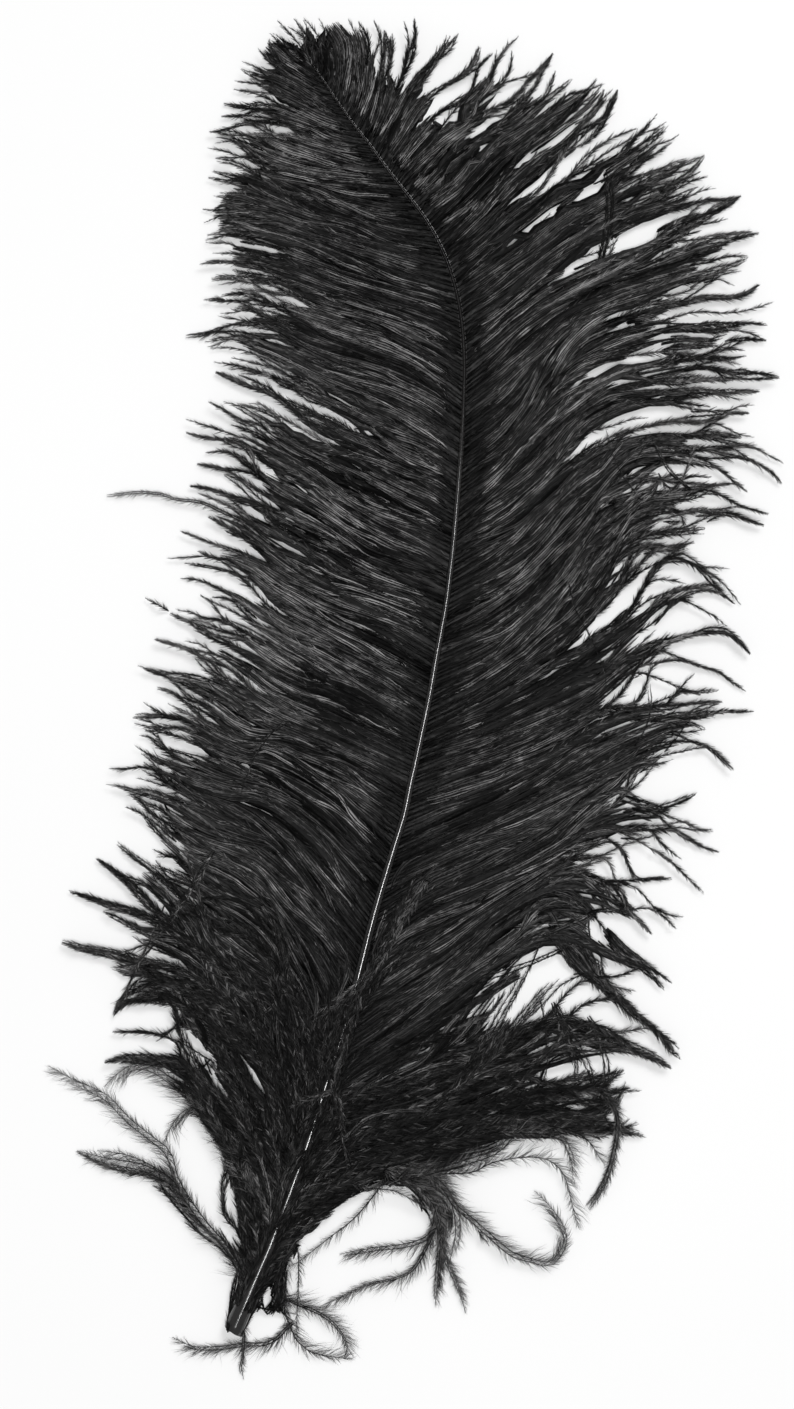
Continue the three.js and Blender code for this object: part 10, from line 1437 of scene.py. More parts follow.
# barbs that show at the surface of the web, in mm: x, y, x, y, ...
SURFACE = (
    (57.7,94.7,64.8,101.4,72.7,108,80.9,113.3),
    (46,-17.7,53.8,-13.7,62.5,-10.3,71.1,-6.5,79.2,-2,86.4,3.9,93.3,10.3,99.9,16.1),
    (17.5,-174.8,26.8,-172.5,36,-168.5,45.5,-165.2,54.7,-161.2,64.1,-157.4,73.1,-154.2),
    (97.5,111.8,106.7,112.2,116.5,111,125.8,110.6),
    (86.8,145.1,93.9,146.6,100.9,148.1),
    (70.3,189.3,79,192.7,87.5,196.4),
    (84.1,56.1,88,63.8,92.6,71.7,100,76.8,108.2,79.3),
    (21.3,-163.4,29.8,-158.7,40.1,-157.3,49.3,-152.8,58.9,-151.2),
    (107.5,162.3,115.6,162.6,124.3,162.3,132.4,162.1),
    (-24.2,242.8,-34.3,243.8,-44.1,248.1,-54.4,251.2,-64.4,253.1),
    (63.4,106.5,68.6,113.6,75.4,120,83.2,125.1,91.9,128.4,101.1,130.2,110.4,130.5,119.2,129.8),
    (9.2,-155.8,16.3,-149.3,23.3,-141.7,29.6,-133.6,37.1,-126.7,45.6,-122),
    (78.7,-35.4,85.5,-32.3,92.6,-28.1,99.6,-23.9),
    (107.4,207,114.5,210.5,121.8,213.5),
    (67,19.8,71,22.5,75.4,25.6),
    (76.5,26.4,79.7,28.9,83.5,31.9),
    (87.2,34.8,90.3,37.4,93.5,40),
    (12.5,-155.5,23.1,-155.1,32.6,-149.3,39.4,-141),
    (56.3,199.2,62.9,204.9,70.7,209.9,78.8,214.2,86.8,218.8,94.9,223.4,103.5,226.8,111.7,229.7),
    (-27.7,167,-35.7,169.5,-44.2,172.5,-52.3,176.4,-60.2,179.1),
    (-28.6,154.9,-37.1,158.3,-45.6,162.9,-54.2,167.3,-63,169.7),
    (86.4,203,92.4,206.2,98.7,208.8),
    (-34.8,175.8,-43.2,179.4,-52.3,182.9,-61.3,186.3,-70.5,189.4,-79.6,191),
    (-45.4,83.3,-52.9,87.8,-60.8,92.8,-67.8,99,-74,105.1),
    (64.9,141.4,71.4,146.6,79.4,150.3,88,152.6,96.7,154.3,104.9,156),
    (-25.1,169.5,-31.8,170.9,-38.3,172.9,-44.7,175.2,-51.8,177.7),
    (34.1,211.9,40.1,218.8,47.1,225.5,54.6,231.6,61.5,237.5),
    (34.7,138.1,43.6,145.8,53.3,153.4,61,163,70.9,170.2,82.1,175.2,93.6,179.6,105.4,183.3,116.7,186.6),
    (59.4,143.7,63.5,150.6,68.8,157.5,75.2,163.4,81.9,167.8,89.7,171.6,98,174.3,106.5,176.2),
    (-24.6,257.5,-21.6,265.9,-20.2,275.3,-19.6,284.8,-22.1,293.2),
    (-28.7,53.4,-35,57.3,-41.8,61.7,-48.7,66,-55.6,70.2,-62.7,74.1,-69.5,78.5,-76.5,82.5),
    (86.3,-85.3,90.4,-89.4,95.7,-91.3),
    (46.4,115.5,52.6,123,58.5,131.5,65.2,139.3,73.6,145.3,83.3,148.8,92.8,150.8),
    (15.6,105.6,7.3,110.7,-2,114.8,-11.6,118.3,-21.1,122,-30.2,126.7,-39.5,130.7,-48.9,134.7,-57.4,139.3),
    (97.3,-9.1,103.6,-7.4,109.9,-6),
    (76.4,229.2,85.4,234.4,94.8,240.2,103.1,246.6),
    (3.7,-143.6,9.5,-139,15.5,-134.8,21.7,-130.9,28,-127.1,34.1,-123),
    (38.7,-119.2,42.6,-115.5,46.7,-111.1,51.2,-107.2),
    (52.3,-106.5,58.5,-102.5,65.3,-99.7,72,-96.7,79.1,-92.9),
    (51.7,119.1,57.5,126.5,65.3,132.9,73.9,137.9,83.3,141.6,92.9,144.5,102.6,146.7,112.5,148.7,121.8,150.2),
    (89.1,102.5,97.7,106.3,107.6,107.4,117.6,107.1,127,106.1),
    (106.7,205.5,115.7,209.8,125,213.5),
    (41.1,7.7,45.8,10.2,51,13.2,56,16.6),
    (61.5,20.3,67.8,25.4,73.6,30.8,79.3,36.5),
    (82.1,39.4,84.8,42.3,88.2,45.5),
    (-25.8,143.3,-32.9,145.4,-39.6,148.4,-46.2,151.8,-52.8,155.3,-59.9,159),
    (-43.5,102.2,-50.2,105.6,-56.8,109.1,-63.1,113.2,-70,117.7),
    (19,-172.8,27.8,-170.4,37.1,-168.2,45.7,-172.5,54.4,-174.6,63.6,-171.9,72.7,-172.5),
    (-50.2,-9.7,-56.9,-6.4,-63.4,-2.9,-69.7,1.2,-75.5,5.8,-82.7,9.7),
    (-42.2,266.1,-50.4,271,-59.1,276,-66.4,282.1),
    (61.7,-65.1,69.1,-58.7,77.7,-52.9,87.1,-48.6,97.5,-48.9,106.6,-52.2),
    (-8.4,156.6,-16.6,159.7,-25.6,161.8,-34.4,164.7,-43.2,167.4,-51.9,170.7,-60.2,173.3),
    (66.8,16.2,76,20.1,84.9,25.8,93.3,32.2,101.5,38.9,108.4,46),
    (91.8,143.3,101.6,145.3,111.9,147.6,121.8,148.9),
    (50.3,-103,57.6,-103.9,62.7,-109.1,67,-115.1,72.2,-120.1,78.8,-124.7),
    (85.4,-129.3,87.8,-130.4,90.9,-131.7),
    (45.6,-88.3,50.6,-84.9,56.3,-81.3,62.1,-78.1),
    (66.8,-77.6,73.3,-77.9,79.2,-82.3,84.2,-86.8,89.8,-91.6,96.1,-95.4),
    (-23.1,258.6,-20.3,266.4,-18.8,275.2,-17.6,283.5),
    (121,181.1,126.8,184,132.7,186.7),
    (97.6,185.8,106.7,188.7,116,192.3,125.6,195.3,134.6,198.1),
    (41.3,-22.6,50.2,-18.6,59.4,-13.8,68.9,-9.7,78.2,-5.4,88.3,-3.2,97.7,-1.3),
    (33.7,-184.4,42,-180.9,51.3,-178.9,60.8,-177.5,68.9,-173,71,-164.4),
    (-13.1,52.9,-21.1,56.3,-28.7,60.6,-36.2,65,-44.1,68.8,-52.1,72.1),
    (-61.8,77.9,-66.7,81.4,-72.4,85),
    (-55.2,53,-63.7,58.2,-73,63.2,-82.4,66.7),
    (-56.8,-16.7,-64.9,-18,-73.5,-17.6,-81.6,-13.7,-88.8,-8.3,-95.5,-3.2),
    (84.9,135.3,94.8,137.9,105.5,139,115.8,139.3),
    (-12.5,55.1,-19.8,58.5,-26.9,62.4,-33.8,66.5,-41.5,70.7),
    (-51.2,75.3,-58.4,79,-65.5,82.8,-72.6,86.6),
    (-4.5,145.4,-12.1,148.1,-19.7,150.8,-27.3,153.7,-34.8,156.4,-42.5,159,-49.8,162.4,-58,165.6),
    (-63.1,167.3,-66.3,168.2,-69.5,169.2),
    (-43.3,35.6,-51.4,40.1,-59.9,45.1,-67.8,50.8,-75.9,56.5,-84.3,60.4),
    (57.6,129.9,65.6,137.5,75.5,142.4),
    (-7,232.6,-1.9,239,3.7,245.6,9.2,251.6),
    (94.4,234.9,100.3,239.4,106,244.2),
    (-66.4,-199.3,-70.1,-193,-74.2,-186.1,-78.3,-179.2,-82.4,-172.3,-86.2,-165.3,-89.4,-157.9),
    (-91.2,-154.4,-94.9,-148,-98.7,-141.7,-102.5,-135.5),
    (-104.2,-133.4,-108.6,-128.4,-114.1,-125.6,-120.8,-124.9),
    (8.8,-172.9,18.7,-168.6,29.3,-164.5,39.8,-160.2,50.7,-157.1,61.5,-153.9,72.3,-150.5,83.3,-151.4,93.8,-154.1),
    (26,-168.3,35.4,-165.4,44.8,-160.7,54.7,-157.4,64.4,-153.5,74.6,-151.6,84.3,-152.3),
    (-49.4,18.1,-57,21.7,-64.7,26.4,-72.4,31,-80.1,34.4),
    (47.6,-151.2,55.2,-145.1,64.6,-141.7,74.7,-143.3,84.6,-145.9,93.4,-149.9),
    (87.7,73.8,94.5,79.6,103.8,81.9,112.9,82.5),
    (-68.1,-59.1,-75,-56.6,-82.5,-53.5,-89,-50,-96.1,-46.3,-103,-43.7,-110.6,-41.1),
    (72.1,96.9,78.6,102.2,85.1,108.2,92.3,112.9,101,115,109.8,116.2,118.1,117),
    (79,45.6,84.2,53.3,88.7,62.1,95.9,68.5,104.7,71.4),
    (-88.5,-143.8,-93.2,-135.7,-94.5,-126,-101.9,-119.5,-111.2,-116.4,-121.1,-115.2,-130.4,-114),
    (22,185.3,28.7,191.2,35.7,197.8,42.9,204,50.5,209.8,58,215.7,66.3,220.5,73.7,225.6),
    (83.1,-101.8,88.1,-108.6,94.7,-114.4,102.2,-118),
    (41.3,174.2,47.2,179.8,53.9,185.4,60.9,190.5,68.3,195.3,75.5,199.2),
    (7.5,77.9,-1,80.9,-10.1,83.9,-19,87.4,-27,92.6,-34.8,97.1),
    (-40.7,226.8,-47.9,228.5,-55.2,230.1,-62.3,232.1),
    (-68.6,234.6,-71.6,236.2,-74.6,237.7),
    (-39.7,-4.2,-47.8,-0.9,-55.9,2.3,-63.7,6.1,-70.3,11.8,-77.1,17.2),
    (17.9,261.9,22.8,265.6,26.3,270.6),
    (85.9,-101.4,93.5,-108.9,102,-115.4),
    (-4,228.1,2.4,234.5,9.5,240.9,17,246.8,24.9,252.2,33.2,255.8),
    (-86.2,-146.6,-91.4,-139.5,-96.1,-131.6,-103.6,-126.5,-112.8,-125.3,-121.3,-126.7),
    (0.2,235.4,7.7,242.2,16,248.6,24.5,254.8,28.7,264.4,35.3,271.9),
    (45.8,195.5,50.8,199.9,56.3,204.8,61.4,209,67.4,213.4,73.7,217.1),
    (78.3,219.9,84.9,224.4,91.3,230.2,98.2,235.5,104.9,241),
    (39.3,-89,47,-84.2,54.9,-78.9,63.6,-75,73,-74.5,80.8,-78.9),
    (-19.3,235.7,-27.2,237.3,-34.8,239.9,-42.4,242.6,-50,244.9,-57.8,247.1),
    (-32.5,70,-39.6,74.7,-47.4,79.1,-55.4,83.3,-63.2,87.7,-70.5,92),
    (1.8,10.1,-5.8,12.8,-13.7,16.5,-20.7,20.4,-28.2,24.8,-35.8,29,-42.8,32.9,-50.4,37.2,-58.1,41.3),
    (-59.4,-37.9,-67,-34.5,-75.3,-31.4,-83.3,-27.5,-92,-25.6,-100.6,-23.5,-108.6,-21.2),
    (0.7,140.3,-7.6,144.4,-16.7,147.8,-25.9,151.2,-35.3,153.7,-44.7,156.5,-53.4,160.8,-62.1,165.2,-70.8,168.1),
    (64.5,239.6,68.3,244.3,72.8,248.5),
    (-8.4,102.8,-16.8,106.9,-25.9,110.6,-35.2,114,-43.8,118.6,-51.4,124),
    (-82.5,-276.5,-81.5,-268.8,-80.5,-260.4,-78.6,-252.7),
    (-23.9,129.4,-31.5,133.9,-39.6,138.7,-48.1,142.7,-56.4,147.1,-65,150.8,-73.2,154.1),
    (-3.6,51.6,-11.2,55.5,-19.5,59.4,-27.5,63.8,-35.1,68.9,-43.3,73,-51.7,76.7,-59.9,80.6,-67.6,84.5),
    (27.1,-187.3,35.3,-183,44.5,-179.6,53.4,-175.5,63,-173.7,72.1,-174.3),
    (-30.1,248.9,-39.2,251.5,-48.3,255.7,-57.5,259.6,-66.7,262),
    (5.2,75.8,-2.7,77.3,-11,79.9,-18.3,83,-25.8,87.4,-32.8,92.6,-39.3,97.3,-46.6,102.1,-53.6,106,-61,110.6,-68.3,115.2),
    (-30.5,73.6,-37.7,78.5,-45.2,83,-52.8,87.2,-60.4,91.6,-67.4,96.8),
    (-43,108.3,-49.9,112.7,-56.7,117.3,-63.5,121.8,-71.3,126),
    (-81.9,-161.5,-84.7,-156.2,-88,-150.4),
    (-100.2,-133.8,-104.9,-127.4,-111.9,-122.8,-119.8,-121.7,-128.5,-121.4),
    (26.7,-123,32.4,-119.4,38.1,-114.7,43.5,-109.7),
    (45.8,-108.3,52.2,-104.6,59.1,-102,66,-99.2,72.7,-96.1,79.3,-92.7),
    (71.5,164.8,79.1,169.4,87.8,173.1,96.8,175.9,105.8,178.9,114.7,181.9,123.8,184.5,132.2,187.5),
    (74.1,125.5,79.8,129,85.9,131.6,92.3,133.6),
    (104.4,133.7,110.4,133.8,116.4,134.1,122.4,134.5),
    (109.5,154.1,119.8,155,130.2,155.6),
    (93.3,165.9,102,167.8,110.4,170.8),
    (59,14.6,65,17.7,70.9,21,76.7,24.5),
    (90.3,34.4,92.8,36.7,95.2,39),
    (87.2,20.9,93,27,99.8,32.9,106.3,39.1,113.9,43.8,122.3,44.9),
    (34.4,163.6,41.6,169.4,49.3,175.6,56.9,181.8,65.1,186.3),
    (13.4,86,6.6,90.2,-0.5,93.7,-7.9,96.8,-15,100.4,-23,103.6),
    (-29.4,105.6,-37.1,107.8,-44.5,110.6,-51.5,114.4,-58.2,118.8,-64.9,123.1,-71.8,127.1),
    (-77.7,-277.3,-73.1,-269,-69.1,-259.8,-63.1,-251.6,-57,-243.7,-50.3,-236.2,-42.8,-230.4),
    (20.9,181.5,28.8,186.6,36.7,192.7,44.8,198.7,52.3,205.2,59.2,211.7),
    (26.5,157.4,33.8,163.6,41.5,170.1,49.2,176.6,57.1,183,65.6,187.4),
    (89,26.8,95.3,32.1,101.4,37.5,107.5,43,114.2,47.7),
    (74.2,130.2,78.5,133.4,83.5,136.6,89.2,138.6),
    (99,140.8,106.2,142.5,114,144.5,121.9,145.8),
    (-33.4,185.4,-42,188.7,-51.3,192,-60.8,194.8,-70.4,196.9,-79.5,199),
    (-19.6,120.1,-25.8,122.8,-32.7,125.8,-38.9,128.5,-45.9,131.2),
    (-51.3,-16.1,-58.2,-13.6,-65,-10.9,-71.4,-7.5,-76.8,-2.5,-83.3,2.1),
    (-87.3,4.5,-93.1,6.2,-99.5,8.1,-105.9,10),
    (-8.3,43.7,-15.9,46.3,-23.5,48.8,-31,51.5,-38.3,54.7,-45.6,59.4,-52.5,63.5,-59.4,67.6,-66.1,71.9,-72.4,76.8,-79.6,81.7),
    (61.9,181.1,69,184.8,76.9,188.3,85,191.4,93.1,194.4,101,198.1,108.1,202.9,115.4,207.5),
    (31.3,201.3,38.2,208.6,46.3,215.3,55.2,221,63.2,226.9),
    (44,175.6,50.3,181,57.3,186.2,65.1,190.3,72.6,193.9),
    (68.8,210.6,76.9,215.1,84.7,221,92.6,226.8,101,230.9),
    (44.2,238.2,51.9,242.9,59.6,248.6,67.4,254.1,74.7,260.3,80.7,267),
    (52.4,-182.1,62,-183.3,72.1,-183.4,80.3,-177.7,85.3,-169.5),
    (84.8,130,92.1,131.6,100.3,132.3),
    (107.8,132.7,114.6,133.1,122.1,133.6),
    (-73.8,-259.1,-77.8,-250,-84.7,-242,-93,-235.6,-101.2,-229.8),
    (-62,-99.7,-67.8,-95.1,-74.3,-91.7,-81.1,-88.8,-88.7,-85.9,-95.1,-82.2,-102.1,-80,-109.6,-77.3),
    (31.7,250.1,39.8,253.6,47.4,259.1,54.4,264.5),
    (-47.4,213.1,-55.6,217.4,-64.6,221.5,-73,226.7,-81.7,229.7),
    (-36.9,-9.9,-45.6,-7,-54.2,-2.5,-62.7,2.2,-70.3,8.2,-77.9,14.3,-85.8,18.9),
    (1.6,-145.8,7.5,-141.5,13.5,-137.2,19.5,-133,25.8,-129.3),
    (27.6,-128.2,31,-126.2,35,-123.8),
    (37.3,-122.5,40,-120.5,42.9,-117.7),
    (54.4,-106.6,60.4,-102.4,67.2,-98.3,74.3,-94.5),
    (-3.1,49.8,-10.6,52.8,-18.7,56.1,-26.3,60.3,-33.4,64.2,-41.2,68.2,-49.1,72.1),
    (18.3,192.6,25.6,198.6,33,205.4,39.4,213,47.2,219.3,54.4,225.3),
    (45.4,7.2,51.2,10.5,57.5,14.2,63.9,17.8,70.4,21.3,76.5,25.5),
    (83.5,30.5,89.5,34.8,95.2,39.4),
    (49.2,173.5,54.1,177.1,59.2,180.4,64.5,183.3),
    (69.9,186.1,76.6,189.3,83.5,192.1,90.4,194.8,97.3,197.6),
    (75.4,5.3,83.3,11.3,91.9,17.4,100.8,23.1,110,26.9),
    (-21.5,74.1,-27.3,77.6,-33.3,81.8,-38.6,86,-44.2,90.9),
    (-46.5,92.3,-53.8,95.6,-62,98.8),
    (-35.5,149.4,-44.5,153.2,-53.5,158.5,-62.5,163.5,-72.2,164.7),
    (73.9,-31.8,82.8,-27.6,91.7,-22.1,101,-17.4,110.5,-13.2,120.2,-11.6),
    (88.4,203.4,93.8,207.5,100.5,210.7,107.5,213.1,114.8,214.8),
    (-75,-262.5,-75.3,-251.8,-74.8,-240.6,-79.7,-231.2),
    (48.9,21.6,56.5,29.1,65.5,35.8,72.8,44.4,79.6,53.4,85.3,63.1,90.6,73,97.2,81.9,107.2,85.3),
    (16.6,-185,25.1,-180.7,34.4,-176.7,43,-171.6,52.3,-168.4,62.3,-169.1,71.8,-170.4),
    (31.7,-95.1,39,-90.4,46.4,-85.8,53.7,-81,61.4,-76.9),
    (64.4,-75.4,69.5,-74.1,74.8,-73.1),
    (80.9,12,85.8,17.5,90.8,22.9,96.1,27.9,101.9,33.5),
    (111,41.4,115.2,43,120.5,44),
    (-12.5,239.5,-7.1,248.5,-1.8,258.2,4.6,266.5),
    (50.2,91.2,55.4,96.3,60.1,101.9,65,108.2,70,113.6,75.4,118.5,81.8,123.3),
    (83.5,124.3,90.6,127.9,98.9,130.3,106.9,131,115.5,131.2),
    (56.9,-20.5,63.6,-17.3,70.6,-13.2,77.8,-9.4),
    (80.9,-8,87.9,-5.7,95.2,-3.9,103,-1.7),
    (84.8,-101.5,89.6,-107.5,96,-112.6,102.6,-116.5),
    (76.6,-47.3,83.5,-42,90.8,-36.4,98.1,-30.7,106.1,-27.3),
    (4.1,217,12.7,222.8,20.6,230.6,26.9,238.9),
    (63,-90.9,70.8,-95.7,76.4,-104.4,81.5,-112.6),
    (44,-92.5,50.7,-87.6,58.8,-84.3,67.5,-83.2,74.9,-87.8,80.3,-94.1),
    (-30.5,27.1,-38.9,31.7,-47.8,36.7,-56.5,41.8,-65.1,47.1,-72.5,53.2),
    (46.2,167.5,53.8,172.5,62.1,177.4,70.7,182,79.4,186.1,88.2,190.1,97.4,193,106,197.3,114.1,201.5),
    (-74.6,-239.8,-76.6,-230.3,-77.4,-220,-79.4,-210,-78.2,-200,-83.4,-191.3,-91.1,-184.6,-99.9,-181.3),
    (31.3,-187.5,40,-184.3,49.6,-182,59.4,-182.2,69.2,-182.2,78.3,-178.7,85.2,-172.5),
    (-24.3,144.2,-32,146.5,-40,150.1,-47.2,153.6,-54.6,158.2,-61.7,161.9,-70.2,163.1),
    (37.7,1.6,46.9,6.8,56.7,11.9,67.2,15.4,77.3,20.1,86.6,26,95.4,32.9,103.8,40,111.3,47.3),
    (-1.5,225.5,3.5,230.9,8.5,236.4,13.5,241.9,19,246.8,25.4,251.7),
    (42.8,-51.1,52.4,-46.6,62,-41.2,72,-36.5,81.8,-31.3,91.8,-26.5,100.7,-19.9,110.6,-15.1,120.5,-11.7),
    (-29.4,228.7,-36.7,229.7,-43.9,231.1,-51.8,233,-58.9,234.9,-65.9,237.1,-73.2,240.4),
    (-31.1,251.8,-39.4,254.5,-47.7,258.7,-56.1,262.8,-64.1,266.4),
    (42.4,-153.6,49.3,-148.4,56.1,-142.3,61.3,-135.5),
    (42,248,49.3,252.2,56.4,257.6,63.7,262.9,70.7,267.5),
    (-36.9,47.6,-43.7,50.6,-50.5,53.5,-57.5,57.4,-63.4,61.8,-69.7,66.9),
    (-26.5,270.9,-25.7,279.9,-27.2,289.4,-32.6,296.6),
    (-7.5,-203.1,4,-199.4,16.3,-196.5,28.7,-193.7,40.6,-189.4,52.7,-185.9,65.2,-187.2,77.5,-190.5,89.5,-190.9),
    (-1.9,71.5,-8.6,74.4,-15.8,78,-22.7,82,-29.3,86.6,-35.4,91.7,-41.8,96.6,-48.4,101.1,-55.3,105,-61.8,109.7,-68.1,114.6),
    (79.1,178.3,88,182.1,97.9,184.7,107.9,187,117.7,190.1,127.3,192),
    (80.6,-115.5,82.8,-125.7,91.6,-131.6),
    (-63.8,182.9,-67.4,183.5,-71,184.1),
    (7.3,215.6,16,221,23.6,228.6,30.6,237,38.5,244.3,47.6,250.1,56.6,256.1,65.6,262.1,74.3,267.5),
    (2.5,-142.8,7.9,-137.7,14.2,-132.7,20.8,-128,27.7,-123.7,34.5,-119.4,41,-114.6,46.8,-108.9),
    (-4.4,231.2,2,237.7,9,244.3,16.2,250.8,23.8,255.8),
    (43.3,41.2,49.4,45.4,55,50.2,60.7,55.9,65.7,61.4,71.1,67.3,75.5,73.3,79.6,80.2),
    (64.5,71.1,70,76.1,75.3,82.1,79.6,88.1,84.5,94.4,90.4,99.8),
    (96.6,103.9,100.5,110.9,106.5,117.2),
    (-91.3,-125,-92.3,-115.5,-97.5,-106.5,-105,-99.4,-113.3,-93.1,-120.7,-86.7),
    (-59.8,212.8,-68.8,214.5,-78.5,215.5,-87.8,214.9),
    (52.9,-32.8,60.7,-28.3,68.7,-23,77.4,-19.2,86.4,-16.1,95,-12,104,-8.8,112.6,-6.2),
    (-0.6,-162.2,6.7,-157.5,12.8,-150.6,18.8,-143.6,24.5,-136.3,30.4,-129.2,38,-124.1,45.6,-119.8),
    (74.8,154.5,82.5,158,90.8,161.6,99.5,163.9,108.5,165.1,117.5,165.1,126,165.4),
    (-18.6,247.8,-15.7,254.9,-13.3,262.8,-11.9,270.3),
    (-12.7,59.5,-21.2,62.9,-29,68.8,-37.1,74.3,-45.3,79.4,-54,84,-62.5,88.6,-70.5,93.3),
    (-62.9,-259.5,-58.7,-249.2,-54.5,-238.3,-51.4,-227,-48.7,-215.8,-40.1,-207.7,-32.2,-199.4,-33.2,-187.8,-35.8,-176.9),
    (-49,145.2,-58,149.8,-67.8,153.6,-77.3,156.7),
    (-33.2,-1.2,-42.5,0.9,-51.9,4.6,-60.7,9.5,-69.2,14.9,-77.5,20.6,-85.5,25.8),
    (66.9,18,74.7,21.7,82.6,26.3,89.9,31.8,96.8,36.9),
    (-34.5,183.1,-42.8,186.6,-51.7,190.2,-61,192.2,-70.4,194.1,-79.3,195.4),
    (23.7,111.5,32.5,117.1,40.1,125,47.4,133.3,52.5,142.9,57.7,152.6,65,160.8,73.3,167.9,82.2,173.5),
    (95.4,-14,105.5,-10.6,116.6,-9.3,127.1,-7.4),
    (72.5,73.4,77,80.7,83.2,87.1,91.3,91.5,98.8,95.6),
    (32.7,75,40.6,80,48.4,86.3,55.9,92.8,63.3,99.5,71,105.8,78.5,111.5),
    (-8.1,84.1,-13.4,86.9,-19.2,90.3,-24.7,94),
    (-31,97.9,-37.3,101.6,-43.9,104.8,-50.7,107.7,-57.1,111.2,-63.8,115.7),
    (23.7,212.2,26.6,215.9,29.5,219.6),
    (30.8,221.1,35.8,227.4,41.2,233.3,47.3,238.6,53.8,243.2,60.5,247.6,67,252.4,74.2,257.2),
    (-8.3,118.4,-16,122.2,-24.2,126,-32.4,129.7,-40.9,132.8,-49.1,136.4,-56.7,140.3),
    (109.6,157,117.2,157.7,125.5,157.6),
    (85.5,-80,90.6,-87.2,96.9,-93.2),
    (-5.4,69.4,-14.1,74.3,-23.4,79.3,-32.5,84.7,-41,90.8,-49.2,97.4,-58.9,101.6,-68.1,106.8,-76.2,112.6),
    (-14.1,242.1,-10.8,248,-7.2,254.4,-3.8,260.3,0.3,266.5,4.8,272.3),
    (-35.4,201,-43.6,203.1,-51.9,206.7,-60.3,209.7,-69.3,209.6,-78.2,210.8,-86.6,211.5),
    (-66.7,-26.6,-76.1,-24.5,-85.7,-20.9,-94.5,-15.9,-103.7,-13),
    (50,-81.5,56.6,-77.2,64.1,-73.2,71.5,-70.6),
    (10.3,115.2,0.4,121.8,-10.6,127.7,-21.7,133.4,-33.2,138.3,-44.7,143.2,-55.9,148.8,-67.3,153.8,-78.6,157.7),
    (64.4,54.9,69.4,62.1,74.3,70,79.4,77.9,85.5,84.1),
    (28.7,194.6,34.8,200.8,42,206.6,49.4,212.2,57.1,217.3,65,222.2,72.3,227),
    (79.2,226.6,87,230.6,94.5,236.3,101.8,241.2),
    (-45.1,236.5,-55.2,239.2,-65,244.2,-74.7,247.7),
    (48,-74.4,56.9,-70.6,65.7,-65.4,75.1,-61.5,84.5,-60.8),
    (54.4,-146.4,61.8,-145.4,66.6,-152.6,69.3,-160.5),
    (85,185.1,93.9,188.4,103.3,192.1,112.3,196.8,122,199.5,131.1,202.6),
    (69.2,-54,74.3,-49.6,79.7,-45.5,85.5,-42.8),
    (88.8,-43.6,95.8,-45.9,102.6,-49,110.6,-50.3),
    (-32.5,68.7,-39.4,73.1,-47.3,77,-55.3,80.6,-62.8,84.1),
    (95.2,82.1,101.3,87.2,109.7,88.3,118.3,89.1,126.3,90.1),
    (-27.1,260,-25.2,268,-24.3,276.7,-24.8,285.5,-26.4,293.6),
    (58.1,-145.2,67.8,-145,77.9,-146.9,82.7,-154.5),
    (-45.6,-14.6,-52.5,-11.8,-59.3,-9.1,-65.8,-5.7,-72.3,-0.9,-78,3.9,-84.1,8.1,-90.7,12.7),
    (-29.3,7.5,-35.4,11.6,-42.3,15.8,-49.3,19.7,-55.6,23.4,-62.3,27.9,-68.5,33,-74.6,38.1),
    (14.3,212.3,22.1,218.3,29.6,225.7,36.5,233.5,44.4,240.4,52.6,246.8,60.6,253.7,68.9,259.9,76.3,266.4),
    (42.1,5.8,49.1,10,56,14.5,63.6,19.1),
    (91.8,-5.9,98.5,-4.7,105.4,-4.3),
    (75.9,-0.6,82.8,6.4,90.8,12.9,99.6,18.4,109.1,20.1),
    (35.3,93.4,41.3,99.7,47.2,106,53.1,112.4,59.3,118.5,65.9,124.1,72.9,129.3,79.7,134.7,87.7,139.2),
    (92.7,141,99.1,142.8,106.3,144.2,112.9,145.5,120.1,146.9),
    (-42.6,268.9,-50.8,273.8,-59.1,279.4,-65.2,286.6),
    (34.9,219.7,40.7,226.7,48,233.1,55.6,239,63.6,244.3,70.6,250.9,78.3,256.8,84.2,263.7),
    (63.5,42.5,68.6,49,73.2,56.4,77.5,64.1,82.9,70.3),
    (12.9,-238.7,13.7,-231.2,13.9,-223.7),
    (35.7,205.1,42,211.2,49.6,216.6,57.6,221.5,64.8,226.5),
    (-25.4,223.4,-34.8,224.8,-44.6,226.7,-54.4,228.3,-64.2,230,-72.9,233.9),
    (-11.4,171.8,-19.5,174.7,-28.1,177.7,-36.9,180.4,-45.4,183.6,-54,186.9,-62.8,189.5,-71.6,191.9,-80.1,193),
    (70,124.3,77.6,128.3,85.5,132.8,94.5,134.5,103.6,134.9,112.8,134.8,121.4,135),
    (64,-99.8,69.8,-101.9,75,-104.9,80.2,-108.2),
    (82.6,-109.6,88.5,-113,94.4,-116.3,101.6,-118.4),
    (61.8,-83.9,71.8,-87.2,79.8,-94.9),
    (20.4,205.8,25.8,210.9,31.1,217,36.3,223.2),
    (41.1,228.8,46.8,233.7,53.2,238.6,59.9,243.1),
    (65.9,69.9,71.7,75.7,77,82.6,82.1,89.5,89.8,93.7,97.3,97),
    (48.4,-73.5,57,-69.7,65.5,-64.6,73.8,-59,83.1,-55.7,93,-56.3,102.4,-56.3),
    (-68.8,-13.6,-76.5,-9.5,-83.4,-4.1,-90.3,1.3,-98.2,5.2),
    (-25.5,256.3,-22.6,264.8,-21.5,274.2,-21.1,283.7,-21.9,292.5),
    (75.9,-39,83,-35,90.8,-30.8,98.9,-27.3),
    (-7.1,157,-15.1,160.3,-24.1,162.3,-33,165.1,-41.8,167.9,-50.5,171,-58.5,174.5),
    (109.2,157.9,115.4,158.7,122.2,158.8,129.1,158.9),
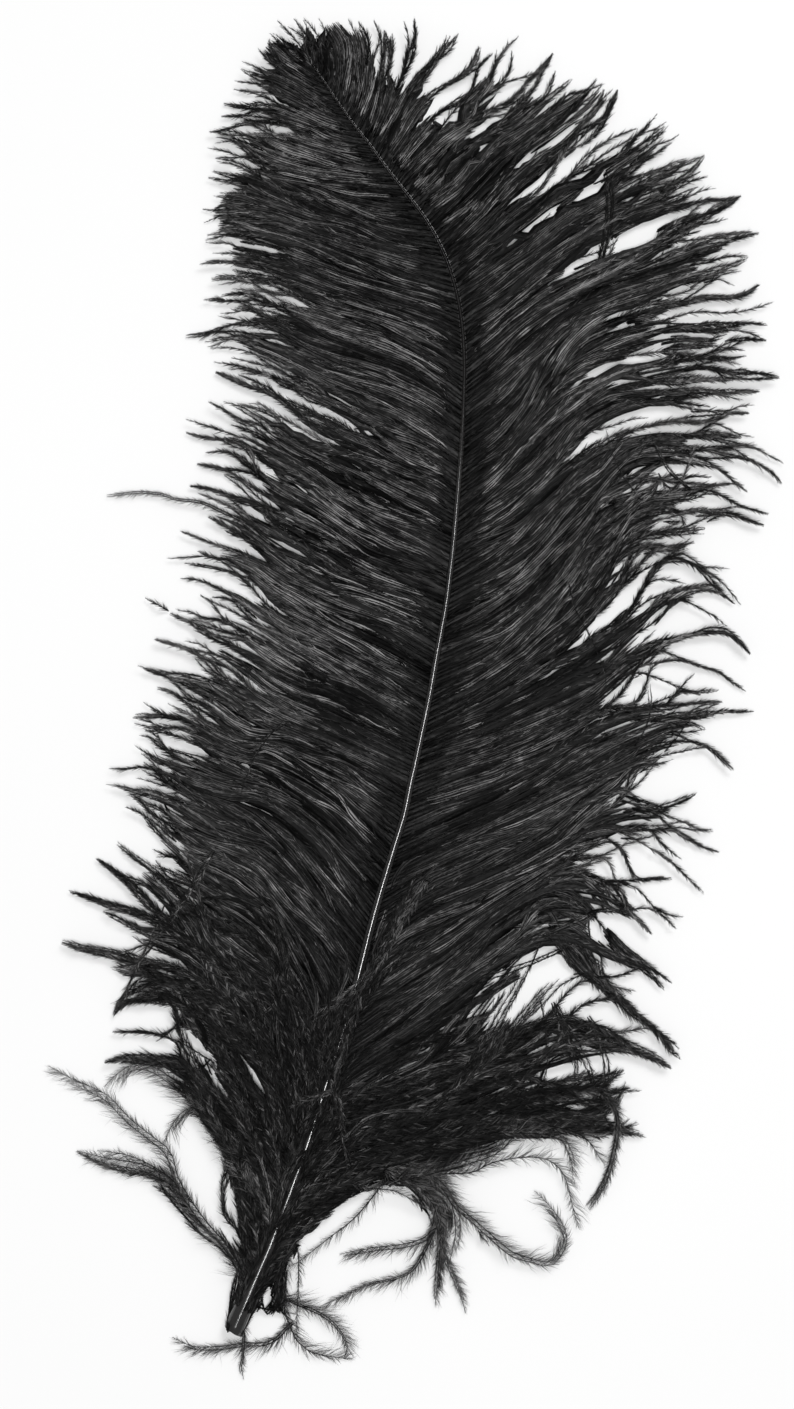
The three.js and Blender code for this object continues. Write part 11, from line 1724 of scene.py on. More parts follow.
    (-19.9,249.4,-16.7,258.3,-15,268.3,-12.9,277.6),
    (66.9,43.8,72.3,51.1,77.6,59.2,83.3,67,89.2,74.6,94.9,82.4,101.2,89.7,107.6,96.1),
    (-34.5,254.9,-42.8,258.6,-51.5,262.8,-60.3,266.9,-69,269.7),
    (-31.6,201,-40.7,203.3,-49.9,207.1,-59,211.3,-68.6,213.7,-78.2,215.9,-87.6,215.2),
    (-24.2,47.8,-32.8,49.2,-40.9,52.3,-48.9,55.9,-56.1,60.7,-63,66.1,-70,71.3,-77.1,76.3),
    (64.9,72.5,70.8,77.9,76,84,80.7,90.4,85.6,96.7,92,102.4,99.3,105.7,106.9,108.3,114.8,108.6,123.5,108.4),
    (24.8,128.1,36.8,136.1,47.8,146.2,59.5,155.5,70.4,165.7,82.8,174,96.7,179.6,110.8,184.5,124.7,188),
    (8.2,-175.9,17.1,-173.6,26.4,-170.7,35.5,-167.6,45,-165.3,54.4,-167.1,63.5,-168.3),
    (-24.9,-139.2,-11.1,-134.1,2.5,-127.2,13.7,-116.8,25.5,-107.2,37,-97.1,49.8,-88.6,62.2,-79.8,76.2,-75.5),
    (42.6,-186.2,51.3,-185.1,60.5,-186.4,69.4,-189.1,76.5,-194),
    (57.6,-97,63,-104.2,68.1,-112.4,75.6,-118.3,84.3,-120.8),
    (45.1,-77.7,52.5,-74.4,59.6,-70.7,66.9,-67.2),
    (69.4,-66.2,73.7,-64.5,79,-63.2),
    (3.1,-225.1,0.8,-215.6,-6,-208.3,-16.1,-208.5,-26.2,-211.4,-35.4,-216.3,-43.2,-223.4,-49.5,-231.8,-55.1,-240.1),
    (-104,-134.3,-109.9,-131.1,-117.5,-130.3),
    (-27,2.7,-35.2,5.6,-43.5,8.1,-51.8,10.9,-59.4,15.1,-66.7,19.8,-73.5,25.2,-80.9,29.7),
    (-45.8,264.8,-53.3,269.8,-62,274,-70.2,277.7),
    (-91.2,-80.1,-97.5,-74.9,-102.8,-68.7,-108.7,-63.1,-114.8,-57.7),
    (27.2,7,33.9,11.3,41.2,16,48.4,20.8,54.2,26.3,61,31.7,68,36.8,74.4,42.6),
    (78.1,46.5,83.2,52.6,87.3,60.2,91.5,67.8,96.1,75.1),
    (76.8,230.7,83.7,234.7,90.5,239.6,96.5,244.8),
    (14.1,240.9,19.1,245.7,25.4,249.7),
    (102.6,186.8,110.6,189.7,119.4,192.3,127.9,193.6),
    (-30.1,249.8,-38,251.9,-46,255.6,-54,259.3,-61.6,262.5),
    (-36.9,145.2,-43,148.1,-49.1,151.1,-55.8,154.2),
    (-65.3,157.8,-71.9,159.2,-78.6,159.9),
    (12,55,1.9,58.6,-8.7,62.3,-19.2,66.2,-28.8,72.2,-38.2,78.4,-47.8,84.2,-57.7,89.7,-66.9,95.1),
    (90.2,212.2,99.1,215.4,108.7,218.6,117.5,222.3),
    (-54.7,55.2,-60.5,58.8,-66.4,63.4,-72.5,67.8),
    (-77.6,71.2,-80.6,72.8,-83.6,74.4),
    (-5.7,100.3,-14.1,103.6,-23.3,106.9,-32.4,109.9,-40.9,113.3),
    (13.7,69.5,5.7,73.3,-3.4,75.7,-12.3,78.6,-21,82.2,-29.5,86.4,-36.9,92.1,-44.3,97.9,-51.7,102.7),
    (-22.2,239.9,-30.3,240.5,-38.5,243.1,-46.6,245.9,-54.4,248.1),
    (-8,153.8,-16.2,157.5,-25.3,160.2,-34.3,163.2,-43.3,166.3,-52.2,169.5,-60.6,172.7),
    (-45.6,10.3,-51.7,13.2,-57.9,17.2,-64.3,21,-70.7,24.8,-77,28.7),
    (37.3,-180,45.6,-176.8,54.2,-172.9,63.5,-172,72.4,-171.3),
    (63,-111.2,69.2,-106,74.7,-99.3,77.7,-91.8),
    (-78.6,-71.4,-86.6,-67.9,-94.4,-63.8,-101.7,-59,-109.4,-54.8),
    (50.4,119.1,55,124.9,60.4,130.1,66.2,134.7,72.8,138.2),
    (65.2,-148.9,75.1,-147.4,85.5,-148.7,94.8,-152.1),
    (11.4,-167.3,20.6,-163.8,29.5,-158.4,39.7,-156.6,48.9,-151.8,57,-145.3,64.3,-138.6),
    (-100.1,-103,-106,-95,-112.6,-86.8,-120.5,-80.6),
    (-86.4,-237.7,-93.4,-230.8,-99.5,-222.4,-104.3,-213.2,-107.4,-203.9),
    (-84,-149.3,-88.7,-142.7,-92.5,-135.7,-92.4,-127.7,-95.4,-120.3,-101.8,-114.8),
    (-103,-114,-107.6,-111.4,-113,-108.7,-118.8,-107.4),
    (69.9,-10.8,75.9,-7.5,83.1,-5.3),
    (87.8,-4.3,91.6,-2.8,96.1,-1),
    (9.7,85.9,2.9,88.6,-3.8,91.5,-10.4,94.6,-16.9,97.9,-24.2,101.2),
    (-36.1,105.6,-42.9,108.1,-49.8,112.1,-56.6,116.3,-63.4,120.5),
    (-52.2,48.4,-59.8,53,-67.8,58.2,-76.6,61.6,-85.4,63.4),
    (-42.5,210.7,-51.9,214.3,-61.9,218.1,-72,221.7,-82,222.9),
    (87.8,208.6,95.2,212.3,103.5,215.1,111.9,217.7,119.7,220.5),
    (-103.9,-171.2,-100,-167.6,-95.6,-163.5),
    (-93.7,-161.7,-91.8,-159.9,-89.3,-157.6),
    (-81.5,-150.4,-75.6,-145,-69.6,-139.7,-62.7,-134.5,-58,-128.9,-58.1,-120.2,-60,-112.7,-64.4,-105.3,-69.9,-99.7,-76.7,-94.4,-83.8,-90.8,-91.7,-87.3),
    (-23.7,78.2,-29.4,81.7,-34.8,85.6,-40,89.8,-45.9,94.2),
    (-48.1,95.8,-51.1,97.1,-54.3,98.2),
    (66.8,-7.9,74.8,-3.5,82.6,2.2,89.7,8.7,97.2,13.8),
    (105.5,32.7,108.1,35.9,111.4,39.4),
    (112.3,40.4,116.6,43.6,121.8,45.5),
    (92.8,-6.8,101.3,-5.6,109.9,-5.4),
    (71.4,68.8,74.2,73.4,77.4,78.5,81,83.4),
    (84.9,85.8,92.4,88.9,100,91.7,107.7,95.9),
    (64.3,-82.4,72.6,-81.9,79.6,-87.2,87.2,-91.9,94.4,-96.2),
    (85.8,55.3,89.9,62,96.8,66.4,104.5,68.2),
    (-36.6,7.3,-44,10.5,-51.2,14,-57.7,18.7,-64.6,22.8,-72.2,27.2),
    (0.5,222.5,6.1,228.5,11.7,234.6),
    (45.6,16.3,53.2,22.8,61.7,29.1,69.7,35.9,77.1,43.4,83.8,51.6,89.3,60.6,95.6,69,104.1,74.1),
    (-48,139,-51,140.4,-54.7,142.2),
    (-58.9,122.8,-63.1,126.3,-67.5,129.4),
    (18.5,206.5,24,211.5,28.9,216.9,33.6,222.7,38.4,228.3,43.9,234.2),
    (17.4,115.5,7.7,124,-4.1,130.4,-16.5,135.6,-29.4,139.5,-42,144.1,-54.1,150.1,-66.3,155.8,-78.6,159.3),
    (-16,43,-24.4,45.5,-33,47.3,-41.1,50.5,-49.3,53.4,-57.4,56.8,-65,61),
    (19.1,260.5,25.3,265.9,30.5,272.3),
    (-9.8,235.4,-4.6,242.3,0.8,249.6,6.4,256.2),
    (104.7,102.9,114.7,104.3,125,102.9),
    (69.7,58,74.2,65.2,79.5,72.5,86.9,77.5,93.9,82.9,99.8,89.7,106.5,94.8),
    (-37,-220.9,-29.4,-216.4,-21,-212.4,-12.5,-208.6,-3.3,-207.4,5.9,-205.9,14.8,-203.2,23.4,-201.7),
    (15.1,175.4,6.7,177.8,-2.1,180.4,-10.9,183.2,-19.2,187.2,-26.9,192.3,-35.3,196,-44,199.3,-52.3,201.9),
    (-59.1,218.9,-66.4,221.1,-74,224.3,-81.3,226.7),
    (-38.6,54.7,-44.9,57.2,-51,59.8,-57,62.9),
    (-60.3,65.1,-65.7,69.1,-71.5,73.7,-76.7,78,-82.9,81.9),
    (-59.5,-127.8,-68.2,-123.7,-76.1,-117.4,-84.5,-111.6,-91.3,-104.2,-95.4,-94.9,-100.7,-86.2,-108.6,-79.9,-116.1,-73.9),
    (36.5,-11.7,45.1,-7.7,54,-3.2,63.1,1.1,72.3,5,81.3,9.5,89.2,15.6,97.5,21.1,105.4,26.4),
    (31,249.6,38.4,253.6,45.4,259,51.9,264.3),
    (-101.9,-144.3,-103.5,-140.4,-105,-136.5),
    (71.6,184.2,79.5,187.3,88,190.3,96.5,193.5,104.3,198.1,112.1,202.8,120,207.2,127.8,210.5),
    (-29.8,77.2,-36.2,82,-43.5,86.8,-50.3,91,-57.9,95.3,-65.5,99.5),
    (-14,228.8,-23.1,229.6,-32.8,231.1,-42.4,232.6,-51.9,234.9,-61.2,237.8,-70.2,241.4,-78.2,245.8),
    (-51.3,210.8,-59.7,214,-68.8,216.7,-78,218.7,-86.7,217.1),
    (-91.7,-117.4,-97.2,-110.2,-104.4,-104.2,-113.6,-103.5,-119.1,-110.5),
    (85,133.4,93,135.2,101.2,135.6,109.4,135.8,117.6,135.7),
    (76.3,-171.3,80.2,-169.4,83.7,-166.8),
    (-30.7,35.9,-39.9,39.4,-49,44.5,-58.2,49.2,-66.7,55.3,-74.8,60.8),
    (92,186.2,100.3,188.6,108.8,191.9,117.3,195.3,126,198.1,134.2,200.7),
    (-46.4,-19.9,-54.5,-16.9,-63.6,-16.5,-72.5,-15.2,-80.4,-10.3,-87.9,-4.9,-95.1,0),
    (-61.3,-84.5,-67.2,-79,-73.8,-74.6,-81.1,-71.2,-88.8,-68.9,-96.3,-66.7,-103.1,-62.4,-110.1,-57.2),
    (44.9,-95,52.1,-87.8,62.3,-85.4,72,-89.7,78.9,-97),
    (-18.1,246.5,-14.4,255.1,-11.1,264.3,-8.2,273.2),
    (-21.3,206.4,-30.6,209.4,-40.6,211.9,-49.7,216.7,-57.7,223.1,-66.5,228.6,-75.2,233),
    (-13.6,-212.3,-6.4,-206.5,2.8,-203.2,12.2,-200.3,21.7,-198,31.4,-196.2,39.7,-192.1),
    (-90.3,-48.7,-96.9,-44.5,-104.3,-40.3,-111,-36.1),
    (86.6,206.4,94.5,209.9,102.7,213,111.2,215,119.8,216.7),
    (-3.5,-209.7,7.3,-213.4,15.8,-220.5),
    (86.8,-79.2,91,-80.1,95.1,-81.8),
    (-83.6,-181.3,-90.5,-175.1,-97.5,-168.3,-102.6,-160,-111.2,-157.2),
    (-4.9,-208,4.3,-208,14,-206.6,23.2,-204.9),
    (-50.4,195.9,-58.7,198.4,-67.5,200.8,-76.4,202.9,-84.9,204.2),
    (55.9,113,61.4,118.8,67.7,123.7,74.3,128.3,81.3,133.4,88.2,137.2,96,139.1,103.9,140.5,112.4,141.8),
    (-97.2,-123.8,-105.9,-118.9,-116.4,-118,-124.6,-123.2),
    (-30.7,233.5,-38.5,235.7,-46,238.6,-53.7,241.2,-61.3,244.1,-68.5,247.7),
    (63.6,215.2,68.9,219.6,74.2,223.9),
    (-103.3,-121.7,-112.1,-121.8,-121.4,-121.1,-130.1,-119.6),
    (28.7,-117.5,36.7,-112.9,44.2,-106.4,53,-102.6,61.9,-106.2,69,-113.1,75.7,-120.2,83.6,-126,91.5,-130.8),
    (54.6,-27.4,63.2,-22.9,71.5,-17,80.3,-11.9,89.1,-7.9),
    (-18.5,225.3,-27.2,225.8,-35.9,226.6,-44.5,228.3,-53,230.5,-61.5,232.3),
    (-66.8,233.3,-70.3,235.3,-74.4,237.6),
    (5.7,-237.7,8.5,-227.2,4.5,-216.8,-4.2,-209.4,-15.3,-206.9,-26.8,-207.8,-38.1,-209.9,-48,-215.8,-54.2,-224.2),
    (-12.5,46.4,-19.3,49.2,-26.7,52.2,-33.8,55.8,-40.5,60.1,-47.6,63.8),
    (-61.1,71.1,-68,75,-74.8,79.3),
    (-20.8,94.9,-27.9,98.8,-35.7,102.8,-42.9,106.5,-50.7,110.5,-57.8,114.4,-65.3,119),
    (16,169.2,8,172.4,-0.8,174.9,-9.5,177.7,-18.3,180.3,-27,182.9,-35.2,185.7),
    (32.9,34.4,40.6,38.2,48.3,43.1,55.4,49,61.8,55.5,67.3,62.1),
    (-49,53.7,-54.8,57.1,-60.3,61,-65.5,65.3,-70.6,69.7),
    (-74.3,-30.6,-82.7,-26.2,-91.6,-21.5,-100.6,-18.4),
    (-76.8,-6.5,-80.4,-2.5,-85.2,1.2),
    (-99,6.8,-102.3,7.8,-105.5,8.8),
    (-73.7,-192.2,-78.4,-186.4,-83.6,-180.2,-87.8,-174.1,-91.3,-166.8,-94.5,-160.1,-97.9,-152.7),
    (-22.3,252.7,-19.3,260.5,-16.8,269.1,-15.4,277.3),
    (75.6,150.1,84.9,153.8,94.8,157.6,104.3,160.7),
    (26.2,-10.7,39,-5.6,52.4,-0.6,65.7,4.8,78.2,11.7,88.7,21.5,98.6,31.8,109.2,41.5,120.8,48.8),
    (-33,7.7,-41.1,10.9,-49.4,15.4,-57.7,19.7,-65.7,24.6,-73.7,29.4,-81.6,33.4),
    (66.3,24.8,72.5,31,78.7,37.9,85.2,44.5,91.2,51.6,96.7,58.4),
    (-15.1,33.8,-24,36.2,-33.4,38.7,-42.5,42.2,-50.8,47.3,-59.6,51.4,-67.4,57.3,-76,61.9,-84.8,64.4),
    (39.4,115.7,45.6,123,50.9,131.6,55.6,140.6,60.6,149.4,66.7,157.5,73.8,164.8,81.6,170.2),
    (46,14,52.3,17.8,58.7,21.6,65.3,26.2),
    (71.3,31.6,76.8,37.4,82.6,44,88.2,50.7),
    (90.5,54,92.3,56.8,94.1,59.6),
    (87.7,-88.5,92,-90.8,96.8,-92.1),
    (-9.6,34.5,-17.3,36.9,-25.5,39.7,-33.6,43,-41.5,46.5,-48.9,49.8,-57,52.9,-64.5,57.3,-72.2,61.4,-80.3,64.7),
    (109.6,153.4,119.6,154.1,129.5,154.9),
    (66.3,-63.5,72.2,-58.9,79.1,-54.7,86,-51.8,94,-50.5),
    (64,-32.9,71.4,-27.9,79.7,-23.2,88.1,-18.7,96.6,-14.6,105.7,-11.7,114.3,-9.2),
    (31.3,-184.7,39,-180.2,47.9,-176.7,54,-169.9,57.3,-161,64.6,-155.5,73,-152.5),
    (-42.6,153.8,-51.9,159.1,-61.9,164.2,-72.4,166.1),
    (9.1,-161.5,17.8,-159.4,26.4,-155.2,34,-149.4,42.6,-145.3,50.8,-141.7),
    (-11.9,167,-19.7,169.1,-28.2,171.1,-36.6,173.8,-44.6,177.2),
    (-48.9,179.2,-54.6,181.4,-60.9,183.6,-67.4,185.5),
    (14.9,106.7,8.3,111.3,1.1,114.9,-6.2,118.4,-13.4,121.8,-20.8,125.1,-28.1,128.6),
    (-37.3,132.6,-40.3,133.9,-43.4,135.3),
    (-77.6,-55.9,-86.2,-53.5,-94.9,-49.4,-104,-46.5,-112.8,-42.9,-121.6,-40.9),
    (30.3,84.8,37.9,90,45.9,95.6,53.3,101.9,59.7,109.3,65.4,117.2,72.4,123.9,80.9,128.7,89,133.1),
    (41.1,257.1,45.9,260.9,50.5,265),
    (-37.6,190.7,-46.5,194.5,-56,198.3,-65.8,201.7,-75.7,204.2,-85.2,205.8),
    (35.8,216.5,40.3,221.4,45.1,226.1,50.2,230.5),
    (55.8,235.2,61.6,239.8,67.2,244.6,72.1,250.1),
    (21.6,178.3,28,182,34.4,186.8,40.1,192.5,46,197.9,52.2,203,58.3,208.3),
    (21.5,258.8,28.2,265.3,34.7,271.9),
    (26.1,-160.8,34.3,-159.2,43,-157.4,50.6,-152.6,58.5,-150),
    (3.1,148.2,-4.9,151.5,-13.3,155.1,-22,157.9,-30.8,160.3,-39.3,163.6,-47.3,166.9),
    (27.9,-158.5,36.3,-155.3,44.7,-150.9,52.3,-144.9,58,-137.9),
    (83.8,157,90.6,160,97.7,162,105.6,163.7),
    (112.3,164.2,119.1,164.2,125.8,164.6),
    (-26.4,17.1,-33.9,21.1,-42.5,24.3,-51.3,26.7,-59,31.5,-66.2,37.1,-73.6,42.5,-80.9,47.1),
    (-71.4,-203.7,-75.8,-195.3,-82.9,-188.3,-90.6,-182,-99.7,-182.2),
    (96.9,188.9,105.6,192.1,114.5,196.2,123.9,199.4,132.8,202.1),
    (14,22.8,22.8,25,31.6,28.7,40,33.3,48,38.6,55.1,45.1,61.3,52.4,66.8,60.2,72.3,67.4),
    (96.5,-47.7,104,-48.2,111.3,-49.8),
    (6.4,-21.9,15.8,-18.1,25.7,-14.2,35.5,-10.2,45.2,-5.9,54.9,-1.4,64.5,3.1,74.1,7.7,82.4,13.4),
    (5.3,100.9,-2.8,104.3,-10.1,109.1,-17.8,113.2,-25.8,116.9,-33.8,120.3),
    (91,87.5,95,90.4,98.7,93.6),
    (-0.3,187.6,-9.5,191,-19.4,194.1,-29.4,197,-39.1,200.6,-49.1,203.4,-59,206.3,-69.2,208.2,-78.7,210.5),
    (-77.4,-0.6,-85.5,5.6,-95.8,8.8,-105.9,10.7),
    (-16,244.5,-11,253.4,-6,262.9,-0.5,272.1,6,279.9),
    (74.2,-2.8,81,2.1,87.5,8.4,94.7,13.9,102.4,18.6,110.3,21.3),
    (41.8,150.3,50.5,157.5,58.9,165.9,69,172.1,79.9,176.8,90.7,181.6,102.2,184.6,113.8,187.1,124.7,190.2),
    (0,48.1,-7.6,50.6,-15.8,53.7,-23.5,57.7,-31.1,61.9,-38.9,65.6,-47.1,68.7),
    (-48.3,69.2,-52.1,70.5,-56.4,72.4),
    (-91.9,-115.8,-94.9,-108.3,-98.1,-100.8,-102.8,-94.3,-107.7,-88,-111.7,-81),
    (-1.5,-17.3,-8.9,-14.2,-16.1,-10.7,-23.2,-6.8,-30.3,-3.1,-38.4,0,-46.2,1.9,-53.7,4.7,-60.9,8.3,-68.3,12.9),
    (-6.6,97.6,-14.3,101.5,-22.4,104.7,-30.8,107,-39.1,109.5,-46.9,113.1,-54.6,117.2,-62.3,122.4),
    (74.3,-58,79.5,-56,85.4,-54.2,91.5,-53.4),
    (83.8,232.4,89,235.6,94,239.1,98.9,242.7),
    (88.5,187.7,97.5,190.8,105.9,196.3,114.4,200.6),
    (50.6,185.5,57.4,191.9,65.5,197.5,73.8,202.7,82.4,207.5,91.4,211.5,100.5,215.4,109.9,218.3,118.5,221.7),
    (6.7,25.9,-0.9,28.3,-9,31.5,-16.9,35,-25.1,37.7,-33.4,40.4,-40.9,43.1,-48.5,47.3,-56.2,51.3,-63.8,55.4,-71.1,60,-79.1,63.2),
    (33.3,-77.7,41.8,-73.3,50.8,-68.7,59.6,-63.8,66.9,-56.8,74.4,-49.9,82,-43.2,90.3,-38.5),
    (85.5,220.8,88.3,222.8,91.1,224.9),
    (75.6,207.1,83.1,211.1,91.3,214.7,99.8,217.7,108.1,221.1,115.7,224.8),
    (40.4,159.6,46.7,164.6,53.4,169.1,60.9,173.4,68.1,177,75.3,180.6,82.8,185),
    (89.3,188.5,94.3,190.4,100,192.3),
    (-28.4,-23.8,-36,-21.5,-43.9,-18,-51.8,-14.4,-59.8,-11.2,-67.9,-8,-75.4,-3.8,-81.8,2),
    (-83.1,3.4,-87.4,6.4,-92.3,8.6),
    (-33.5,268.2,-33,277.8,-34,287.7,-38.7,295.9),
    (-0.8,87.7,-7.4,91,-14.6,94.7,-21.1,98,-28.4,101.4),
    (-29.7,101.9,-37.1,105.1,-44.4,108.4,-51.4,112.4,-58.2,116.7,-65.7,121.2),
    (3.8,97.5,-5.4,101.1,-14.3,106.5,-23.8,110.9,-33.4,114.8,-42.6,119.8,-51.1,124.9),
    (-11,237.8,-4.9,246.6,1.1,256.1,8.2,264.1),
    (-73.4,-258.7,-75.6,-249.6,-81.2,-241.2,-86.7,-233.4),
    (31.2,38.3,39.8,43.6,48.3,50.1,55.7,57.7,63,65.4,70.8,72.7,77.3,81,82.5,90.3,89.6,97.4),
    (-8.2,-207.3,0.7,-205.2,9.9,-202.2,19.4,-200.3,28.9,-198.5,37.5,-195.4),
    (7.6,130,-1.4,134,-11.1,137.8,-21.1,140.5,-31.1,143.2,-41,146.2,-50.5,150.5,-59.9,154.9,-69,158.6),
    (27.4,0.9,35.7,6.2,43.9,12.7,52.3,18.9,61,24.7,69.2,31.1,76.5,37.8),
    (7.8,197,-3.3,198,-14.4,201.1,-24.6,206.6,-35.6,210.1,-47,212.6,-57.8,216.9,-68.9,220.1,-79.1,224.2),
    (-64.1,-90.7,-70.5,-85.8,-76.7,-80.8,-83.6,-76.6,-90.8,-73.1,-98,-69.5,-104.6,-65,-110.6,-59.7,-116.6,-54.3),
    (24.2,167.4,32.6,172.6,41.2,178.5,49.4,185.1,57.2,192.1,65.3,198.6,74.1,204.4,83.2,209.5,92.3,213.3),
    (-31.2,99,-38.3,102.9,-45.5,106.4,-53.3,110.3,-60.3,114.5,-67.5,119.4),
    (-61.2,-122.5,-67.3,-118.4,-74.2,-114.2,-80.4,-110.2,-86.3,-104.9,-90.1,-98.6,-94,-91.6,-98.8,-85.2),
    (-102.4,-82.3,-109.2,-79.5,-115.7,-74.8),
    (8.1,113.4,1.9,117.3,-4.4,121,-10.7,124.8,-17.4,127.8,-24.6,131.1),
    (-29.9,133.9,-36.9,137.7,-44.5,142,-52.2,145.7,-59.5,149.1,-67.5,152.4,-75.6,155.4),
    (-2.8,63.4,-11.4,66.8,-20,71.3,-28.9,75.3,-36.8,81,-44.6,86.8,-53.3,91.3,-62,95.7,-69.2,101.5),
    (-75.4,-251.4,-80.5,-244.7,-86.5,-237.9,-93.3,-232,-100.1,-226,-106,-219.3,-112.3,-213.6),
    (57.6,-185.1,65.6,-186.4,74,-187.8,82.6,-187.6,90.2,-190.1),
    (43.9,-153.7,51.2,-148.7,58.6,-142.9,67.7,-141.1,77.1,-142.1,85.6,-144.6),
    (-20.2,-20.5,-28,-16.7,-36.7,-13.6,-45.4,-10.3,-53.8,-6.5,-62,-2.3,-70,2.4,-76.4,8.3),
    (-76.1,-36.4,-84.9,-33.9,-93.8,-30.3,-102.3,-25.7,-110.4,-21.6),
    (-33.4,190.1,-41.4,194.1,-49.9,198.3,-58.7,201.7,-67.9,204.3,-76.8,207.5,-85.3,210.1),
    (81.3,-32.9,90.3,-28.6,98.8,-22.4,108.3,-17.8,117.5,-14.4),
    (-15,175.5,-23.8,178.4,-33.1,181.4,-41.9,185.5,-50.9,189.2,-60.4,191.1,-70,193.1,-79.1,194.6),
    (68.7,-55.3,74.6,-50.8,80.6,-46.3,87.2,-44.4),
    (88.5,-44.6,94.6,-45.5,100.6,-46.4,106.7,-46.2),
    (27.6,261.2,32.3,265.1,37.4,268.5),
    (-33.7,10,-42,14.8,-50.9,19.7,-59.6,24.8,-68,30.4,-76.2,35.5),
    (51.3,5.1,60.1,9.2,69.8,12.8,78.8,17.8,87.1,23.8,94.8,30.7,102.7,37.2,110.3,44.1,118.5,49.3),
    (-6.8,120.5,-14.7,124.3,-22.6,128.2,-30.2,132.4,-37.9,136.7),
    (15.3,236.8,20.2,241.5,25.5,245.8),
    (32.5,96.1,39.1,102.8,45.5,110.6,52.9,117.3,59.7,124.7,67.4,131,75.5,137,84.6,141,93.6,144),
    (-73.6,-39.1,-81.6,-37.7,-89.9,-35,-97.3,-31.7,-105.3,-28.1,-113.4,-24.5),
    (32.7,246.8,39.7,249.5,46.5,252.6,53.4,257),
    (28.5,-195.4,37.9,-191.6,48.1,-188.6,58.7,-190.4,68.3,-193.5),
    (19.9,220.3,26.9,227.3,34.3,234.6,42.8,240.7,51.1,247,59.1,253.7,67.2,259.4),
    (-62.6,-187.5,-63.5,-181.6,-64.4,-174.9,-66.9,-168.7),
    (-69.2,-163.2,-74,-157.6,-79.3,-151.7,-84.3,-145.4,-89.1,-139,-93.7,-132.4,-96,-124.8,-98.3,-117.3,-104.7,-112.6,-111.7,-108.8,-119.2,-106.1),
    (-118.5,-114.4,-123.9,-114.1,-129.2,-113),
    (31.5,248.7,40.4,252.7,48.9,258.5,55.6,265.6),
    (58.8,136.2,62.6,143.6,67.3,151.1,73.3,157.6,80.3,163,87.7,166.8),
    (39.1,-17.2,48.5,-13.3,58.4,-9.3,67.5,-3.8,76.5,2.1,84.6,9.2,92.9,15.9,102.1,21.4,111.3,25.6),
    (15.1,157.3,8.1,161.2,0.9,164.6,-6.6,167.4,-14.2,170.1,-21.8,172.7,-29.3,175.4,-36.9,178.1,-44.4,180.9,-52.5,184.1),
    (-63.8,188.2,-71.5,190.3,-80,191.9),
    (17.9,130.7,10,138.1,0.8,144.6,-9.4,149.6,-20.1,153.3,-30.8,157.2,-41.3,161.5,-51.1,167.1,-60.9,171.6),
    (15.9,172.1,8.3,174.6,0.6,176.9,-7.1,179.1,-14.8,181.4,-22.4,183.7,-30.1,186.1,-37.6,188.9,-45.1,191.7,-52.7,194.1,-60.4,196.5),
    (-40.1,2.7,-49.3,6.2,-58.8,10.5,-67.8,15.7,-76,22,-84.5,27.1),
    (4.5,202.5,-5.7,203.5,-16,206.7,-25.9,211.2,-35.8,215.4,-45.4,220.5,-55.1,225.3,-64.9,229.6,-74.4,233.5),
    (58,137.2,61.3,143.8,65,150.2,69.5,156,74.7,161.1,80.6,165.5,86.9,169.4),
    (74.2,211.2,79.6,214,84.9,216.9,90.9,220.2),
    (101.5,224.4,108,226.5,114.5,228.3),
    (96.4,232.4,100.5,235.9,104.9,239),
    (-20.9,16.8,-27.4,20.3,-33.9,23.5,-41.2,26.9,-47.8,30.1,-55,33.6,-61.5,37.1,-68.2,41.5),
    (26.9,178.2,34.3,183.9,42.3,189.6,50.4,195.2,58,201.5,65.4,208,73.7,213.3,82.3,218,90.2,222.9),
    (-34.2,268.9,-33.8,277.9,-35.5,287.3,-39.2,295.6),
    (-26.2,-209.6,-29.1,-200.6,-31.5,-190.9,-33.7,-181,-35.3,-171.2,-33.9,-161.3,-31,-151.7,-28.3,-142,-25.6,-132.9),
    (37.8,15.9,44.7,21.9,51.7,28.5,58.3,35.6,64.5,43,70.3,50.7,75.5,58.8,79.7,66.9),
    (-17,245.6,-12.6,254.1,-8.5,263.3,-4.8,272.1),
    (24.6,58.1,34.7,62.7,44.4,69.2,52,78,59.9,86.7,67.1,95.9,75.1,104.4,84.9,110.8,94.2,116.9),
    (-32.4,-100.2,-36.1,-93.2,-40.4,-85.7,-45.2,-78.4,-50.3,-71.5,-55.3,-65.2,-61.3,-59,-67.6,-53.2,-74.9,-48.5,-82,-45.1,-90.3,-42.6,-98,-38.7,-105.3,-34.1),
    (-32.3,-183,-28.9,-175.8,-23.2,-169.7,-16.5,-165.4,-8.8,-161.4,-1.6,-158,6.4,-154.9,12.2,-148.6,17.2,-142.4,22.8,-135.7,28.6,-130.3,35.4,-125,42.8,-120.6),
    (-15.3,-70.9,-26,-63.8,-35.9,-54.7,-46.9,-47,-59.2,-41.6,-71.7,-36.8,-85,-35.3,-97.7,-31,-109.5,-25.7),
    (-63.5,-258.9,-60.9,-251.7,-56.6,-244.8,-51.2,-239.4),
    (-3.5,-27.3,-12.3,-23,-21.6,-18.6,-30.3,-13.1,-40,-9.8,-49.7,-6.4,-58.4,-1.9),
    (68,207.1,73.9,210.3,80.6,213.5,87.3,216.5,94.2,219.1),
    (98.6,220.8,104.2,223,109.9,225.2,115.5,227.4),
    (-2.4,-23.8,-11.1,-19.1,-20.5,-14.4,-29.7,-9.5,-39.7,-6.4,-49.6,-2.8,-59.1,1.4,-68.6,5.9,-76,12.5),
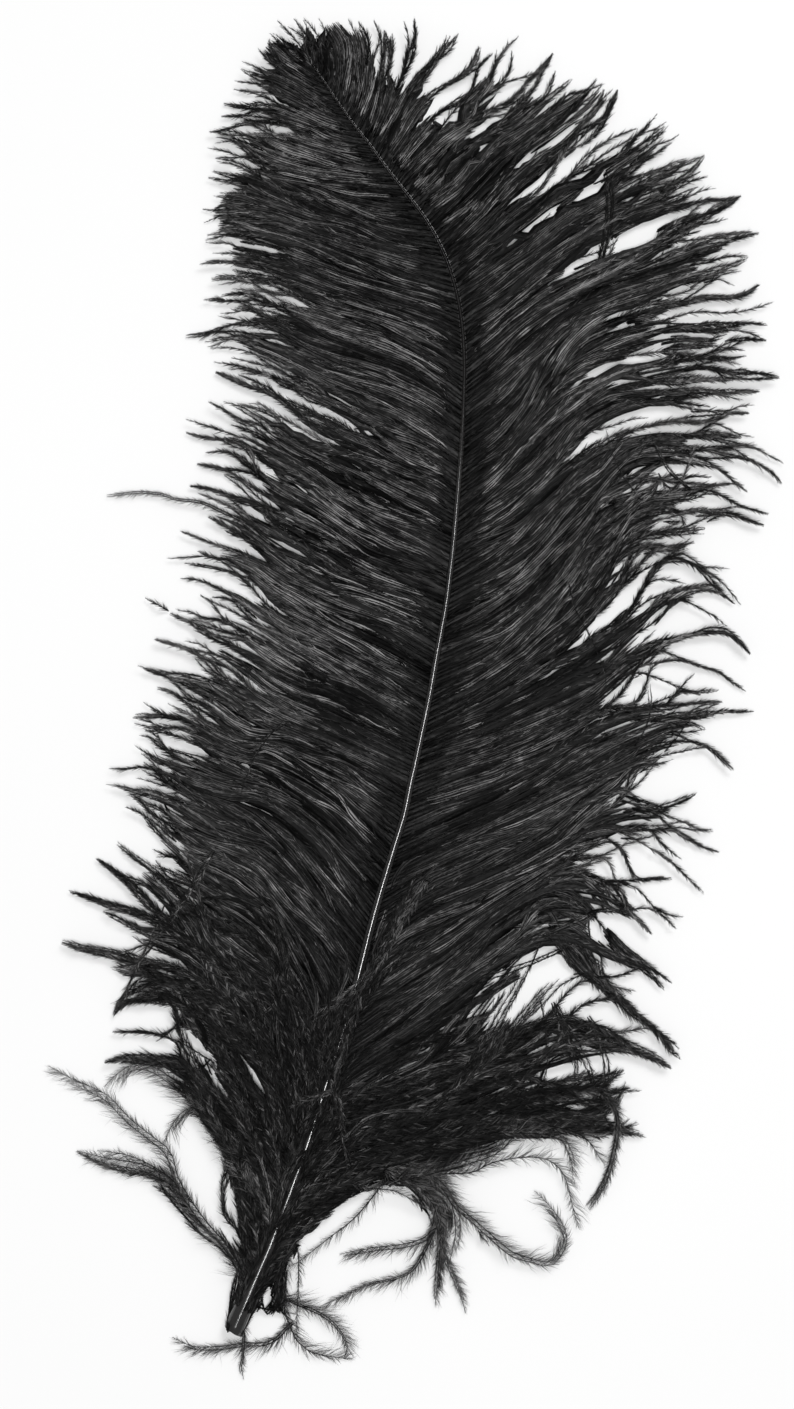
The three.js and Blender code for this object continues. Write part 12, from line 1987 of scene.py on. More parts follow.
    (28.3,43.3,35.6,47.8,42.8,52.6,49.2,58.4,55.4,64.4,61.5,70.5,67.6,76.6,73.7,82.7,79.2,89.3,84.4,96.2,90.4,102.4,96.6,108.3,105.1,109.8,113.6,110.8,122.2,110),
    (-80.9,-188,-86.1,-181.4,-93.2,-176,-100.3,-170.6,-107.9,-166.9),
    (-75.4,-264.3,-75.4,-252.7,-73.5,-240.8,-74.3,-228.7,-75.4,-216.6,-76,-204.4,-80.5,-193.4,-88.8,-184.7,-98.1,-177.9),
    (-9.4,-105.1,-0.1,-93.2,12.8,-85,26.6,-77.6,40.6,-70.7,54.9,-64.3,68,-55.9,80,-45.9,92.7,-38.1),
    (-16.2,-9.8,-23.5,-4.8,-31.5,0,-39.9,4.1,-48.8,7.1,-57.4,10.9,-65.4,14.6),
    (-54.9,0.1,-61.7,3.2,-67.5,7.8,-73.3,12.6),
    (-76,14.7,-80,17.3,-84.7,19.9),
    (12.4,106.7,6.5,110,0.4,112.8,-5.8,115.2,-12.8,117.6),
    (-81.2,-276.4,-79.4,-267.2,-76.8,-257.6,-76.5,-247.7,-80.3,-239),
    (66.4,143.8,74.9,149.4,85,152.8,95.3,155.8,105.1,158.5),
    (1.8,220.6,5.4,223.7,9.1,226.7),
    (20.6,238.3,23.5,241.2,26.9,244.5),
    (-86.2,-38,-93.8,-35,-101.5,-31.3,-109.4,-27.7,-116.7,-24.3),
    (-39.1,15.3,-45,18.4,-51.6,21.8,-57.4,25.2,-63.4,29.4,-69.1,34.1),
    (56.3,56,62.8,63.1,70,70.2,75.8,78.5,82.1,86.1,90.9,90.1),
    (75.6,189.7,82.5,192.6,89.3,195.4,96.1,198.5),
    (-15.3,243.2,-10.4,251.9,-5.5,261.2,-0.2,270.4,5.5,278.6),
    (9.7,-47.3,17.2,-44.5,24.7,-41.8,32.2,-39,39.6,-36.1,47.2,-31.9,54.5,-28.7,61.8,-25.3,68.8,-21.6,75.4,-17.1,83.4,-13.8),
    (-18.4,234.4,-26.5,236.1,-34.9,238.9,-43.3,241.8,-51.7,244.5,-59.7,247),
    (-62.2,-97.8,-68.9,-93.2,-76.8,-89.5,-84.9,-86.1,-92.8,-82.1,-100,-77.2),
    (18.4,-187,26.5,-182.3,35.1,-177.7,44.6,-175.2,54.2,-173.1,63.4,-170,72.6,-170.9),
    (-14.7,-70.4,-21.9,-65.9,-28.6,-59.9,-34.4,-52.9,-41.2,-47,-49,-42.4,-56.5,-37.4,-64.1,-33.7),
    (-68.7,-183.9,-74,-177.9,-77.7,-171,-80.5,-163.6,-84,-155.6,-87.6,-148.6,-91.7,-141.7,-96.9,-134.8),
    (-99.2,-131.6,-103.6,-124.9,-110.7,-122.4,-118.6,-121.1,-127.2,-120.3),
    (-5.9,230.5,-1.7,234.9,2.5,239.3,7.3,244.2),
    (9,246.2,11.2,248.8,13.4,251.4),
    (28.2,-46.6,35.4,-43.2,43.1,-39.3,50.1,-35.4,57.6,-31.1,64.4,-27.1,71.6,-22.2,78.7,-18.8,86.9,-16,94.8,-12.6),
    (102.9,-9.5,107.3,-8.1,111.7,-6.7),
    (47.7,61.6,55.5,69.8,62.7,79.2,70.7,88,79.9,95.5,88.4,103.4,97.8,110,108.1,115,119.4,116.2),
    (88.7,191.1,96.6,194.3,104.3,198.9,111.6,204.1,119.6,208.3,127.3,211.9),
    (26,-194.1,34,-191.1,42.7,-188.1,51.7,-187.7,60.6,-189.5,68.9,-192),
    (-55,-221.8,-52,-213,-48.7,-203.6,-44.5,-194.6,-42.8,-184.8,-39.7,-175.4,-37.3,-166.5),
    (2.1,-35.8,11.8,-31.9,22,-27.9,32.4,-24.3,42.7,-20.5,52.8,-16.3,62.6,-11.2,72.6,-6.9,82.1,-2.5),
    (24.9,151.5,32.8,157.8,40.7,164.9,49.1,171.5,57.8,177.5,67.1,182.8,76.7,187.4,86.6,191.2,96.1,194.7),
    (14.4,-172.9,22.9,-168.4,32,-164,41.5,-160.5,51.2,-157.4,58.8,-152.1),
    (15.7,90,7.3,95.1,-2.7,98.1,-12.4,102,-22.1,105.8,-32,109.1,-41.3,112.4),
    (-6.1,-3.6,-14.3,-0.6,-22.4,4.1,-31.1,7.7,-39.8,11,-47.9,15.7,-56.2,20,-64.1,23.7),
    (103.5,-10,111.4,-8,119.3,-6.2,127.2,-4),
    (-103.8,-100.5,-111.5,-97.4,-120.1,-95,-127.9,-91.8),
    (9.4,213.9,17.9,219.6,25.7,227.1,33.2,234.9,41.6,241.7,50.2,248.2,58.7,254.9,67.9,260.5,76,266.9),
    (-14.1,110.7,-22.8,114.2,-32.2,117.9,-41.1,122.5,-49.7,126.5),
    (24.5,158.3,31.9,163.8,39.3,170.1,46.6,176.4,54.2,182.5,61.5,188),
    (32.4,247.7,39.9,250.6,47.5,254.7,54.3,260,60.8,264.8),
    (-48.9,-78.3,-55.4,-70.6,-64,-64.7,-74.2,-62.3,-84.2,-58.7,-93.8,-54.4,-102.7,-48.8,-112.3,-44.7,-121.8,-41.6),
    (29.9,-191,38.7,-188,48.2,-186,58,-187.3,67.4,-190.3,76,-193.7),
    (17.8,142.5,11.1,146.9,4.2,151.1,-2.8,155,-10,158.6,-17.3,161.8,-25,164,-32.7,166.4,-40.3,168.9,-48.6,171.6),
    (78.1,-153.2,84.1,-153.6,90.1,-155),
    (58.3,-46.4,64.9,-43.2,71.5,-40,78.1,-36.7,85.2,-33.1,91.7,-29.7,98.1,-26,105,-22),
    (108.1,-20.7,110.6,-19.9,113.8,-18.8),
    (-4,-197.8,5.4,-195.4,15.2,-192.7,24.6,-188.8,34.2,-185.1,43.4,-180.9,53.3,-178.2,63.1,-175.7,72.6,-173.9),
    (-4,-29.4,-12.3,-25.6,-21.2,-21.8,-29.5,-16.9,-38.5,-13.5,-47.8,-10.5,-56.7,-6.8,-65.3,-2.4,-73.1,2.4),
    (-59.6,-269.4,-58.7,-260.6,-58.1,-251.1,-56,-242,-51.2,-233.8,-45.8,-226,-41.2,-217.8,-35.6,-210.8,-26.9,-208.8),
    (81.1,65.7,86.9,72.6,93,80.1,99.4,87.2,108,91.1,117.5,90.9,126.5,92.1),
    (8,-8,15.4,-4.9,22.5,-1.3,30,3.2,36.6,7.8,43.4,13.2,49.6,18.3,55.8,23.4,63,28.2,69.4,33.1,75.8,38.9),
    (8.4,-5.7,16.6,-2,25,2.4,32.8,7.8,40.5,13.3,48.2,18.9,55.4,25.1,62.6,31.2,69.9,36.4),
    (-32.2,22.3,-39.6,25.5,-47,28.7,-54.8,32.7,-61.8,36.5,-68.8,40.7,-76.1,45.4),
    (22.8,100.7,30.8,104.3,38.7,109,45.1,115.7,51.2,122.6,56.1,130.4,59.7,138.4),
    (-61.3,-229.9,-61,-221.2,-58.8,-212.2,-55,-203.7,-50.5,-195.6,-46.4,-187.9),
    (23.8,170.2,31.6,174.7,39.5,180.2,46.9,186.2,54.4,192.1,61.9,197.9,69.9,203.3,77.7,207.8),
    (-65.9,-23.1,-74.3,-22.4,-82.5,-18.5,-90.6,-14.1,-98.7,-10,-106.8,-7),
    (17.7,126.4,8.5,133.9,-2.5,139.8,-13.9,144.8,-25.9,148.5,-37.9,152,-49.5,156.5,-60.1,163.1,-71.1,167.4),
    (96.7,164.8,104.2,165.8,112.5,166.7),
    (-41.2,267,-49.8,272.1,-58.8,277.6,-66.4,284.2),
    (80.8,171.1,90.2,174.6,100.2,177.9,110.2,181.3,120.3,184.4,129.9,187.3),
    (-17.3,178.9,-25.9,181.6,-35.1,184.4,-43.9,187.9,-52.8,191.5,-61.9,194.4,-71.2,196.6,-80,198.3),
    (36.8,48.7,44.4,54.8,51.5,62.3,58.2,70.2,64.9,78.1,72.2,85.5,79.6,92.6,86.5,99.6),
    (-25,-20.7,-33.2,-17.9,-41.4,-15,-49.5,-11.8,-57.4,-8.3,-65.2,-4.4,-72.4,0.4,-79.3,5.6,-87,11),
    (63.8,84.5,70.3,90.5,77.7,96.3,84.7,102.6,88.1,111.3,93.7,117.7),
    (-80.9,-214.9,-78.2,-207.4,-76.2,-199.6,-76,-191.8,-78.6,-183.6,-83.4,-177.2,-87.9,-170.6,-91.6,-163.5,-95,-155.5),
    (-99.3,-145.1,-100.8,-142.1,-102.3,-139.1),
    (-56.5,-202.7,-50.3,-189.5,-44.5,-175.6,-40.4,-161.4,-45.1,-147.1,-49.4,-132.6,-55.3,-119.1,-60.1,-104.8,-70.6,-94.9),
    (58.6,-144.4,67.1,-144,76.1,-145.6,85,-147.6,93.1,-150.3),
    (20.8,76.9,30,82.7,39.4,89.5,48.6,96.4,57.1,104.1,64.3,113.1,71.5,122,81.2,128.3,90.9,133.3),
    (19.9,-161.6,28.3,-155,36.8,-147.6,44.7,-140.4),
    (1,-86.9,6.8,-79.6,16.1,-75.5,25.1,-70.9,33.9,-66,43.4,-62.5,52.4,-58,61.4,-53.4,68.9,-47.5),
    (25.8,-76.6,33,-73.2,40.8,-69.5,48,-66,55.5,-61.8,62.2,-57.4,69,-52.2,74.6,-46.5,81.4,-41.1,87.8,-36.4,94.5,-30.9,102.3,-27.3),
    (-4,164.4,-10.9,167,-18.7,169.2,-25.8,171.1,-33.5,173.3,-40.9,176.6,-47.5,179.9,-55,183,-62.5,185.7),
    (-28.8,248,-38.5,250.6,-48.3,254.5,-58,258.5,-67.6,261.2),
    (37.4,241.5,44.5,246.8,52.2,252.2,60,257.6,68.1,262.4,75.3,267.5),
    (5.5,-139.3,12.4,-132.3,20.6,-126,29,-120,37.7,-114.3,45.3,-107.4,53.9,-101.8,63.5,-100.1),
    (24.6,138.1,32.1,144.5,39.4,151.9,46.5,159.6,54.9,165.8,63.5,171.7,72.4,176),
    (10.3,48.3,2.6,50.7,-4.9,53.6,-12.1,57.1,-20,60.9,-27.3,64.2,-34,68.6,-40.9,72.7,-48.7,76.6),
    (32.7,187,38.4,191.7,44.5,195.9,50.2,200.5,55.8,205.4,61.3,210.2,67.4,214.5),
    (-76.8,-87.9,-84.7,-83.9,-92.4,-79.6,-98.8,-73.7,-105.2,-67.7,-111.8,-61.8),
    (-91.3,-127.5,-91.4,-120.1,-96.3,-115,-103.1,-110.6,-109.9,-107.6,-116.7,-104.8,-123.6,-100.6),
    (16.5,112.4,6.3,120.3,-5.4,127,-17.6,132.7,-29.9,138.1,-42.4,143,-54.4,149.1,-66.5,154.9,-78.8,158.8),
    (-31.8,265.4,-30.3,273.5,-28.6,282.1,-29.9,290.5,-35.2,296.8),
    (-46.1,9.7,-53.6,13,-61.1,17.4,-68.4,22.2,-75.8,26.8,-83.5,29.6),
    (67.7,-63.5,76.8,-58.8,87.4,-57,97.4,-58.9),
    (52.2,-183.4,61.2,-184.7,70.9,-185.5,80.5,-184.5,86.9,-178.4),
    (-18.9,-203.6,-6.1,-200.5,7.1,-196.6,20.3,-192.8,33.1,-188,46.2,-183.9,59.6,-181.4,73.3,-181.6,85.3,-176.5),
    (-75.9,-10.5,-81.5,-6.6,-87.1,-2.8,-92.7,1,-99.3,4.6),
    (75,-33.3,83.3,-29.3,91.4,-24.2,100,-19.7,108.3,-16),
    (-57.4,-175.4,-57.9,-167.4,-58.5,-159.5,-59.8,-150.9,-60.3,-143,-59.4,-134.4,-59.5,-126.5,-60.8,-118,-64.8,-111.4,-70.5,-104.8,-76.7,-99.8,-83.6,-94.7,-89.9,-89.7,-96.8,-84.6),
    (-102.3,-82.2,-105.4,-80.8,-109,-79.2),
    (-25.1,205.1,-33.3,207.4,-42.3,208.4,-51.1,210.5,-59.5,213.7,-68.3,215.4,-77.2,217.1,-85.6,217.1),
    (65.1,139.8,73.2,146,83.3,149.8,93.3,151.7),
    (22.7,93.2,29.8,97,35.9,102.2,41.3,108.1,46.9,114.8,52.4,120.7,57.3,127.1,62.9,132.9,69.8,138.1),
    (-37.2,261,-44.6,265,-52.1,269.9,-60.2,273.9,-67.5,278.1),
    (8.4,241.6,16.1,247.6,24.8,253.2,33.7,257.3),
    (-48.5,-230.8,-42.3,-225.4,-34.5,-221.4,-26.6,-217.4,-19,-214.4),
    (-16.2,-75.5,-24.3,-70.6,-32,-64.4,-39.1,-57.3,-46.7,-50.8,-54.9,-45.1,-63.8,-40.5,-73.4,-37.7,-82.8,-37.3),
    (20.6,67.9,29,70.4,37.8,73.4,46.2,77.3,53,83.7,60.3,89.5,66.6,96.3,72.9,103.1,79.8,108.6),
    (-18.7,-141.2,-10.3,-136.9,-1.6,-132.1,6.8,-126.9,14.6,-120.7,22.2,-114.2,28.8,-106.8,34.6,-99.4),
    (-7.6,233,-2.5,239.9,3.1,247.1,8.8,253.6),
    (108.3,161.2,116.5,161.8,125.1,161.6,133.3,161.4),
    (42.1,-25.8,49,-23.1,56.3,-19.7,62.9,-16.4,70.1,-12.7,76.3,-8.6,83.6,-5.5),
    (87.5,-4.2,92.7,-3,98,-1.9),
    (-91.1,-119,-91.6,-111,-94.1,-103.4,-98.7,-96,-104.6,-90.7,-110.9,-85.7,-117.8,-80.5),
    (22.9,80.7,30.8,87.3,38.5,94.9,46.6,102,54.8,109.1,61.9,117.3,69.6,124.7,78.9,130.3,87.2,136.4),
    (60.1,138,65,146.6,71.6,154.5,80.2,160.3,89.1,164.4),
    (-57.4,-122.3,-61.9,-116.5,-67.4,-110.5,-73.3,-105.1,-79.2,-100.7,-86,-96.5,-92.3,-91.4,-97.1,-85),
    (76.7,98.2,83.3,103.6,89,110.3,97.8,112.1,106.8,112.6,115.8,111.9,124.2,111.2),
    (36.2,-4.7,47.4,-0.1,59,5.2,70.4,10.9,81.1,17.8,90.9,26,100.2,34.7,109.8,43.1,120.1,49.5),
    (41.5,145.3,46.5,149.7,51.4,154.2),
    (56.2,159.8,62,165.3,68.7,170.8,75.9,174.2,83.9,177.7,91.3,180.7,99.7,182.9,107.5,184.8,115.9,186.8,124.3,188.8),
    (7.8,61.4,-0.1,65,-8.2,67.9,-16,71.7,-23.4,76.2,-30.6,80.9,-37.8,85.7,-44.3,91.4),
    (-51.1,95.5,-54.1,96.9,-57.8,98.5),
    (-13,179.6,-20.7,182,-28.4,184.5,-36.6,187.5,-44.1,190.3,-51.8,192.8,-60.1,195.5),
    (47.5,-42.3,55.5,-39.2,63.7,-35.1,71.4,-30.1,78.8,-24.9,86.8,-20.3,95,-16.3,102.9,-12.8),
    (16.9,162.5,7.3,166.7,-3.1,170.4,-13.6,173.4,-24.1,176.8,-34.5,180.4,-44.7,184.3,-55,188.2,-65.2,190.7),
    (94.9,64,100.3,66,106,66.8),
    (-36,90.7,-43.7,96,-52.4,100.5,-60.8,105.7,-68.3,112,-76.2,116.9),
    (21.2,74.2,29.5,77.9,37.6,83.1,45.2,89.1,52.6,95.3,59.2,102.4,64.8,110.3,70,118.3,76.2,125),
    (-26.8,231.8,-36.7,234.1,-46.7,237.9,-57,241,-66.2,245.3),
    (51.9,75.1,57.8,81.4,64,88.1,70.5,94.5,77.7,100.2,84.5,105.5),
    (-14,-166.4,-5.3,-162.9,3.4,-158.1,9.6,-150.5,15.5,-142.5,22.1,-135.8),
    (-37.4,257.7,-45.5,262.7,-53.8,268.3,-62.9,272.4,-72,275.1),
    (44.9,-2.3,53,1,61.5,4.6,70,8.3,77.7,13.5,84.9,18.5),
    (14.5,237.4,19.1,242.5,24.2,246.9),
    (17.9,125.2,10.9,130.6,2.6,134.9,-5.8,138.9,-13.9,143.5,-22.7,146.8,-31.7,149.4,-40.1,152),
    (-40.5,5.6,-49.1,8.2,-57.7,12.5,-65.7,17.7,-72.9,24,-80.8,28.2),
    (-26.5,243.7,-36.3,245.7,-45.8,250.3,-55.8,253.6,-65.6,255.6),
    (7.6,-121.6,13.9,-115.7,20.5,-110.1,26.8,-104.2,33.2,-98.3,40.1,-93.2,47.5,-88.6,54.4,-83.5,62.4,-78.7),
    (67.2,-76.5,71.1,-75.5,75,-74.6),
    (43.8,-75.8,49.9,-83.3,56.2,-91.3,62.2,-99.5,68.1,-107.6,77,-112.1,80.8,-120.8),
    (23,101.7,31.6,105.7,39.4,112.1,46,119.7,52,127.8,56.4,136.8,60.3,145.6),
    (-4.8,-62.2,5.8,-57.8,16.9,-53,27.8,-48,38.8,-43,49.6,-37.6,60,-31.6,70,-24.9,79.7,-18.8),
    (-2.9,214,-11.3,214.2,-20,215.8,-28.6,218.3,-36.8,221.7,-44.8,225.6,-52.9,227.7),
    (21.3,82.6,27.5,87.7,33.9,93.5,39.3,99.4,45,105.9,50.2,112,56.6,117.9,63.2,123.5,69.6,128.3,76.5,133.5,82.9,138.3,90.9,141.4,99.2,143.8),
    (-29.3,186,-36,189.1,-42.9,191.7,-49.8,194,-56.8,196.6,-63.8,198.7),
    (-66.4,199.4,-71.7,200.5,-76.9,201.4),
    (-46.7,-149,-49.4,-140.7,-52.4,-132,-59.8,-126.9,-67.9,-122.5,-75.9,-117.9,-82.6,-111.7,-89.5,-105.7,-93.3,-98),
    (11.4,206,16.8,209.9,22.6,214.4,27.8,219.6),
    (41.9,236.5,46.9,241,52.1,245.2,57.6,249),
    (-11.9,-167.9,-3.3,-163.7,5.6,-158.7,14.4,-153.6,24.3,-151.5,33.4,-147,40.5,-140.8),
    (-10.6,-144.9,-0.9,-138.8,8.2,-131,17.7,-123.8,27.9,-117.5,38.3,-111.6,47.5,-104,57.4,-97.7,68.7,-97.8),
    (-38.2,247.3,-47.4,251.7,-57.6,255.4,-67.6,257.6),
    (14.2,179.4,5.5,181.9,-3.8,184,-12.8,187,-21.2,191.6,-30,195.4,-38.8,199,-47.5,201.4),
    (67.1,57.3,72.3,65.2,77.7,73.6,84.4,81,92.9,86.2,101.2,90.8),
    (93,166.5,102.1,168.6,110.9,171.7),
    (14.9,9.4,22.3,12.3,29.4,16,36,20.5,42.5,26.2,48.5,31.6,54.6,36.8,60,42.6,65.7,49.2,70.6,55.5,74.9,62.2,79.5,69.6),
    (-42.5,-184.5,-31.2,-180.7,-18.9,-177.7,-6.9,-174.1,4.2,-168.2,15.7,-163.2,27.4,-158.7,37.3,-151.2,48.1,-146),
    (-74.5,-234.1,-75.1,-224.7,-76.2,-214.8,-77.5,-204.9,-82.5,-196.3,-89.8,-190.4),
    (60.5,-61.2,67.4,-54.6,74.7,-47.5,82.7,-41.5,92.5,-40.8,101.4,-44.3),
    (83.6,226.9,88.4,232.6,94.8,237.5,101.5,242.1),
    (-11.3,-58.5,-18.2,-52.6,-25.7,-46.5,-32.8,-40.1,-40.9,-34.7,-48.6,-29,-56.8,-23.9,-64.8,-19.6),
    (53.8,-84.6,58.6,-91.2,62.8,-98.2,65.1,-106.7,67.9,-114.3,73,-121.4),
    (24.8,131,31,135.1,36.9,139.7,43.2,144.8,49.1,149.4,55.2,153.7,61.1,159.3),
    (14,76.4,5.1,81.3,-4.5,86.2,-13.7,91.6,-22.7,96.3),
    (6.3,-16.2,15,-12.2,24.4,-8.4,34.1,-5.4,43.2,-1,52.7,2.7,61.8,7.1,70.5,11.3),
    (-79.7,-53.2,-86.1,-49.5,-92.9,-45.2,-98.7,-40.7,-104.8,-35.4),
    (-111.2,-30.8,-114.4,-29.8,-117.6,-28.8),
    (-57.5,-66.5,-63.8,-61.4,-71.1,-58.3,-78.6,-55.5,-86.6,-52,-93.8,-48.4,-101.5,-46.3,-109.7,-43.1),
    (104.6,104.7,110.8,105.1,117.7,104.8),
    (119.1,104.6,121.8,104.2,125.2,103.6),
    (78.9,180,87.8,183.5,97.3,186.6,106.9,189.9,116.2,193.7,125.6,197.4,134.8,200),
    (35.2,249.9,43.4,253.7,51.3,259.1,58,265.3),
    (23.2,193.2,29.7,198.8,36.3,205.1,43.2,211.1,50.6,216.5,58.4,221.3,65.5,226.1),
    (-92.2,-172.5,-96.8,-165.3,-100.1,-156.8,-102.7,-148.6),
    (26.5,-59.7,36.5,-57.3,46.7,-53.9,56.4,-49.2,65.9,-44,75.4,-38.9,84.8,-33.5,94.4,-28.5,103.5,-23.8),
    (-36.8,-118,-40.7,-111,-45.7,-104.8,-51.8,-98.6,-56.9,-92.4,-62.3,-85.6,-67.7,-79.8,-74.6,-74.5,-81.8,-70.8,-89.7,-67.3,-97.2,-64.5,-104.6,-59.9),
    (-87.9,-175.8,-91.1,-170.5,-94.5,-164.6),
    (-98.8,-156.8,-101.3,-153.5,-104.1,-149.6),
    (61.3,200.8,69.4,206.2,78.4,211.3,87.9,215.1,97.6,218.7,107.1,222.6,115.9,226.8),
    (78.3,7.6,82.6,11.9,87.7,16.4,93.1,20.5,98.5,24.6),
    (-61.2,-95.4,-68.3,-91.6,-75.8,-88.6,-83.1,-85.3,-90.3,-81.5,-97,-77.1,-103.6,-72.5),
    (83.8,14,88.5,18.7,93.4,23.3,98.4,27.8),
    (109.4,38.5,113.5,42.8,119.6,45.5),
    (22.9,173,29.7,177.2,36.6,182.4,42.6,187.8,49.6,192.9,56.6,198.1,63,202.9,70.2,207.6,77.1,211.8,84.8,215.9,92.7,219.4),
    (39.2,79.6,45.3,85.8,52.2,92.1,58.9,98.4,65.2,105.3,71.4,111.4),
    (-47.8,-118,-53.3,-110,-57.2,-100.6,-61.8,-91.5,-67.9,-83.4,-75.8,-77,-84.5,-71.7,-94.3,-69.2,-103.3,-65.8),
    (-76.4,-41,-85.9,-39.2,-95.5,-35.8,-104.7,-31.3,-113.1,-26.5),
    (4.3,10.8,-6.3,17.1,-17.7,23.4,-29.4,29.1,-41,34.9,-52.5,41.1,-63.6,47.8,-74.1,55.5,-84.9,61.6),
    (-58.2,210.6,-67.8,212.2,-77.9,214.3,-87.6,213.7),
    (-14.9,183.6,-23.1,187.6,-32.1,191.2,-40.7,195.7,-49.4,199.7,-58.4,203.3,-67.8,205.6,-76.9,208.8,-85.8,210.8),
    (-8.6,-50.2,-16.9,-44.8,-25.5,-39,-35.1,-35.1,-44.5,-30.8,-53.2,-25.3,-62.2,-20.2,-71.8,-16.4,-81.3,-13.7),
    (-54.8,220.1,-62.3,224.6,-70.6,228.9,-79.1,231.2),
    (-33.7,255.5,-43.1,260,-52.3,266.1,-61.3,271.3),
    (-57.1,209.8,-66.9,211.2,-77.4,212.2,-87.4,212.3),
    (5.2,215.7,10.6,219.6,16.4,224.1,22.1,228.8),
    (25.4,232.9,30.7,238.9,36.8,245,44.5,249.1,51.9,253.6,59.2,258.3,66.4,263.1,73.7,267.7),
    (18.1,152,9.7,156.2,0.4,160,-8.8,163.7,-18,167.6,-27.1,170.2),
    (43,-31.2,52.4,-27.7,61.8,-23,70.4,-16.8,79.3,-11.2,88.4,-7),
    (-22.9,-99.7,-29,-91.9,-35.5,-83.8,-42.8,-76.2,-49.6,-68.4,-55.6,-59.8,-63,-53.4),
    (-24.6,60.2,-29.9,63.2,-35.8,66.5,-41.8,69.8),
    (-47.2,72.5,-53.3,75.6,-59.9,79.1,-66.3,82.9),
    (20.9,182.2,26.5,186,32.5,190.5,38.4,195.1),
    (-12.1,-62.7,-21.5,-55.3,-29.5,-46,-37.9,-37,-48.1,-29.7,-58.7,-23.2,-70.1,-21.2,-79.2,-29.5,-90.7,-27.7),
    (-40.1,-212.7,-30.8,-210,-20.8,-208,-10.7,-209.4,-1.8,-214.7,4.4,-222.7,7.7,-231.4),
    (-95.7,-228.8,-101.6,-221.2,-106.5,-212.5,-112.3,-205),
    (23.3,106.4,32.3,111.1,39.9,118.6,46.5,127,51.6,136.5,55.8,146.3,61.4,155.4,69.1,162.9,76.9,169.4),
    (14.6,178,3.7,181,-7.8,184,-18.4,189.1,-29,194.5,-40,199,-51.4,202.1,-62.8,205.4,-73.7,208.2),
    (-57.8,-178.3,-51.8,-168.1,-52.4,-155.6,-53.4,-143.1,-57,-131.2,-60,-119,-67.7,-109.1,-76.8,-100.4,-87,-94.1),
    (58.6,-145.6,67.2,-147.4,76.4,-148.8,85.5,-151.3,94.4,-152.5),
    (76.4,-26.9,84.6,-22.3,93.8,-18.4,103,-14.4,112.3,-10.9,121.6,-9.9),
    (51,239.9,56.7,243.6,62.2,247.7,67.6,251.8,73.4,255.4),
    (92.8,168.3,101.9,170.5,110.8,173),
    (100.4,86.5,108.6,87.4,117.6,88.1),
    (-7.5,195.5,-16.3,198.2,-25.3,201.9,-34.7,204.4,-44.3,205.8,-53.3,209.3,-61.7,213.1),
    (-9.5,4.9,-16.7,8.4,-24,11.9,-31.2,15.4,-38.3,19.2,-45.4,22.8,-53,25.5,-60.3,28.9,-67,33.3),
    (1.3,-113.1,9.8,-109.7,17.9,-104.4,25.7,-98.6,33.4,-92.7,41.3,-87.9),
    (12.1,-154.7,19.3,-148.8,25.7,-141.3,31.6,-133.4,37.9,-125.9,45.9,-121.1),
    (-6.4,207.6,-15.5,210,-24.6,214,-33.5,218.6,-42.4,223,-51.8,226.3,-60.9,228.6),
    (57.7,-26.8,64.2,-23,70.4,-18.8,76.9,-15.2,84.2,-11.5),
    (-12.2,227,-20.9,227.3,-29.6,228.2,-38.3,229.3,-46.9,230.8,-55.4,232.9,-63.7,235.4,-71.8,238.6),
    (-22.3,-91.6,-27.4,-84.5,-32.5,-76.8,-35.9,-68.2,-40.2,-60,-45.1,-52.8),
    (24.4,120.4,31.9,124.8,39.5,130.2,45.4,137.3,50.9,144.7,56.6,151.4),
    (-25.9,-161.1,-19.7,-156,-12.8,-150.7,-5.6,-145.9,0.9,-140.2,6.8,-134.8,13.3,-128.9,20,-123.5,27.1,-118.4,34,-114.4,41.3,-109.7,48,-104.2,55.9,-101.1),
    (-24.7,-28.4,-32.8,-24.4,-41.7,-21.2,-50.3,-17.2,-59.4,-14.4,-68.8,-13.5,-77.8,-10.7,-85.9,-5.7,-93.2,-0.5),
    (31.3,73,38.6,76.4,45.9,81,52.9,86.1,59.8,91.4,66,97.4,72.3,103.4,79.1,108.6,86.5,113.3),
    (75.8,45.1,80.4,50.9,84.5,57.8,88.2,64.9,92,71.2,97.7,76.6,104.9,79.9),
    (89.6,144.9,94.9,146,100.3,147.1),
    (-40.9,29.1,-46.8,32.5,-53.3,36.2,-59.9,39.6),
    (16.3,99.8,8.9,103,1,106.9,-6.3,110.3,-13.6,115.2),
    (24.9,143.6,30.6,148.2,36.6,153.6,42.3,159.1,48.4,164.4,54.9,169.1,61.7,173.3,68.8,177.1,76,180.5,83,184.4),
    (39,-79.3,47.7,-75.2,57,-71.2,65.8,-66.1,75.3,-62.7,84.5,-60.2),
    (38.9,-70,46.6,-65.9,54.5,-61,62.2,-56,69.1,-49.8,75.7,-43.4,83.2,-38.1,90.9,-33,97.9,-28),
    (74.8,36.5,79.7,42.1,84.3,47.9),
    (86.4,50.6,89.3,55.2,92.1,59.8),
    (60.7,48.3,66,54.9,71.4,62.1,76.3,69.7,81.7,76.9,88.7,82.6,95.6,87.5),
    (9.1,193.3,0.7,195.3,-8.3,196.7,-17.2,199,-25.8,202.1,-34.4,205.1,-43.4,206.7,-51.6,209.1),
    (15.1,198.3,22.1,204.6,29.2,211.5,35.8,219,42.2,226.6,49.4,233.5,57,239.9,65.4,245.2,72.1,251.7),
    (14.2,130.5,6.5,137.6,-1.8,145,-12,149.2,-22.5,152.6,-32.8,156.9,-42.9,161.3,-52.5,166.8,-62.3,170.6),
    (-59.8,-184.4,-59.1,-173.8,-62.3,-163,-67.7,-153.2,-74.4,-144.2,-78.9,-133.8,-84.7,-124.6,-89.7,-115,-90.9,-104.5),
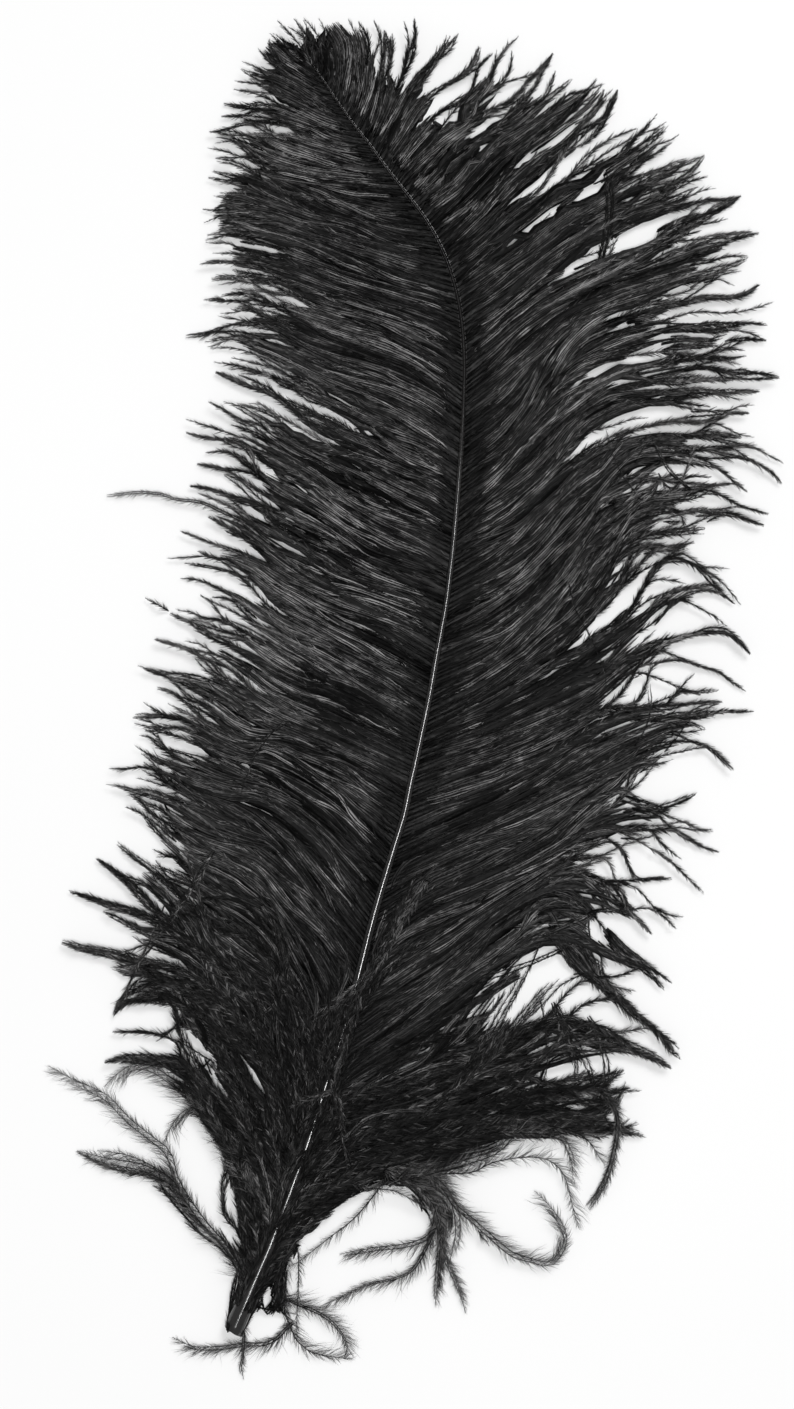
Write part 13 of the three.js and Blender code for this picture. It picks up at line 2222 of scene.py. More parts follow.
    (-17,233.2,-25,234.4,-33.3,237,-41.6,239.8,-49.3,242.2,-57.5,245.2,-65.7,248.1),
    (5.3,-24.8,14.8,-22.5,24.6,-19.7,34.2,-16.1,43.8,-12.6,53.2,-8.4,62.8,-4.8,71.6,-0.8),
    (-71.6,-186.3,-75.8,-179.5,-79,-172.2,-82.6,-165.1),
    (-88.5,-154.6,-90.1,-151.7,-91.7,-148.7),
    (-98.5,-138.1,-102.6,-132.1,-106.9,-125.7,-114.5,-123.2),
    (4.5,-169.9,12.9,-166.7,22.1,-163.9,31.5,-162,40.6,-158.8,49.1,-154.5,57.6,-151.5),
    (-8.3,-49.2,-14.9,-44.8,-21.7,-39.4,-27.6,-34.1,-35.3,-30.1,-43.1,-26.5,-50.5,-23.5,-58.4,-19.9,-66.6,-18,-74.6,-17.4,-82.7,-14.4,-90.4,-10.6),
    (-73.4,-15.7,-80.9,-11.1,-88.4,-5.5,-95.9,-0.7),
    (15.8,-57.4,27.7,-52,40.1,-46.5,52.8,-41.9,65.2,-36.4,77.3,-30,89.4,-23.8,101.2,-17.2,113.1,-11.5),
    (-32.7,-107.8,-38.3,-102.1,-44.2,-95.8,-50,-89.3,-56.1,-83.1,-62.4,-77.1,-68.8,-71.3,-76.8,-68,-84.9,-65,-93.1,-62.2,-100.7,-57.9,-108.1,-53.5),
    (6.5,-130.8,14.3,-124.5,22.7,-118.1,29.3,-109.9,34.7,-100.9,42.1,-94.2),
    (-35.3,235.8,-43.5,238.5,-52,241.7,-60.6,244.8,-68.6,248.1),
    (62.5,215.8,68.2,220.2,73.8,224.7),
    (17.2,118.1,10.3,124.8,1.7,130.2,-7.6,134.6,-17.1,138.1,-27.1,140.5,-36.8,143.5,-46.3,147.3,-54.9,151.5),
    (62.7,141.4,69.8,147.6,78.3,152.9,87.3,157.4,95.9,161.3),
    (-6.2,-100.6,0.4,-89.5,10.3,-80.9,22.6,-75.1,34.6,-68.9,46.7,-62.9,58.2,-55.8,69.2,-47.9,78.9,-39.2),
    (13.5,201.5,19.9,206.5,26.3,212.5,31.5,218.7,37,225.6),
    (37.8,226.6,40.5,229.7,43.8,233.1),
    (-60.5,-200,-60.5,-189.2,-58.5,-178,-59.7,-166.7,-63.7,-156,-69.2,-146,-73.8,-135.7,-81.2,-127.6,-88.8,-120.1),
    (10.7,207.9,16.5,211.4,22,215.4,27.3,220.7),
    (62.6,103.9,66.6,108.6,71.1,112.7),
    (20.1,184.6,27.2,190.4,34.3,197.2,41.2,204,48.8,210.1,56.7,215.9,64.9,221.1,72.7,226.1),
    (4.9,-41.4,13.2,-38.8,21.4,-36.1,29.6,-33.5,37.8,-30.7,45.7,-27.2,53.9,-24.4,61.7,-20.6,69.1,-16.1,76.7,-10.8),
    (80.4,152.5,87.9,156,96.2,159.2,104.3,161.6),
    (16.6,-27.5,24.6,-24.5,33,-21.2,41.5,-18,49.7,-14.2,57.9,-10.4,66.3,-7.2,73.8,-3.2),
    (-75.3,-191.2,-81.4,-184.2,-88.3,-177.2,-96.2,-171.4,-103.6,-164.8,-111.4,-160),
    (-6.7,8.7,-14.9,12.9,-23.6,17.2,-32.4,21.4,-41.4,25,-50.7,28.1,-59,31.9),
    (41.8,-107.7,47.3,-99.7,51.9,-90.5,61.5,-87.5,71.3,-90.6,79.3,-96.3),
    (-10.4,170.2,-17.4,172.7,-24.9,175.5,-31.9,177.9,-39.6,180.4,-46.6,182.8,-54.1,185.8),
    (5.4,153.9,-3.2,158.3,-12.1,163.3,-21.5,167.1,-31.4,169.7,-41.3,172.2,-50.3,175.8),
    (-33.8,44.7,-40.8,47.3,-47.7,50.1,-54.9,53.8,-61.3,57.6,-68.4,61.6),
    (10,43.4,1.4,46.7,-8.1,49.6,-17.3,53.1,-26,57.6,-34.5,62.6,-42.6,67.1),
    (-19,-163.5,-11.4,-158.5,-4,-152.4,3.9,-147,11.7,-141.4,19.5,-135.7,27,-130.6),
    (-60.9,-29.4,-69.4,-27.4,-78.4,-25,-87,-21.6,-95.1,-17,-103,-13.3),
    (-32.9,-7.6,-39.2,-3.8,-45.8,-0.6,-53.1,2.7,-59.6,6,-65.7,10.1,-72.2,14.7),
    (13.9,-153.7,20.2,-151.3,25.5,-147.4,29.9,-142.2,33.9,-136.8),
    (24.7,134.5,32.7,139.8,40.7,146.1,48.5,152.6,55.6,159.8,62.3,167.5,70.5,173.4,79.1,177.6),
    (-62.4,-220.4,-61.5,-212.5,-60.9,-203.9,-62.9,-195.5,-64.6,-187.7,-65.7,-179.1,-67.4,-170.6),
    (-71,-161.4,-75.5,-154.9,-81.3,-148.4,-86.4,-142.3,-91.9,-135.6,-94.4,-128.2,-96.2,-119.8,-101.8,-114.4,-108.7,-109.2),
    (-8.7,242.1,-3.9,250,1.4,258.3,7.4,265.4),
    (-45.6,-52.1,-53.7,-47.1,-62.7,-42.8,-72.4,-40.3,-82.5,-40.3,-92.3,-38.5,-101.6,-34.7,-109.1,-28.9),
    (19.6,260.2,26.5,265.9,31.9,273),
    (-14.2,-120.2,-3.6,-114.5,7.3,-108.2,18.2,-101.9,28.5,-94.8,39.1,-88,49.8,-81.4,60.3,-74.5,70.9,-68.8),
    (0.8,221.4,7.5,227.8,14.5,234),
    (24,114.9,32.8,119.6,40.5,126.8,47.2,135,52.6,143.4),
    (-55.2,-103.2,-60,-94.7,-68.2,-88.7,-76.6,-82.9,-85.1,-77,-94.6,-72.9,-102.6,-67.6),
    (-56.9,-218.2,-53.7,-208.4,-49.8,-198.8),
    (12.1,14.4,21.6,15.6,31.1,18.8,39.2,24.7,46.5,31.7,54,38.4,61,44.9),
    (68.9,209.6,75.4,213.1,81.8,216.7,88.1,220.6,94.5,224.3,101.8,227.7),
    (76.8,-176.8,80.9,-172.2,85,-167.7),
    (44.6,-191.9,55.9,-191.2,66.7,-194.4),
    (49,-71.8,56.9,-67.2,64.7,-61.7,71.4,-54.8,78.9,-48.8,86.2,-42.6,94.4,-38.7),
    (-53.7,-170.3,-53.3,-161.9,-54.4,-152.9,-52.1,-144.4,-44.6,-139.6,-37.5,-134.1,-30.5,-129.3),
    (-25.9,-3.6,-32.8,-0.9,-39.8,1.2,-47.4,3.9,-54.1,7,-61.2,10.8,-67.4,14.7,-74.1,19.2),
    (28.5,-88.8,35.8,-84.2,43.5,-80.1,51.2,-76.2,59,-72.4,66.8,-68.5),
    (11.5,185.9,1.8,188.4,-8.3,191.5,-18.2,195.1,-28.3,198,-38.3,201.5,-48.4,204.3,-58.4,207.8,-68.2,209.6),
    (-18.6,17.5,-26.6,22.8,-35.4,27.7,-44.2,32.8,-53.3,37.2,-61.9,41.3),
    (-20.6,-118.2,-15.1,-110.5,-9.7,-102,-4.5,-93.5,-0.4,-84.3,4.5,-75.8,13.4,-71.2,22.5,-67.1,31.2,-63.4),
    (-40.2,22,-49.3,24.5,-57.9,29.3,-65.6,35.7,-73.7,41.5,-81.7,46.5),
    (-73.3,-64.5,-81.3,-64,-89,-62,-96.5,-59,-103.5,-55.2,-110.5,-51.2),
    (37.1,239.7,43,244.2,48.9,248.6,55.3,253.5,61.4,257.6,67.7,261.5,74.3,266),
    (-12.1,-208.1,-3,-212.4,4.4,-220,9.9,-228.9,9.2,-239),
    (112.6,159.6,116.7,159.6,120.9,159.6),
    (-67.6,-19.1,-75.7,-19.1,-83,-15.7,-90.1,-11.9,-97,-7.6),
    (69.6,-32.8,76.2,-28,83.8,-23.8,91.7,-20.1,99.7,-16.6,107.1,-13.1),
    (-33.9,208.9,-43,210.2,-52.1,213.4,-61.3,216.6,-70.6,219.1,-78.9,222.9),
    (-64.9,-64,-73,-61,-81.8,-58.1,-90.5,-54.7,-98.5,-50.2,-106.8,-46.3,-114.7,-42.6),
    (-13.7,-38.5,-21,-33.7,-28.9,-28.9,-37.5,-25.7,-46.6,-23.9,-55.1,-20.3,-63.3,-17.2),
    (-89.3,-154.8,-92.1,-150.1,-94.4,-145.2),
    (-60.6,-46,-69.7,-43.5,-79.7,-43.1,-89.5,-41.3,-98.8,-37.8,-106.2,-32),
    (3.6,217.8,9.9,221.9,15.6,226.7,20.8,232.1,25.6,238.7),
    (17.7,42.9,27.7,46.7,37.7,51.7,46.6,58.6,54.3,66.8,61.4,75.5,68.3,84.4,76.4,92.2,85.1,98.4),
    (-30.4,231.2,-39.9,233,-49.5,236,-59.3,238.5,-68,243.5,-76.6,247.6),
    (14.6,-223.4,14.9,-228.5,15,-233.5),
    (-2.2,-21.5,-10.2,-17.7,-18.4,-13.3,-26.2,-8.2,-34.4,-3.7,-43,0.1,-51.8,3.1,-59.8,6.7),
    (107.6,163,115.1,163.5,123.4,163.6),
    (-3.4,-26.3,-10.6,-22.7,-17.6,-18.9,-24.5,-14.8,-31.6,-11.1,-39.8,-8.4,-47.6,-6.4,-54.9,-3,-61.8,0.9,-69,5.8),
    (5,15.3,-2.5,19,-10.5,22.9,-18.7,26.4,-26.6,30.5,-34.5,34.6,-41.1,39.7),
    (45.7,67.1,52.5,73.9,59.3,81.6,66.4,89,74.2,95.6,82.5,101.6,88.7,109.5,95.1,116.3),
    (-11.9,64.2,-19.1,67.9,-26.1,72,-32.8,76.5,-39.4,81.1,-46.2,85.5),
    (-51.4,88.6,-57.2,92.1,-63.5,96),
    (77.7,167.4,83.7,170.4,90.6,173,96.9,175,104.1,176.7,111.1,178.9),
    (18.7,12,25.9,15.6,33.1,20.2,39.6,26,45.9,32,52,38.1,57.6,43.9,63.6,50.1,69.7,56.4,74.6,63.5,79.7,70.5),
    (84.8,75.8,88.5,79.6,92.8,83.8,97.1,88),
    (-13.6,-66.5,-19.5,-61.1,-25.7,-55,-31,-49.1,-37.8,-43.7,-44.5,-39.3,-52.2,-35.3,-59.4,-31.9,-67.4,-28.7,-75.3,-27.1,-83.5,-24.4,-90.9,-21.3,-98.9,-18.1),
    (-44.3,271.9,-51.4,276.4,-58.9,281.1,-65.5,286.3),
    (50.5,86.6,56.1,91.4,61.8,96.1,67.5,100.7,73.3,105.2,79.4,109.4,86.4,113.4),
    (42.1,-100.2,48.8,-99.7,56.2,-99.8),
    (58.8,-99.9,65.8,-102.1,72.5,-105.2,79.1,-108.6,85,-113),
    (2.3,200.2,-7.7,201.6,-17.6,205.7,-27.6,209.6,-38,212.4,-48.1,215.6,-57.2,221.4,-66.2,227.1,-75.3,231.8),
    (-59.2,-68.9,-67.1,-65,-76.5,-63.7,-85.8,-61.9,-94.8,-58.7,-103.4,-54.8,-111.3,-50.6),
    (-25.1,-108.1,-31.3,-101.3,-38.3,-94.6,-44.1,-86.8,-49.7,-78.9,-56.1,-71.5,-62.7,-64.4,-70.6,-59.7),
    (7.3,27.2,-0.8,30.1,-9.3,33.3,-18,36.4,-26.6,39.3,-35.2,42.5,-43.5,46.3,-51.2,50.1),
    (-13.1,-153.5,-6.8,-149.8,-0.1,-145.5,6.4,-140.8,12.5,-135.7,19.1,-131.1,25.9,-127),
    (27,-126.3,29.9,-124.6,32.6,-122.7),
    (38.6,-118.4,43.9,-113.4,49.7,-108),
    (13.5,-72.5,21.6,-68.8,30.3,-65.2,39.1,-62,47.9,-58.6,56.4,-54.5,64.5,-49.8,71.6,-43.7,78.1,-37.7),
    (13,182.1,5,185,-3.7,187.5,-12.1,190.8,-20.5,194.1,-29.2,196.3,-37.1,199.4),
    (16.9,165.1,5.6,169.9,-6.7,173.5,-18.8,177.7,-31.1,181.6,-43.1,186.1,-54.9,191.1,-67.4,193.9,-79.5,196),
    (-44.4,212.6,-53.7,217.5,-63.1,223.1,-71.8,228.9),
    (-44.1,-128.5,-48.8,-121.2,-52.8,-113.6,-56.6,-105.7,-60.7,-98.3,-67.5,-92.8,-75.1,-88.8,-83,-85.2,-90.8,-81.4,-98.2,-76.9),
    (-68.3,-212,-71.5,-203.9,-76.7,-196.3,-83,-189.5,-90.2,-183.7,-98.8,-183),
    (8.1,195.3,-1.3,196.6,-11.2,198.4,-20.8,201.4,-29.9,205.4,-39.7,207.9,-49.7,209,-58.5,212.4),
    (-94.7,-234.2,-100.4,-227.8,-106.4,-221,-111.3,-213.5,-112.9,-205.5),
    (-65,-269.2,-60.8,-259.5,-58.2,-248.6,-51.2,-240.5),
    (40.2,184,47.9,189.7,56,195.7,64.4,201.4,72.9,207,81.2,211.7),
    (15.2,223.3,18.1,226.3,21.4,229.7),
    (-62.6,-211.7,-65,-204.1,-68,-196.8,-72.2,-190,-76.9,-183.5,-82,-177.4,-86,-170.5),
    (-89.1,-164.7,-90.7,-161,-92.5,-156.7),
    (-96,-148.8,-99,-142.9,-102.6,-136.6),
    (-105.3,-132.8,-108.8,-127.9,-114.6,-126.8,-120.5,-126),
    (-23.9,254.9,-20.2,264.2,-17.3,273.8),
    (-3.5,69.6,-10.5,73.4,-18.1,77.6,-25.5,82,-32.2,86.4,-39,91.7,-46,96.8,-52.9,100.8,-60.5,105,-67.9,109.6),
    (-16,-121.1,-9.1,-117.1,-2.4,-112.7,4.1,-108,11.3,-103.1,17.9,-98.6,24.6,-94.2,31.4,-89.9,38.8,-85.4,45.7,-81.4,52.6,-77.3,59.4,-73.1,67,-68.8),
    (-63,-223,-61.3,-210.2,-55.1,-198,-52,-184.7,-52.9,-171.2,-49.9,-158.1,-50.1,-144.6,-52.6,-131.2,-57.2,-118.9),
    (76.5,-162.9,78.4,-172.7,83,-182.1,87.5,-191.1),
    (18.3,191.1,24.2,195.6,29.7,200.5,35.5,206.1,40.7,211.4,46.1,216.4,52.8,221),
    (43.9,8.3,49.8,11.7,55.5,15.5),
    (16.2,36.6,24.2,39.5,32.8,42.5,40.8,47.1,48.5,52,55.3,58,61.2,64.3),
    (-64.6,-221.4,-66.7,-212.3,-70.9,-203.6,-78.3,-197.1,-85.6,-190.6,-93.8,-186.1),
    (10.1,76.6,2.6,79.6,-5.6,82.6,-13.7,86,-21.3,90.3,-28.5,95.2,-35.8,100),
    (7.4,-158.1,13.6,-154,20.1,-149.2,25.4,-144,30.3,-137.6,35.1,-131.1),
    (-3.1,-56.2,5.2,-53.1,14,-49.6,23,-46.9,31.9,-43.7,40.1,-40.3),
    (49.9,-32.1,56.5,-28.8,63.6,-24.8,70,-21,77.3,-17.7),
    (83.7,-15.6,86,-14.3,89,-12.7),
    (24.9,154.2,31.4,159.1,37.8,164.8,44.6,170.1,51.1,174.9),
    (-65.3,-37.1,-74.5,-34.7,-83.8,-30.9,-93.1,-27.4,-101.8,-23.5),
    (-21,250,-17.9,259,-15.8,268.8,-14.1,278.2),
    (-38.9,-162.8,-39.2,-153.7,-37.8,-144,-39.5,-134.5,-40.9,-124.9,-44.1,-115.7,-49.4,-107.5,-55.4,-100.5),
    (-25.7,-109.4,-32,-102.4,-38.9,-95.2,-44.9,-87.3,-52.7,-81.3,-61.1,-76,-68.9,-69.9,-78,-66.1,-87.3,-64.7),
    (-24.7,165,-32.4,167.6,-40.8,170.4,-48.9,173.9),
    (16.1,103.4,9.8,107.3,2.6,111,-5,113.8,-12.7,116.5),
    (24.9,148.2,31.3,153,37.9,158.6,44.5,164.3,51.5,169.4,58.8,174.1,66.5,178.2,74.2,182.2),
    (77.7,184.1,81.7,186.6,85.6,189.1),
    (4.5,138.1,-3.6,143.4,-13.2,147.5,-22.9,150.9,-32.6,154.6,-42.6,157.2,-52.1,161.4,-61.1,165.2),
    (0.3,-43.4,8,-41.3,16.3,-38.9,23.9,-36.6,32.2,-34.1,40.2,-30.9,47.6,-27.8,55.8,-25.1,62.9,-21.5,70.2,-16.9,77.1,-11.7),
    (81.8,-9.3,84.8,-7.8,87.8,-6.3),
    (-12.5,-132.3,-5.2,-129.1,2.2,-124.8,9,-119.5,15,-114.3,21.3,-108.3,26.9,-101.7,33.4,-96.1,39.7,-91.3,47.1,-86.7,54.3,-82,61.6,-77.4),
    (67.3,-75.6,69.8,-74.9,73,-73.9),
    (3.6,5.8,-2.8,9.3,-10.1,12.6,-17.4,15.7,-24.7,19.1,-31.1,22.6,-38.2,26.3,-45.2,30.1,-52.2,34,-59.2,37.8),
    (-21.5,-129.6,-9.9,-122.4,3.2,-116.8,14.9,-108.7,25.8,-99.5,37.3,-91.2,49.5,-83.7,61.4,-75.9,74.5,-72.3),
    (-19.2,248.7,-15.8,258.1,-14.5,268),
    (-21.7,-94.7,-27.9,-85.8,-34.5,-76.5,-39.9,-66.4,-46.1,-56.8,-53.7,-48.3,-63.4,-42.4,-74.3,-39.4,-85.2,-39.1),
    (10.3,42.6,2.7,45.3,-5.6,47.8,-14,49.9,-22.4,51.9,-30.6,54.8,-38.4,58.5,-45.7,63.3,-53.1,67.7,-60.7,72.1,-68.2,76.3,-75.8,80.6),
    (24.8,79.3,32.8,83.5,41,88.6,48.8,94.2,56,100.6,62.2,107.8,66.7,115.6),
    (-60,-182.9,-61.8,-170.7,-68.2,-159.4,-77.3,-150.2,-86.3,-140.9,-93.8,-130.5,-94.9,-117.6,-104.7,-109.6,-116.1,-105.4),
    (-4.5,-31.7,-11.9,-27.4,-20.1,-23.3,-27.9,-18.5,-36.3,-15,-45.1,-12.3,-53.6,-8.9,-61.9,-5.2,-69.5,-1.1),
    (16.2,194.5,22.6,199.4,29.1,205.1,35.1,211.4,40.8,218),
    (52.9,229.4,54.9,231.1,57.5,233.3),
    (45.8,-41.7,52.1,-37.8,58.7,-33.3,64.8,-29.2,71.6,-24.9,78.1,-21.5,85.4,-18.1,92.7,-14.7),
    (-55.3,118.5,-57.6,120,-60.4,122),
    (-33.2,267.2,-32.2,277.2,-32.5,287.7,-36,297),
    (-13.6,241.2,-9.4,248.2,-5.3,256.1,-0.9,263.7),
    (41.1,191.9,47.7,196.5,53.8,201.7,59.9,207,66.3,211.8,73.2,215.9,80.5,219.3,87,224.1,94.2,228.9),
    (-18.3,-83.2,-24.1,-76.2,-30.4,-68.9,-36.9,-61.8,-43.1,-55.1),
    (-96.6,-170.6,-102.5,-162.5,-111.6,-158.7),
    (-72,-234.2,-73.2,-224.8,-74.1,-214.9,-75.1,-204.9,-80.1,-196.5,-86.9,-190),
    (4.2,222,6.9,224,9.6,226),
    (13.8,229.5,16.8,232.2,19.8,234.9),
    (24.3,124.2,31.4,128.4,38.3,134,44.4,140.4,50.7,146.7,56.8,152.3),
    (65.7,111.1,70.8,117.3,77.4,123,84.5,126.7,92.5,129.9,101,131.5),
    (103.7,131.8,109.7,132.2,115.7,132.6,122.4,133),
    (-0.7,-16.7,-9.6,-12.4,-18.4,-7,-26.4,-0.3,-35.3,4.8,-45.3,7.7,-55.2,10.8,-64.4,15.5,-72.5,21.1),
    (-16.5,208.6,-25.6,212.7,-35.1,217.2,-44.4,222.2,-53.6,226.3),
    (-30.1,-45.7,-37.2,-41,-44.9,-36.3,-52.6,-31.6,-61,-28.2,-69.8,-26.3,-78.8,-25.4,-86.9,-22.7),
    (34,-155,42.3,-151.8,49.8,-145.7,56.8,-140),
    (-30.4,263.3,-28.8,272.9,-27.2,283.1,-27.2,292.8),
    (-53.2,212.4,-63.1,215.8,-73.2,220.3,-83.4,222),
    (16.1,196.7,23.3,202.5,30.6,209.2,37.3,216.4,44,223.6,51.3,230.2,58.9,236.5,66.5,242.7,72.7,249.7),
    (-13.7,-192.6,-4.2,-191.7,5.4,-188.6,13.5,-182.6,21.7,-176.8,31,-173,40.2,-168.8,49.5,-164.8,58.7,-162.2),
    (-21.8,-197.1,-12.4,-195,-2.4,-194.3,7.2,-191.3,16,-186.3,25.1,-181.8,34,-177.2,43.4,-173.4,52.7,-173.6),
    (-24.9,-107.2,-31.3,-100.4,-35.8,-91.7,-39.3,-82.5,-45.5,-74.8,-51.9,-67.2,-58.1,-59.4,-65.5,-52.8,-73.7,-48.4),
    (16.3,101.4,9,105.2,1.2,109.2,-7,112.5,-14.3,116.2),
    (-64.9,-135.8,-71.1,-128.4,-78.2,-121.2,-86.8,-115.8,-91.4,-107.3,-94.7,-97.7,-99.7,-88.9,-106.4,-82.1),
    (-14.1,-67.4,-21.2,-61.1,-27.9,-53.7,-35.9,-47.8,-45,-43.5,-53.5,-38.1,-61.7,-32.3,-70.2,-28.2),
    (44.5,67.7,50,74,56.2,80.6,62.1,87.5,67.6,94.6,74,101.1,81.1,106.6,87.8,111.8),
    (-11.7,-84.1,-6,-77.7,2.7,-73.9,11.4,-70,20.2,-66.4,29.1,-63.1,38.1,-60.3,47,-56.9,54.9,-52.8),
    (-71.9,-255.8,-69.6,-249,-66.3,-242.7),
    (46.6,241,52.4,244.6,57.7,248.9,62.6,253.5),
    (67.9,257.8,71,260.5,74,263.3),
    (-51.9,-43.9,-58,-39.8,-64.8,-36.8,-71.6,-34.2,-78.3,-31.1,-84.8,-27.6,-92.1,-24.3),
    (33.5,-28.4,41.5,-25.4,49.9,-21.9,58.1,-17.8,66.3,-13.7,74.4,-9.4,82.1,-4.5,90.4,-2.4),
    (-32.8,-164.4,-29.8,-153.4,-22.2,-145.1,-11.6,-139.7,-2,-132.5,8.2,-126.3,17.8,-119.2,26.6,-111.1,33,-101.7),
    (-94.8,-110.3,-98.1,-102.8,-103,-95.7,-106.9,-88,-112.2,-81.3,-118.7,-76.3),
    (-12,238.9,-7.7,245.8,-3.5,253.3,1.5,260.3,6.9,266.3),
    (-0.9,99.7,-8.9,103.9,-16.7,109.3,-25.5,113.4,-34.3,117.2,-43,121.4,-50.9,125.7),
    (14.9,27.9,22.3,30.9,30.1,34.8,37.6,39.1,44.6,44.1,51.4,49.5,57.4,54.8,63.4,61.1,69.4,67.3,75.3,73.6,79.9,81),
    (85,86,88.3,88.3,91.6,90.5),
    (-80.9,-189.4,-85.2,-185,-90.2,-180.5),
    (-95.7,-176.5,-100.8,-173.1,-106.5,-169.4),
    (0.4,-93.5,7.7,-90.3,15,-87.2,22.5,-84.3,30.5,-81,37.7,-77.8,45,-74.5,52.2,-71.2,59.9,-67.3,67,-63.5,73.8,-59.4,80.6,-55.3,88.8,-52.5),
    (95.8,-50.8,101.8,-51,108.4,-51.2),
    (20.3,59.3,28.4,62.3,36.5,66.4,44,71.7,50.3,78.2,56.7,84.8,62.9,90.8),
    (-44.7,38.4,-52.3,43.7,-60.9,48.6,-68.6,54.7,-77.1,59.7,-85.8,62.7),
    (24.1,164.2,32.6,169,40.8,175.1,48.2,182.2,55.9,189,63.1,195.5),
    (16.8,193.8,22.7,198.4,28.4,203.2,33.6,208.6,38.5,214.3),
    (-10.3,-79.2,-1.1,-73.8,9.3,-69.3,19.5,-64.3,29.9,-59.8,41.1,-57.9,51.5,-53.6,61.4,-48.2,70.3,-42.1),
    (44.6,226.9,51.2,232.8,58.5,238.8,65.8,244.8,72.5,251.4,79.5,256.8),
    (17.7,135.4,9.6,140.2,1.4,145.8,-7.8,149.8,-17.1,153.3,-26.4,156.7,-35.5,159.5),
    (-31.2,-190.3,-33.3,-178.4,-33.3,-165.8,-29.8,-153.6,-26.4,-141.4,-22.9,-129.2,-15.9,-118.9,-6.7,-110.2,3.6,-103.8),
    (-61.8,-231.1,-61.9,-221.1,-59.4,-210.9,-54.6,-201.5,-49.8,-192.2,-45,-183.4),
    (18.1,261,24.2,265.9,29.2,272.1),
    (-56.3,-172.3,-56.4,-163.5,-58.7,-154.3,-59.4,-144.8,-59.6,-135.3,-58.5,-125.9,-59.8,-116.6,-64.9,-108.7,-71.1,-102.2),
    (18.4,-20.1,27.5,-16.9,37.1,-13.3,46.2,-8.6,55.7,-4.7,65.3,-1.1,74.9,2.5,83,7.8),
    (-47.8,-105.8,-54.4,-99.4,-59.4,-91.1,-65,-83.2,-72.7,-77.2,-81.2,-72.6,-89.8,-69.4),
    (-35.9,-155.2,-34.8,-146.5,-35,-137.1,-30.8,-129.9),
    (16.6,107.1,10.5,112.3,4,117.1,-2.8,121.4,-9.7,125.5,-16.7,129.3),
    (-28.9,134.9,-34.4,137.4,-40.4,140.4),
    (95.6,82.2,104.5,85.9,114.4,84.4),
    (10.7,51.6,1.7,54.4,-7.8,57.6,-17.1,61,-26.4,64.7,-33.9,70.4),
    (-27.6,-22.5,-36,-20.3,-44,-16.9,-52,-13.4,-60,-10.1,-68,-6.9,-75.6,-2.9,-81.8,3.3,-89,8.2),
    (-11.5,253.8,-8.4,259.8,-4.9,266.4,-1,272.7),
    (0.9,-170.5,9.1,-167,18,-163.6,25.9,-158.5,34.3,-155.4,43.4,-157.7,52.1,-155.6),
    (-61.2,-205.4,-64,-198.6,-67.1,-191.9,-70.7,-184.7,-74.4,-178.3,-78.8,-171.6,-81.4,-164.7,-85.7,-157.9),
    (-87.1,-155.6,-89.3,-152.2,-91.4,-148.8),
    (-52.2,-234.4,-53.8,-221.4,-46.7,-209.9,-36.9,-200.1,-25.9,-192.1,-12.9,-187.8,0.8,-186.1,13.9,-183.3,24,-174.8),
    (-34.9,-170.6,-31.4,-157.8,-27.6,-144.5,-22.5,-131.9,-10.3,-125.5,2.1,-119.6,14,-112.6,24,-103.2,33.9,-94.4),
    (93.3,167.5,99.5,169.2,105.9,170.5),
    (-60.8,-171.8,-66.7,-159.7,-76.4,-149.6,-85.8,-139.1,-92.5,-127.3,-92,-113.2,-95,-99.6,-102.2,-87.7,-111.2,-77.9),
    (26.1,-59,37.2,-53.5,48.4,-47.2,59.5,-40.5,71,-34.7,82.4,-28.6,93.6,-22.2,105,-16.2,116.3,-11.2),
    (-28.2,-206,-18.1,-204,-7.3,-202,3.1,-198.7,13.6,-196,24.2,-193.2,34.6,-190,44.9,-186.3,54.9,-183.8),
    (1.5,-5.5,-6.1,-1.7,-14.8,1,-22.7,5.3,-30.5,9.7,-37.9,15,-45.5,19.8,-53.4,23),
    (-22.1,-95.9,-28.8,-90.1,-35.2,-83.1,-41.6,-76.2,-47.6,-69,-52.9,-61.2,-60.2,-55.2,-67.8,-50.6),
    (14.1,74.3,6.9,77.9,-1.5,80.4,-9.2,82.8,-17.6,85.2,-25.2,89.4),
    (-38.9,-90.1,-43.5,-83.6,-48.2,-77.1,-53.1,-70.8,-58.6,-65,-64.3,-59.3,-70.2,-54,-76.8,-49.5,-83.8,-45.8,-91.2,-42.8,-98.4,-39.3,-105.3,-34.1),
    (-112.1,-28.7,-114.2,-27.1,-116.8,-25),
    (-69.3,-255.4,-63.6,-248.3,-57.5,-240.8,-54.4,-231.7,-55.8,-222.8),
    (-13.7,139.5,-20.9,141.4,-28.7,143.4,-36.3,146.1,-43.6,149.4,-50.8,153.1,-58,156.8),
    (18.4,152.4,11.5,156.5,3.7,160.2,-4.3,163.4,-12.5,166.3,-20,169,-28.4,171.1,-36.8,173.4,-45,176.1),
    (65.2,-107,71.9,-114.4,79.9,-121.3,88.9,-125.4),
    (53.5,186,60,191.3,67.5,196.1,74.8,200.2),
    (-40.2,35.1,-48.5,39.6,-57,44.8,-65.4,50.2,-73.4,56.2,-81.7,60.8),
    (4.8,33.4,-4.1,37.1,-13.5,41.1,-23.2,44.2,-33.3,45.8,-43,48.8,-52,52.3),
    (-33.8,-167.9,-28.7,-159.2,-21.6,-151.3,-14.3,-143.6,-5.6,-137.5,3,-131.2,11.7,-125.1,20,-118.5,27.4,-111.6),
    (69.1,-63.3,77.9,-59.5,87.8,-58,97.2,-59.6),
    (-103.4,-105,-110.8,-103.3,-118.1,-101.3,-125,-98.4),
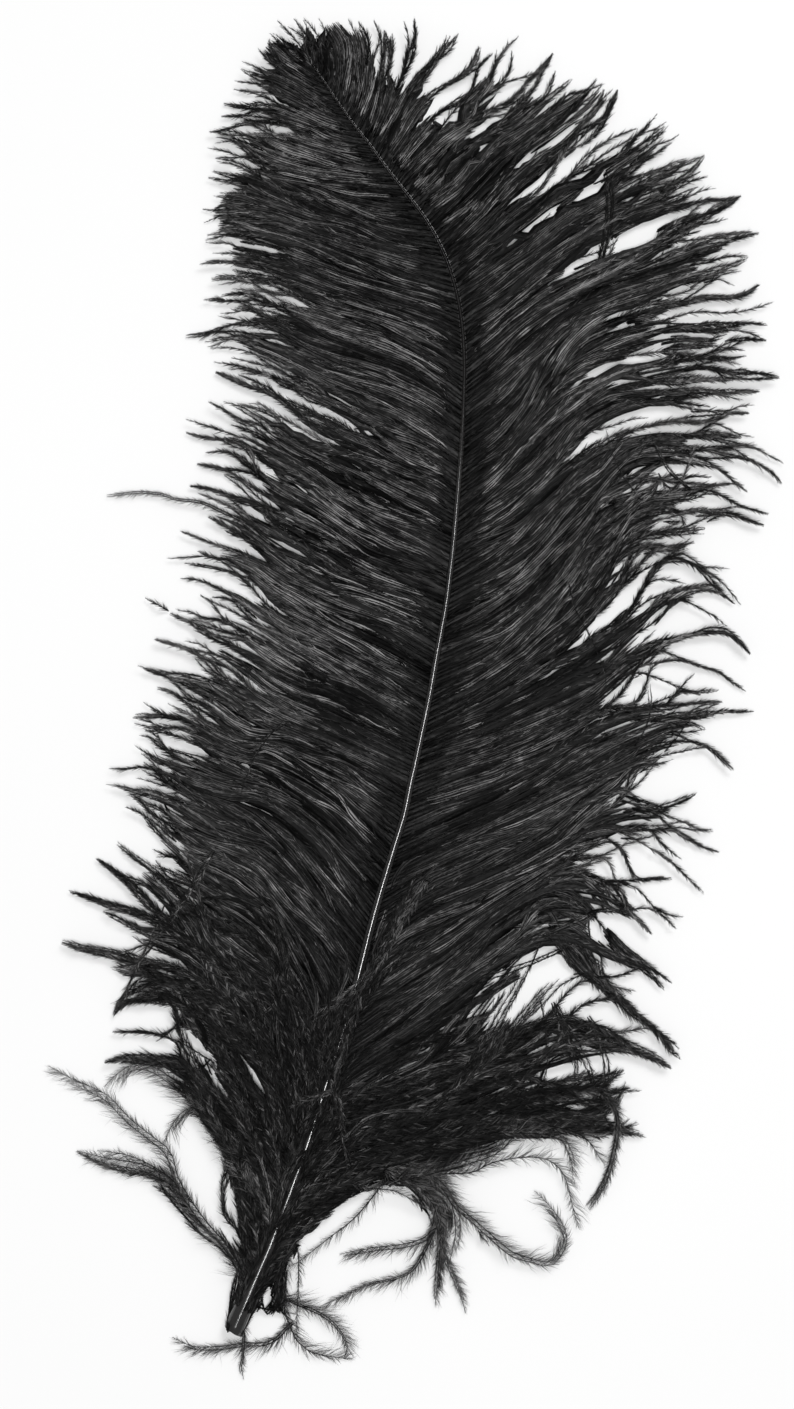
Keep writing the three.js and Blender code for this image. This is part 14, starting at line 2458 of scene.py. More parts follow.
    (-1.7,-53,6.4,-49.8,14.5,-47,22.8,-44.3,31,-41.7,39.1,-38.5,46.9,-34.9,54.6,-30.8,62.1,-26.5,69.6,-22.1,77,-17.5),
    (81.7,-15.3,84.9,-14.3,88.7,-13.2),
    (-18.1,226.4,-26.8,227.1,-35.5,228,-44.1,229.5,-52.7,231.3,-61.2,233.2),
    (80.4,172.4,87.9,175.3,95.5,178,103.1,180.8,110.7,183.6,118.4,185.8,126.9,187.9),
    (-7.7,220.2,-16.3,220.7,-25.4,221.1,-34.3,223,-42.4,225.7),
    (1.3,-37.4,9.8,-34.1,19,-31.1,28.3,-28.6,37.6,-25.6,46.5,-22,55.2,-17.8,63.8,-13.4,72.1,-9.6),
    (-35.7,-115,-40.6,-107.5,-47.1,-100.6,-53.9,-94,-60.4,-87.1,-66,-79.5,-73.2,-73.3,-81.2,-68.2,-89.3,-64.4),
    (-25.8,69.5,-31.5,73.1,-37.1,76.7,-42.8,80.2),
    (-47.7,82.5,-53.7,85.4,-59.5,88.8,-65.3,92.1),
    (16,-64.1,24.7,-59.9,33.8,-55.4,43.2,-51.5,52.5,-47.6,61.8,-43.5,71,-39.1,79.8,-35.2),
    (-43.3,259.3,-51.7,263.8,-60.6,268.6,-69.5,271.9),
    (24.2,161.5,31.6,165.6,39,170.8,45.9,176.7,52.7,182.6,59.8,188.1,67.2,192.3),
    (10.7,188.8,1.6,190.8,-8,193.2,-17.4,196,-26.5,199.7,-35.8,203.1,-44.9,205),
    (86.6,207,92.7,209.9,99.6,212.7,106,214.7,113.1,216.8,120.3,218.5),
    (92.8,112,101.3,113.1,110.4,113.7,119,113.8),
    (-6.4,-70.6,2,-66.8,10.7,-62.5,19.6,-58.5,28.6,-54.6,37.5,-50.7,46.2,-46.4,54.2,-41.9),
    (16,173,8,175.7,-0.8,177.9,-9.5,180.4,-18.1,183.2,-26.6,186.1,-34.6,188.9),
    (-5.8,18.7,-15.1,23.4,-24.8,28.6,-34.8,33,-43.7,39.4,-52.8,45.7,-62.4,50.9,-71,57.8,-80.4,62.2),
    (26.6,261.2,31.9,265.9,36.7,271.3),
    (-64.6,-238.2,-63.6,-229.5,-63.6,-220.1,-64.9,-210.8,-67.5,-201.7,-72,-193.5,-77.3,-185.8,-83.1,-178.3,-89,-171.8),
    (-32.5,266.9,-31,274.9,-29.7,283.5,-29.5,291.6),
    (40.9,19.1,47,25.1,53.4,31.7,59.4,38.6,64.6,46.1,70.3,53.3,75.2,60.9,79.3,68.5),
    (-1.5,-137.9,7.5,-130.7,17,-123.4,27.1,-116.8,37.3,-110.4,46.3,-102.4,53.7,-93,63.9,-87.3,74.6,-90),
    (11.3,7,19.7,9.9,27.9,14.2,35.9,19.1,43.5,24.5,50.3,30.9,56.9,37.5,62.5,44.3),
    (8.7,-2.2,16.7,2.4,25.1,7.3,33.2,12.8,41.1,18.5,48.7,24.7,55.9,31.2,62.4,38.5,67.8,46),
    (52.6,-177.7,60.5,-175.5,68.3,-171.8,75.1,-167.2,83.3,-166.4),
    (-28.2,12.6,-35.5,16.1,-42.9,19.4,-50.8,23.1,-57.6,27.3,-64.5,32.8),
    (-4.5,-193.5,4.6,-191.6,12.7,-186,20.7,-180.4,29.9,-177,39.3,-174.1,47.8,-171.3),
    (-58.9,-27.1,-68.1,-25.5,-77.6,-23,-86.5,-18.9,-95.2,-14.4,-104.2,-12),
    (-43.8,-87.5,-49.6,-81,-55.8,-75,-62.4,-69.4,-69.4,-64.3,-77.9,-62.5,-86.1,-59.9,-94,-56.5,-101.6,-52.2,-109.5,-47.3),
    (-2.6,-209.7,4.9,-211.3,12.3,-214.7,17.1,-220.6),
    (-23,253.6,-20,260.9,-17.5,268.9,-16.2,276.7),
    (-61.9,-93.2,-70.1,-89.8,-78.6,-85.8,-86.7,-81,-94.4,-75.6,-101.2,-69.9),
    (22.5,177.7,30.1,182.5,37.6,188.2,45.6,193.4,53.4,198.8,60.6,205,67.7,211.2,75.9,216.1,83.9,220),
    (-33.8,-107.4,-39.9,-102.2,-46.4,-96.5,-52.9,-90.7,-57.8,-84.4,-63.5,-77.9,-70,-72.1,-77.8,-68.6,-85.3,-65.6,-93.2,-62.2,-100.8,-57.9,-108.2,-53.5),
    (21.1,51.7,34.9,57.1,47.9,65.4,59.3,75.6,69,87.6,80.8,97.3,90.6,108.9,105,113.4,119.8,114.6),
    (13.4,72.3,4.9,77.3,-5.1,79.6,-15,82.4,-24.8,85.9,-33.6,91.4,-41.6,97.9,-50.4,103.4,-59.2,107.7),
    (-5.4,-35.5,-13.7,-30,-22.7,-24.7,-31.8,-19.5,-41.9,-16.9,-51.3,-12.5,-61.1,-8.7,-70.7,-4.6,-77.9,2.1),
    (94.1,233.2,99.9,238,105.8,242.8),
    (-50,-164.7,-49.9,-152.1,-52.6,-139.5,-56.9,-127,-64.3,-116.3,-74.1,-107.4,-84.3,-99.2,-95.1,-91.9,-102.7,-82.2),
    (-28.7,-200.6,-14.9,-196.4,0,-195.1,14.8,-192.4,29,-187.6,43.1,-182.4,57.8,-179.3,72.6,-180.9,85.1,-174.4),
    (-76.5,-277.4,-72.3,-269.3,-68.3,-260.6,-63.1,-252.5,-57.7,-244.6,-52.1,-236.7,-45,-230.2,-36.8,-226.4),
    (-49.8,-213.9,-42.8,-207.2,-35.3,-200.1,-29.6,-191.6,-22.4,-184.3,-12.9,-180.6,-2.7,-179.8,7.6,-180.5,16.8,-178.2),
    (5.8,19,-2.6,22.5,-11.6,26.1,-20.3,30.5,-29.2,34.3,-37.5,38.2),
    (-14.9,-179.5,-5.3,-178.3,4.8,-178.9,14.8,-177.5,24.7,-174.9,34.1,-171,43.4,-166.8,52.9,-163.3,61.7,-159.5),
    (24.5,137.1,31.6,142.4,38.4,148.8,44.8,155.6,52.2,161.4,59.1,167.6,67.1,172.4,75,176.3),
    (-55.6,-244.4,-57.2,-252.5,-57.8,-261.4,-58.2,-269.8),
    (-32.6,-25.1,-41.5,-22.5,-50.8,-19.3,-60.3,-16.5,-70,-16.6,-79.6,-14.9,-88,-11.1),
    (-52.1,-195.2,-46.5,-183.7,-41.7,-171.3,-44.3,-158.6,-48.9,-146.2,-53.2,-133.5,-57.3,-120.8,-62.6,-108.6,-72.1,-100.1),
    (-9.1,234.4,-3.8,241.5,1.7,249.1,7.3,255.9),
    (-7,-69.4,4.4,-63.4,15,-55.2,27.1,-49.3,39.5,-43.9,51.2,-37.4,62.6,-30.3,73.7,-22.7,85.3,-17.3),
    (12.3,79,3.3,84.6,-6.9,89.2,-16.7,94.5,-26.5,99.8,-36.7,104.2,-46.8,109.2,-56.4,114.9,-65.4,120.4),
    (-17.9,-173.2,-8.9,-170.9,0.2,-167.2,9.6,-163.8,19.2,-161.3,28,-157,35.5,-150.5,44.3,-146.2,52.6,-142),
    (11.6,148.6,3.6,153.1,-5.1,157.6,-13.8,161.8,-22.6,165.9,-31.1,169.2),
    (-59.1,-125.5,-67.4,-120.5,-76,-115.1,-84.4,-109.4,-90.8,-101.5,-95.6,-92.5,-100.5,-84.3),
    (18.3,51,26.8,54.6,35.4,59.1,43.5,64.6,51.4,70.4,58.1,77.4,64,85.1,70.4,91.8),
    (-46.4,-195.8,-42.6,-187.1,-38.9,-177.8,-37.1,-168.5),
    (-26.6,258.5,-24.1,266.8,-22.5,275.8,-22,284.9,-23.5,293.3),
    (-14.8,242.4,-9.8,251.3,-4.5,260.7,1.3,269.7,7.8,277.5),
    (-0.7,-93.8,10,-87.6,22.3,-83.2,34.3,-78.2,46.1,-72.6,57.5,-66.4,68.4,-59.4,78,-50.7,87.9,-43.2),
    (11.5,100.3,4.9,103.6,-2.4,107,-9.5,110.9,-16.3,115.2),
    (11.2,53.9,3.6,56.4,-4.8,58.8,-13.1,61.5,-20.5,64.5,-27.6,69.5,-34.8,74.4,-42.2,78.9),
    (-48.7,82.5,-54.7,85.5,-60.7,88.3,-66.5,91.7),
    (-33.1,-145.9,-32.3,-139.1,-30.1,-132.7),
    (62.8,36.8,68.2,44.5,74.3,52.4,80,60.6,85.9,68.7,91.3,76.5),
    (-25.5,-36.3,-32.5,-32.4,-39.7,-29.1,-47.2,-26.2,-54.6,-23.3,-61.7,-19.6,-69.2,-18.3,-77.1,-18.5,-84.6,-15.8,-91.7,-12.2,-98.6,-8.1),
    (13.5,21.6,26.6,24.9,39.8,29.8,50.4,39.1,60.3,49,69,60.1,76.8,71.8,85.3,83,97.2,89),
    (-43.8,-224.7,-36.5,-219.2,-28.3,-214,-19.2,-210.5,-10.2,-207.1,-1.2,-203.5,8.2,-200.9,17.1,-198.5),
    (-20.5,-121.6,-13.6,-113.4,-5,-106.1,5.4,-101.5,15.7,-96.8,25.9,-91.7,35.6,-85.9,45.4,-80.3,54.8,-74.9),
    (-50.4,-210.3,-46.6,-202.7,-39.8,-196.6,-35.9,-188.7,-36.5,-179.6,-37.1,-171),
    (16.2,236.5,21.2,241.3,26.6,245.4),
    (-74.3,-261.1,-75.1,-252.6,-75.8,-243.5,-80.2,-236.3),
    (-58.1,-220.9,-57.1,-212.1,-53.7,-203.4,-50,-195.4),
    (12.6,-237.2,12.9,-230.1,12.6,-222.9),
    (-24.9,52.6,-31.3,56.5,-38,61.2,-44.9,65.5),
    (46.8,-41.9,54.1,-38.5,60.8,-34.1,67.3,-29.5,74.1,-25.2,81.2,-21.4,88.3,-17.8,95.5,-14.2,103.6,-11),
    (106.1,-10.1,112.6,-8.5,119.1,-6.9),
    (-54.5,-42.7,-61.1,-39.4,-68.9,-37.3,-76.7,-35.4,-84.4,-32.8,-91.8,-29.6,-98.9,-25.7),
    (15.6,97.4,7.3,100.9,-1.3,104.7,-9.5,109.5,-16.1,115.5),
    (-13.3,-64.2,-19.9,-57.8,-27.2,-51.3,-32.4,-43.1,-40,-37.1,-48.5,-32.2,-56.8,-27.2,-65.5,-22.8,-73.8,-24.8),
    (83.6,231.5,89.5,235,95.3,238.9,100.9,242.9),
    (-40.5,-160.2,-42,-147.5,-45,-134.5,-49.8,-122.1,-57,-111.1,-62.8,-99.3,-73,-90.8,-85.1,-85,-96.5,-79.2),
    (7.5,-10.2,15.1,-6.9,23.3,-3.4,31.1,0.7,38.9,4.9,45.8,9.6),
    (-12.7,240.3,-8.5,247.5,-4.3,255.4,0.2,262.4),
    (6.7,-14.5,14,-11.1,21.3,-7.8,28.6,-4.4,36.4,-0.5,43.5,3.2,50.7,6.9,58.3,11.1),
    (64.4,13.7,67.6,14.8,70.8,15.9),
    (-27.9,-118,-34.2,-111.8,-40,-104.5,-46.9,-98.3,-54.2,-92.5,-60.6,-85.8,-66.2,-78.4,-73.2,-72.2,-80.7,-67.7),
    (63.8,146.9,69.5,154.8,77,161.9,85,167.5),
    (-6.1,-101.9,1.4,-96.3,10.7,-92.7,20.1,-89.4,29.3,-85.5,38.3,-81.2,46.8,-77.3),
    (22,87.5,29.3,92,36.2,98,42.5,104.6,48.4,111.6,55.3,117.6,62.2,123.6,69.5,129.1,76.2,134.4),
    (-102.8,-100,-107.7,-96.2,-112.4,-92.1),
    (-10.1,-54.5,-15.9,-48.6,-23.2,-43.8,-30.4,-38.7,-37.5,-34.7),
    (13.5,238.2,18.2,243.2,23.1,247.9),
    (-80.2,-215.6,-79.5,-205.7,-85.1,-197.6),
    (-81.2,-276.9,-79,-269.1,-77.1,-260.7,-77.8,-252.6),
    (-21.9,-181.3,-12.8,-178.1,-2.9,-175.7,6.6,-172.3,15.6,-167.4,25.2,-164.2,34.7,-162.3),
    (14.6,24.6,22.5,27,30.6,30.7,38.4,34.7,46.2,38.9,53.1,43.6),
    (-26.2,-111.9,-33,-104.8,-39.7,-96.9,-47.2,-89.6,-54.6,-82.4,-62.2,-76),
    (0.7,-42.2,8.9,-39.6,17.5,-36.6,26.1,-33.6,34.9,-30.9,43.2,-27.1,51.8,-24,60.1,-20.3,67.6,-16),
    (62,28.4,67.8,32.9,73.2,37.9,78.3,43.2,83.1,48.9,87.7,55.5),
    (94.2,64.7,96.8,66.8,99.5,68.8),
    (3.9,-28.5,12.5,-26.2,21.6,-23.5,30.7,-20.6,39.4,-16.9,48.3,-13.6,57,-9.8,65.9,-6.3,73.4,-1.5),
    (17.3,163.5,9,167.4,-0.3,170.4,-9.7,173,-19,176,-28.3,179.1,-37.5,182.2,-46.3,186.5,-54.9,189.7),
    (-55,-171.8,-54.7,-162.4,-56,-152.5,-58.7,-142.9,-62.6,-134.2,-70.4,-128,-77,-120.4,-84.1,-113.4,-90.8,-106.9),
    (-87.8,-178.7,-94.4,-174,-101.5,-169.1,-108.6,-165),
    (-66.5,-242.1,-66,-229.8,-67.1,-217,-69.8,-204.4,-75.4,-192.7,-82.6,-182,-91.4,-172.6,-99.4,-162.6,-104.6,-151.4),
    (15.9,-224,16.3,-228.7,15.8,-233.4),
    (9.5,38.6,2,41.3,-5.6,43.7,-13.3,46.1,-21.5,48.8,-29,51.7,-36.4,54.6,-43.3,58.6,-50.6,63.3),
    (-45.1,273.2,-51.8,277.4,-58.7,282.3,-64.8,287.2),
    (-1.4,-217.6,2.6,-222.3,6.5,-226.9),
    (20.4,69.8,29.4,72.8,38.3,77.1,46.6,82.7,54.6,88.6,62.4,94.8,69.3,101.2),
    (-35.7,258.2,-44.1,262.9,-52.6,268.5,-61.8,272.8,-70.7,276.6),
    (-67.1,-24.8,-74.3,-23.2,-81.7,-20,-88.3,-16.5,-95.5,-13,-103.1,-10.1),
    (-6.1,-177.3,5,-176.1,16.3,-173.2,27,-168.9,38.3,-166.1,49.1,-161.6,59.7,-156.7,70.6,-152.2,81.4,-151.4),
    (55,-84.7,62.7,-81.7,71.3,-80.4,78.8,-84.6,84.5,-90.6),
    (-0.1,-46.6,9.5,-44.7,19.4,-41.8,29,-38.2,38.7,-34.7,47.9,-30.1,57.5,-26.5,66.8,-22,74.8,-16.5),
    (17.6,45.5,25.1,49.6,33.7,52.9,41.9,56.7,48.9,61.8),
    (1.5,-1.6,-5.9,3,-13.5,8.3,-21.8,12.3,-29.8,16.8,-37.4,22.1,-45.9,25.8,-54.2,28.1),
    (-5.4,-27.1,-12.7,-23.8,-19.8,-20.2,-26.9,-16.4,-34.1,-13,-41.6,-10.1,-49.1,-7.4,-56.3,-4,-63.1,0.3,-69.5,5.1),
    (16.9,41.2,25.1,44,33.9,46.9,42,51.5,49.2,57.3,55.9,63.6,62.1,69.7),
    (-23.2,-168.5,-15.9,-162.7,-7.6,-157.4,-0.4,-150.7,8,-145.6,15.8,-139.6,23.2,-134),
    (124,156.4,127.5,156.5,130.9,156.6),
    (15.6,95.1,7.2,98.8,-1.9,102.2,-10.8,106.2,-18.7,111.9,-27.6,115.8,-36.7,119.3,-45,123.4),
    (-13.5,227.8,-22.1,228.3,-31.3,229.5,-40.5,230.9,-49.5,233,-58.3,235.8,-67,238.9,-74.8,242.4),
    (-61.1,-200.5,-62.9,-193.4,-65.3,-186.6,-70.1,-181,-74.3,-174.3,-77.1,-167.5,-79.4,-160.6,-81.8,-152.9),
    (-84.5,-149.1,-89.1,-142.6,-93.6,-136,-98.4,-129.5,-104,-123.8,-111,-120.8,-118.9,-119.6),
    (20.7,182.9,26.3,187.3,31.9,191.8),
    (-60.1,-155.7,-62.9,-146.7,-61.6,-136.9,-60.5,-126.9,-63.7,-117.9,-71.2,-111.2,-78.9,-104.7,-86.9,-99.6),
    (-59.7,-207.2,-58.5,-198.6,-57.9,-189.4,-55.5,-180.5,-49.6,-173.8,-42.4,-168.3,-42.2,-159.5,-47.1,-152.4),
    (18.9,189.1,25.1,193.1,30.8,197.7,36.4,202.6,42.4,207.8),
    (51,214.3,53.8,216.1,57.1,218.3),
    (-2.8,-71.2,5.4,-67.8,14,-63.8,22.5,-59.7,30.8,-55.3,39.3,-51.2,47.7,-46.8,55.1,-41.9),
    (6.6,213.6,13.4,218.1,20.5,223.5,26.9,229.5),
    (-29.4,262.2,-27.8,273.5,-26.2,284.8),
    (-14.2,-194.4,-4.9,-193.5,4.8,-191.4,12.9,-185.7,20.5,-179.4,29.8,-175.9,39.2,-173,47.3,-167.2,56.3,-165.9),
    (20.2,65.1,28.3,67.1,36.6,70.1,44.2,74.5,50.8,80.5,56.8,86.2),
    (-23.8,241.1,-31.2,241,-39,242.5,-46.7,244.9,-54.5,247.2),
    (24.7,122.9,31.9,127.2,39.1,132.5,45,139.3,50.5,145.6),
    (-22,-95.7,-27.7,-87.6,-34.1,-79.4,-41.2,-71.8,-48.6,-64.5,-55.8,-57.8),
    (35.8,91.7,42.3,96.4,49,101.8,55.1,107.9,60.4,113.9,65.8,120.6,73,125.6,79.8,129.7,87.5,133.5,95.7,136.3),
    (-29.7,-174.3,-20.2,-172.1,-10,-170.6,-0.7,-165.8,9.2,-162.6,19.4,-160.3,28.6,-155.4,36.5,-148.6,45,-143.5),
    (-7.9,233.7,-2.8,240.6,2.7,247.9,8.3,254.5),
    (-75.9,-270.8,-72,-262.1,-67.3,-253.2,-64.1,-244.4),
    (-37.4,-158.7,-36,-148.2,-36.4,-137,-32.2,-127.1,-28.6,-116.7,-33.3,-106.8,-40.5,-98.3,-48.2,-90.3,-55.6,-82.6),
    (8.1,29.2,0.2,33,-8.6,36,-17.5,38.8,-26.3,41.6,-34.7,44.1),
    (69.4,257.7,71.4,259.7,73.9,262),
    (-72,-99.4,-77.5,-95.5,-84,-92,-89.7,-88.5,-95.5,-83.9,-100.6,-78.5),
    (-27.6,-116.6,-33.9,-110.3,-40,-103.1,-47.1,-96.9,-54.4,-91,-60.7,-83.9,-66.4,-76.5,-73.2,-70.7),
    (10.5,4.5,19.7,7.9,29.1,12.4,37.6,18.3,45.8,24.8,52.7,31.8),
    (46.8,-192.7,54,-192.1,61.1,-192.9),
    (-39.6,-161.3,-40.8,-151.7,-40.7,-141.4,-38.8,-131.3,-40.4,-121.4,-45,-112.9),
    (-15.1,-113.3,-7.3,-100.8,-0.6,-87,7.8,-74.7,21.6,-68.1,35.7,-62.2,49.8,-56.3,62.8,-48.3,74.7,-39.6),
    (-40.9,-65.6,-46.3,-58.6,-53.6,-52.7,-61.9,-48.3,-70.6,-44.6,-79.9,-43.5,-89.3,-42.3,-97.7,-39.4),
    (-66.3,-236.3,-67.7,-227.3,-70.5,-218.1,-72.9,-208.6,-75.2,-199.2,-78.6,-190.1,-83.9,-182.6),
    (-3.5,-150.9,3.7,-145.7,11,-140.6,18.2,-135.5,25.4,-130.2),
    (17.6,123.5,10.6,128.7,2.6,133.3,-5.9,137.2,-14.3,141,-23,144.2,-31.4,146.6),
    (-23.1,-206.7,-11,-204.3,1.4,-201.3,13.8,-198.1,26.5,-195.9,38.6,-192.1,50.3,-187,63,-188.2,74.8,-191.8),
    (-24.8,-106.4,-25.6,-98.1,-28.5,-89.9,-34.3,-83,-40,-76.1,-46.1,-69.4,-50.8,-62.3),
    (-22.6,-126.7,-15.6,-120.2,-7.2,-114.7,1.2,-109.1,9.2,-103,17.4,-97.1,25.7,-92.3),
    (-3,-208.3,4.7,-209.7,12.3,-213.4,18.2,-218.6),
    (-66.1,-248.9,-59.4,-240.7,-58.5,-230.3),
    (-1.7,212.3,-10.1,212.3,-19,213.5,-27.4,216.7,-35,220.2),
    (13.6,180.8,4.3,183.8,-5.5,186.9,-15,190.5,-24.5,194.4,-34.2,197.7,-44,201,-53.9,203.8,-63.3,206.2),
    (-68.2,-241.4,-70.5,-231.8,-72.8,-221.6,-73.9,-211.3,-78,-201.8,-83.9,-193.2,-92,-187.7),
    (-10.1,236.2,-5.9,241.7,-1.9,247.3,2.2,252.9),
    (20.8,70.5,27.7,73.2,34.7,77,40.8,81.2,47,86.2,53,91.6,58.5,96.5,64.4,102,70.1,107.7),
    (-7.6,-70.2,0.3,-66.2,8.8,-62,17.4,-57.9,26,-54.1,34.7,-50.4,43.5,-47,51.1,-42.4),
    (14.5,25.9,23.1,29.1,32,33,40.8,37.2,49.2,42,56.7,48.2,62.4,55.4),
    (96.6,165.1,100.8,166.1,105.6,167.3),
    (8.8,35.8,-0.4,39.1,-10.1,42.8,-19.8,46.2,-29.7,49.4,-39.8,51.6,-49.4,55.4,-58,59.9),
    (5.7,20.2,-2.6,23.7,-11.2,27.7,-19.1,33,-28.1,36.3,-36.8,38.6),
    (17.5,116.7,10.3,122.9,1.9,128.5,-7,133.3,-16.4,136.9,-26.2,139.4,-35.3,142.3),
    (-37.7,-160.1,-36.3,-151.4,-36.9,-142.1,-37.8,-132.7,-37,-123.5,-40.2,-114.7,-44.3,-106.2,-50.1,-98.8,-56.4,-92.7),
    (14.3,83.1,7.1,87.9,-1,91.2,-8.9,94.7,-16.5,99,-24.3,102.7),
    (-36.4,106.5,-39,107.3,-42.2,108.2),
    (-22.2,-123,-16.7,-115.8,-11.2,-108.1,-4.1,-101.9,4.3,-97.4,13.2,-94,22.3,-90.9,30.7,-87.6),
    (-36.7,249.1,-44.2,252,-52.2,255.1,-60.4,258,-68.3,259.4),
    (17.7,140,10.8,144.4,3.4,149.1,-4.4,152.9,-12.2,156.8,-19.7,160.1),
    (2.1,-33.6,12.1,-30,22.5,-26,33.1,-22.4,43.7,-18.9,53.8,-14.1,64,-9.7,74.3,-5.2,83.6,-0.2),
    (-43.6,193.9,-51.4,197.5,-59.8,201.1,-68.7,203.4,-77.5,205.8,-86,206.5),
    (16.3,38.3,24.5,40.7,33,43.8,41,48.1,48.5,53.1,55.3,59.1,61.5,65.6,67.7,71.4),
    (17.9,154.4,9.9,159.6,0.7,163.8,-8.8,167.1,-18.3,170.4,-27.9,173.5,-36.9,176.6),
    (15,29.6,24.1,33.8,33.4,38.7,42.5,44.1,50.9,50.4,58,57.5),
    (-48.4,-204.1,-43.5,-196.3,-37.6,-188.5,-29.2,-183.8,-20.1,-180.4,-11,-176.7,-1.8,-173.5,7.2,-169.8,15.9,-166.8),
    (6.2,200.6,-2.9,201.5,-12.3,203.9,-21,208,-30.1,211.5,-39.2,214.6,-47.7,219.2,-55.8,224.4,-63.7,229),
    (-32.1,253,-40.1,256,-48.3,260,-56.5,264.1,-64.5,267.2),
    (-78.8,-277.7,-74,-269.1,-69.9,-259.6,-64.3,-250.9,-57.5,-243.1,-52.1,-234.3,-47.3,-225.1,-42.2,-216.1,-35.2,-209.8),
    (-11.4,110.6,-14.3,112.3,-17.8,114.3),
    (22.9,98.8,30.8,102.3,38.4,107.2,44.7,113.8,51,120.4,56.6,127.7,62.6,134.6,69.1,140.9,76.4,145.4),
    (5.2,-23.6,13.7,-20.9,22.8,-18.5,31.6,-15.4,40.5,-12.2,49.1,-8.5,57.9,-5,66.6,-1.4,74.8,1.8),
    (1.9,-0.4,-5.6,4.4,-13.4,9.8,-21.3,15.1,-29.6,19.7,-38.1,23.9,-47,27.3,-55.8,30.9,-63.2,35.9),
    (-15.1,-71.9,-23.1,-68.7,-29.8,-62.7,-36.1,-56.1,-43.5,-50.6,-50.6,-45.9),
    (25,141.8,32.4,147.3,39.3,154.2,45.9,161.3,53.6,167.3,61.7,172.7,70.4,177.2,79.2,181.4,87.4,185.6),
    (16.4,113,9.8,118.6,2.9,124.9,-5,129.6,-13.4,133.5,-22.2,136.4,-30.4,139.3),
    (1.8,-111,9.4,-105.2,18.3,-100.1,26.9,-94.6,35.5,-89.2,44.2,-83.8,52.8,-78.4,61.5,-72.9,69.9,-68.3),
    (-6.5,-89.4,-1.4,-82,6.2,-76.6,15,-73.1,23.6,-69.1,32.4,-65.4,41.4,-62.2,50.1,-58.5,58.2,-54.7),
    (-19.7,-113.2,-16.5,-103.6,-13,-93.6,-8.8,-83.8,-2.3,-75.6,7.3,-71.2,17,-66.8,26.9,-62.9,36.6,-60.4),
    (-7.7,-46.6,-15,-42,-22.7,-37.1,-29.8,-31.4,-37.9,-27.3,-46,-24.4),
    (4.9,-84.1,15.3,-79.6,26.2,-74.6,36.8,-69.1,47.4,-63.5,57.4,-56.9,67.3,-50.2,76,-42,85.4,-35.7),
    (-116.8,-115,-123.6,-117.2,-130.6,-117.4),
    (-98.4,-107.8,-103.5,-103.3,-109.6,-100.6,-116.8,-99),
    (-20.6,-156.2,-14.7,-148.4,-7.3,-141.4,0.5,-134.7,8.5,-128.3,16.5,-121.8,24.6,-115.4,31.3,-107.6,37,-99.7),
    (14.2,-20.5,25.4,-16.3,37.2,-12,48.7,-7.1,60.1,-1.6,71.5,3.6,82.7,9.3,92.8,16.8,103,23),
    (17.2,126.7,12.1,135.8,4.9,144,-4.3,150,-14.4,154.3,-24.8,157.8,-35.4,160.8,-45.5,165.1,-54.7,170),
    (1.5,-4.3,-6.7,-0.3,-15.7,3.3,-23.8,8.4,-31.2,13.7),
    (0.4,-44.5,9.2,-42.7,18.4,-39.9,27.5,-37.1,36.6,-34.1,44.8,-30.2),
    (5.7,-20.2,14.8,-16,24.7,-12.2,34.5,-8.3,44.3,-4.5,54.2,-0.7,63.9,3.5,73.4,8,81.6,13.7),
    (-1.9,-54,7.3,-50.9,17,-47.4,26.9,-44.4,36.7,-41,45.9,-36.5,54.4,-31.7),
    (-46.6,-201.4,-38.4,-195.8,-28.8,-191.5,-20.4,-185.2,-10,-183.9,0.5,-183.7,11,-183.2,19.5,-177,28.4,-172.7),
    (68.1,149.2,75.4,155.7,84.9,160,94.6,163.6,104.9,165.4,114.7,166.3),
    (-42.8,-158.7,-46.2,-149.1,-43.5,-139.3,-42.9,-128.6,-46.1,-118.3,-51.6,-109,-57.4,-100,-61.7,-90.1,-67,-81.3),
    (-10.4,49.7,-17.6,51.6,-24.6,54,-30.9,57.7,-37,62,-44,66),
    (-94.8,-124.6,-98.3,-121.4,-102.4,-117.7),
    (3.9,-26.3,12.3,-23.6,21.5,-21.7,30.6,-19.1,39.3,-15.6,48.2,-12.6,56.9,-8.9,65.6,-5.4,73.1,-0.6),
    (23.4,109.4,31.9,114.6,39.8,121.5,46.9,129.3,51.9,138.6,55.6,147.9),
    (2.4,222.3,6.6,225.9,11.3,229.9),
    (-22.6,230.6,-30.8,232.2,-39.5,234.1,-48,236.9,-56.7,238.8,-64.7,242.7,-71.2,247.9),
    (-60.9,-151.9,-62.9,-142.5,-68.2,-134,-75.9,-127.6,-84.3,-122,-93.5,-117.8,-102.1,-112.5,-110.9,-107.5,-120.1,-105.1),
    (83.9,-101.5,88.7,-107.8,95.2,-113.2,102,-117.1),
    (0.3,-11.8,-6.8,-6.6,-15.3,-3,-24.2,-0.1,-31.8,4.2),
    (103.5,171.7,106.9,172.5,110.2,173.4),
    (5.7,-21.3,13.5,-18,21.8,-14.5,30.2,-11.2,38.5,-7.8,46.2,-4.2),
    (-10.7,-56.1,-17.5,-49.8,-25.6,-44.1,-33.4,-38.2,-41.4,-33.5),
    (7.2,-12,16.4,-8.1,25.9,-3.6,35.1,1.6,43.7,6.8),
    (-39.2,263.8,-46.2,267.5,-53.4,271.8,-60.4,275.5),
    (-13.5,-112.2,-6.8,-105.4,2.2,-100.7,11.5,-96.8,20.8,-92.7,29.6,-88.9),
    (-19.9,-115,-16.5,-106.7,-12.7,-97.9,-6,-91.2,-1.2,-82.9,4,-75.8),
    (12.4,58.1,4.7,64.1,-5,68.2,-14.4,72.5,-23.7,77.4,-32.5,82.9,-40.6,88.5),
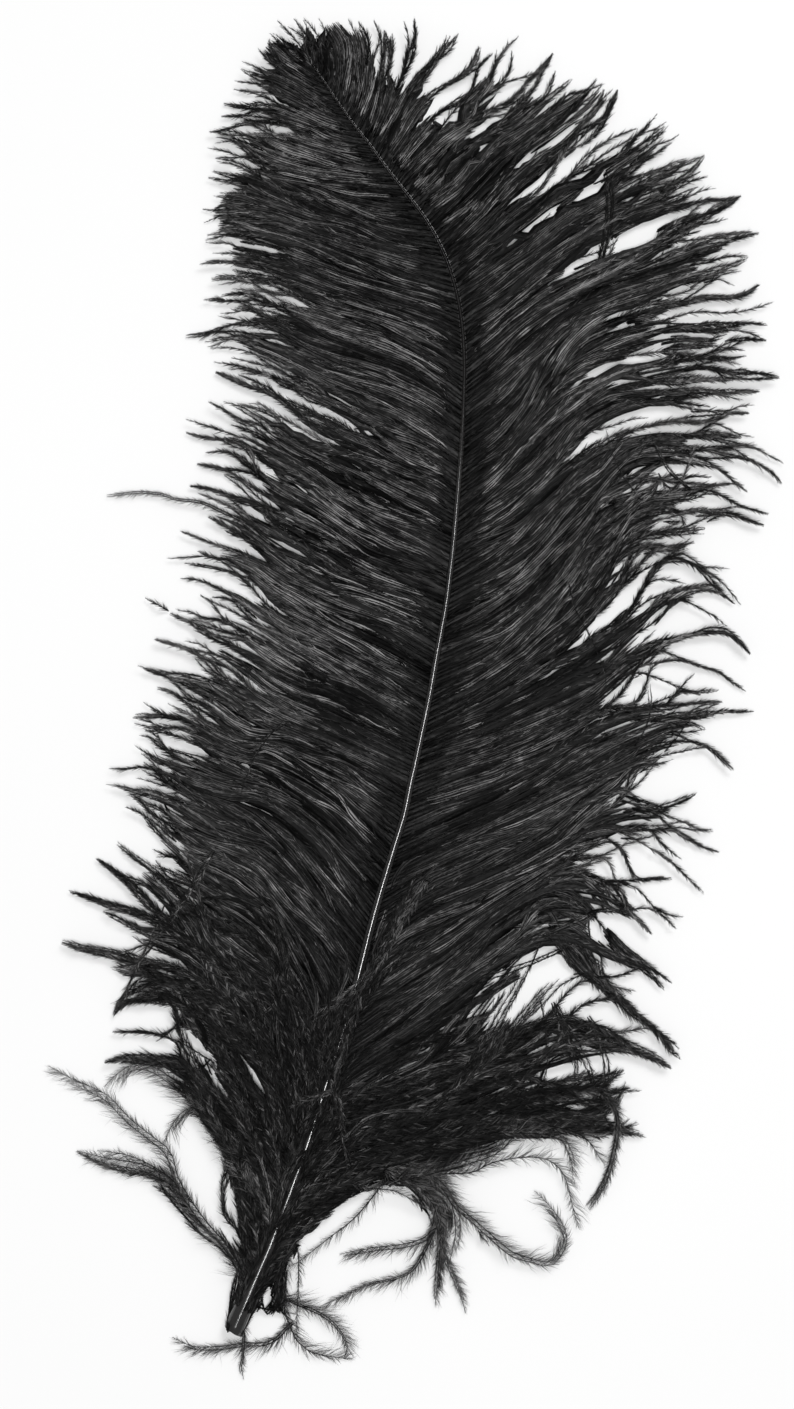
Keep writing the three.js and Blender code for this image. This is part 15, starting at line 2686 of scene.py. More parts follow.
    (-31.8,-164,-29.5,-155.9,-26.8,-147.2,-23.1,-139,-16.8,-132.7,-8.7,-128.7,-0.6,-124.8,6.9,-120.8),
    (15.4,91.4,8.5,95.6,0.3,98.4,-7.2,101.6,-15.3,104.8,-23.5,107.8),
    (-80.9,-214.2,-81.2,-208,-84.4,-202.3),
    (-60,66.2,-66.5,71.1,-72.6,76.5,-79.5,80.9),
    (12.9,19.3,22.1,22.1,31.9,25.1,41.2,29.2,47.9,36.1),
    (-67,-59,-75.2,-54.9,-83.3,-49.6,-91.6,-44.5,-100.2,-40.2,-107.4,-34.5),
    (3.8,9.7,-3.9,14.2,-12.6,18.1,-20.4,23.6,-28.8,27.9,-37.4,32,-45.1,36.5),
    (22.4,91.4,30.1,95.3,36.4,101.2,41.8,108,48,114,53.9,120.3,59.4,127,65.6,133,73.3,138.2),
    (-22.8,-170.2,-13.4,-169.3,-4.2,-165.5,5,-161.4,14.7,-159.1,24.5,-157.1,32.8,-151.6,40.7,-145.4,49.1,-141.1),
    (-30.5,250.9,-41.3,254.4,-51.5,259.6),
    (17.3,43.6,25.9,46.8,35,50.1,43.4,54.6,50.8,60.9,57.5,67.9,64,75,70.6,82.1,77.2,88.4),
    (-17.5,245.8,-14.1,253.2,-10.9,260.7,-7.9,268.3),
    (-1.3,-19.1,-9,-15.7,-17.3,-12.2,-25,-7.6,-33,-3.5,-40.9,-0.5),
    (28.1,-200,32.7,-198.9,37.2,-197.3),
    (19.5,-4,26.5,-0.1,33.4,3.9,40.7,8.6,47.2,13.2,54.5,17.9),
    (68.9,27.4,73.7,32,78.9,37.2,83.5,42,88.6,47.3),
    (-7.7,-44.9,-15.1,-40.5,-22.6,-35.4,-29.7,-29.7,-37.4,-25.9),
    (-66,-193,-67.5,-186.3,-68.6,-178.8,-69.5,-171.3),
    (-98.2,-106.4,-103.3,-102,-110.2,-99.2,-117.4,-97.7),
    (-4.7,229,1.6,235.6,8.9,242,16.6,247.9,24.6,253.5,30.5,260.4),
    (-14.2,-94.8,-11.6,-86.6,-8.8,-77.7,-3.3,-70.6,5.1,-66.8,13.4,-62.8,21.8,-58.9,29.6,-55.1),
    (-14.3,-68.5,-22.6,-63.9,-29.7,-56.9,-35.9,-49.1,-44.8,-44.3,-53.3,-38.8,-61.3,-33.7),
    (18.8,53,26.7,56.8,35,60.8,43.1,65.4,50.6,70.7,57.1,77.3,62.6,84.1),
    (-95.2,-122.3,-97.7,-119.9,-100.2,-117.6),
    (-6.7,232,-4.5,234.6,-1.8,237.8),
    (-50.5,-188.8,-46.2,-176.5,-46.7,-163.4,-45.4,-150.3,-49.5,-137.3,-53.1,-124.3,-58.3,-111.8,-65.4,-100.6,-76.3,-93.3),
    (-6.2,231.2,-3.9,234,-1.1,237.2),
    (10.3,190.1,1.8,192,-7.2,194.3,-16.2,196.8,-24.8,200.3,-32.9,203.5),
    (-50.8,-214.2,-46.1,-206.5,-39.4,-199.7,-31.9,-193.7,-24.9,-187.2,-16.8,-182.4,-7.3,-181,2.3,-181.4,11.2,-181),
    (24.9,136.1,32,141.1,39.2,146.7,46.2,152.5,53.2,158.5,59,164.8),
    (-23.8,242.1,-31.4,242.4,-39.3,244.6,-46.4,247.6),
    (7.6,30.5,-0.3,34.3,-8.9,37.9,-17.6,41,-26.5,43.8,-35,45.6),
    (6,-18.5,15,-14,24.8,-10.1,34.7,-6.5,43.8,-2.4),
    (-33.8,-148.9,-33.7,-140.7,-31.3,-132.9),
    (-1,224.4,1.6,227,4.5,230.2),
    (-24.2,269.1,-23.4,277.2,-23.7,285.8,-25.4,293.8),
    (14.6,-191.9,22.6,-187.4,30.5,-181.7,39.2,-177.7,48.6,-175,56.7,-169.9,65.7,-168.9),
    (-10.8,236.8,-6.4,243,-1.7,249.8),
    (17.2,40.5,25.6,43.2,34.5,46.2,42.6,50.9,50,56.6,56.8,63.1,63.1,69.3),
    (-84,-211.7,-81.5,-202.2,-86,-193.6),
    (-63.5,-90.2,-68.7,-84.1,-74.8,-78.9,-81.6,-74.7,-89,-71.5,-96.3,-68.4,-103.1,-64.2),
    (-35.2,-176.5,-36.1,-168.3,-34.5,-159.7,-32,-151.2,-29.7,-143.3),
    (-0.4,223.5,2.8,226.4,6.3,230.1),
    (19.6,-151.4,24,-147,28.1,-142.3,32.2,-136.8),
    (-59.1,-224.2,-57.2,-213.7,-52.7,-203.4,-48.1,-193.7),
    (-51.1,-84.3,-44.9,-90.7,-38.1,-97.3,-31.5,-104.1,-25.9,-111),
    (-75.4,-277.4,-71,-268.9,-66.7,-260.3),
    (-32.5,-144.7,-31.3,-139.1,-29.3,-133.7),
    (-101.9,-133,-107.4,-130,-113.9,-128.3),
    (21,78,27.6,83.7,34.7,89.6,41.8,95.5,49.5,100.7,56.3,106.9,61.9,113.6),
    (18.4,189.8,24.5,194,30.2,198.5,35.8,203.2,41.4,208),
    (50.9,215.4,53.7,217.2,57.1,219.3),
    (-94.8,-57.9,-100.1,-54.8,-105.2,-51.6,-110.6,-47.6),
    (-56.1,-250.6,-57.1,-260.6,-57.2,-270.6),
    (93.1,176.5,99.4,178.8,105.8,181),
    (118,184.7,122.5,186,127.7,187.4),
    (-29.8,278.2,-29.3,282.4,-29.2,286.6,-30.6,290.5,-32.9,294,-35.6,297.3),
    (-30.7,277.9,-30.4,282.1,-30.6,286.3,-31.7,290.4,-33.8,294,-36.3,297.4),
    (-31.8,277.3,-31.6,280.9,-31.6,285.1,-32.5,289.2,-34.3,293,-36.7,296.5),
    (-31.6,277.6,-31.3,281.9,-31.6,286.8,-32.6,291.6,-32,296.4),
    (-26.5,275.6,-26.2,279.1,-26.3,283.3,-26.8,287.5,-28.5,291.3,-31.2,294.6,-33.9,297.8),
    (-32.4,277.4,-32.2,280.9,-32.3,285.1,-33.3,289.2,-35.2,293,-37.6,296.5),
    (-24.2,275.8,-24,280,-24.5,284.9,-25.4,289,-27.6,293.4),
    (-25.2,275.4,-24.9,279.6,-25.4,284.5,-26.4,289.3,-28.9,293.6),
    (-28.2,275.7,-27.6,279.2,-27.2,283.4,-27.5,287.6,-29.4,291.3,-32,294.6,-34.8,297.8),
    (-22.9,276.6,-22.8,280.8,-23.3,285.7,-24.3,289.8,-26.2,294.4),
    (-23.4,276.7,-23.4,280.9,-23.8,285.1,-24.8,289.2,-26.8,293.7),
    (-32.8,277.5,-32.6,281,-32.9,285.2,-34.1,289.3,-36.1,293,-38.5,296.5),
    (-33.5,279.2,-33.9,283.4,-35.1,287.5,-36.9,291.3,-39.5,295.5),
    (-22,274.7,-21.8,279.6,-21.9,284.6,-23.1,289.3,-24.9,293.9),
    (-21.1,275.2,-20.9,280.1,-20.9,285.1,-22.2,289.8,-24,294.4),
    (-51.2,273.8,-54.8,276,-58.8,278.8,-62.5,282.1,-66.1,285.4),
    (-51,275.7,-54.6,277.9,-58.6,280.8,-61.8,283.5,-65.6,286.7),
    (-52,273.8,-55.6,276,-59.7,278.8,-62.7,281.7,-66.5,284.9),
    (-20.8,267.1,-20,271.2,-19.6,276.1,-19.1,280.3,-18.3,285.2),
    (-53.4,269.4,-57.2,271.2,-61.7,273.2,-66.1,275.3,-70.8,277),
    (-51.9,266.9,-55.5,269.1,-59.4,270.8,-63.4,272.2,-67.4,273.3,-72.2,274.7),
    (-14,256,-12.5,259.9,-10.9,264.6,-9.5,269.3,-7.8,273.9),
    (22.6,259.8,25.6,262.8,29.4,266,32,269.3,34.3,273.7),
    (24.8,260.3,26.9,263,30.2,265.7,32.7,269.1,34.7,272.8),
    (-12.7,253.8,-11.2,257,-9.5,260.9,-7.8,264.8,-6.1,268.6,-4.6,272.6),
    (-13.1,252.7,-11.3,256.5,-9.5,260.4,-7.7,264.2,-5.9,268,-4.2,271.8),
    (67.9,254.4,71.4,256.8,75.1,260,78.7,263.3,81.9,267.1),
    (70.8,250.7,75.2,254.2,79.7,258.7,83.2,263.9),
    (71.6,252.3,75,254.8,78.4,258.4,80.8,261.8,83.1,266.2),
    (67.6,254.2,71,256.7,74.5,260.2,77.8,263.8,81.1,267.5),
    (65.9,253,69.5,255.2,72.9,257.7,76.2,260.4,79.3,263.3,81.9,266.5),
    (69.9,249.3,72.7,251.5,76,254.1,79,257.1,81.5,260.5,84,263.9),
    (37.9,252.8,41.2,255.4,45.1,258.4,48.5,261,51.5,264.8),
    (39.1,255,42.1,257,45.4,259.6,48.5,262.5,51.1,265.8),
    (38.9,253.1,42.2,255.7,45.6,258.3,49,260.8,52,264.7),
    (46.3,252.8,49.8,255.2,53.6,258.3,57.4,261.4,61.5,264.1),
    (45.9,251.9,50,254.6,53.8,257.8),
    (46.2,254.2,49.7,256.6,53.5,259.7,56.9,262.2,60.9,265.1),
    (66.3,253,72.6,257,78.6,261.6),
    (-4.7,242.6,-2.3,246,0.7,250,3.4,253.2,6.7,256.8),
    (-4.8,241.7,-1.9,245.7,1.1,249.7,4.3,253.4,7.7,257),
    (-58.3,237.7,-61.9,239.9,-65.2,242.5,-68.7,244.9,-72.7,246,-77.5,247.1),
    (-59.1,240,-62.8,242.2,-66.7,245.1,-70.6,246.7,-75.4,247.7),
    (-67.3,235.6,-69.5,237.3,-72.2,239.6),
    (-63.4,234.8,-67.3,236.5,-71.2,239.5,-75,242.7,-79.6,244.5),
    (64.7,238.5,70.6,242.4),
    (65.8,238.7,70.9,242.4),
    (-59.8,225,-63.5,227,-67.3,228.7,-71,230.7,-75.6,232.6),
    (82.8,230.3,88.4,234.3,94.2,237.9,100.5,242.1),
    (83,229.9,88.6,233.9,95,238,101.3,242.1),
    (97.6,225,102.2,226.7,106.8,228.5,111.4,230.2,116,232.1),
    (94.4,223.5,98.4,225,102.3,226.4,106.3,227.8,110.3,229.3,115,230.8),
    (78.5,226.4,82.4,228.2,86.6,230.7,90.4,233.8,94.4,236.6,98.6,239.2),
    (81.9,227.1,87.6,230.8,93,235,99.3,239.1),
    (82.7,225.8,85.4,229,88.3,232.1,91.5,234.9,95,237.3,98.6,239.5),
    (-62.6,219.9,-66,220.9,-69.9,222.6,-73.8,224.2,-77.8,225.5,-81.8,226.9),
    (99.5,218.4,103.4,220,107.9,222,111.6,224,116,226.3),
    (98.9,217.9,103.5,219.5,108,221.6,112.4,223.9,116.8,226),
    (99.7,217.5,103.7,218.9,108.2,220.9,112,222.8,116.4,224.9),
    (62.1,214.9,65.9,218,69.7,221.1,74.1,224.6),
    (62.8,214.8,66.6,217.9,70.4,221,74.2,224.2),
    (63.8,215,68.2,218.5,72.6,222),
    (-66.5,215.9,-70.4,217.3,-75.2,218.6,-80,219.5,-84.9,219.3),
    (-66.8,215.9,-70.7,217.6,-75.3,219.5,-80,220.8,-84.9,221.2),
    (-67.6,216.2,-71.5,217.8,-75.4,219.2,-79.5,220.4,-84.4,220.7),
    (-66.8,216,-70.8,217.5,-75.6,218.5,-80.5,219,-85.4,218.3),
    (103,214.5,107,215.7,111.7,217.2,115.7,218.7,120.4,220),
    (-66.2,204,-70.2,205.3,-74.1,206.7,-78.2,207.9,-82.4,208.4,-86.6,208.2),
    (-67.1,205.2,-71.6,207,-76.3,208.6,-81.2,209.4,-86.1,209.1),
    (-69.2,213.1,-74,214.3,-78.9,214,-83.8,213.8,-88.7,214.4),
    (-68.5,216.7,-71.8,217.8,-76,218.2,-80.3,218,-84.4,217.1,-88.4,215.9),
    (-69.5,211.7,-73.7,212.5,-78.6,212.4,-83.5,212.6,-88.4,212.9),
    (-67.7,203.5,-71.7,204.7,-76.5,206,-81.4,206.3,-86.2,205.5),
    (-67.4,204.2,-71.4,205.6,-76,207.2,-80.9,207.8,-85.8,207.3),
    (-67.8,210.8,-71.9,211.4,-76.9,211.8,-81.8,211.7,-86.7,211.3),
    (-67.2,207.7,-71.3,208.7,-76,210.1,-80.9,210.5,-85.8,209.9),
    (-69.8,217.1,-73.9,217.9,-78.8,217.8,-83.7,216.9,-88.4,215.4),
    (-69.2,214.9,-73.3,215.9,-78.2,215.8,-83.1,215.2,-88,214.9),
    (-66.4,203.8,-69.8,204.7,-73.8,206.1,-77.9,207.2,-82.1,207.2,-86.3,206.6),
    (85.9,202.7,90.1,205.3,94.7,207.1,99.2,209.1),
    (106.6,206.4,110.4,208.3,114.2,210.2,118.1,211.8,122.6,213.7),
    (106.2,205.5,110.5,207.8,114.9,210.1,119.5,211.8,124.1,213.8),
    (87.7,202.9,89.7,205.8,93.3,208,97.2,209.7,101,211.5,104.9,213),
    (83.7,202.9,87.5,204.7,91.2,206.9,95,208.6,98.9,210.3,102.8,211.9),
    (88.1,202.8,90.8,206,94.6,208,98.4,209.7,102.3,211.3,106.3,212.8),
    (86.4,202,88.3,205,91.5,207.7,95.4,209.4,99.2,211.2,103.1,212.7),
    (-58,197.5,-63.4,199,-69.6,200.2,-75.8,201.5),
    (-58.1,197.9,-62.2,199.2,-66.9,200.3,-71.1,201,-75.8,202.4,-79.9,203.4,-84.8,204.1),
    (-58.8,197.3,-62.2,198.3,-65.6,199.1),
    (-70.5,199.8,-73.3,200.3,-76.7,201),
    (96.7,191,101.1,193.3,105.1,196.1,109.6,198.2,114.3,199.8),
    (98.4,191.3,102.1,193.4,105.5,195.9,109.3,197.6,114,199.1),
    (-61.4,194.7,-65.6,195.6,-70.4,196.6,-75.2,197.5,-80.1,198.6),
    (-62.4,195.7,-66.5,196.6,-70.7,197.4,-74.8,198.2,-79.6,199.6),
    (-62.3,194.4,-66.4,195.3,-71.3,196.3,-75.4,197,-80.2,198),
    (110.3,190,115,191.6,119.7,193,124.5,194.2,129.3,195.1),
    (117.6,193.1,121.5,194.7,126.3,196,130.3,197.3,134.9,198.9),
    (117,192.6,121,194,125.8,195.3,130.5,196.7,135.2,198.3),
    (114.7,191.7,118.1,192.7,122.1,194.1,126.2,195,130.3,196.1,134.3,197.2),
    (110.6,189.8,114.6,191.2,119.4,192.4,123.5,193.2,128.4,194),
    (91.1,188,95.1,189.3,99.1,190.8,102.7,193,106,195.6,109.5,197.9,114.1,199.7),
    (-60,191.2,-63.5,191.9,-67.6,192.9,-71.8,193.6,-76,194.1,-80.2,194.7),
    (-61.8,192.6,-65.9,193.4,-70.8,194.2,-75,194.9,-79.8,195.7),
    (-62.7,191,-66.8,192,-70.9,192.8,-75.1,193.3,-80,193.8),
    (69.8,189,74.4,190.8,79,192.6,83.6,194.3,88,196.6),
    (70.3,188.8,73.6,190.1,77.5,191.6,81.5,193.1,85.4,194.6,89.2,196.5),
    (-64.8,188.8,-72.4,190.4,-80.1,191.4),
    (-60.8,186.2,-64.7,187.6,-69.5,189,-74.3,189.8,-79.2,190.5),
    (105.5,185,110.9,186.5,117,188.3,123.1,190.1),
    (105.1,185.7,109.2,186.9,113.9,188.3,117.9,189.7,122.6,190.9,127.5,191.9),
    (106.3,184.7,110.4,185.9,115.1,187.3,119.9,188.4,124.6,189.8),
    (107.1,184.7,115.2,187,124.1,189),
    (50.5,178.2,53.7,181,57.6,183.9,61.4,185.9,65.8,188),
    (50.2,177.1,53.4,179.9,57.3,182.9,60.9,185,65.4,187.1),
    (63.6,177,69.1,179.7,74.5,182.6),
    (77.5,184.1,83.3,187.6,90.1,190.7,97.2,192.9),
    (127.1,183.2,133.2,184.6),
    (-41.6,171.3,-46.8,173.5,-52.6,176.1),
    (93.6,166.1,97.8,166.9,102.6,168.1,106.5,169.6,111.2,171.2),
    (93,165.5,97.2,166.1,101.9,167.4,106.5,169.1,111.2,170.8),
    (93.5,165,99.7,166.3,105.7,168.3),
    (-52.8,162.1,-56,163.5,-59.9,165.1,-63.9,166.4,-68,167.3,-72.3,167.6),
    (-53.6,161.9,-58.2,163.8,-62.7,165.6,-67.5,166.8,-72.4,167.1),
    (-62.9,167.1,-66.3,168,-70.4,169.1),
    (-54.6,161.2,-58.3,163.2,-62.9,164.9,-67.7,166.1,-72.6,166.7),
    (73.1,155.6,76.4,158.2,80.8,160.4,85.3,162.4,89.8,164.5),
    (70.8,153.3,74,156.1,77.5,158.4,81.3,160.2,85.2,161.9,89.1,163.6),
    (-53.4,157,-58.4,160.5,-64.8,162.6),
    (84.7,156.9,87.9,158.4,91.7,160.2,95.8,161.2,99.9,162.2,104,163.5),
    (78.2,153.1,82,155,86.5,157.2,90.2,159,94.9,160.6,99,161.5,103.8,162.7),
    (107.8,161.3,111.3,161.6,115.5,161.9,119.7,162,124,161.8,128.2,161.7,132.4,161.6),
    (109.4,161,113.6,161.3,118.5,161.6,123.4,161.4,128.4,161.2,133.3,161.1),
    (115.4,158.3,119.7,158.3,124.6,158.1,128.8,158.3,133.6,159.2),
    (114.5,157.2,118.8,157.5,123.7,157.4,128.6,157.6,133.5,158.4),
    (108.4,156.6,113.8,157.4,119.9,158,126,157.9),
    (109.2,157.8,114.1,158.4,119,158.9,123.9,158.7,128.8,158.4),
    (108.3,155.9,111.8,156.6,115.9,157.3,120.1,157.6,124.4,157.7,128.6,157.4,132.8,157.6),
    (-59.5,150.5,-62.8,151.7,-66.7,153.3,-70.7,154.8,-74.7,156.1,-78.8,157.2),
    (-56.5,148,-60.4,149.6,-65,151.4,-69,152.9,-73.6,154.4),
    (87.6,152.7,91.7,153.6,96.6,154.6,100.7,155.5,105.5,156.6),
    (86.2,152,90.4,152.9,95.2,153.8,100,154.8,104.9,155.8),
    (75,146.1,79,147.5,83.7,148.7,88.6,149.6,93.4,150.5),
    (72.9,144.8,76.8,146.4,80.9,147.7,85,148.5,89.1,149.2,93.3,150.1),
    (74.9,145.5,78.9,146.8,83,147.8,87.2,148.5,92,149.4),
    (105.1,141.7,109.3,142.6,114.1,143.6,118.2,144.4,123.1,145.1),
    (102.5,140.8,105.9,141.5,110.1,142.3,114.2,143.2,118.4,143.9,122.6,144.5),
    (60,132.2,62.9,135.3,66.8,138.4,71.2,140.5,75.7,142.5),
    (60.9,134,63.8,137.1,67.6,140.2,71.4,142.1,76,143.9),
    (59.5,131.4,63,134.9,67,137.8,71.4,139.9,75.9,141.9),
    (93.9,129.3,98.1,130,102.3,130.3,106.5,130.2,110.7,129.7,114.9,129.1,119.1,128.7),
    (-35.9,114,-39.7,115.8,-44,118.3,-47.5,120.5,-51.5,123.4),
    (78.1,107.3,83,110,88.4,113.4),
    (78.1,105.7,81.1,107.5,84.6,109.9,87.9,112.6,91.6,114.5,95.5,116.2),
    (-59.6,104.8,-63.4,107.8,-67.3,110.8,-71.7,113.2,-76.2,115),
    (100.9,113.1,105.1,113.3,110,113.8,114.9,113.8,119.8,113.8),
    (97.8,112.6,102,113,106.2,113.1,110.4,113.5,114.7,113.3,119.6,113.1),
    (93,79.6,96.1,82.4,99.6,86,102.6,88.9,105.6,92.8,107.9,97.1),
    (94,80.3,97.2,83,101.1,86,104.1,89,106.4,93.3,107.6,98.1),
    (92.2,79.1,94.9,82.4,98.1,86.1,101.7,89.5,104.8,93.3,107.9,97.1),
    (92.7,80.7,94.8,83.5,97.6,86.6,101,89.2,104.7,91.1,108.9,91.6,113.1,90.8,117.3,90.9,121.4,91.7,125.6,92.1),
    (88.8,64.1,91.2,67.6,94.8,70.9,98.5,72.9,102.8,75.4,107.1,77.8),
    (88.4,63.3,90.7,66.8,93.7,69.8,97.3,72,101.1,73.8,105.4,76.2),
    (90.8,68.6,93.5,71.8,97,74.2,100.7,76.3,104.6,77.9,108.6,79.3),
    (88.8,64.4,91.1,67.9,94.1,70.9,97.6,73.1,101.1,75.5,104.7,77.7,108.6,79.3),
    (89.2,64.6,91.8,68,95.6,71,100.2,72.8,104.8,74.7),
    (-65.2,37.4,-68.7,39.8,-72.7,42.7,-76.8,45.4,-81.3,47.4),
    (105,38,108.2,40.8,112.3,43.4,117.1,44.4,122,44.8),
    (105,37.8,108.1,40.6,112.3,43.2,116.4,44,121.3,43.7),
    (-62.4,24.8,-66,27.1,-69.5,29.3,-73.3,31.2,-77.2,33,-81,34.7),
    (-66.1,23.1,-69.1,25,-72.7,27.1),
    (68.8,24.3,71.5,26.5,74.1,28.9),
    (86,14.3,91.1,17.8,96.1,21.3,101.1,24.9),
    (88.7,15.8,92.2,18.1,95.8,20.4,99.2,22.8,102.8,25,106.7,26.8),
    (80.6,10.1,83.9,13.8,87.6,17,91.2,20.4,95,23.6),
    (82.2,11.8,87.4,16.2,92.9,20.4,98.4,24.4),
    (-70.8,12.2,-73,14,-75.8,16.1),
    (-79.4,18.4,-82.5,20,-86.4,21.6),
    (-75.7,14.8,-81.1,18,-86.8,20.8),
    (76.2,-4.2,79.7,-1.9,83,0.8,86.2,3.5,89.8,6.8,92.9,9.8,95.8,12.8,99.6,15.9),
    (65.4,-9.9,68.6,-8.5,72.4,-6.6,76.2,-4.8,79.8,-2.7,83.4,-0.4),
    (66,-9.8,69.8,-8,73.5,-6.1,77.4,-4.4,81.9,-2.4),
    (98.7,-19.2,102.5,-17.5,107,-15.3,111.5,-13.4,116.3,-12.2,121.1,-11.3),
    (99.5,-19.6,103.4,-18,107.9,-15.8,111.7,-14.1,116.5,-12.7,121.3,-11.8),
    (-83,-23.6,-88.6,-21,-94.1,-18.3,-99.7,-15.7),
    (-85.8,-21.6,-88.9,-19.8,-92.5,-17.7,-96.3,-15.9,-100.2,-14.3,-104.3,-13.1),
    (-81.4,-24.6,-87,-22.2,-92.6,-19.6,-98.4,-17.5),
    (-84.9,-24.4,-88.6,-22.5,-93.1,-20.5,-97.1,-19.1,-101.8,-17.6),
    (-83.3,-26.2,-87,-24.2,-91.4,-21.8,-96,-20.1,-100.7,-18.7),
    (-100.9,-37.2,-103.9,-34.2,-107,-31.3),
    (-110.4,-28.9,-113.5,-27.2,-116.6,-25.6),
    (-99.2,-34,-102.4,-32.4,-106.1,-30.3,-109.7,-28.3,-113.5,-26.4,-117.3,-24.4),
    (76.5,-46.5,81.7,-42.2,88,-38.2,93,-32.8,99,-28.4),
    (75.9,-48.5,82.1,-43.2,89.5,-38.6,95,-31.8,102.5,-27.3),
    (76,-48.2,79.1,-45.3,83.1,-42.5,87.7,-40.7,91.9,-38.1),
    (76.3,-46,82.1,-41.3,88.1,-37,93,-31.4,99.2,-27.4),
    (77.7,-48.8,80.8,-45.9,85,-43.3,89.5,-41.3,93,-37.9),
    (78.7,-43.3,82.3,-41.1,87,-39.7,91.9,-39.7,96.4,-41.7),
    (81.9,-50.5,85.4,-48.1,88.7,-45.4,91.9,-42.6,95.6,-39.4),
    (80,-33.8,86.9,-36.5,93.2,-40.7,99.7,-44.5),
    (71,-56.1,76.1,-52.5,81.2,-49.1,86.2,-45.4),
    (88.5,-43.8,92,-41.7,95.4,-39.3),
    (70.3,-56.5,75.4,-53,80.8,-49.8,86.3,-45.8),
    (88.6,-44.2,92,-41.9,95.3,-39.4),
    (95.7,-47.6,99.2,-47.8,103.4,-47.9,107.6,-48.4,111.6,-49.8),
    (95.5,-47.9,99.7,-48.1,103.9,-48.3,108.1,-48.4,112.4,-48.8),
    (95,-48.6,99.2,-49,104.1,-49.1,108.3,-48.7,112.9,-47),
    (95.3,-47.7,100.2,-48.1,105.1,-48.7,110.5,-50.4),
    (78.2,-58.4,81.6,-57.4,85.8,-56.9,90,-57.3,94.1,-57.8,98.4,-57.9,102.6,-57.5),
    (54,-79,57.7,-76.8,62,-74.5,66.6,-72.8,71.4,-71.6),
    (54.7,-78.6,59.6,-75.8,65.4,-73.4,71.6,-72.3),
    (-105.8,-91.4,-107.2,-87.4,-109.7,-84.1,-113,-81.4,-116.4,-78.9,-119.8,-76.4),
    (-105.1,-92.5,-106.9,-88.7,-109.1,-85.2,-112.5,-82.6,-115.9,-80.2,-119.9,-77.4),
    (-106.1,-90.8,-107.1,-87.4,-109.4,-83.9,-112.6,-81.1,-115.8,-78.5,-119.2,-76),
    (-103.4,-94.3,-107.3,-88.7,-112.1,-83.9,-118.2,-79.5),
    (85.9,-79.4,90.1,-80,94.9,-80.8),
    (85.8,-79.6,89.9,-80.3,94.7,-81.6),
    (69.7,-77.6,73.7,-78.9,77.5,-82,80.6,-84.9,83.7,-88.8,86.7,-91.7,90.9,-94.1,95.1,-96.7),
    (59.9,-84.3,63.4,-84,67.4,-84.9,70.8,-87.4,74.2,-89.9,77.4,-92.7,80.3,-95.8),
    (61,-83.9,65.2,-83.4,69.8,-84.9,73.7,-87.9,77.1,-91.4,80.3,-95.3),
    (58.5,-85.1,62.8,-84.8,66.8,-85.8,70.4,-88,73.9,-90.4,77.2,-93,80.1,-96),
    (52.8,-94,55.7,-92.1,59.8,-91.2,64,-90.9,68.2,-91.4,72.3,-92.4,76.2,-94,79.7,-96.3),
    (55.1,-92.3,59.2,-91.3,63.4,-91,67.6,-91.5,71.6,-92.8,75.6,-94.2,80,-96.2),
    (51.1,-95.2,54.4,-92.6,58.3,-91,63.2,-90.4,67.4,-90.4,72.3,-91.1,76,-93.1,79.6,-96.4),
    (51.1,-95.5,54.6,-93.3,58.7,-92.2,62.9,-91.8,67.8,-92.2,72,-92.8,76,-94.1,80.2,-96.6),
    (52.4,-95,55.6,-93.6,59.8,-92.8,64,-92.5,68.2,-92.8,72.4,-93.5,76.5,-94.2,80.4,-95.9),
    (63.1,-88,67.2,-88.9,71.6,-91,75.5,-94,78.9,-97.6),
    (63,-87,67,-88.1,71.4,-90.4,75.1,-93.7,77.9,-97.7),
    (62.4,-85.9,65.8,-86.9,68.3,-90.1,69.4,-94.2,70.5,-98.3,71.5,-102.4,70.4,-106.4,68.6,-110.2,67.3,-114.2,68.6,-118.2),
    (52.9,-97.7,59.6,-98.3,67,-98.5,73.1,-102.4,78.9,-107),
    (58.6,-98.8,65.3,-98.2,72.4,-99.9,78,-104.6),
    (58.1,-100.8,65.3,-99.3,72,-102,78.2,-106.2),
    (54.9,-103.7,59,-102.5,63.7,-101.1,67.7,-99.9,72.5,-98.6,76.2,-96.5,80,-93.5),
    (54.9,-104,59,-102.9,63.6,-101.2,67.5,-99.6,72,-97.6,75.7,-95.6,80,-93.2),
    (58.8,-97.8,64.9,-97.8,71.5,-98.5,77.2,-102),
    (83.2,-109.2,86.6,-111.4,90.2,-113.2),
    (60.1,-93.1,66.1,-93.6,71.8,-97,77.3,-101.1),
    (80.6,-106.1,84.6,-109.7,90,-112.5),
    (67.8,-84.8,70.6,-87,73.9,-89.6,76,-93.1,76.1,-97.4,76.5,-101.6,77.2,-105.7,79.1,-109.5,81.4,-113),
    (59.9,-99.7,66.5,-98.9,72.7,-101.4,78.1,-105.4),
    (82.3,-109.8,85.6,-112,89.8,-114.2),
    (66.6,-84.7,71.6,-88.2,75.5,-92.7,76.8,-99.2),
    (-99.7,-107.1,-102.5,-104.9,-106.3,-103.1,-110.1,-101.2,-114.2,-100.6,-118.5,-100.4,-122.6,-99.5,-126.5,-97.9,-130.2,-96),
    (-100.9,-106,-104.7,-104.2,-108.4,-102.3,-113.2,-101.2,-117.4,-101,-122.2,-99.9,-126.1,-98.2,-130.5,-96.1),
    (84.2,-100.8,86.1,-103.7,88.5,-107.3,91.1,-110.6,94.4,-113.2,98,-115.4),
    (84.7,-100.4,87.1,-103.9,89.8,-107.2,93.3,-110.6,96.5,-113.3,100.7,-115.9),
    (85.2,-100.9,87.9,-104.2,91.3,-107.7,94.4,-110.6,98.3,-113.7,102.5,-116.2),
    (84.3,-107.7,89.8,-111.6,95.7,-114.9,102.5,-118),
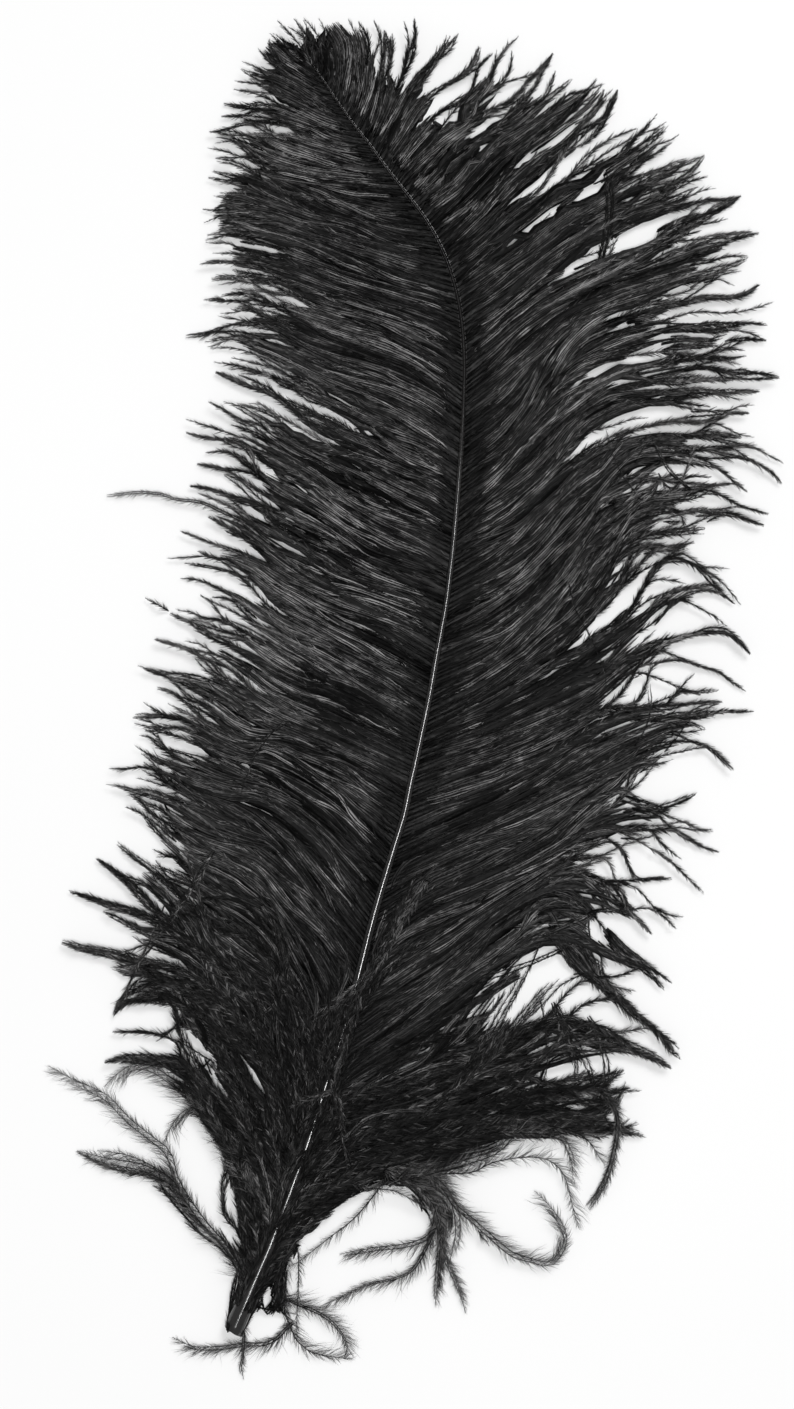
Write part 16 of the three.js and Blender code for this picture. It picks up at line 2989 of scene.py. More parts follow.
    (85.3,-107.3,90.2,-112.1,96.2,-115.5,102.5,-118.2),
    (83.3,-103.7,88,-109.6,94.4,-114.6,101.9,-118),
    (82.8,-101.7,84.9,-104.5,87.4,-107.9,90,-111.3,93.4,-113.9,97.1,-115.9),
    (-64.9,-117.7,-67.6,-115.5,-71.3,-113.4,-74.8,-111,-78.4,-108.8,-81.9,-106.4,-85.5,-104.2,-89,-101.8,-91.2,-98.3,-93.2,-94.6),
    (-63.5,-119.3,-66.3,-117.1,-69.8,-114.8,-73.4,-112.7,-77,-110.5,-80.7,-108.4,-84.3,-106.2,-88,-104.1,-90.8,-101,-92.6,-97.2),
    (-65.1,-117.1,-67.9,-115,-71.5,-112.8,-74.9,-110.3,-78.4,-108,-81.8,-105.4,-85.4,-103.2,-88.7,-100.6,-91,-97.1,-93.4,-93.6),
    (-57.6,-126.5,-59.7,-123.6,-62.7,-120.8,-66.1,-118.2,-69.6,-115.8,-73.2,-113.6,-76.9,-111.6,-80.6,-109.5,-84.3,-107.5,-87.8,-105.2),
    (-65.4,-116.6,-68.2,-114.5,-71.8,-112.2,-75.1,-109.7,-78.5,-107.2,-81.7,-104.4,-85.3,-102.2,-88.7,-99.7,-91.3,-96.4,-93.8,-93),
    (-93.8,-114.5,-98.5,-109.5,-105.1,-106.2,-111.9,-105.4,-119.4,-105.6),
    (-93.2,-115.1,-96,-112,-99.1,-109.2,-102.8,-107.2,-107.7,-106.7,-111.9,-106.3,-116.1,-105.9,-121,-105.6),
    (48.6,-103.8,56.5,-103.2,63.1,-107.9,67.8,-114.5,72.7,-121.7),
    (64,-100.5,66.1,-103.3,68.8,-106.6,71.9,-109.4,74.3,-112.9,76.1,-116.7,78.3,-120.3,81.3,-123.2,84.3,-126.2,87.9,-128.4),
    (66,-103.5,68.4,-106.2,71.9,-108.5,74.4,-111.8,76.4,-115.6,78.5,-119.2,81,-122.6,83.7,-125.9,87.2,-128.2,90.9,-130.2),
    (62.3,-98.2,64.3,-101.1,66.6,-104.7,69.1,-108.1,71.8,-111.3,74.2,-114.7,76.5,-118.3,79.4,-121.3,82.4,-124.3,85.6,-127),
    (67.1,-105.1,70.9,-106.8,74.2,-109.3,76.4,-112.8,79.5,-115.6,83,-117.9),
    (70.5,-102.1,72.4,-105,74.6,-108.6,76.6,-112.4,78.1,-116.3,79.3,-120.4,81.4,-124,84.2,-127.1,87.8,-129.3,91.5,-131.3),
    (62.1,-97.8,63.7,-101,65.7,-104.7,68.1,-108.2,70.9,-111.3,73.5,-114.7,75.9,-118.1,79,-121,82,-123.9,85.2,-126.6),
    (67.3,-105.5,70.4,-107.1,73.7,-109.6,76,-113.2,78.9,-116.2,82.5,-118.3),
    (70.7,-104.4,74.5,-106.2,76.8,-110.5,78.4,-114.4,79.4,-119.2,81,-123.2,83.9,-127,87.4,-129.4,91.8,-131.7),
    (66.9,-103.2,70.2,-104.3,74.2,-105.6,76.5,-109,78.3,-112.8,79.7,-116.8,80.5,-121,82,-124.9,85,-127.8,88.7,-130),
    (70.9,-100.3,73.1,-104.8,75.4,-109.1,78,-113.3,82.1,-115.9),
    (61.1,-98.1,62.6,-101.3,64.4,-105.1,66.8,-108.5,69.9,-111.5,72.9,-114.4,75.6,-117.7,78.6,-120.6,81.7,-123.4,84.9,-126.2),
    (62.8,-111.9,65.7,-109.9,68.8,-107,71.4,-103.7,74.1,-100.4,76.2,-96.8),
    (62.4,-111,65.3,-109,67.5,-105.6,66.3,-101.6,63.6,-98.3,60.5,-95.6),
    (63,-111.5,66.8,-113.2,69.6,-116.4,72.1,-119.8,75.6,-122.2,79,-124.6),
    (30.5,-128.1,36.1,-124.4,40.5,-119.2,45.2,-114.3,50.3,-109.8),
    (30.6,-128,37.3,-123.4,42.9,-117.5),
    (62.1,-99.6,63.5,-102.9,64.9,-106.9,66.6,-110.7,68.8,-114.4,71.3,-117.7,74.3,-120.6,77.9,-122.9,81.1,-125.6,84.5,-128.2),
    (63.4,-103.7,64.6,-107,66.2,-110.9,68.5,-114.4,71.5,-117.4,75.1,-119.5,78.9,-121.4,82.2,-124,85.5,-126.7,89.2,-128.7),
    (62.1,-100.1,63.5,-103.4,65.1,-107.3,67.2,-110.9,69.6,-114.4,72.3,-117.6,75.5,-120.4,79.1,-122.6,82.2,-125.4,85.5,-128),
    (-112.6,-121.6,-117.4,-120.7,-122.2,-119.4,-126.7,-117.6,-131.2,-115.5),
    (-111.5,-122,-115,-121.2,-119.2,-120.9,-123.3,-120.2,-127.5,-119.3,-131.6,-118.3),
    (-108.6,-121.9,-112.8,-121.5,-117.6,-120.7,-121.8,-119.9,-126.4,-118.4,-131.1,-116.8),
    (-112.8,-121.6,-116.9,-121,-121.9,-120.9,-126.1,-120.4,-130.8,-119.3),
    (-111,-122.3,-115.1,-121.5,-120.1,-121.4,-125,-121.5,-129.8,-120.4),
    (69.8,-120.9,73.2,-120.3,77.4,-121.1,81,-123.1,84.2,-125.9,87.8,-128.1),
    (60,-104.9,64.2,-111,68.4,-118),
    (30,-130,33.4,-127.6,37.6,-124.9,41.9,-122.5,46.1,-120),
    (29.8,-131.2,33.6,-128.1,37.7,-125.4,42.1,-123,46.3,-120.6),
    (29.4,-128.9,33,-126.7,37.2,-124.1,41.5,-121.7,45.7,-119.1),
    (31.3,-131.5,34.4,-128.6,38.5,-125.8,42.2,-123.8,46.4,-121.3),
    (-103.1,-124,-108.7,-123.9,-115,-122.9,-121.1,-124.1),
    (-101.7,-124.8,-105.9,-124.7,-110.1,-124.2,-114.3,-123.5,-118.5,-123.7,-122.5,-124.9),
    (45.9,-150.9,49.2,-148.3,53,-145.2,56.4,-141.6,58.1,-137),
    (47.1,-150.8,51.1,-147.9,54.7,-144.5,57.5,-140.5,59.4,-136),
    (47.3,-150,50.7,-147.5,53.9,-144.7,56.8,-141.6,59.1,-138.1,61.6,-134.7),
    (27.5,-154.9,30.3,-152.7,33.5,-149.9,36.5,-146.9,38.9,-143.5,41.2,-139.9),
    (27.2,-156,30.4,-153.2,33.6,-150.4,36.6,-147.5,39.3,-144.2,42,-140.1),
    (24.4,-154.1,27.5,-152.4,31.1,-150.2,34.4,-147.6,37.1,-144.4,39.5,-140.9),
    (28,-155.5,30.7,-153.2,33.9,-150.4,37.1,-147.6,39.8,-144.4,42.1,-140.9),
    (11.8,-154.8,15.6,-153.1,19.8,-152.3,23.6,-150.7,27.2,-148.4,30.6,-146,34.5,-142.9),
    (13.4,-153.8,17.5,-152.9,21.6,-152.1,25.4,-150.3,29,-148,32.5,-145.6,36,-143.3),
    (13.5,-153.8,17.5,-152.7,22.2,-151.1,26.2,-148.4,29.7,-144.8,32.9,-141.2),
    (11.9,-154.6,15.8,-153.2,20,-152.8,24,-151.4,28.2,-148.9,31.9,-146.8,35.6,-144.8,39.1,-141.3),
    (63,-150.1,66.5,-152.3,70,-155.8,73.1,-159.6),
    (64.3,-149.2,67.8,-151.4,71,-154.3,74,-158.2),
    (62.3,-183.8,66.5,-184.3,70.7,-184.3,74.8,-183.5,78.6,-181.8,82.4,-179.9,86.6,-177.3),
    (62,-183.4,66.2,-184,70.4,-183.9,74.5,-183,78.2,-181,81.8,-178.7,85.5,-176.7),
    (63.6,-184.2,67.8,-184.7,72,-184.6,76.1,-183.4,80,-181.8,83.8,-180,87.1,-177.5),
    (64.4,-184.8,68.6,-185.2,72.8,-185.3,77,-185.1,81.2,-185.4,85.4,-185.7,90.4,-185.6),
    (64.8,-184.6,69,-184.9,73.2,-184.9,77.4,-184.6,81.7,-184.6,85.9,-184.4),
    (62.2,-184.9,66.4,-185.5,71.3,-185.8,76.2,-185.6,80.4,-185.9,85.3,-186.2,90.2,-185.6),
    (-51.6,-234,-48.8,-230.9,-45.5,-228.2,-41.1,-226,-37.3,-224.2,-33.8,-221.9,-29.4,-219.6),
    (-53.1,-235.6,-50.6,-232.2,-47.5,-229.3,-43.8,-227.2,-39.8,-226.1,-35.1,-224.6),
    (-53.8,-236.6,-51.4,-233.1,-48.3,-230.2,-44.7,-228.1,-40.7,-227,-35.9,-225.7),
    (-54.5,-238.1,-52.2,-234.6,-49.3,-231.6,-45.6,-229.5,-41.5,-228.3,-36.8,-226.8),
    (-74,-257.5,-74.2,-253.3,-75.8,-248.6,-78.1,-244.2,-80.4,-240.8,-83.3,-236.8,-85.7,-232.5),
    (-74.1,-257.8,-74.3,-254.3,-75.1,-250.2,-76.8,-246.3,-78.4,-242.4,-80.4,-238.7),
    (-53.3,-245.6,-51.3,-238.8),
    (-81.8,-277,-81.7,-272.9,-80.9,-268.7,-80.1,-263.9,-79.3,-259.7,-78.6,-255.6,-77.8,-250.7,-79.6,-246.9,-82.6,-243.1),
    (-81.9,-276.8,-81.7,-273.4,-80.9,-269.2,-80,-265.1,-78.7,-261.1,-77.6,-257,-77,-252.8,-77.7,-248.7,-79.9,-245.1),
    (-82,-277.3,-82.1,-273.2,-81.4,-269.1,-81,-264.9,-80.4,-260.7,-79.8,-256.5,-78.7,-252.4),
    (-63.2,-260.4,-61.4,-257.4,-59.7,-253.6,-58.5,-249.5,-57.9,-245.3,-56,-241.6),
    (-63.4,-261.8,-61.3,-258.1,-59.5,-254.3,-58.4,-249.5,-57.9,-245.3,-55.6,-241),
    (-62.8,-261.7,-61,-258.7,-59.3,-254.8,-58.4,-250.7,-58,-246.5,-56.5,-242.6),
    (-64.7,-270.1,-61.5,-267.3,-58.6,-263.4,-57.6,-258.6,-57.4,-253.7,-56.9,-248.8),
    (-72.3,-265.1,-68.5,-266.8,-64.4,-267.8,-60.4,-266.8,-57.4,-263.8,-56.3,-259.1),
    (-63.3,-270.3,-60.6,-267.1,-58.3,-263.6,-57.4,-258.8,-57.2,-254.5,-56.8,-249.6),
    (-63.1,-261.7,-59.6,-265.2,-57.9,-270.5),
    (-65.5,-269.7,-62.7,-266.5,-60,-263.3,-59,-259.2,-58.7,-255,-58.4,-250.8),
    (-63.6,-265.2,-59.2,-269.7),
    (-65.9,-267.9,-63.2,-264.7,-60.9,-261.2,-59.8,-257.1,-59,-253,-58.4,-248.8),
    (-75.9,-278.4,-74.4,-274.4,-72.3,-270.8,-69.9,-267.3,-67.2,-263.2),
    (-62.8,-264.3,-59.8,-267.3,-56.9,-271.2),
    (-58.1,-246.3,-58.5,-250.5,-58.9,-254.7,-59,-258.9,-59.6,-263.1,-60.7,-267.2,-62.6,-270.9),
    (-58,-244.6,-58.6,-248.8,-59.3,-253,-60.1,-257.8,-60.6,-262,-61.7,-266.1,-64.2,-270.3),
    (-47.3,279.4,-50.9,281.7,-54.9,284.6,-57.8,287.6,-61.1,291.2),
    (-47.7,278.9,-51.2,281.2,-55.1,284.2,-58,287.3,-61.6,290.7),
    (-48.7,281.7,-52.8,284.4,-56.5,287.6,-59.8,291.3),
    (-48.9,278.1,-52.4,280.5,-56.2,283.6,-59.2,286.6,-63,289.7),
    (-50,278,-53.5,280.3,-57.4,283.3,-60.4,286.2,-64.3,289.3),
    (-14,256,-12.5,259.9,-10.9,264.6,-9.5,269.3,-7.8,273.9),
    (38.3,252.8,41.7,255.4,45.6,258.4,48.9,261,51.9,264.8),
    (37.6,253.5,41,256,44.9,259,48.1,261.8,51.1,265.7),
    (68.4,247.7,71.4,250.6,75.3,253.6,78.4,256.5,81.4,260.4,84.3,264.5),
    (-3.2,240.6,-0.7,244,2.3,247.9,5.5,251.7,9,255.1),
    (-44.1,248,-48,249.5,-52.1,250.6,-56.2,251.4,-60.4,252.2,-65.2,253.1),
    (14.2,240.8,19.9,246,26.6,249.8),
    (-64.1,234.5,-68.9,237.4,-73.2,241),
    (-67.7,235.7,-69.9,237.5,-72.6,239.8),
    (65.8,238.7,70.9,242.4),
    (65.9,238.2,70.9,242.1),
    (-64,220.2,-67.9,221.7,-72.4,223.7,-77.1,225.3,-81.8,226.8),
    (117.6,192.8,121.5,194.3,126.2,195.7,130.3,196.9,134.9,198.5),
    (116.5,192.3,120.5,193.7,125.3,195,130,196.3,134.7,197.8),
    (50.2,177.1,53.4,179.9,57.3,182.9,60.9,185,65.4,187.1),
    (50.4,178.8,53.6,181.5,57.6,184.4,61.4,186.4,65.8,188.4),
    (-40.6,167.7,-45.3,169.1,-49.9,170.8,-54.4,172.7,-59.1,174.2),
    (-39.7,166.8,-43.7,168.1,-47.7,169.4,-51.6,171,-55.6,172.5,-60.3,174),
    (75.8,146.7,79.8,148.1,83.9,149.1,88.1,149.9,92.9,150.7),
    (74.5,145.6,78.5,147.1,83.3,148.3,88.1,149.1,93,150.1),
    (72.5,144.3,76.4,146,80.4,147.3,84.5,148.1,88.7,148.8,92.8,149.7),
    (92.9,142.6,96.3,143.2,99.7,143.9),
    (108.4,145.8,113,147.3,117.7,148.1),
    (94.3,142.3,101.7,143.8,109,145.5,116.3,147.5),
    (-32.3,126.4,-36.2,128,-40.7,129.9,-45.2,131.9,-48.9,133.9,-53.2,136.3,-57.5,138.8),
    (101.8,113.3,106,113.5,110.2,114,114.4,114.1,119.3,114.2),
    (100.9,113,105.1,113.1,110,113.5,114.9,113.4,119.8,113.3),
    (100.4,112.7,104.7,112.8,109.6,113.1,113.8,112.8,118.7,112.4),
    (97,83.8,100.4,86.2,105.3,86.9,110.2,86.5,114.9,85.2),
    (97.2,83.6,100.9,85.6,105.8,86.2,110,85.8,114.7,84.5),
    (-87.5,-15.7,-91.1,-13.6,-94.8,-11.6,-98.5,-9.6,-102.3,-7.6,-106.7,-5.4),
    (-89.4,-14.7,-96.8,-10.6,-105.1,-6.8),
    (95.8,-47.6,99.3,-47.8,103.5,-48.1,107.6,-48.7,111.6,-50.2),
    (95,-48.6,99.2,-49,104.1,-49.1,108.3,-48.7,112.9,-47),
    (94.3,-48.2,98.5,-48.6,103.5,-48.9,108.4,-48.8,113.2,-47.8),
    (95.3,-47.6,99.6,-47.8,103.8,-47.9,108,-48.1,112.1,-49.3),
    (93.9,-51.6,100.2,-52,107.2,-52.3),
    (95.4,-51.1,99.5,-52.1,104.2,-53.5),
    (85.5,-53.9,89.7,-53.4,94.6,-52.7),
    (85.6,-79.4,89.8,-79.8,94.7,-80.7),
    (85.8,-79.6,89.9,-80.3,94.7,-81.6),
    (30.3,-129,33.9,-126.7,38.1,-124,41.8,-122.1,46,-119.5),
    (31,-130.2,34.4,-127.7,38.5,-125,42.2,-123,46.4,-120.4),
    (30.8,-131.4,34,-128.6,38,-125.8,42.4,-123.4,46.6,-120.9),
    (30.8,-132.7,33.7,-129.6,37.6,-126.7,41.9,-124.3,46.2,-121.8),
    (-96,-168.5,-97.7,-165.5,-99.3,-161.6,-101.8,-158.2,-105.5,-156.2,-109.6,-155.6),
    (-64.7,-270.4,-66.4,-267.3,-67.2,-263.2,-66.5,-259.1,-64.4,-255.4,-62.4,-251.7,-60.2,-248.1),
    (-69.3,-269.1,-66.5,-263.4),
)

# ---------------------------------------------------------------- lines


def curve(points, n):
    """n points on a smooth curve through the given ones, along the second last axis."""
    p = np.asarray(points, float)
    k = p.shape[-2]
    e = np.concatenate(
        [2 * p[..., :1, :] - p[..., 1:2, :], p, 2 * p[..., -1:, :] - p[..., -2:-1, :]], axis=-2
    )
    t = np.linspace(0, k - 1, n)
    i = np.minimum(t.astype(int), k - 2)
    f = (t - i)[:, None]
    a, b, c, d = (e[..., i + j, :] for j in range(4))
    return b + 0.5 * f * (c - a + f * (2 * a - 5 * b + 4 * c - d + f * (3 * (b - c) + d - a)))


def even(points, n):
    """One line resampled to n points an equal distance apart."""
    p = curve(points, 12 * len(points))
    d = np.r_[0, np.cumsum(np.linalg.norm(np.diff(p, axis=0), axis=1))]
    t = np.linspace(0, d[-1], n)
    return np.stack([np.interp(t, d, p[:, c]) for c in range(p.shape[1])], axis=1)


def unit(v):
    return v / np.maximum(np.linalg.norm(v, axis=-1, keepdims=True), 1e-12)


def ramp(x, a, b):
    t = np.clip((x - a) / (b - a), 0, 1)
    return t * t * (3 - 2 * t)


SPINE = np.array([(0, 2.6), (45, 6), (110, 9.6), (200, 12.4), (310, 13), (400, 12), (470, 10.2), (530, 7.8), (575, 5.6), (600, 4.45)])


def shaft_at(u):
    """x, y, z of the shaft's centre and its half width, at a distance from its tip."""
    return np.stack(
        [
            np.interp(u, SHAFT[:, 0], SHAFT[:, 1]),
            np.interp(u, SHAFT[:, 0], SHAFT[:, 2]),
            np.interp(u, SPINE[:, 0], SPINE[:, 1]),
            np.interp(u, SHAFT[:, 0], SHAFT[:, 3]),
        ],
        axis=-1,
    )


# ---------------------------------------------------------------- mesh


X0, Y0, SPAN = CAD_BOX[0][0] / MM - 14, CAD_BOX[0][1] / MM - 14, 628.0
PIECES = []


class Mesh:
    """Collects vertices, a tone for each, and faces of three or four corners."""

    def __init__(self):
        self.v, self.t, self.tri, self.quad, self.n = [], [], [], [], 0

    def add(self, verts, tone, tri=None, quad=None):
        verts = np.asarray(verts, np.float32).reshape(-1, 3)
        self.v.append(verts)
        self.t.append(np.broadcast_to(np.asarray(tone, np.float32).ravel(), (len(verts),)) if np.ndim(tone) == 0 or np.size(tone) == 1 else np.asarray(tone, np.float32).ravel())
        if tri is not None and len(tri):
            self.tri.append(np.asarray(tri, np.int64).reshape(-1, 3) + self.n)
        if quad is not None and len(quad):
            self.quad.append(np.asarray(quad, np.int64).reshape(-1, 4) + self.n)
        self.n += len(verts)

    def triangles(self):
        return sum(len(t) for t in self.tri) + 2 * sum(len(q) for q in self.quad)

    def build(self, name, material, slot, nodes, smooth_quads=True):
        v = np.concatenate(self.v) * MM
        tri = np.concatenate(self.tri) if self.tri else np.zeros((0, 3), np.int64)
        quad = np.concatenate(self.quad) if self.quad else np.zeros((0, 4), np.int64)
        me = bpy.data.meshes.new(name)
        me.vertices.add(len(v))
        me.vertices.foreach_set("co", v.astype(np.float32).ravel())
        loops = np.concatenate([tri.ravel(), quad.ravel()]).astype(np.int32)
        me.loops.add(len(loops))
        me.loops.foreach_set("vertex_index", loops)
        starts = np.concatenate([np.arange(len(tri)) * 3, len(tri) * 3 + np.arange(len(quad)) * 4]).astype(np.int32)
        me.polygons.add(len(tri) + len(quad))
        me.polygons.foreach_set("loop_start", starts)
        flat = np.zeros(len(tri) + len(quad), bool)
        flat[len(tri):] = smooth_quads
        me.polygons.foreach_set("use_smooth", flat)
        me.update(calc_edges=True)
        tone = me.attributes.new("tone", "FLOAT", "POINT")
        tone.data.foreach_set("value", np.concatenate(self.t).astype(np.float32))
        uv = me.uv_layers.new(name="OFBake")
        xy = (v[loops][:, :2] / MM - (X0, Y0)) / SPAN
        uv.data.foreach_set("uv", np.clip(xy, 0.001, 0.999).astype(np.float32).ravel())
        me.materials.append(material)
        me.validate()
        ob = bpy.data.objects.new(name, me)
        bpy.context.scene.collection.objects.link(ob)
        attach(ob, "root")
        if nodes:
            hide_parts(*nodes)
        PIECES.append((name, self.triangles()))
        return ob


def tubes(mesh, path, radius, tone, sides=3):
    """Tapered tubes along N paths of M points, each ending in a point."""
    n, m, _ = path.shape
    t = unit(np.gradient(path, axis=1))
    a = unit(np.cross(t, (0, 0, 1.0)))
    b = np.cross(a, t)
    ang = np.pi / 2 + np.arange(sides) * 2 * np.pi / sides
    ring = path[:, :, None, :] + radius[:, :, None, None] * (
        np.cos(ang)[None, None, :, None] * a[:, :, None, :] + np.sin(ang)[None, None, :, None] * b[:, :, None, :]
    )
    ring[..., 2] = np.maximum(ring[..., 2], 0.12)
    i = (np.arange(n) * m * sides)[:, None, None] + (np.arange(m - 1) * sides)[None, :, None]
    k = np.arange(sides)[None, None, :]
    k2 = (k + 1) % sides
    quad = np.stack([i + k, i + k2, i + sides + k2, i + sides + k], axis=-1).reshape(-1, 4)
    cap = np.arange(n)[:, None] * m * sides + np.arange(sides)[::-1][None, :]
    mesh.add(ring, np.broadcast_to(tone[:, :, None], (n, m, sides)), tri=cap[:, :3] if sides == 3 else None, quad=quad if sides == 3 else np.concatenate([quad, cap[:, :4]]))


def blades(mesh, path, tone, rng, spacing, length, width, angle, roll, start=0.0, bend=False, taper=0.15, bunch=1.7, stick=0.75, shade=0.16, fray=0.0, skew=0.0):
    """Barbules: fine blades on both sides of N paths. Spacing, length and width in mm, angles in degrees.

    Neighbours stick together in small bunches that share a length, a lean and a tip. taper is how much
    shorter they are at the path's end."""
    n, m, _ = path.shape
    seg = np.linalg.norm(np.diff(path, axis=1), axis=2)
    total = seg.sum(1)
    spacing = np.broadcast_to(spacing, (n,))
    count = np.maximum((total * (1 - start) / spacing).astype(int), 2)
    who = np.repeat(np.arange(n), count * 2)
    first = np.repeat(np.cumsum(count * 2) - count * 2, count * 2)
    step = np.arange(len(who)) - first
    left = step % 2
    side = np.where(left == 0, 1.0, -1.0)
    s = start + (1 - start) * (step // 2 + rng.random(len(who))) / count[who]
    s = np.clip(s, 0, 0.999)
    # the bunch that each one belongs to
    groups = int(np.ceil(total.max() / bunch)) + 3
    offset = rng.random((n, 2))
    q = np.floor(s * total[who] / bunch + offset[who, left]).astype(int)
    table = rng.standard_normal((n, 2, groups, 4))
    g = table[who, left, np.minimum(q, groups - 1)]
    sc = np.clip((q + 0.5 - offset[who, left]) * bunch / total[who], 0, 0.999)

    t_all = unit(np.gradient(path, axis=1))

    def at(x):
        f = x * (m - 1)
        i = np.minimum(f.astype(int), m - 2)
        w = (f - i)[:, None]
        return path[who, i] * (1 - w) + path[who, i + 1] * w, unit(t_all[who, i] * (1 - w) + t_all[who, i + 1] * w), i

    p, t, i = at(s)
    pc, tc, _ = at(sc)
    out = unit(np.cross(t, (0, 0, 1.0))) * side[:, None]
    up = np.cross(t, out) * (-side[:, None])
    up = up * np.sign(up[:, 2:3] + 1e-9)
    r = np.radians(np.broadcast_to(roll, (n,))[who]) * (0.75 * g[:, 0] + 0.5 * rng.standard_normal(len(who)))
    a = np.radians(np.broadcast_to(angle, (n,))[who] * np.clip(1 + 0.28 * g[:, 1] + 0.10 * rng.standard_normal(len(who)), 0.35, 1.9))
    lateral = np.cos(r)[:, None] * out + np.sin(r)[:, None] * up
    go = np.cos(a)[:, None] * t + np.sin(a)[:, None] * lateral
    ln = np.broadcast_to(length, (n,))[who] * np.clip(1 + 0.26 * g[:, 2] + 0.10 * rng.standard_normal(len(who)), 0.3, 1.8) * (1 - taper * s) * (1 - 0.35 * ramp(s, 0.96, 1.0))
    ln = ln * (1 + np.broadcast_to(skew, (n,))[who] * side)
    left_over = (1 - s) * total[who]
    ln = ln * (0.35 + 0.65 * ramp(left_over, 0, 8.0))
    if fray:
        ln = ln * np.where(rng.random(len(who)) < fray, 1.5, 1.0)
    wd = np.broadcast_to(width, (n,))[who] * (0.75 + 0.5 * rng.random(len(who))) * (1 - 0.25 * s) * (0.55 + 0.45 * ramp(left_over, 0, 6.0))
    tip = p + go * ln[:, None]
    tip = tip + (pc - p) * (stick * (0.6 + 0.4 * rng.random(len(who))))[:, None]
    go = unit(tip - p)
    across = unit(t - (t * go).sum(1)[:, None] * go)
    tw = np.radians(28) * rng.standard_normal(len(who))
    nrm = np.cross(go, across)
    across = np.cos(tw)[:, None] * across + np.sin(tw)[:, None] * nrm
    tn = (tone[who, i] if tone.ndim == 2 else tone[who]) + shade * g[:, 3] + 0.06 * rng.standard_normal(len(who))
    b0 = p - across * (wd / 2)[:, None] - go * 0.05
    b1 = p + across * (wd / 2)[:, None] - go * 0.05
    if not bend:
        v = np.stack([b0, b1, tip], axis=1)
        v[..., 2] = np.maximum(v[..., 2], 0.12)
        k = np.arange(len(who))[:, None] * 3
        mesh.add(v, np.repeat(tn, 3), tri=k + np.array([[0, 1, 2]]))
    else:
        mid = p + go * (ln * 0.5)[:, None]
        go2 = unit(go + 0.45 * t * np.sign(rng.random(len(who)) - 0.12)[:, None] + 0.22 * rng.standard_normal((len(who), 3)))
        tip = mid + go2 * (ln * 0.55)[:, None]
        v = np.stack([b0, b1, mid + across * (wd * 0.36)[:, None], mid - across * (wd * 0.36)[:, None], tip], axis=1)
        v[..., 2] = np.maximum(v[..., 2], 0.12)
        k = np.arange(len(who))[:, None] * 5
        mesh.add(v, np.repeat(tn, 5), tri=np.concatenate([k + np.array([[3, 2, 4]])]), quad=k + np.array([[0, 1, 2, 3]]))


def ribbons(mesh, path, tone, rng, half, droop=0.35, ragged=0.5, drop=0.12, skew=None):
    """The close part of each barb's barbules, as a roof-shaped strip with ragged edges under the barb."""
    n, m, _ = path.shape
    t = unit(np.gradient(path, axis=1))
    out = unit(np.cross(t, (0, 0, 1.0)))
    h = half[None, :] if np.ndim(half) == 1 else half
    left = h * (1 - ragged / 2 + ragged * rng.random((n, m)))
    right = h * (1 - ragged / 2 + ragged * rng.random((n, m)))
    c = path.copy()
    c[..., 2] -= drop
    fall = droop * (0.7 + 0.6 * rng.random((n, 1)))
    roll = 0.25 * rng.standard_normal((n, 1)) + 0.15 * wander(rng, n, m, 2, 1, 4)
    a = c - out * left[..., None]
    b = c + out * right[..., None]
    a[..., 2] -= left * (fall + roll)
    b[..., 2] -= right * (fall - roll)
    v = np.stack([a, c, b], axis=2)
    v[..., 2] = np.maximum(v[..., 2], 0.12)
    i = (np.arange(n) * m * 3)[:, None, None] + (np.arange(m - 1) * 3)[None, :, None] + np.arange(2)[None, None, :]
    quad = np.stack([i, i + 1, i + 4, i + 3], axis=-1).reshape(-1, 4)
    mesh.add(v, np.broadcast_to((tone + 0.05 * rng.standard_normal(tone.shape))[:, :, None], (n, m, 3)), quad=quad)


# ---------------------------------------------------------------- the web's outline


def outline():
    rings = [np.array(r, float).reshape(-1, 2) for r in BODY]
    return np.concatenate(rings), np.concatenate([np.roll(r, -1, axis=0) for r in rings])


EDGE_A, EDGE_B = outline()


def in_body(points):
    """Which of N points lie inside the outline."""
    ax, ay, bx, by = EDGE_A[:, 0], EDGE_A[:, 1], EDGE_B[:, 0], EDGE_B[:, 1]
    slope = (bx - ax) / np.where(by == ay, 1e-9, by - ay)
    found = []
    for k in range(0, len(points), 8000):
        x, y = points[k : k + 8000, :1], points[k : k + 8000, 1:2]
        cross = ((ay > y) != (by > y)) & (x < ax + (y - ay) * slope)
        found.append(cross.sum(1) % 2 == 1)
    return np.concatenate(found)


def nearest_edge(points):
    """The nearest point of the outline to each of N points."""
    d = EDGE_B - EDGE_A
    dd = np.maximum((d * d).sum(1), 1e-9)
    found = []
    for k in range(0, len(points), 3000):
        p = points[k : k + 3000, None, :]
        t = np.clip(((p - EDGE_A) * d).sum(2) / dd, 0, 1)
        q = EDGE_A + d * t[..., None]
        i = ((q - p) ** 2).sum(2).argmin(1)
        found.append(q[np.arange(len(i)), i])
    return np.concatenate(found)


def cut_at(lines, end):
    """N lines of M points, each shortened to a fraction of itself."""
    n, m = lines.shape[:2]
    f = np.linspace(0, 1, m)[None, :] * np.clip(end, 0.05, 1)[:, None] * (m - 1)
    i = np.minimum(f.astype(int), m - 2)
    g = (f - i)[..., None]
    rows = np.arange(n)[:, None]
    return lines[rows, i] * (1 - g) + lines[rows, i + 1] * g


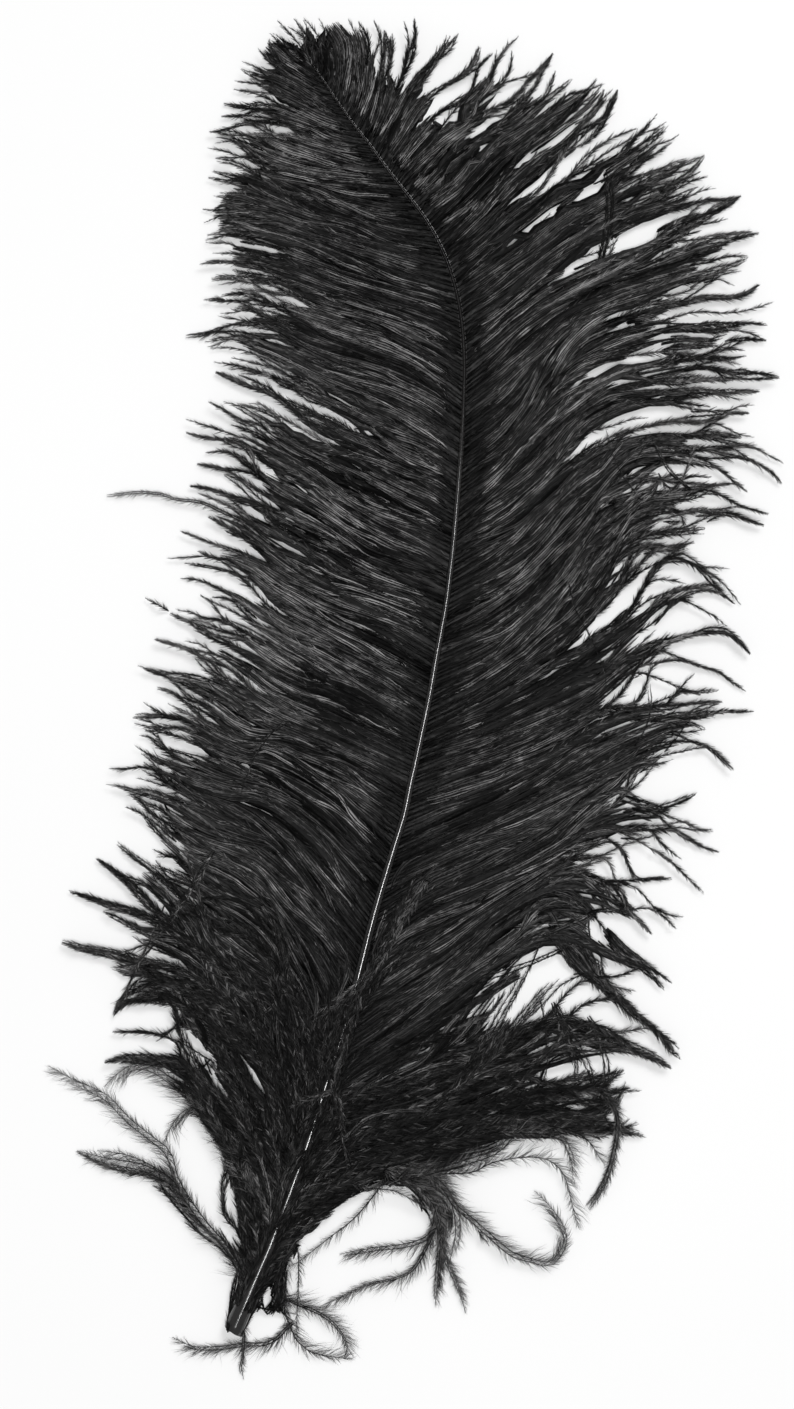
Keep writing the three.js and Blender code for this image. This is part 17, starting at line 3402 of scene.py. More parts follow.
def keep_to_body(xy, rng, over=1.5, reach=4.5):
    """Barbs part around an opening in the web and end at the web's outline."""
    n, m, _ = xy.shape
    first = 4
    for _ in range(3):
        inside = in_body(xy.reshape(-1, 2)).reshape(n, m)
        later = np.flip(np.maximum.accumulate(np.flip(inside, 1), axis=1), 1)
        gap = ~inside & later
        gap[:, :first] = False
        r, c = np.nonzero(gap)
        if not len(r):
            break
        step = nearest_edge(xy[r, c]) - xy[r, c]
        far = np.linalg.norm(step, axis=1)
        move = np.zeros_like(xy)
        move[r, c] = step * ((far < reach) * (1 + 1.1 / np.maximum(far, 0.5)))[:, None]
        weight = gap.astype(float)[..., None]
        soft, total = move * weight, weight.copy()
        for k, w in ((1, 0.6), (2, 0.25)):
            for sgn in (-1, 1):
                soft += w * np.roll(move, sgn * k, axis=1)
                total += w * np.roll(weight, sgn * k, axis=1)
        move = np.where(gap[..., None], move, soft / np.maximum(total, 1.0))
        move[:, :first] = 0
        xy = xy + move
    inside = in_body(xy.reshape(-1, 2)).reshape(n, m)
    later = np.flip(np.maximum.accumulate(np.flip(inside, 1), axis=1), 1)
    gone = ~inside
    gone[:, :first] = False
    r, c = np.nonzero(gone & later)
    if len(r):
        far = np.linalg.norm(nearest_edge(xy[r, c]) - xy[r, c], axis=1)
        gone[r, c] = far > 1.0
    end = np.where(gone.any(1), np.maximum(gone.argmax(1) - 0.5, first), m - 1) / (m - 1)
    length = np.linalg.norm(np.diff(xy, axis=1), axis=2).sum(1)
    end = end + gone.any(1) * rng.uniform(-2 * over, 0.3 * over, n) / np.maximum(length, 5)
    return cut_at(xy, end)


# ---------------------------------------------------------------- barbs of the web


def wander(rng, n, m, waves, lo=0.4, hi=2.2):
    """Slow sideways drift for n lines of m points, zero at the root."""
    s = np.linspace(0, 1, m)[None, :]
    y = np.zeros((n, m))
    for _ in range(waves):
        f = rng.uniform(lo, hi, (n, 1))
        ph = rng.uniform(0, 2 * np.pi, (n, 1))
        y += rng.standard_normal((n, 1)) * (np.sin(2 * np.pi * f * s + ph) - np.sin(ph))
    return y / math.sqrt(waves)


def web(tufts, side, u_from, u_to, pitch, rng, m=23, clump=(0.75, 1.0), drift=1.1, lift=(0.5, 5.0), loose=0.06, lock=1.5, reach=(0.80, 1.03), arch=None, clump_from=0.25, even_until=(0.15, 0.6), short_reach=(0.78, 0.98), fill=6.0, fill_most=1, over=2.5):
    """Barb lines between the measured tuft lines: N x M x 3, with the tuft each belongs to and its tone."""
    u0 = np.array([t[0] for t in tufts])
    guide = curve(np.array([t[1:] for t in tufts], float).reshape(len(tufts), -1, 2), m)
    # shorter tufts between each two measured ones, more of them where the measured tips are far apart
    tips = np.linalg.norm(guide[1:, -1] - guide[:-1, -1], axis=-1)
    many = np.clip(np.round(tips / fill).astype(int), 1, fill_most)
    low = np.repeat(np.arange(len(tufts) - 1), many)
    nth = np.arange(len(low)) - np.repeat(np.cumsum(many) - many, many)
    f = (nth + 1 + rng.uniform(-0.25, 0.25, len(low))) / (many[low] + 1)
    mid = guide[low] * (1 - f)[:, None, None] + guide[low + 1] * f[:, None, None]
    short = rng.uniform(short_reach[0], short_reach[1], len(low))
    ff = np.linspace(0, 1, m)[None, :] * short[:, None] * (m - 1)
    ii = np.minimum(ff.astype(int), m - 2)
    gg = (ff - ii)[..., None]
    rr = np.arange(len(low))[:, None]
    mid = mid[rr, ii] * (1 - gg) + mid[rr, ii + 1] * gg
    tm = unit(np.gradient(mid, axis=1))
    nm = np.stack([-tm[..., 1], tm[..., 0]], axis=-1)
    mid = mid + nm * (wander(rng, len(low), m, 3, 0.4, 1.6) * 1.8 * np.linspace(0, 1, m) ** 2)[..., None]
    both = np.concatenate([guide, mid])
    ub = np.concatenate([u0, u0[low] * (1 - f) + u0[low + 1] * f])
    order = np.argsort(ub, kind="stable")
    guide, u0 = both[order], ub[order]
    k_all = len(guide)
    s = np.linspace(0, 1, m)
    kern = np.exp(-0.5 * (np.arange(-9, 10) / 3.6) ** 2)
    kern /= kern.sum()
    pad = np.concatenate([2 * guide[:1] - guide[9:0:-1], guide, 2 * guide[-1:] - guide[-2:-11:-1]])
    calm = sum(kern[j] * pad[j : j + k_all] for j in range(19))
    keep = ramp(s, even_until[0], even_until[1])[None, :, None]
    guide = calm * (1 - keep) + guide * keep
    n = int(round((u_to - u_from) / pitch))
    u = u_from + (np.arange(n) + 0.5 + rng.uniform(-0.3, 0.3, n)) * (u_to - u_from) / n
    pos = np.interp(u, u0, np.arange(k_all))
    lo = np.clip(np.floor(pos).astype(int), 0, k_all - 2)
    w = (pos - lo)
    s = np.linspace(0, 1, m)
    base = guide[lo] * (1 - w)[:, None, None] + guide[lo + 1] * w[:, None, None]
    own = np.where(w + rng.normal(0, 0.13, n) > 0.5, lo + 1, lo)
    rel = pos - own
    strength = rng.uniform(clump[0], clump[1], n)
    strength[rng.random(n) < loose] = 0.1
    c = strength[:, None] * ramp(s, clump_from, 0.80)[None, :]
    xy = base + (guide[own] - base) * c[..., None]
    # random reach
    tuft_reach = 1 + 0.02 * rng.standard_normal(k_all)
    r = np.clip(rng.uniform(reach[0], reach[1], n) * tuft_reach[own], 0.5, 1.06)
    # a barb next to its tuft's line reaches furthest
    f = np.linspace(0, 1, m)[None, :] * r[:, None] * (m - 1)
    i = np.minimum(f.astype(int), m - 2)
    g = (f - i)[..., None]
    rows = np.arange(n)[:, None]
    xy = xy[rows, i] * (1 - g) + xy[rows, i + 1] * g
    t = unit(np.gradient(xy, axis=1))
    nrm = np.stack([-t[..., 1], t[..., 0]], axis=-1)
    xy = xy + nrm * (rng.uniform(-0.9, 0.9, n)[:, None] * ramp(s, 0.3, 0.7)[None, :] * (1 - 0.85 * s)[None, :])[..., None]
    amp = drift * (1 + 0.8 * rng.random(n))
    wild = rng.random(n) < loose
    amp[wild] *= rng.uniform(2.0, 4.5, wild.sum())
    shift = wander(rng, n, m, 3) * amp[:, None] * (s[None, :] ** 1.6)
    shift += wander(rng, n, m, 2, 2.0, 5.0) * 0.18 * s[None, :]
    length = np.linalg.norm(np.diff(xy, axis=1), axis=2).sum(1)
    shift *= np.clip(length / 90, 0.25, 1.2)[:, None]
    xy = xy + nrm * shift[..., None]
    # roots on the flank of the shaft
    root = shaft_at(u)
    ts = unit(shaft_at(u + 1)[:, :2] - shaft_at(u - 1)[:, :2])
    ns = np.stack([-ts[:, 1], ts[:, 0]], axis=-1)
    outward = np.sign(((xy[:, 3] - root[:, :2]) * ns).sum(1))[:, None] * ns
    want = root[:, :2] + outward * (root[:, 3:4] * 0.62)
    xy = xy + (want - xy[:, 0])[:, None, :] * ((1 - s) ** 3)[None, :, None]
    xy = keep_to_body(xy, rng, over)
    length = np.linalg.norm(np.diff(xy, axis=1), axis=2).sum(1)
    # heights
    z0 = root[:, 2] + 0.55 * root[:, 3]
    tip = rng.uniform(lift[0], lift[1], k_all)
    tip = np.convolve(np.pad(tip, 2, mode="edge"), (0.1, 0.2, 0.4, 0.2, 0.1), mode="valid") * 0.6 + tip * 0.4
    h = 3.3 if arch is None else arch
    lift_own = tip[own] + rng.uniform(-0.5, 1.2, n)
    z = z0[:, None] * (1 - ramp(s, 0.0, 0.75))[None, :] + (h * np.sin(np.pi * np.clip(s * 0.95, 0, 1)) ** 0.8)[None, :] * np.clip(length / 90, 0.2, 1)[:, None]
    z = z + lift_own[:, None] * (s ** 1.5)[None, :] * (1.0)
    # a lock is higher along its own line than between locks
    ridge = np.cos(np.clip(np.abs(rel) * np.pi, 0, np.pi / 2))
    z = z + lock * (ridge - 0.5)[:, None] * ramp(s, 0.06, 0.35)[None, :] * (1 - 0.3 * s)[None, :]
    z = z + wander(rng, n, m, 2, 0.5, 2.0) * 0.6 * ramp(s, 0.0, 0.3)[None, :]
    z = np.maximum(z, 0.35 + 0.25 * rng.random(n)[:, None])
    z = np.minimum(z, 21.0)
    path = np.concatenate([xy, z[..., None]], axis=-1)
    tone_tuft = rng.standard_normal(k_all)
    tone = 0.46 + 0.04 * tone_tuft[own] + 0.15 * rng.standard_normal(n)
    tone = tone[:, None] + 0.07 * rng.standard_normal((n, m)) + 0.05 * wander(rng, n, m, 2, 1.0, 4.0)
    return path, own, tone, length, u


def radius_of(path, root=0.26, tip=0.05):
    m = path.shape[1]
    s = np.linspace(0, 1, m)[None, :]
    return (root * (1 - s) ** 0.8 + tip) * np.ones((path.shape[0], 1))


def lock(points, count, spread, height, rng, m=22, z0=None, z1=None, drift=0.8):
    """Barbs that run together along one measured line: N x M x 3."""
    p = even(np.array(points, float).reshape(-1, 2), m)
    s = np.linspace(0, 1, m)
    t = unit(np.gradient(p, axis=0))
    nrm = np.stack([-t[:, 1], t[:, 0]], axis=-1)
    at = (np.arange(count) - (count - 1) / 2) / max(count - 1, 1) + rng.normal(0, 0.12, count)
    if count == 1:
        at = np.zeros(1)
    width = spread * (0.55 + 0.6 * np.sin(np.pi * np.clip(s * 0.8 + 0.1, 0, 1)))
    side = at[:, None] * width[None, :] + wander(rng, count, m, 3, 0.5, 2.0) * drift * 0.35 * (s ** 1.3)[None, :]
    r = rng.uniform(0.86, 1.0, count)
    r[rng.integers(count)] = 1.0
    xy = p[None] + nrm[None] * side[..., None]
    f = np.linspace(0, 1, m)[None, :] * r[:, None] * (m - 1)
    i = np.minimum(f.astype(int), m - 2)
    g = (f - i)[..., None]
    rows = np.arange(count)[:, None]
    xy = xy[rows, i] * (1 - g) + xy[rows, i + 1] * g
    if z0 is None:
        z0, z1 = height * 0.75, height * 0.35
        z = z0 + (z1 - z0) * s + height * 0.35 * np.sin(np.pi * s)
    else:
        z = z0 + (z1 - z0) * ramp(s, 0.0, 0.8) + height * np.sin(np.pi * s)
    z = np.maximum(z[None, :] + rng.uniform(-0.4, 0.6, (count, 1)), 0.4)
    return np.concatenate([xy, np.broadcast_to(z[..., None], xy.shape[:2] + (1,))], axis=-1)


# ---------------------------------------------------------------- finishes


def nodes_of(name):
    m = bpy.data.materials.new(name)
    m.use_nodes = True
    nt = m.node_tree
    nt.nodes.clear()
    out = nt.nodes.new("ShaderNodeOutputMaterial")
    bsdf = nt.nodes.new("ShaderNodeBsdfPrincipled")
    nt.links.new(bsdf.outputs[0], out.inputs["Surface"])
    return m, nt, bsdf


def noise(nt, coord, scale, detail, stretch=None):
    if stretch is not None:
        mp = nt.nodes.new("ShaderNodeMapping")
        mp.inputs["Scale"].default_value = stretch
        nt.links.new(coord, mp.inputs["Vector"])
        coord = mp.outputs[0]
    n = nt.nodes.new("ShaderNodeTexNoise")
    n.inputs["Scale"].default_value = scale
    n.inputs["Detail"].default_value = detail
    nt.links.new(coord, n.inputs["Vector"])
    return n.outputs["Fac"]


def spread(nt, value, a, b, c, d):
    r = nt.nodes.new("ShaderNodeMapRange")
    r.inputs["From Min"].default_value = a
    r.inputs["From Max"].default_value = b
    r.inputs["To Min"].default_value = c
    r.inputs["To Max"].default_value = d
    nt.links.new(value, r.inputs["Value"])
    return r.outputs[0]


def math_node(nt, op, a, b):
    n = nt.nodes.new("ShaderNodeMath")
    n.operation = op
    for i, x in enumerate((a, b)):
        if isinstance(x, (int, float)):
            n.inputs[i].default_value = x
        else:
            nt.links.new(x, n.inputs[i])
    return n.outputs[0]


def barb_finish(name, stops, rough, specular):
    """Dyed keratin strands: nearly black, each a little different, in soft patches; the light end of the tone ramp is
    painted sheen and glints, which makes some strands grey.
    """
    m, nt, bsdf = nodes_of(name)
    pos = nt.nodes.new("ShaderNodeTexCoord").outputs["Object"]
    tone = nt.nodes.new("ShaderNodeAttribute")
    tone.attribute_name = "tone"
    broad = noise(nt, pos, 16.0, 3.0)
    fine = noise(nt, pos, 420.0, 2.0)
    mix = math_node(nt, "ADD", tone.outputs["Fac"], spread(nt, broad, 0.3, 0.7, -0.06, 0.06))
    mix = math_node(nt, "ADD", mix, spread(nt, fine, 0.3, 0.7, -0.10, 0.10))
    col = nt.nodes.new("ShaderNodeValToRGB")
    ramp_ = col.color_ramp
    while len(ramp_.elements) < len(stops):
        ramp_.elements.new(0.5)
    for e, (at, v) in zip(ramp_.elements, stops):
        e.position = at
        e.color = (v, v * 0.985, v * 0.985, 1)
    nt.links.new(mix, col.inputs[0])
    nt.links.new(col.outputs[0], bsdf.inputs["Base Color"])
    nt.links.new(spread(nt, fine, 0.3, 0.7, rough[0], rough[1]), bsdf.inputs["Roughness"])
    bsdf.inputs["Specular IOR Level"].default_value = specular
    return m


def horn_finish(name):
    """Polished dyed horn: black, long faint streaks along it, scuffed near the cut."""
    m, nt, bsdf = nodes_of(name)
    uv = nt.nodes.new("ShaderNodeTexCoord").outputs["Object"]
    tone = nt.nodes.new("ShaderNodeAttribute")
    tone.attribute_name = "tone"
    streak = noise(nt, uv, 60.0, 4.0, (6.0, 0.35, 1.0))
    grain = noise(nt, uv, 900.0, 3.0)
    mix = math_node(nt, "ADD", math_node(nt, "MULTIPLY", streak, 0.6), math_node(nt, "MULTIPLY", grain, 0.25))
    mix = math_node(nt, "ADD", mix, math_node(nt, "MULTIPLY", tone.outputs["Fac"], 0.5))
    col = nt.nodes.new("ShaderNodeValToRGB")
    col.color_ramp.elements[0].position = 0.35
    col.color_ramp.elements[0].color = (0.0045, 0.0045, 0.0050, 1)
    col.color_ramp.elements[1].position = 1.0
    col.color_ramp.elements[1].color = (0.029, 0.0275, 0.0265, 1)
    nt.links.new(mix, col.inputs[0])
    nt.links.new(col.outputs[0], bsdf.inputs["Base Color"])
    nt.links.new(spread(nt, grain, 0.3, 0.7, 0.12, 0.22), bsdf.inputs["Roughness"])
    bump = nt.nodes.new("ShaderNodeBump")
    bump.inputs["Strength"].default_value = 0.25
    bump.inputs["Distance"].default_value = 0.0002
    nt.links.new(mix, bump.inputs["Height"])
    nt.links.new(bump.outputs[0], bsdf.inputs["Normal"])
    bsdf.inputs["Specular IOR Level"].default_value = 0.72
    return m


# tones above about 0.6 on these ramps are painted sheen and glints: lighter colour standing in for light caught by the
# strands
VANE = barb_finish("dyed_barbs_painted_sheen", ((0.0, 0.0008), (0.32, 0.0055), (0.60, 0.041), (0.85, 0.148), (1.0, 0.28)), (0.36, 0.56), 0.10)
DOWN = barb_finish("dyed_down_painted_sheen", ((0.0, 0.0008), (0.32, 0.0044), (0.60, 0.028), (0.85, 0.105), (1.0, 0.21)), (0.46, 0.66), 0.10)
HORN = horn_finish("dyed_horn")

# ---------------------------------------------------------------- the web on both sides


TOPS = []


def web_piece(name, tufts, side, u_from, u_to, seed, nodes, pitch=2.1, **how):
    rng = np.random.default_rng(seed)
    path, own, tone, length, u = web(tufts, side, u_from, u_to, pitch, rng, **how)
    TOPS.append(path.reshape(-1, 3))
    mesh = Mesh()
    # the barb line gets a darker tone than its barbules, which are painted lighter: painted sheen where the fine
    # barbules catch the light
    tubes(mesh, path, radius_of(path), tone - 0.40 + 0.15 * ramp(np.linspace(0, 1, path.shape[1]), 0.10, 0.3)[None, :])
    # close, broad barbules by the shaft make the web; finer, looser ones toward the tips
    n = len(path)
    half = path.shape[1] // 2
    s = np.linspace(0, 1, path.shape[1])
    wide = np.interp(s, (0, 0.06, 0.3, 0.8, 1.0), (1.35, 1.6, 2.1, 2.0, 0.05))
    # painted shade: this broad strip lies below the barbs and is darker than them, for the dense barbules together with
    # the shade under and between the barbs
    ribbons(mesh, path, tone - 0.34, rng, wide, droop=0.3, drop=0.8)
    tone = tone - 0.36 * (1 - ramp(s, 0.05, 0.16))[None, :]
    ribbons(mesh, path, tone, rng, np.interp(s, (0, 0.1, 0.8, 1.0), (0.1, 0.5, 0.5, 0.05)), droop=0.5, drop=0.05, ragged=0.8)
    inner, outer = path[:, : half + 1], path[:, half:]
    lean = rng.choice((-0.35, 0.35), len(path)) * rng.random(len(path))
    blades(mesh, inner, tone[:, : half + 1], rng, 2.0, 2.7, 0.40, 16, 24, taper=0.0, shade=0.09)
    blades(mesh, outer, tone[:, half:] + 0.06, rng, 1.7, 3.6, 0.42, 18, 30, taper=0.2, bunch=2.0, shade=0.10, skew=lean)
    return mesh.build(name, VANE, "vane", nodes)


web_piece("right_web_upper", RIGHT_TUFTS, "R", 2.0, 210.0, 11, ["right_vane"], drift=0.8, short_reach=(0.6, 0.9), loose=0.04)
web_piece("right_web_lower", RIGHT_TUFTS, "R", 210.0, 492.0, 12, [], drift=1.2, loose=0.08, pitch=2.1, even_until=(0.25, 0.8), fill=7, fill_most=2, short_reach=(0.7, 1.0))
web_piece("left_web_upper", LEFT_TUFTS, "L", 3.0, 230.0, 13, ["left_vane"], drift=0.9, fill=5, fill_most=3, short_reach=(0.8, 1.02), even_until=(0.2, 0.75))
web_piece("left_web_lower", LEFT_TUFTS, "L", 230.0, 474.0, 14, [], drift=1.2, loose=0.08, fill=5, fill_most=3, short_reach=(0.8, 1.02), even_until=(0.25, 0.8))

# ---------------------------------------------------------------- fringe: the barbs' free ends


def fringe_piece(name, lines, finish, slot, seed, barbule, angle, spacing, width=0.36, shade=0.13):
    rng = np.random.default_rng(seed)
    lines = [np.array(q, float).reshape(-1, 2) for q in lines]
    length = np.array([np.linalg.norm(np.diff(q, axis=0), axis=1).sum() for q in lines])
    mesh = Mesh()
    for m, lo, hi in ((8, 0, 18), (12, 18, 34), (18, 34, 60), (26, 60, 999)):
        pick = [q for q, l in zip(lines, length) if lo <= l < hi]
        if not pick:
            continue
        n = len(pick)
        xy = np.array([even(q, m) for q in pick])
        s = np.linspace(0, 1, m)[None, :]
        t = unit(np.gradient(xy, axis=1))
        nrm = np.stack([-t[..., 1], t[..., 0]], axis=-1)
        xy = xy + nrm * (wander(rng, n, m, 2, 0.5, 2.0) * 0.25)[..., None]
        mid = 4.2 + 1.1 * rng.standard_normal((n, 1))
        tip = 1.2 + 1.8 * (1 + np.sin(xy[:, -1:, 1] / 9.0 + 1.3 * np.sin(xy[:, -1:, 0] / 14.0))) + rng.uniform(-0.6, 1.4, (n, 1))
        z = 1.6 + (mid - 1.6) * ramp(s, 0.0, 0.3) + (tip - mid) * ramp(s, 0.3, 1.0)
        z = np.clip(z + 0.35 * wander(rng, n, m, 2, 0.5, 2.0), 0.4, 14)
        path = np.concatenate([xy, z[..., None]], axis=-1)
        tone = 0.44 + 0.15 * rng.standard_normal((n, 1)) + 0.06 * rng.standard_normal((n, m))
        # the barb line darker, its barbules painted lighter: painted sheen where the fine barbules catch the light
        tubes(mesh, path, radius_of(path, 0.32, 0.05), tone - 0.30)
        lean = rng.choice((-0.3, 0.3), n) * rng.random(n)
        blades(mesh, path, tone + 0.08, rng, spacing, barbule, width, angle, 34, taper=0.3, bunch=1.5, shade=shade, skew=lean)
    return mesh.build(name, finish, slot, [])


FRINGE_AT = np.array([(q[-2], q[-1]) for q in FRINGE])
SHAFT_X = np.interp(-FRINGE_AT[:, 1], -SHAFT[:, 2], SHAFT[:, 1])
for name, finish, slot, low, high, right, seed in (
    ("fringe_right_upper", VANE, "vane", 0, 400, True, 41),
    ("fringe_right_lower", VANE, "vane", -128, 0, True, 42),
    ("fringe_left_upper", VANE, "vane", 0, 400, False, 43),
    ("fringe_left_lower", VANE, "vane", -128, 0, False, 44),
):
    pick = (FRINGE_AT[:, 1] >= low) & (FRINGE_AT[:, 1] < high) & ((FRINGE_AT[:, 0] > SHAFT_X) == right)
    fringe_piece(name, [FRINGE[i] for i in np.flatnonzero(pick)], finish, slot, seed, 3.5, 22, 0.45)
pick = FRINGE_AT[:, 1] < -128
fringe_piece("fringe_down", [FRINGE[i] for i in np.flatnonzero(pick)], DOWN, "down", 45, 4.2, 25, 0.42)

# ---------------------------------------------------------------- loose strands beside the quill


def down_piece(name, guides, u_from, u_to, pitch, seed, nodes):
    rng = np.random.default_rng(seed)
    path, own, tone, length, u = web(
        guides, "", u_from, u_to, pitch, rng, m=22, clump=(0.2, 0.8), drift=3.0, lift=(1.0, 7.0), loose=0.10, lock=1.0, reach=(0.55, 1.02), arch=3.5
    )
    TOPS.append(path.reshape(-1, 3))
    mesh = Mesh()
    tone = tone - 0.1
    tubes(mesh, path, radius_of(path, 0.24, 0.05), tone)
    ss = np.linspace(0, 1, path.shape[1])
    # painted shade: a darker strip under each barb, for its close barbules together with the shade beneath them
    ribbons(mesh, path, tone - 0.25, rng, np.interp(ss, (0, 0.1, 0.5, 0.85, 1), (0.3, 0.9, 1.4, 1.1, 0.05)), droop=0.4, drop=0.6)
    blades(mesh, path, tone, rng, 0.62, 4.2, 0.40, 25, 34, taper=0.25, bunch=1.9)
    return mesh.build(name, DOWN, "down", nodes)


down_piece("right_loose", RIGHT_DOWN, 488.0, 583.0, 1.35, 21, ["right_down"])
down_piece("left_loose", LEFT_DOWN, 470.0, 580.0, 1.45, 22, ["left_down"])


# ---------------------------------------------------------------- barbs that lie on top of the web


def height_grid(cell=6.0):
    """How high the web stands, on a coarse grid: near the top of the barbs in each cell."""
    p = np.concatenate(TOPS)
    x0, y0 = p[:, :2].min(0) - 2 * cell
    nx, ny = (np.ceil((p[:, :2].max(0) - (x0, y0)) / cell).astype(int) + 3)
    key = ((p[:, 1] - y0) / cell).astype(int) * nx + ((p[:, 0] - x0) / cell).astype(int)
    size = nx * ny
    count = np.bincount(key, minlength=size).astype(float)
    mean = np.bincount(key, weights=p[:, 2], minlength=size) / np.maximum(count, 1)
    square = np.bincount(key, weights=p[:, 2] ** 2, minlength=size) / np.maximum(count, 1)
    top = mean + 0.9 * np.sqrt(np.maximum(square - mean ** 2, 0))
    top = np.where(count > 2, top, 3.0).reshape(ny, nx)
    pad = np.pad(top, 1, mode="edge")
    top = sum(pad[j : j + ny, i : i + nx] * w for j, a in enumerate((1, 2, 1)) for i, b in enumerate((1, 2, 1)) for w in (a * b / 16,))
    return x0, y0, cell, top


def height_at(grid, xy):
    x0, y0, cell, top = grid
    fx = np.clip((xy[..., 0] - x0) / cell - 0.5, 0, top.shape[1] - 2)
    fy = np.clip((xy[..., 1] - y0) / cell - 0.5, 0, top.shape[0] - 2)
    i, j = fx.astype(int), fy.astype(int)
    a, b = fx - i, fy - j
    z = (top[j, i] * (1 - a) + top[j, i + 1] * a) * (1 - b) + (top[j + 1, i] * (1 - a) + top[j + 1, i + 1] * a) * b
    # over the quill they ride on its back
    flat = xy.reshape(-1, 2)
    d = ((flat[:, None, :] - SHAFT[None, :, 1:3]) ** 2).sum(2)
    k = d.argmin(1)
    c = shaft_at(SHAFT[k, 0])
    over = c[:, 2] + np.sqrt(np.maximum((c[:, 3] + 0.8) ** 2 - d[np.arange(len(k)), k], 0))
    over = np.where(d[np.arange(len(k)), k] < (c[:, 3] + 0.8) ** 2, over, 0).reshape(z.shape)
    return np.maximum(z, over)


GRID = height_grid()


def surface_piece(name, lines, finish, slot, seed, barbule, angle, spacing, width=0.34, shade=0.09, level=0.44, vary=0.18, sheen=0.0):
    rng = np.random.default_rng(seed)
    lines = [np.array(q, float).reshape(-1, 2) for q in lines]
    length = np.array([np.linalg.norm(np.diff(q, axis=0), axis=1).sum() for q in lines])
    mesh = Mesh()
    for m, lo, hi in ((6, 0, 20), (9, 20, 36), (13, 36, 60), (19, 60, 999)):
        pick = [q for q, l in zip(lines, length) if lo <= l < hi]
        if not pick:
            continue
        n = len(pick)
        xy = np.array([even(q, m) for q in pick])
        s = np.linspace(0, 1, m)[None, :]
        z = height_at(GRID, xy) + rng.uniform(0.0, 0.9, (n, 1))
        z = z - 1.8 * (1 - ramp(s, 0.0, 0.16)) - 1.2 * ramp(s, 0.82, 1.0)
        z = np.clip(z + 0.3 * wander(rng, n, m, 2, 0.5, 2.0), 0.5, 20)
        path = np.concatenate([xy, z[..., None]], axis=-1)
        tone = level + vary * rng.standard_normal((n, 1)) + 0.10 * rng.standard_normal((n, m)) + 0.05 * wander(rng, n, m, 2, 1.0, 5.0)
        # painted sheen: sheen lightens the left web around the middle; the tone also rises toward the tip
        tone = tone + 0.09 * ramp(xy[..., 1], 180, 260) + 0.02 * ramp(xy[..., 1], -40, 40) + sheen * np.exp(-(((xy[..., 1] - 40.0) / 90.0) ** 2)) - 0.30 * (1 - ramp(s, 0.0, 0.10))
        # painted shade: a near-black strip under each barb stands for the shade under and between the barbs and for the
        # barbules below; it narrows to nothing at the web's edge, where the floor shows between barbs
        edge = np.linalg.norm(nearest_edge(xy.reshape(-1, 2)) - xy.reshape(-1, 2), axis=1).reshape(n, m)
        painted_shade_width = np.interp(s[0], (0, 0.12, 0.85, 1.0), (0.2, 1.05, 1.0, 0.05))[None, :] * (0.25 + 0.75 * ramp(edge, 1.0, 9.0))
        ribbons(mesh, path, np.full((n, m), 0.04), rng, painted_shade_width, droop=0.15, ragged=0.3, drop=1.25)
        # the barb line darker, the band and barbules on it painted lighter: painted sheen where the barbules catch the
        # light
        tubes(mesh, path, radius_of(path, 0.25, 0.11), np.minimum(tone - 0.42, 0.10))
        band = np.interp(s[0], (0, 0.15, 0.8, 1.0), (0.1, 0.72, 0.62, 0.05))[None, :] * (0.55 + 0.45 * ramp(edge, 0.8, 5.0))
        ribbons(mesh, path, tone + 0.06, rng, band, droop=0.5, ragged=0.8)
        blades(mesh, path, tone + 0.06, rng, spacing, barbule, width, angle, 28, taper=0.1, bunch=1.6, shade=shade)
    return mesh.build(name, finish, slot, [])


def quill_cover():
    """Down that leaves the quill at a steep angle and hides its flanks."""
    rng = np.random.default_rng(61)
    mesh = Mesh()
    n, m = 96, 12
    u = rng.uniform(478, 586, n)
    side = np.where(np.arange(n) % 2, 1.0, -1.0)
    long = rng.uniform(28, 62, n)
    s = np.linspace(0, 1, m)
    us = u[:, None] - long[:, None] * s[None, :]
    c = shaft_at(us)
    ts = unit(shaft_at(us + 1)[..., :2] - shaft_at(us - 1)[..., :2])
    ns = np.stack([-ts[..., 1], ts[..., 0]], axis=-1)
    start = rng.uniform(0.25, 0.8, n)[:, None] * c[:, :1, 3]
    away = start + (rng.uniform(0.02, 0.20, n) * long)[:, None] * (s ** 1.3)[None, :]
    away = away + 0.5 * wander(rng, n, m, 2, 0.5, 2.0)
    off = side[:, None] * np.maximum(away, 0.30 * c[..., 3] + 0.25)
    xy = c[..., :2] + ns * off[..., None]
    z = c[..., 2] + np.sqrt(np.maximum((c[..., 3] + 0.25) ** 2 - off ** 2, 0.0)) + 0.15
    z = np.where(np.abs(off) > c[..., 3], np.maximum(height_at(GRID, xy), c[..., 2] - 1), z)
    z[:, 0] -= 0.5
    path = np.concatenate([xy, z[..., None]], axis=-1)
    tone = 0.30 + 0.12 * rng.standard_normal((n, 1)) + 0.05 * rng.standard_normal((n, m))
    # the barb line darker, its barbules painted lighter: painted sheen where the barbules catch the light
    tubes(mesh, path, radius_of(path, 0.22, 0.05), tone - 0.15)
    blades(mesh, path, tone + 0.05, rng, 0.60, 3.4, 0.34, 14, 20, taper=0.1, bunch=1.6, shade=0.10)
    return mesh.build("quill_down", DOWN, "down", [])


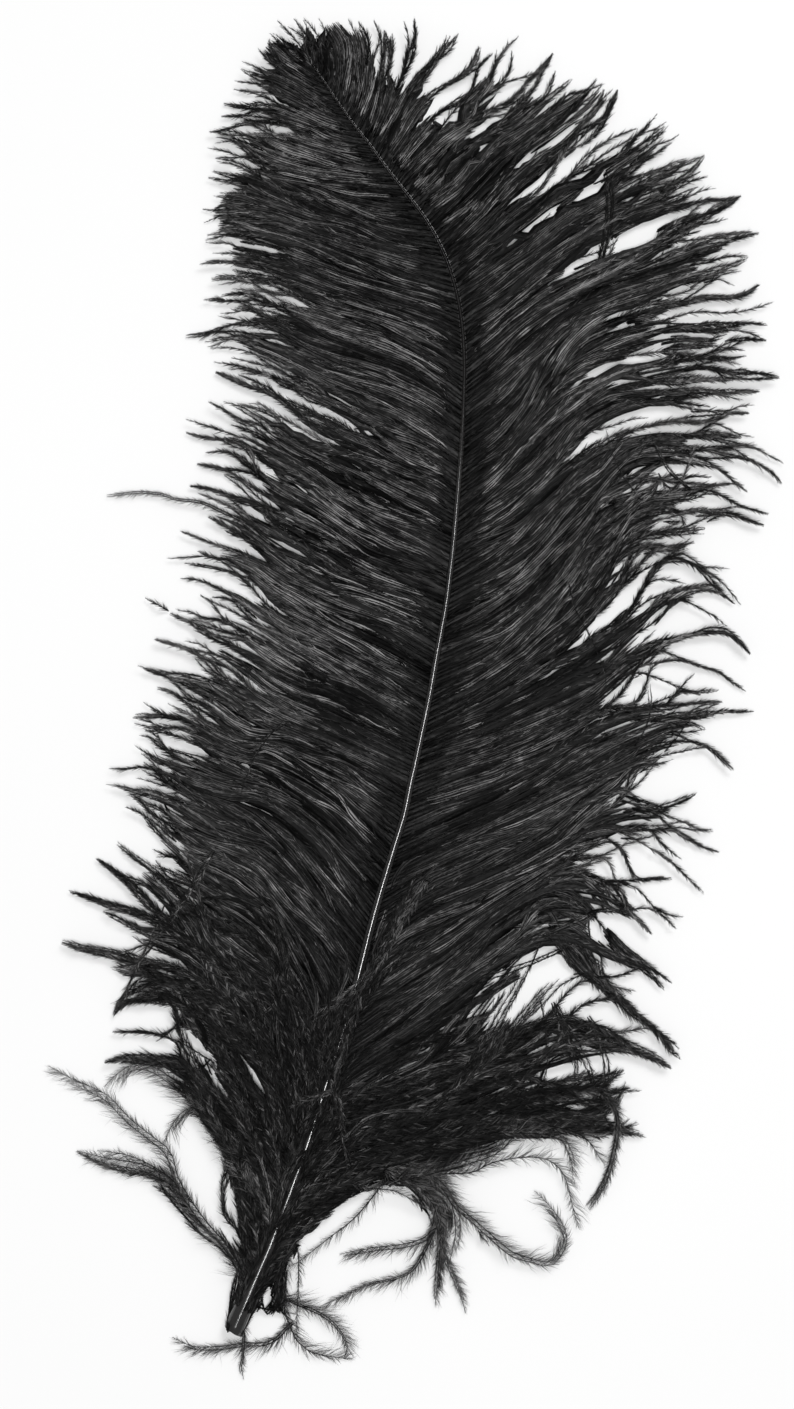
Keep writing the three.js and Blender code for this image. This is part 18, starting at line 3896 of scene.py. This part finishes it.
def cross_piece(name, rows, finish, slot, seed, level=0.39):
    """Locks that lie across everything below them."""
    rng = np.random.default_rng(seed)
    mesh = Mesh()
    for count, wide, barbule, height, light, *pts in rows:
        p = lock(pts, count, wide, height, rng)
        s = np.linspace(0, 1, p.shape[1])[None, :]
        ride = height_at(GRID, p[..., :2]) + 0.3 + 1.1 * np.sin(np.pi * s) ** 0.5 + rng.uniform(0.0, 0.5, (len(p), 1))
        inside = in_body(p[..., :2].reshape(-1, 2)).reshape(ride.shape)
        p[..., 2] = np.where(inside, ride, np.minimum(p[..., 2], ride))
        tn = level + light + 0.10 * rng.standard_normal((len(p), 1)) + 0.05 * rng.standard_normal(p.shape[:2])
        # the barb line darker, its barbules painted lighter: painted sheen where the barbules catch the light
        tubes(mesh, p, radius_of(p, 0.24, 0.07), tn - 0.30)
        blades(mesh, p, tn + 0.08, rng, 0.48, barbule * 1.6, 0.32, 22, 34, taper=0.2, bunch=1.6)
    return mesh.build(name, finish, slot, [])


for name, group, finish, slot, seed in (
    ("right_down_crossing", "right_down", DOWN, "down", 31),
    ("left_down_crossing", "left_down", DOWN, "down", 32),
    ("right_web_crossing", "right_vane", VANE, "vane", 33),
    ("left_web_crossing", "left_vane", VANE, "vane", 34),
):
    # loose barbs on the left vane catch the light; the one thick lock near the tip of the right vane is dark
    light = {"left_vane": 0.14, "left_down": -0.04, "right_down": 0.0, "right_vane": 0.0}[group]
    rows = [row for row in CROSSING if row[0] == group]
    cross_piece(name, [(*row[1:5], -0.22 if group == "right_vane" and row[1] == 4 else light, *row[5:]) for row in rows], finish, slot, seed)
cross_piece("over_quill", OVER_QUILL, DOWN, "down", 35)

SURFACE_AT = np.array([np.array(q).reshape(-1, 2).mean(0) for q in SURFACE])
SHAFT_X = np.interp(-SURFACE_AT[:, 1], -SHAFT[:, 2], SHAFT[:, 1])
for name, low, high, right, seed in (
    ("surface_right_upper", 60, 400, True, 51),
    ("surface_right_lower", -128, 60, True, 52),
    ("surface_left_upper", 60, 400, False, 53),
    ("surface_left_lower", -128, 60, False, 54),
):
    pick = (SURFACE_AT[:, 1] >= low) & (SURFACE_AT[:, 1] < high) & ((SURFACE_AT[:, 0] > SHAFT_X) == right)
    # the left side gets painted sheen near the middle of the web
    surface_piece(name, [SURFACE[i] for i in np.flatnonzero(pick)], VANE, "vane", seed, 2.3, 15, 1.7, level=(0.51 if high > 100 else 0.49) if right else (0.50 if high > 100 else 0.515), vary=0.14 if right else 0.16, sheen=0.0 if right else 0.12)
quill_cover()
surface_piece("surface_down", [SURFACE[i] for i in np.flatnonzero(SURFACE_AT[:, 1] < -128)], DOWN, "down", 55, 3.6, 17, 1.05, level=0.35, vary=0.21)

# ---------------------------------------------------------------- single strands

strand_mesh = {}
for k, (node, barbule, count, wide, z0, z1, *pts) in enumerate(STRANDS):
    rng = np.random.default_rng(100 + k)
    mesh = strand_mesh.setdefault(node, Mesh())
    p = lock(pts, count, wide, 1.5, rng, m=30, z0=z0, z1=z1, drift=0.5)
    tn = 0.50 + 0.08 * rng.standard_normal((len(p), 1)) * np.ones((1, p.shape[1]))
    # the barb line darker, its barbules painted lighter: painted sheen where the barbules catch the light
    tubes(mesh, p, radius_of(p, 0.27, 0.08), tn - 0.32)
    blades(mesh, p, tn + 0.16, rng, 0.44, barbule * 2.2, 0.20, 36, 30, taper=0.2, bend=True, bunch=1.2, stick=0.6, skew=-0.3)
for node, mesh in strand_mesh.items():
    mesh.build("strand_" + node, DOWN, "down", ["stray_barb_" + node])

# ---------------------------------------------------------------- shaft


def shaft_piece():
    """Quill and rachis: a domed keel section that narrows to the tip, with a ridge, a groove on each side and a hollow slanted cut."""
    total = SHAFT[-1, 0]
    u = np.r_[np.linspace(0, 30, 14)[:-1], np.linspace(30, total, 200)]
    c = shaft_at(u)
    sm = curve(np.stack([SHAFT[:, 1], SHAFT[:, 2]], axis=1), 46 * 8)
    d = np.r_[0, np.cumsum(np.linalg.norm(np.diff(sm, axis=0), axis=1))]
    d *= total / d[-1]
    c[:, 0], c[:, 1] = np.interp(u, d, sm[:, 0]), np.interp(u, d, sm[:, 1])
    t = unit(np.gradient(c[:, :3], axis=0))
    side = unit(np.cross(t, (0, 0, 1.0)))
    up = np.cross(side, t)
    keel = [(0, 0.90), (0.12, 0.90), (0.20, 0.88), (0.36, 0.76), (0.52, 0.62), (0.68, 0.60), (0.84, 0.47), (0.95, 0.22), (1.0, -0.08), (0.95, -0.42), (0.80, -0.70), (0.55, -0.88), (0.25, -0.96), (0, -0.98)]
    keel = np.array(keel + [(-x, z) for x, z in keel[-2:0:-1]])
    # toward the tip the back of the shaft is a sharp ridge, further down a narrow flat
    crest = keel.copy()
    crest[:, 1] = np.where(keel[:, 1] > 0.45, 0.98 - 1.05 * np.abs(keel[:, 0]), keel[:, 1])
    sides = len(keel)
    a = np.pi / 2 - np.arange(sides) * 2 * np.pi / sides
    barrel = np.stack([np.cos(a), 0.97 * np.sin(a)], axis=1)
    back = np.array([(0, 0.985), (0.10, 0.985), (0.20, 0.965), (0.42, 0.89)])
    ridge = barrel.copy()
    ridge[:4], ridge[-3:] = back, back[:0:-1] * (-1, 1)
    quill = ramp(u, 425, 490)
    ring = []
    for i in range(len(u)):
        flat = ramp(u[i], 150, 225)
        p = (crest * (1 - flat) + keel * flat) * (1 - quill[i]) + ridge * quill[i]
        ring.append(c[i, :3] + c[i, 3] * (p[:, :1] * side[i] + p[:, 1:] * up[i]))
    ring = np.array(ring)
    # the cut slants: the last rings lean
    lean = ramp(u, 560, total)
    ring = ring - t[:, None, :] * ((keel[None, :, 0, None] * c[:, None, 3:4]) * 0.22 * lean[:, None, None])
    n = len(u)
    v = ring.reshape(-1, 3)
    k = np.arange(sides)
    k2 = (k + 1) % sides
    quad = np.concatenate([np.stack([i * sides + k, i * sides + k2, (i + 1) * sides + k2, (i + 1) * sides + k], axis=1) for i in range(n - 1)])
    mesh = Mesh()
    tone = np.repeat(0.25 + 0.1 * np.sin(u / 23.0), sides)
    rim = ring[-1]
    centre = rim.mean(0)
    bore = [centre + (rim - centre) * f - t[-1] * dd for f, dd in ((0.97, -0.15), (0.80, -0.1), (0.76, 0.6), (0.72, 6.0), (0.60, 22.0), (0.2, 25.5))]
    inner = np.concatenate([b for b in bore])
    base = n * sides
    allv = np.concatenate([v, inner, [centre - t[-1] * 26.0], [ring[0].mean(0) + t[0] * -0.4]])
    last = (n - 1) * sides
    extra = [np.stack([last + k, last + k2, base + k2, base + k], axis=1)]
    for j in range(len(bore) - 1):
        extra.append(np.stack([base + j * sides + k, base + j * sides + k2, base + (j + 1) * sides + k2, base + (j + 1) * sides + k], axis=1))
    quad = np.concatenate([quad] + extra)
    e = base + (len(bore) - 1) * sides
    bottom = base + len(bore) * sides
    tri = np.concatenate([np.stack([e + k, e + k2, np.full(sides, bottom)], axis=1), np.stack([k2, k, np.full(sides, bottom + 1)], axis=1)])
    tn = np.concatenate([tone, np.full(len(inner) + 2, 0.5)])
    mesh.add(allv, tn, tri=tri, quad=quad)
    return mesh.build("quill_and_rachis", HORN, "horn", ["shaft"])


shaft_piece()

# ---------------------------------------------------------------- stage, light, camera


def plain_floor():
    m, nt, bsdf = nodes_of("pale_floor")
    pos = nt.nodes.new("ShaderNodeTexCoord").outputs["Object"]
    n = noise(nt, pos, 3.0, 2.0)
    col = nt.nodes.new("ShaderNodeValToRGB")
    col.color_ramp.elements[0].color = (0.90, 0.90, 0.90, 1)
    col.color_ramp.elements[1].color = (0.93, 0.93, 0.93, 1)
    nt.links.new(n, col.inputs[0])
    nt.links.new(col.outputs[0], bsdf.inputs["Base Color"])
    bsdf.inputs["Roughness"].default_value = 0.8
    bsdf.inputs["Specular IOR Level"].default_value = 0.1
    me = bpy.data.meshes.new("floor")
    r = 12.0
    me.from_pydata([(-r, -r, 0), (r, -r, 0), (r, r, 0), (-r, r, 0)], [], [(0, 1, 2, 3)])
    me.materials.append(m)
    ob = bpy.data.objects.new("floor", me)
    bpy.context.scene.collection.objects.link(ob)


plain_floor()

world = bpy.data.worlds.new("pale_room")
world.use_nodes = True
bg = world.node_tree.nodes["Background"]
bg.inputs[0].default_value = (1, 1, 1, 1)
bg.inputs[1].default_value = 0.278
bpy.context.scene.world = world


def area(name, place, aim, size, power):
    from mathutils import Vector

    data = bpy.data.lights.new(name, "AREA")
    if isinstance(size, tuple):
        data.shape = "RECTANGLE"
        data.size, data.size_y = size
    else:
        data.shape = "DISK"
        data.size = size
    data.energy = power
    ob = bpy.data.objects.new(name, data)
    ob.location = place
    ob.rotation_mode = "QUATERNION"
    ob.rotation_quaternion = (Vector(aim) - Vector(place)).to_track_quat("-Z", "Y")
    bpy.context.scene.collection.objects.link(ob)
    return ob


area("key", (1.1, 2.0, 3.3), (0, 0, 0), 1.5, 53.0)
area("overhead", (-0.02, -0.34, 3.4), (-0.02, -0.34, 0), (0.24, 1.30), 65.6)

cam_data = bpy.data.cameras.new("camera")
cam_data.sensor_fit = "VERTICAL"
cam_data.sensor_height = 24.0
cam_data.lens = 24.0 * 1.8 / 0.62
cam_data.clip_start, cam_data.clip_end = 0.05, 50.0
cam = bpy.data.objects.new("camera", cam_data)
cam.location = (-0.00785, -0.00218, 1.8)
cam.rotation_euler = (0, 0, 0)
bpy.context.scene.collection.objects.link(cam)
bpy.context.scene.camera = cam
bpy.context.scene.view_settings.view_transform = "Standard"

# ---------------------------------------------------------------- the record of sizes

print("pieces", PIECES, sum(n for _, n in PIECES))
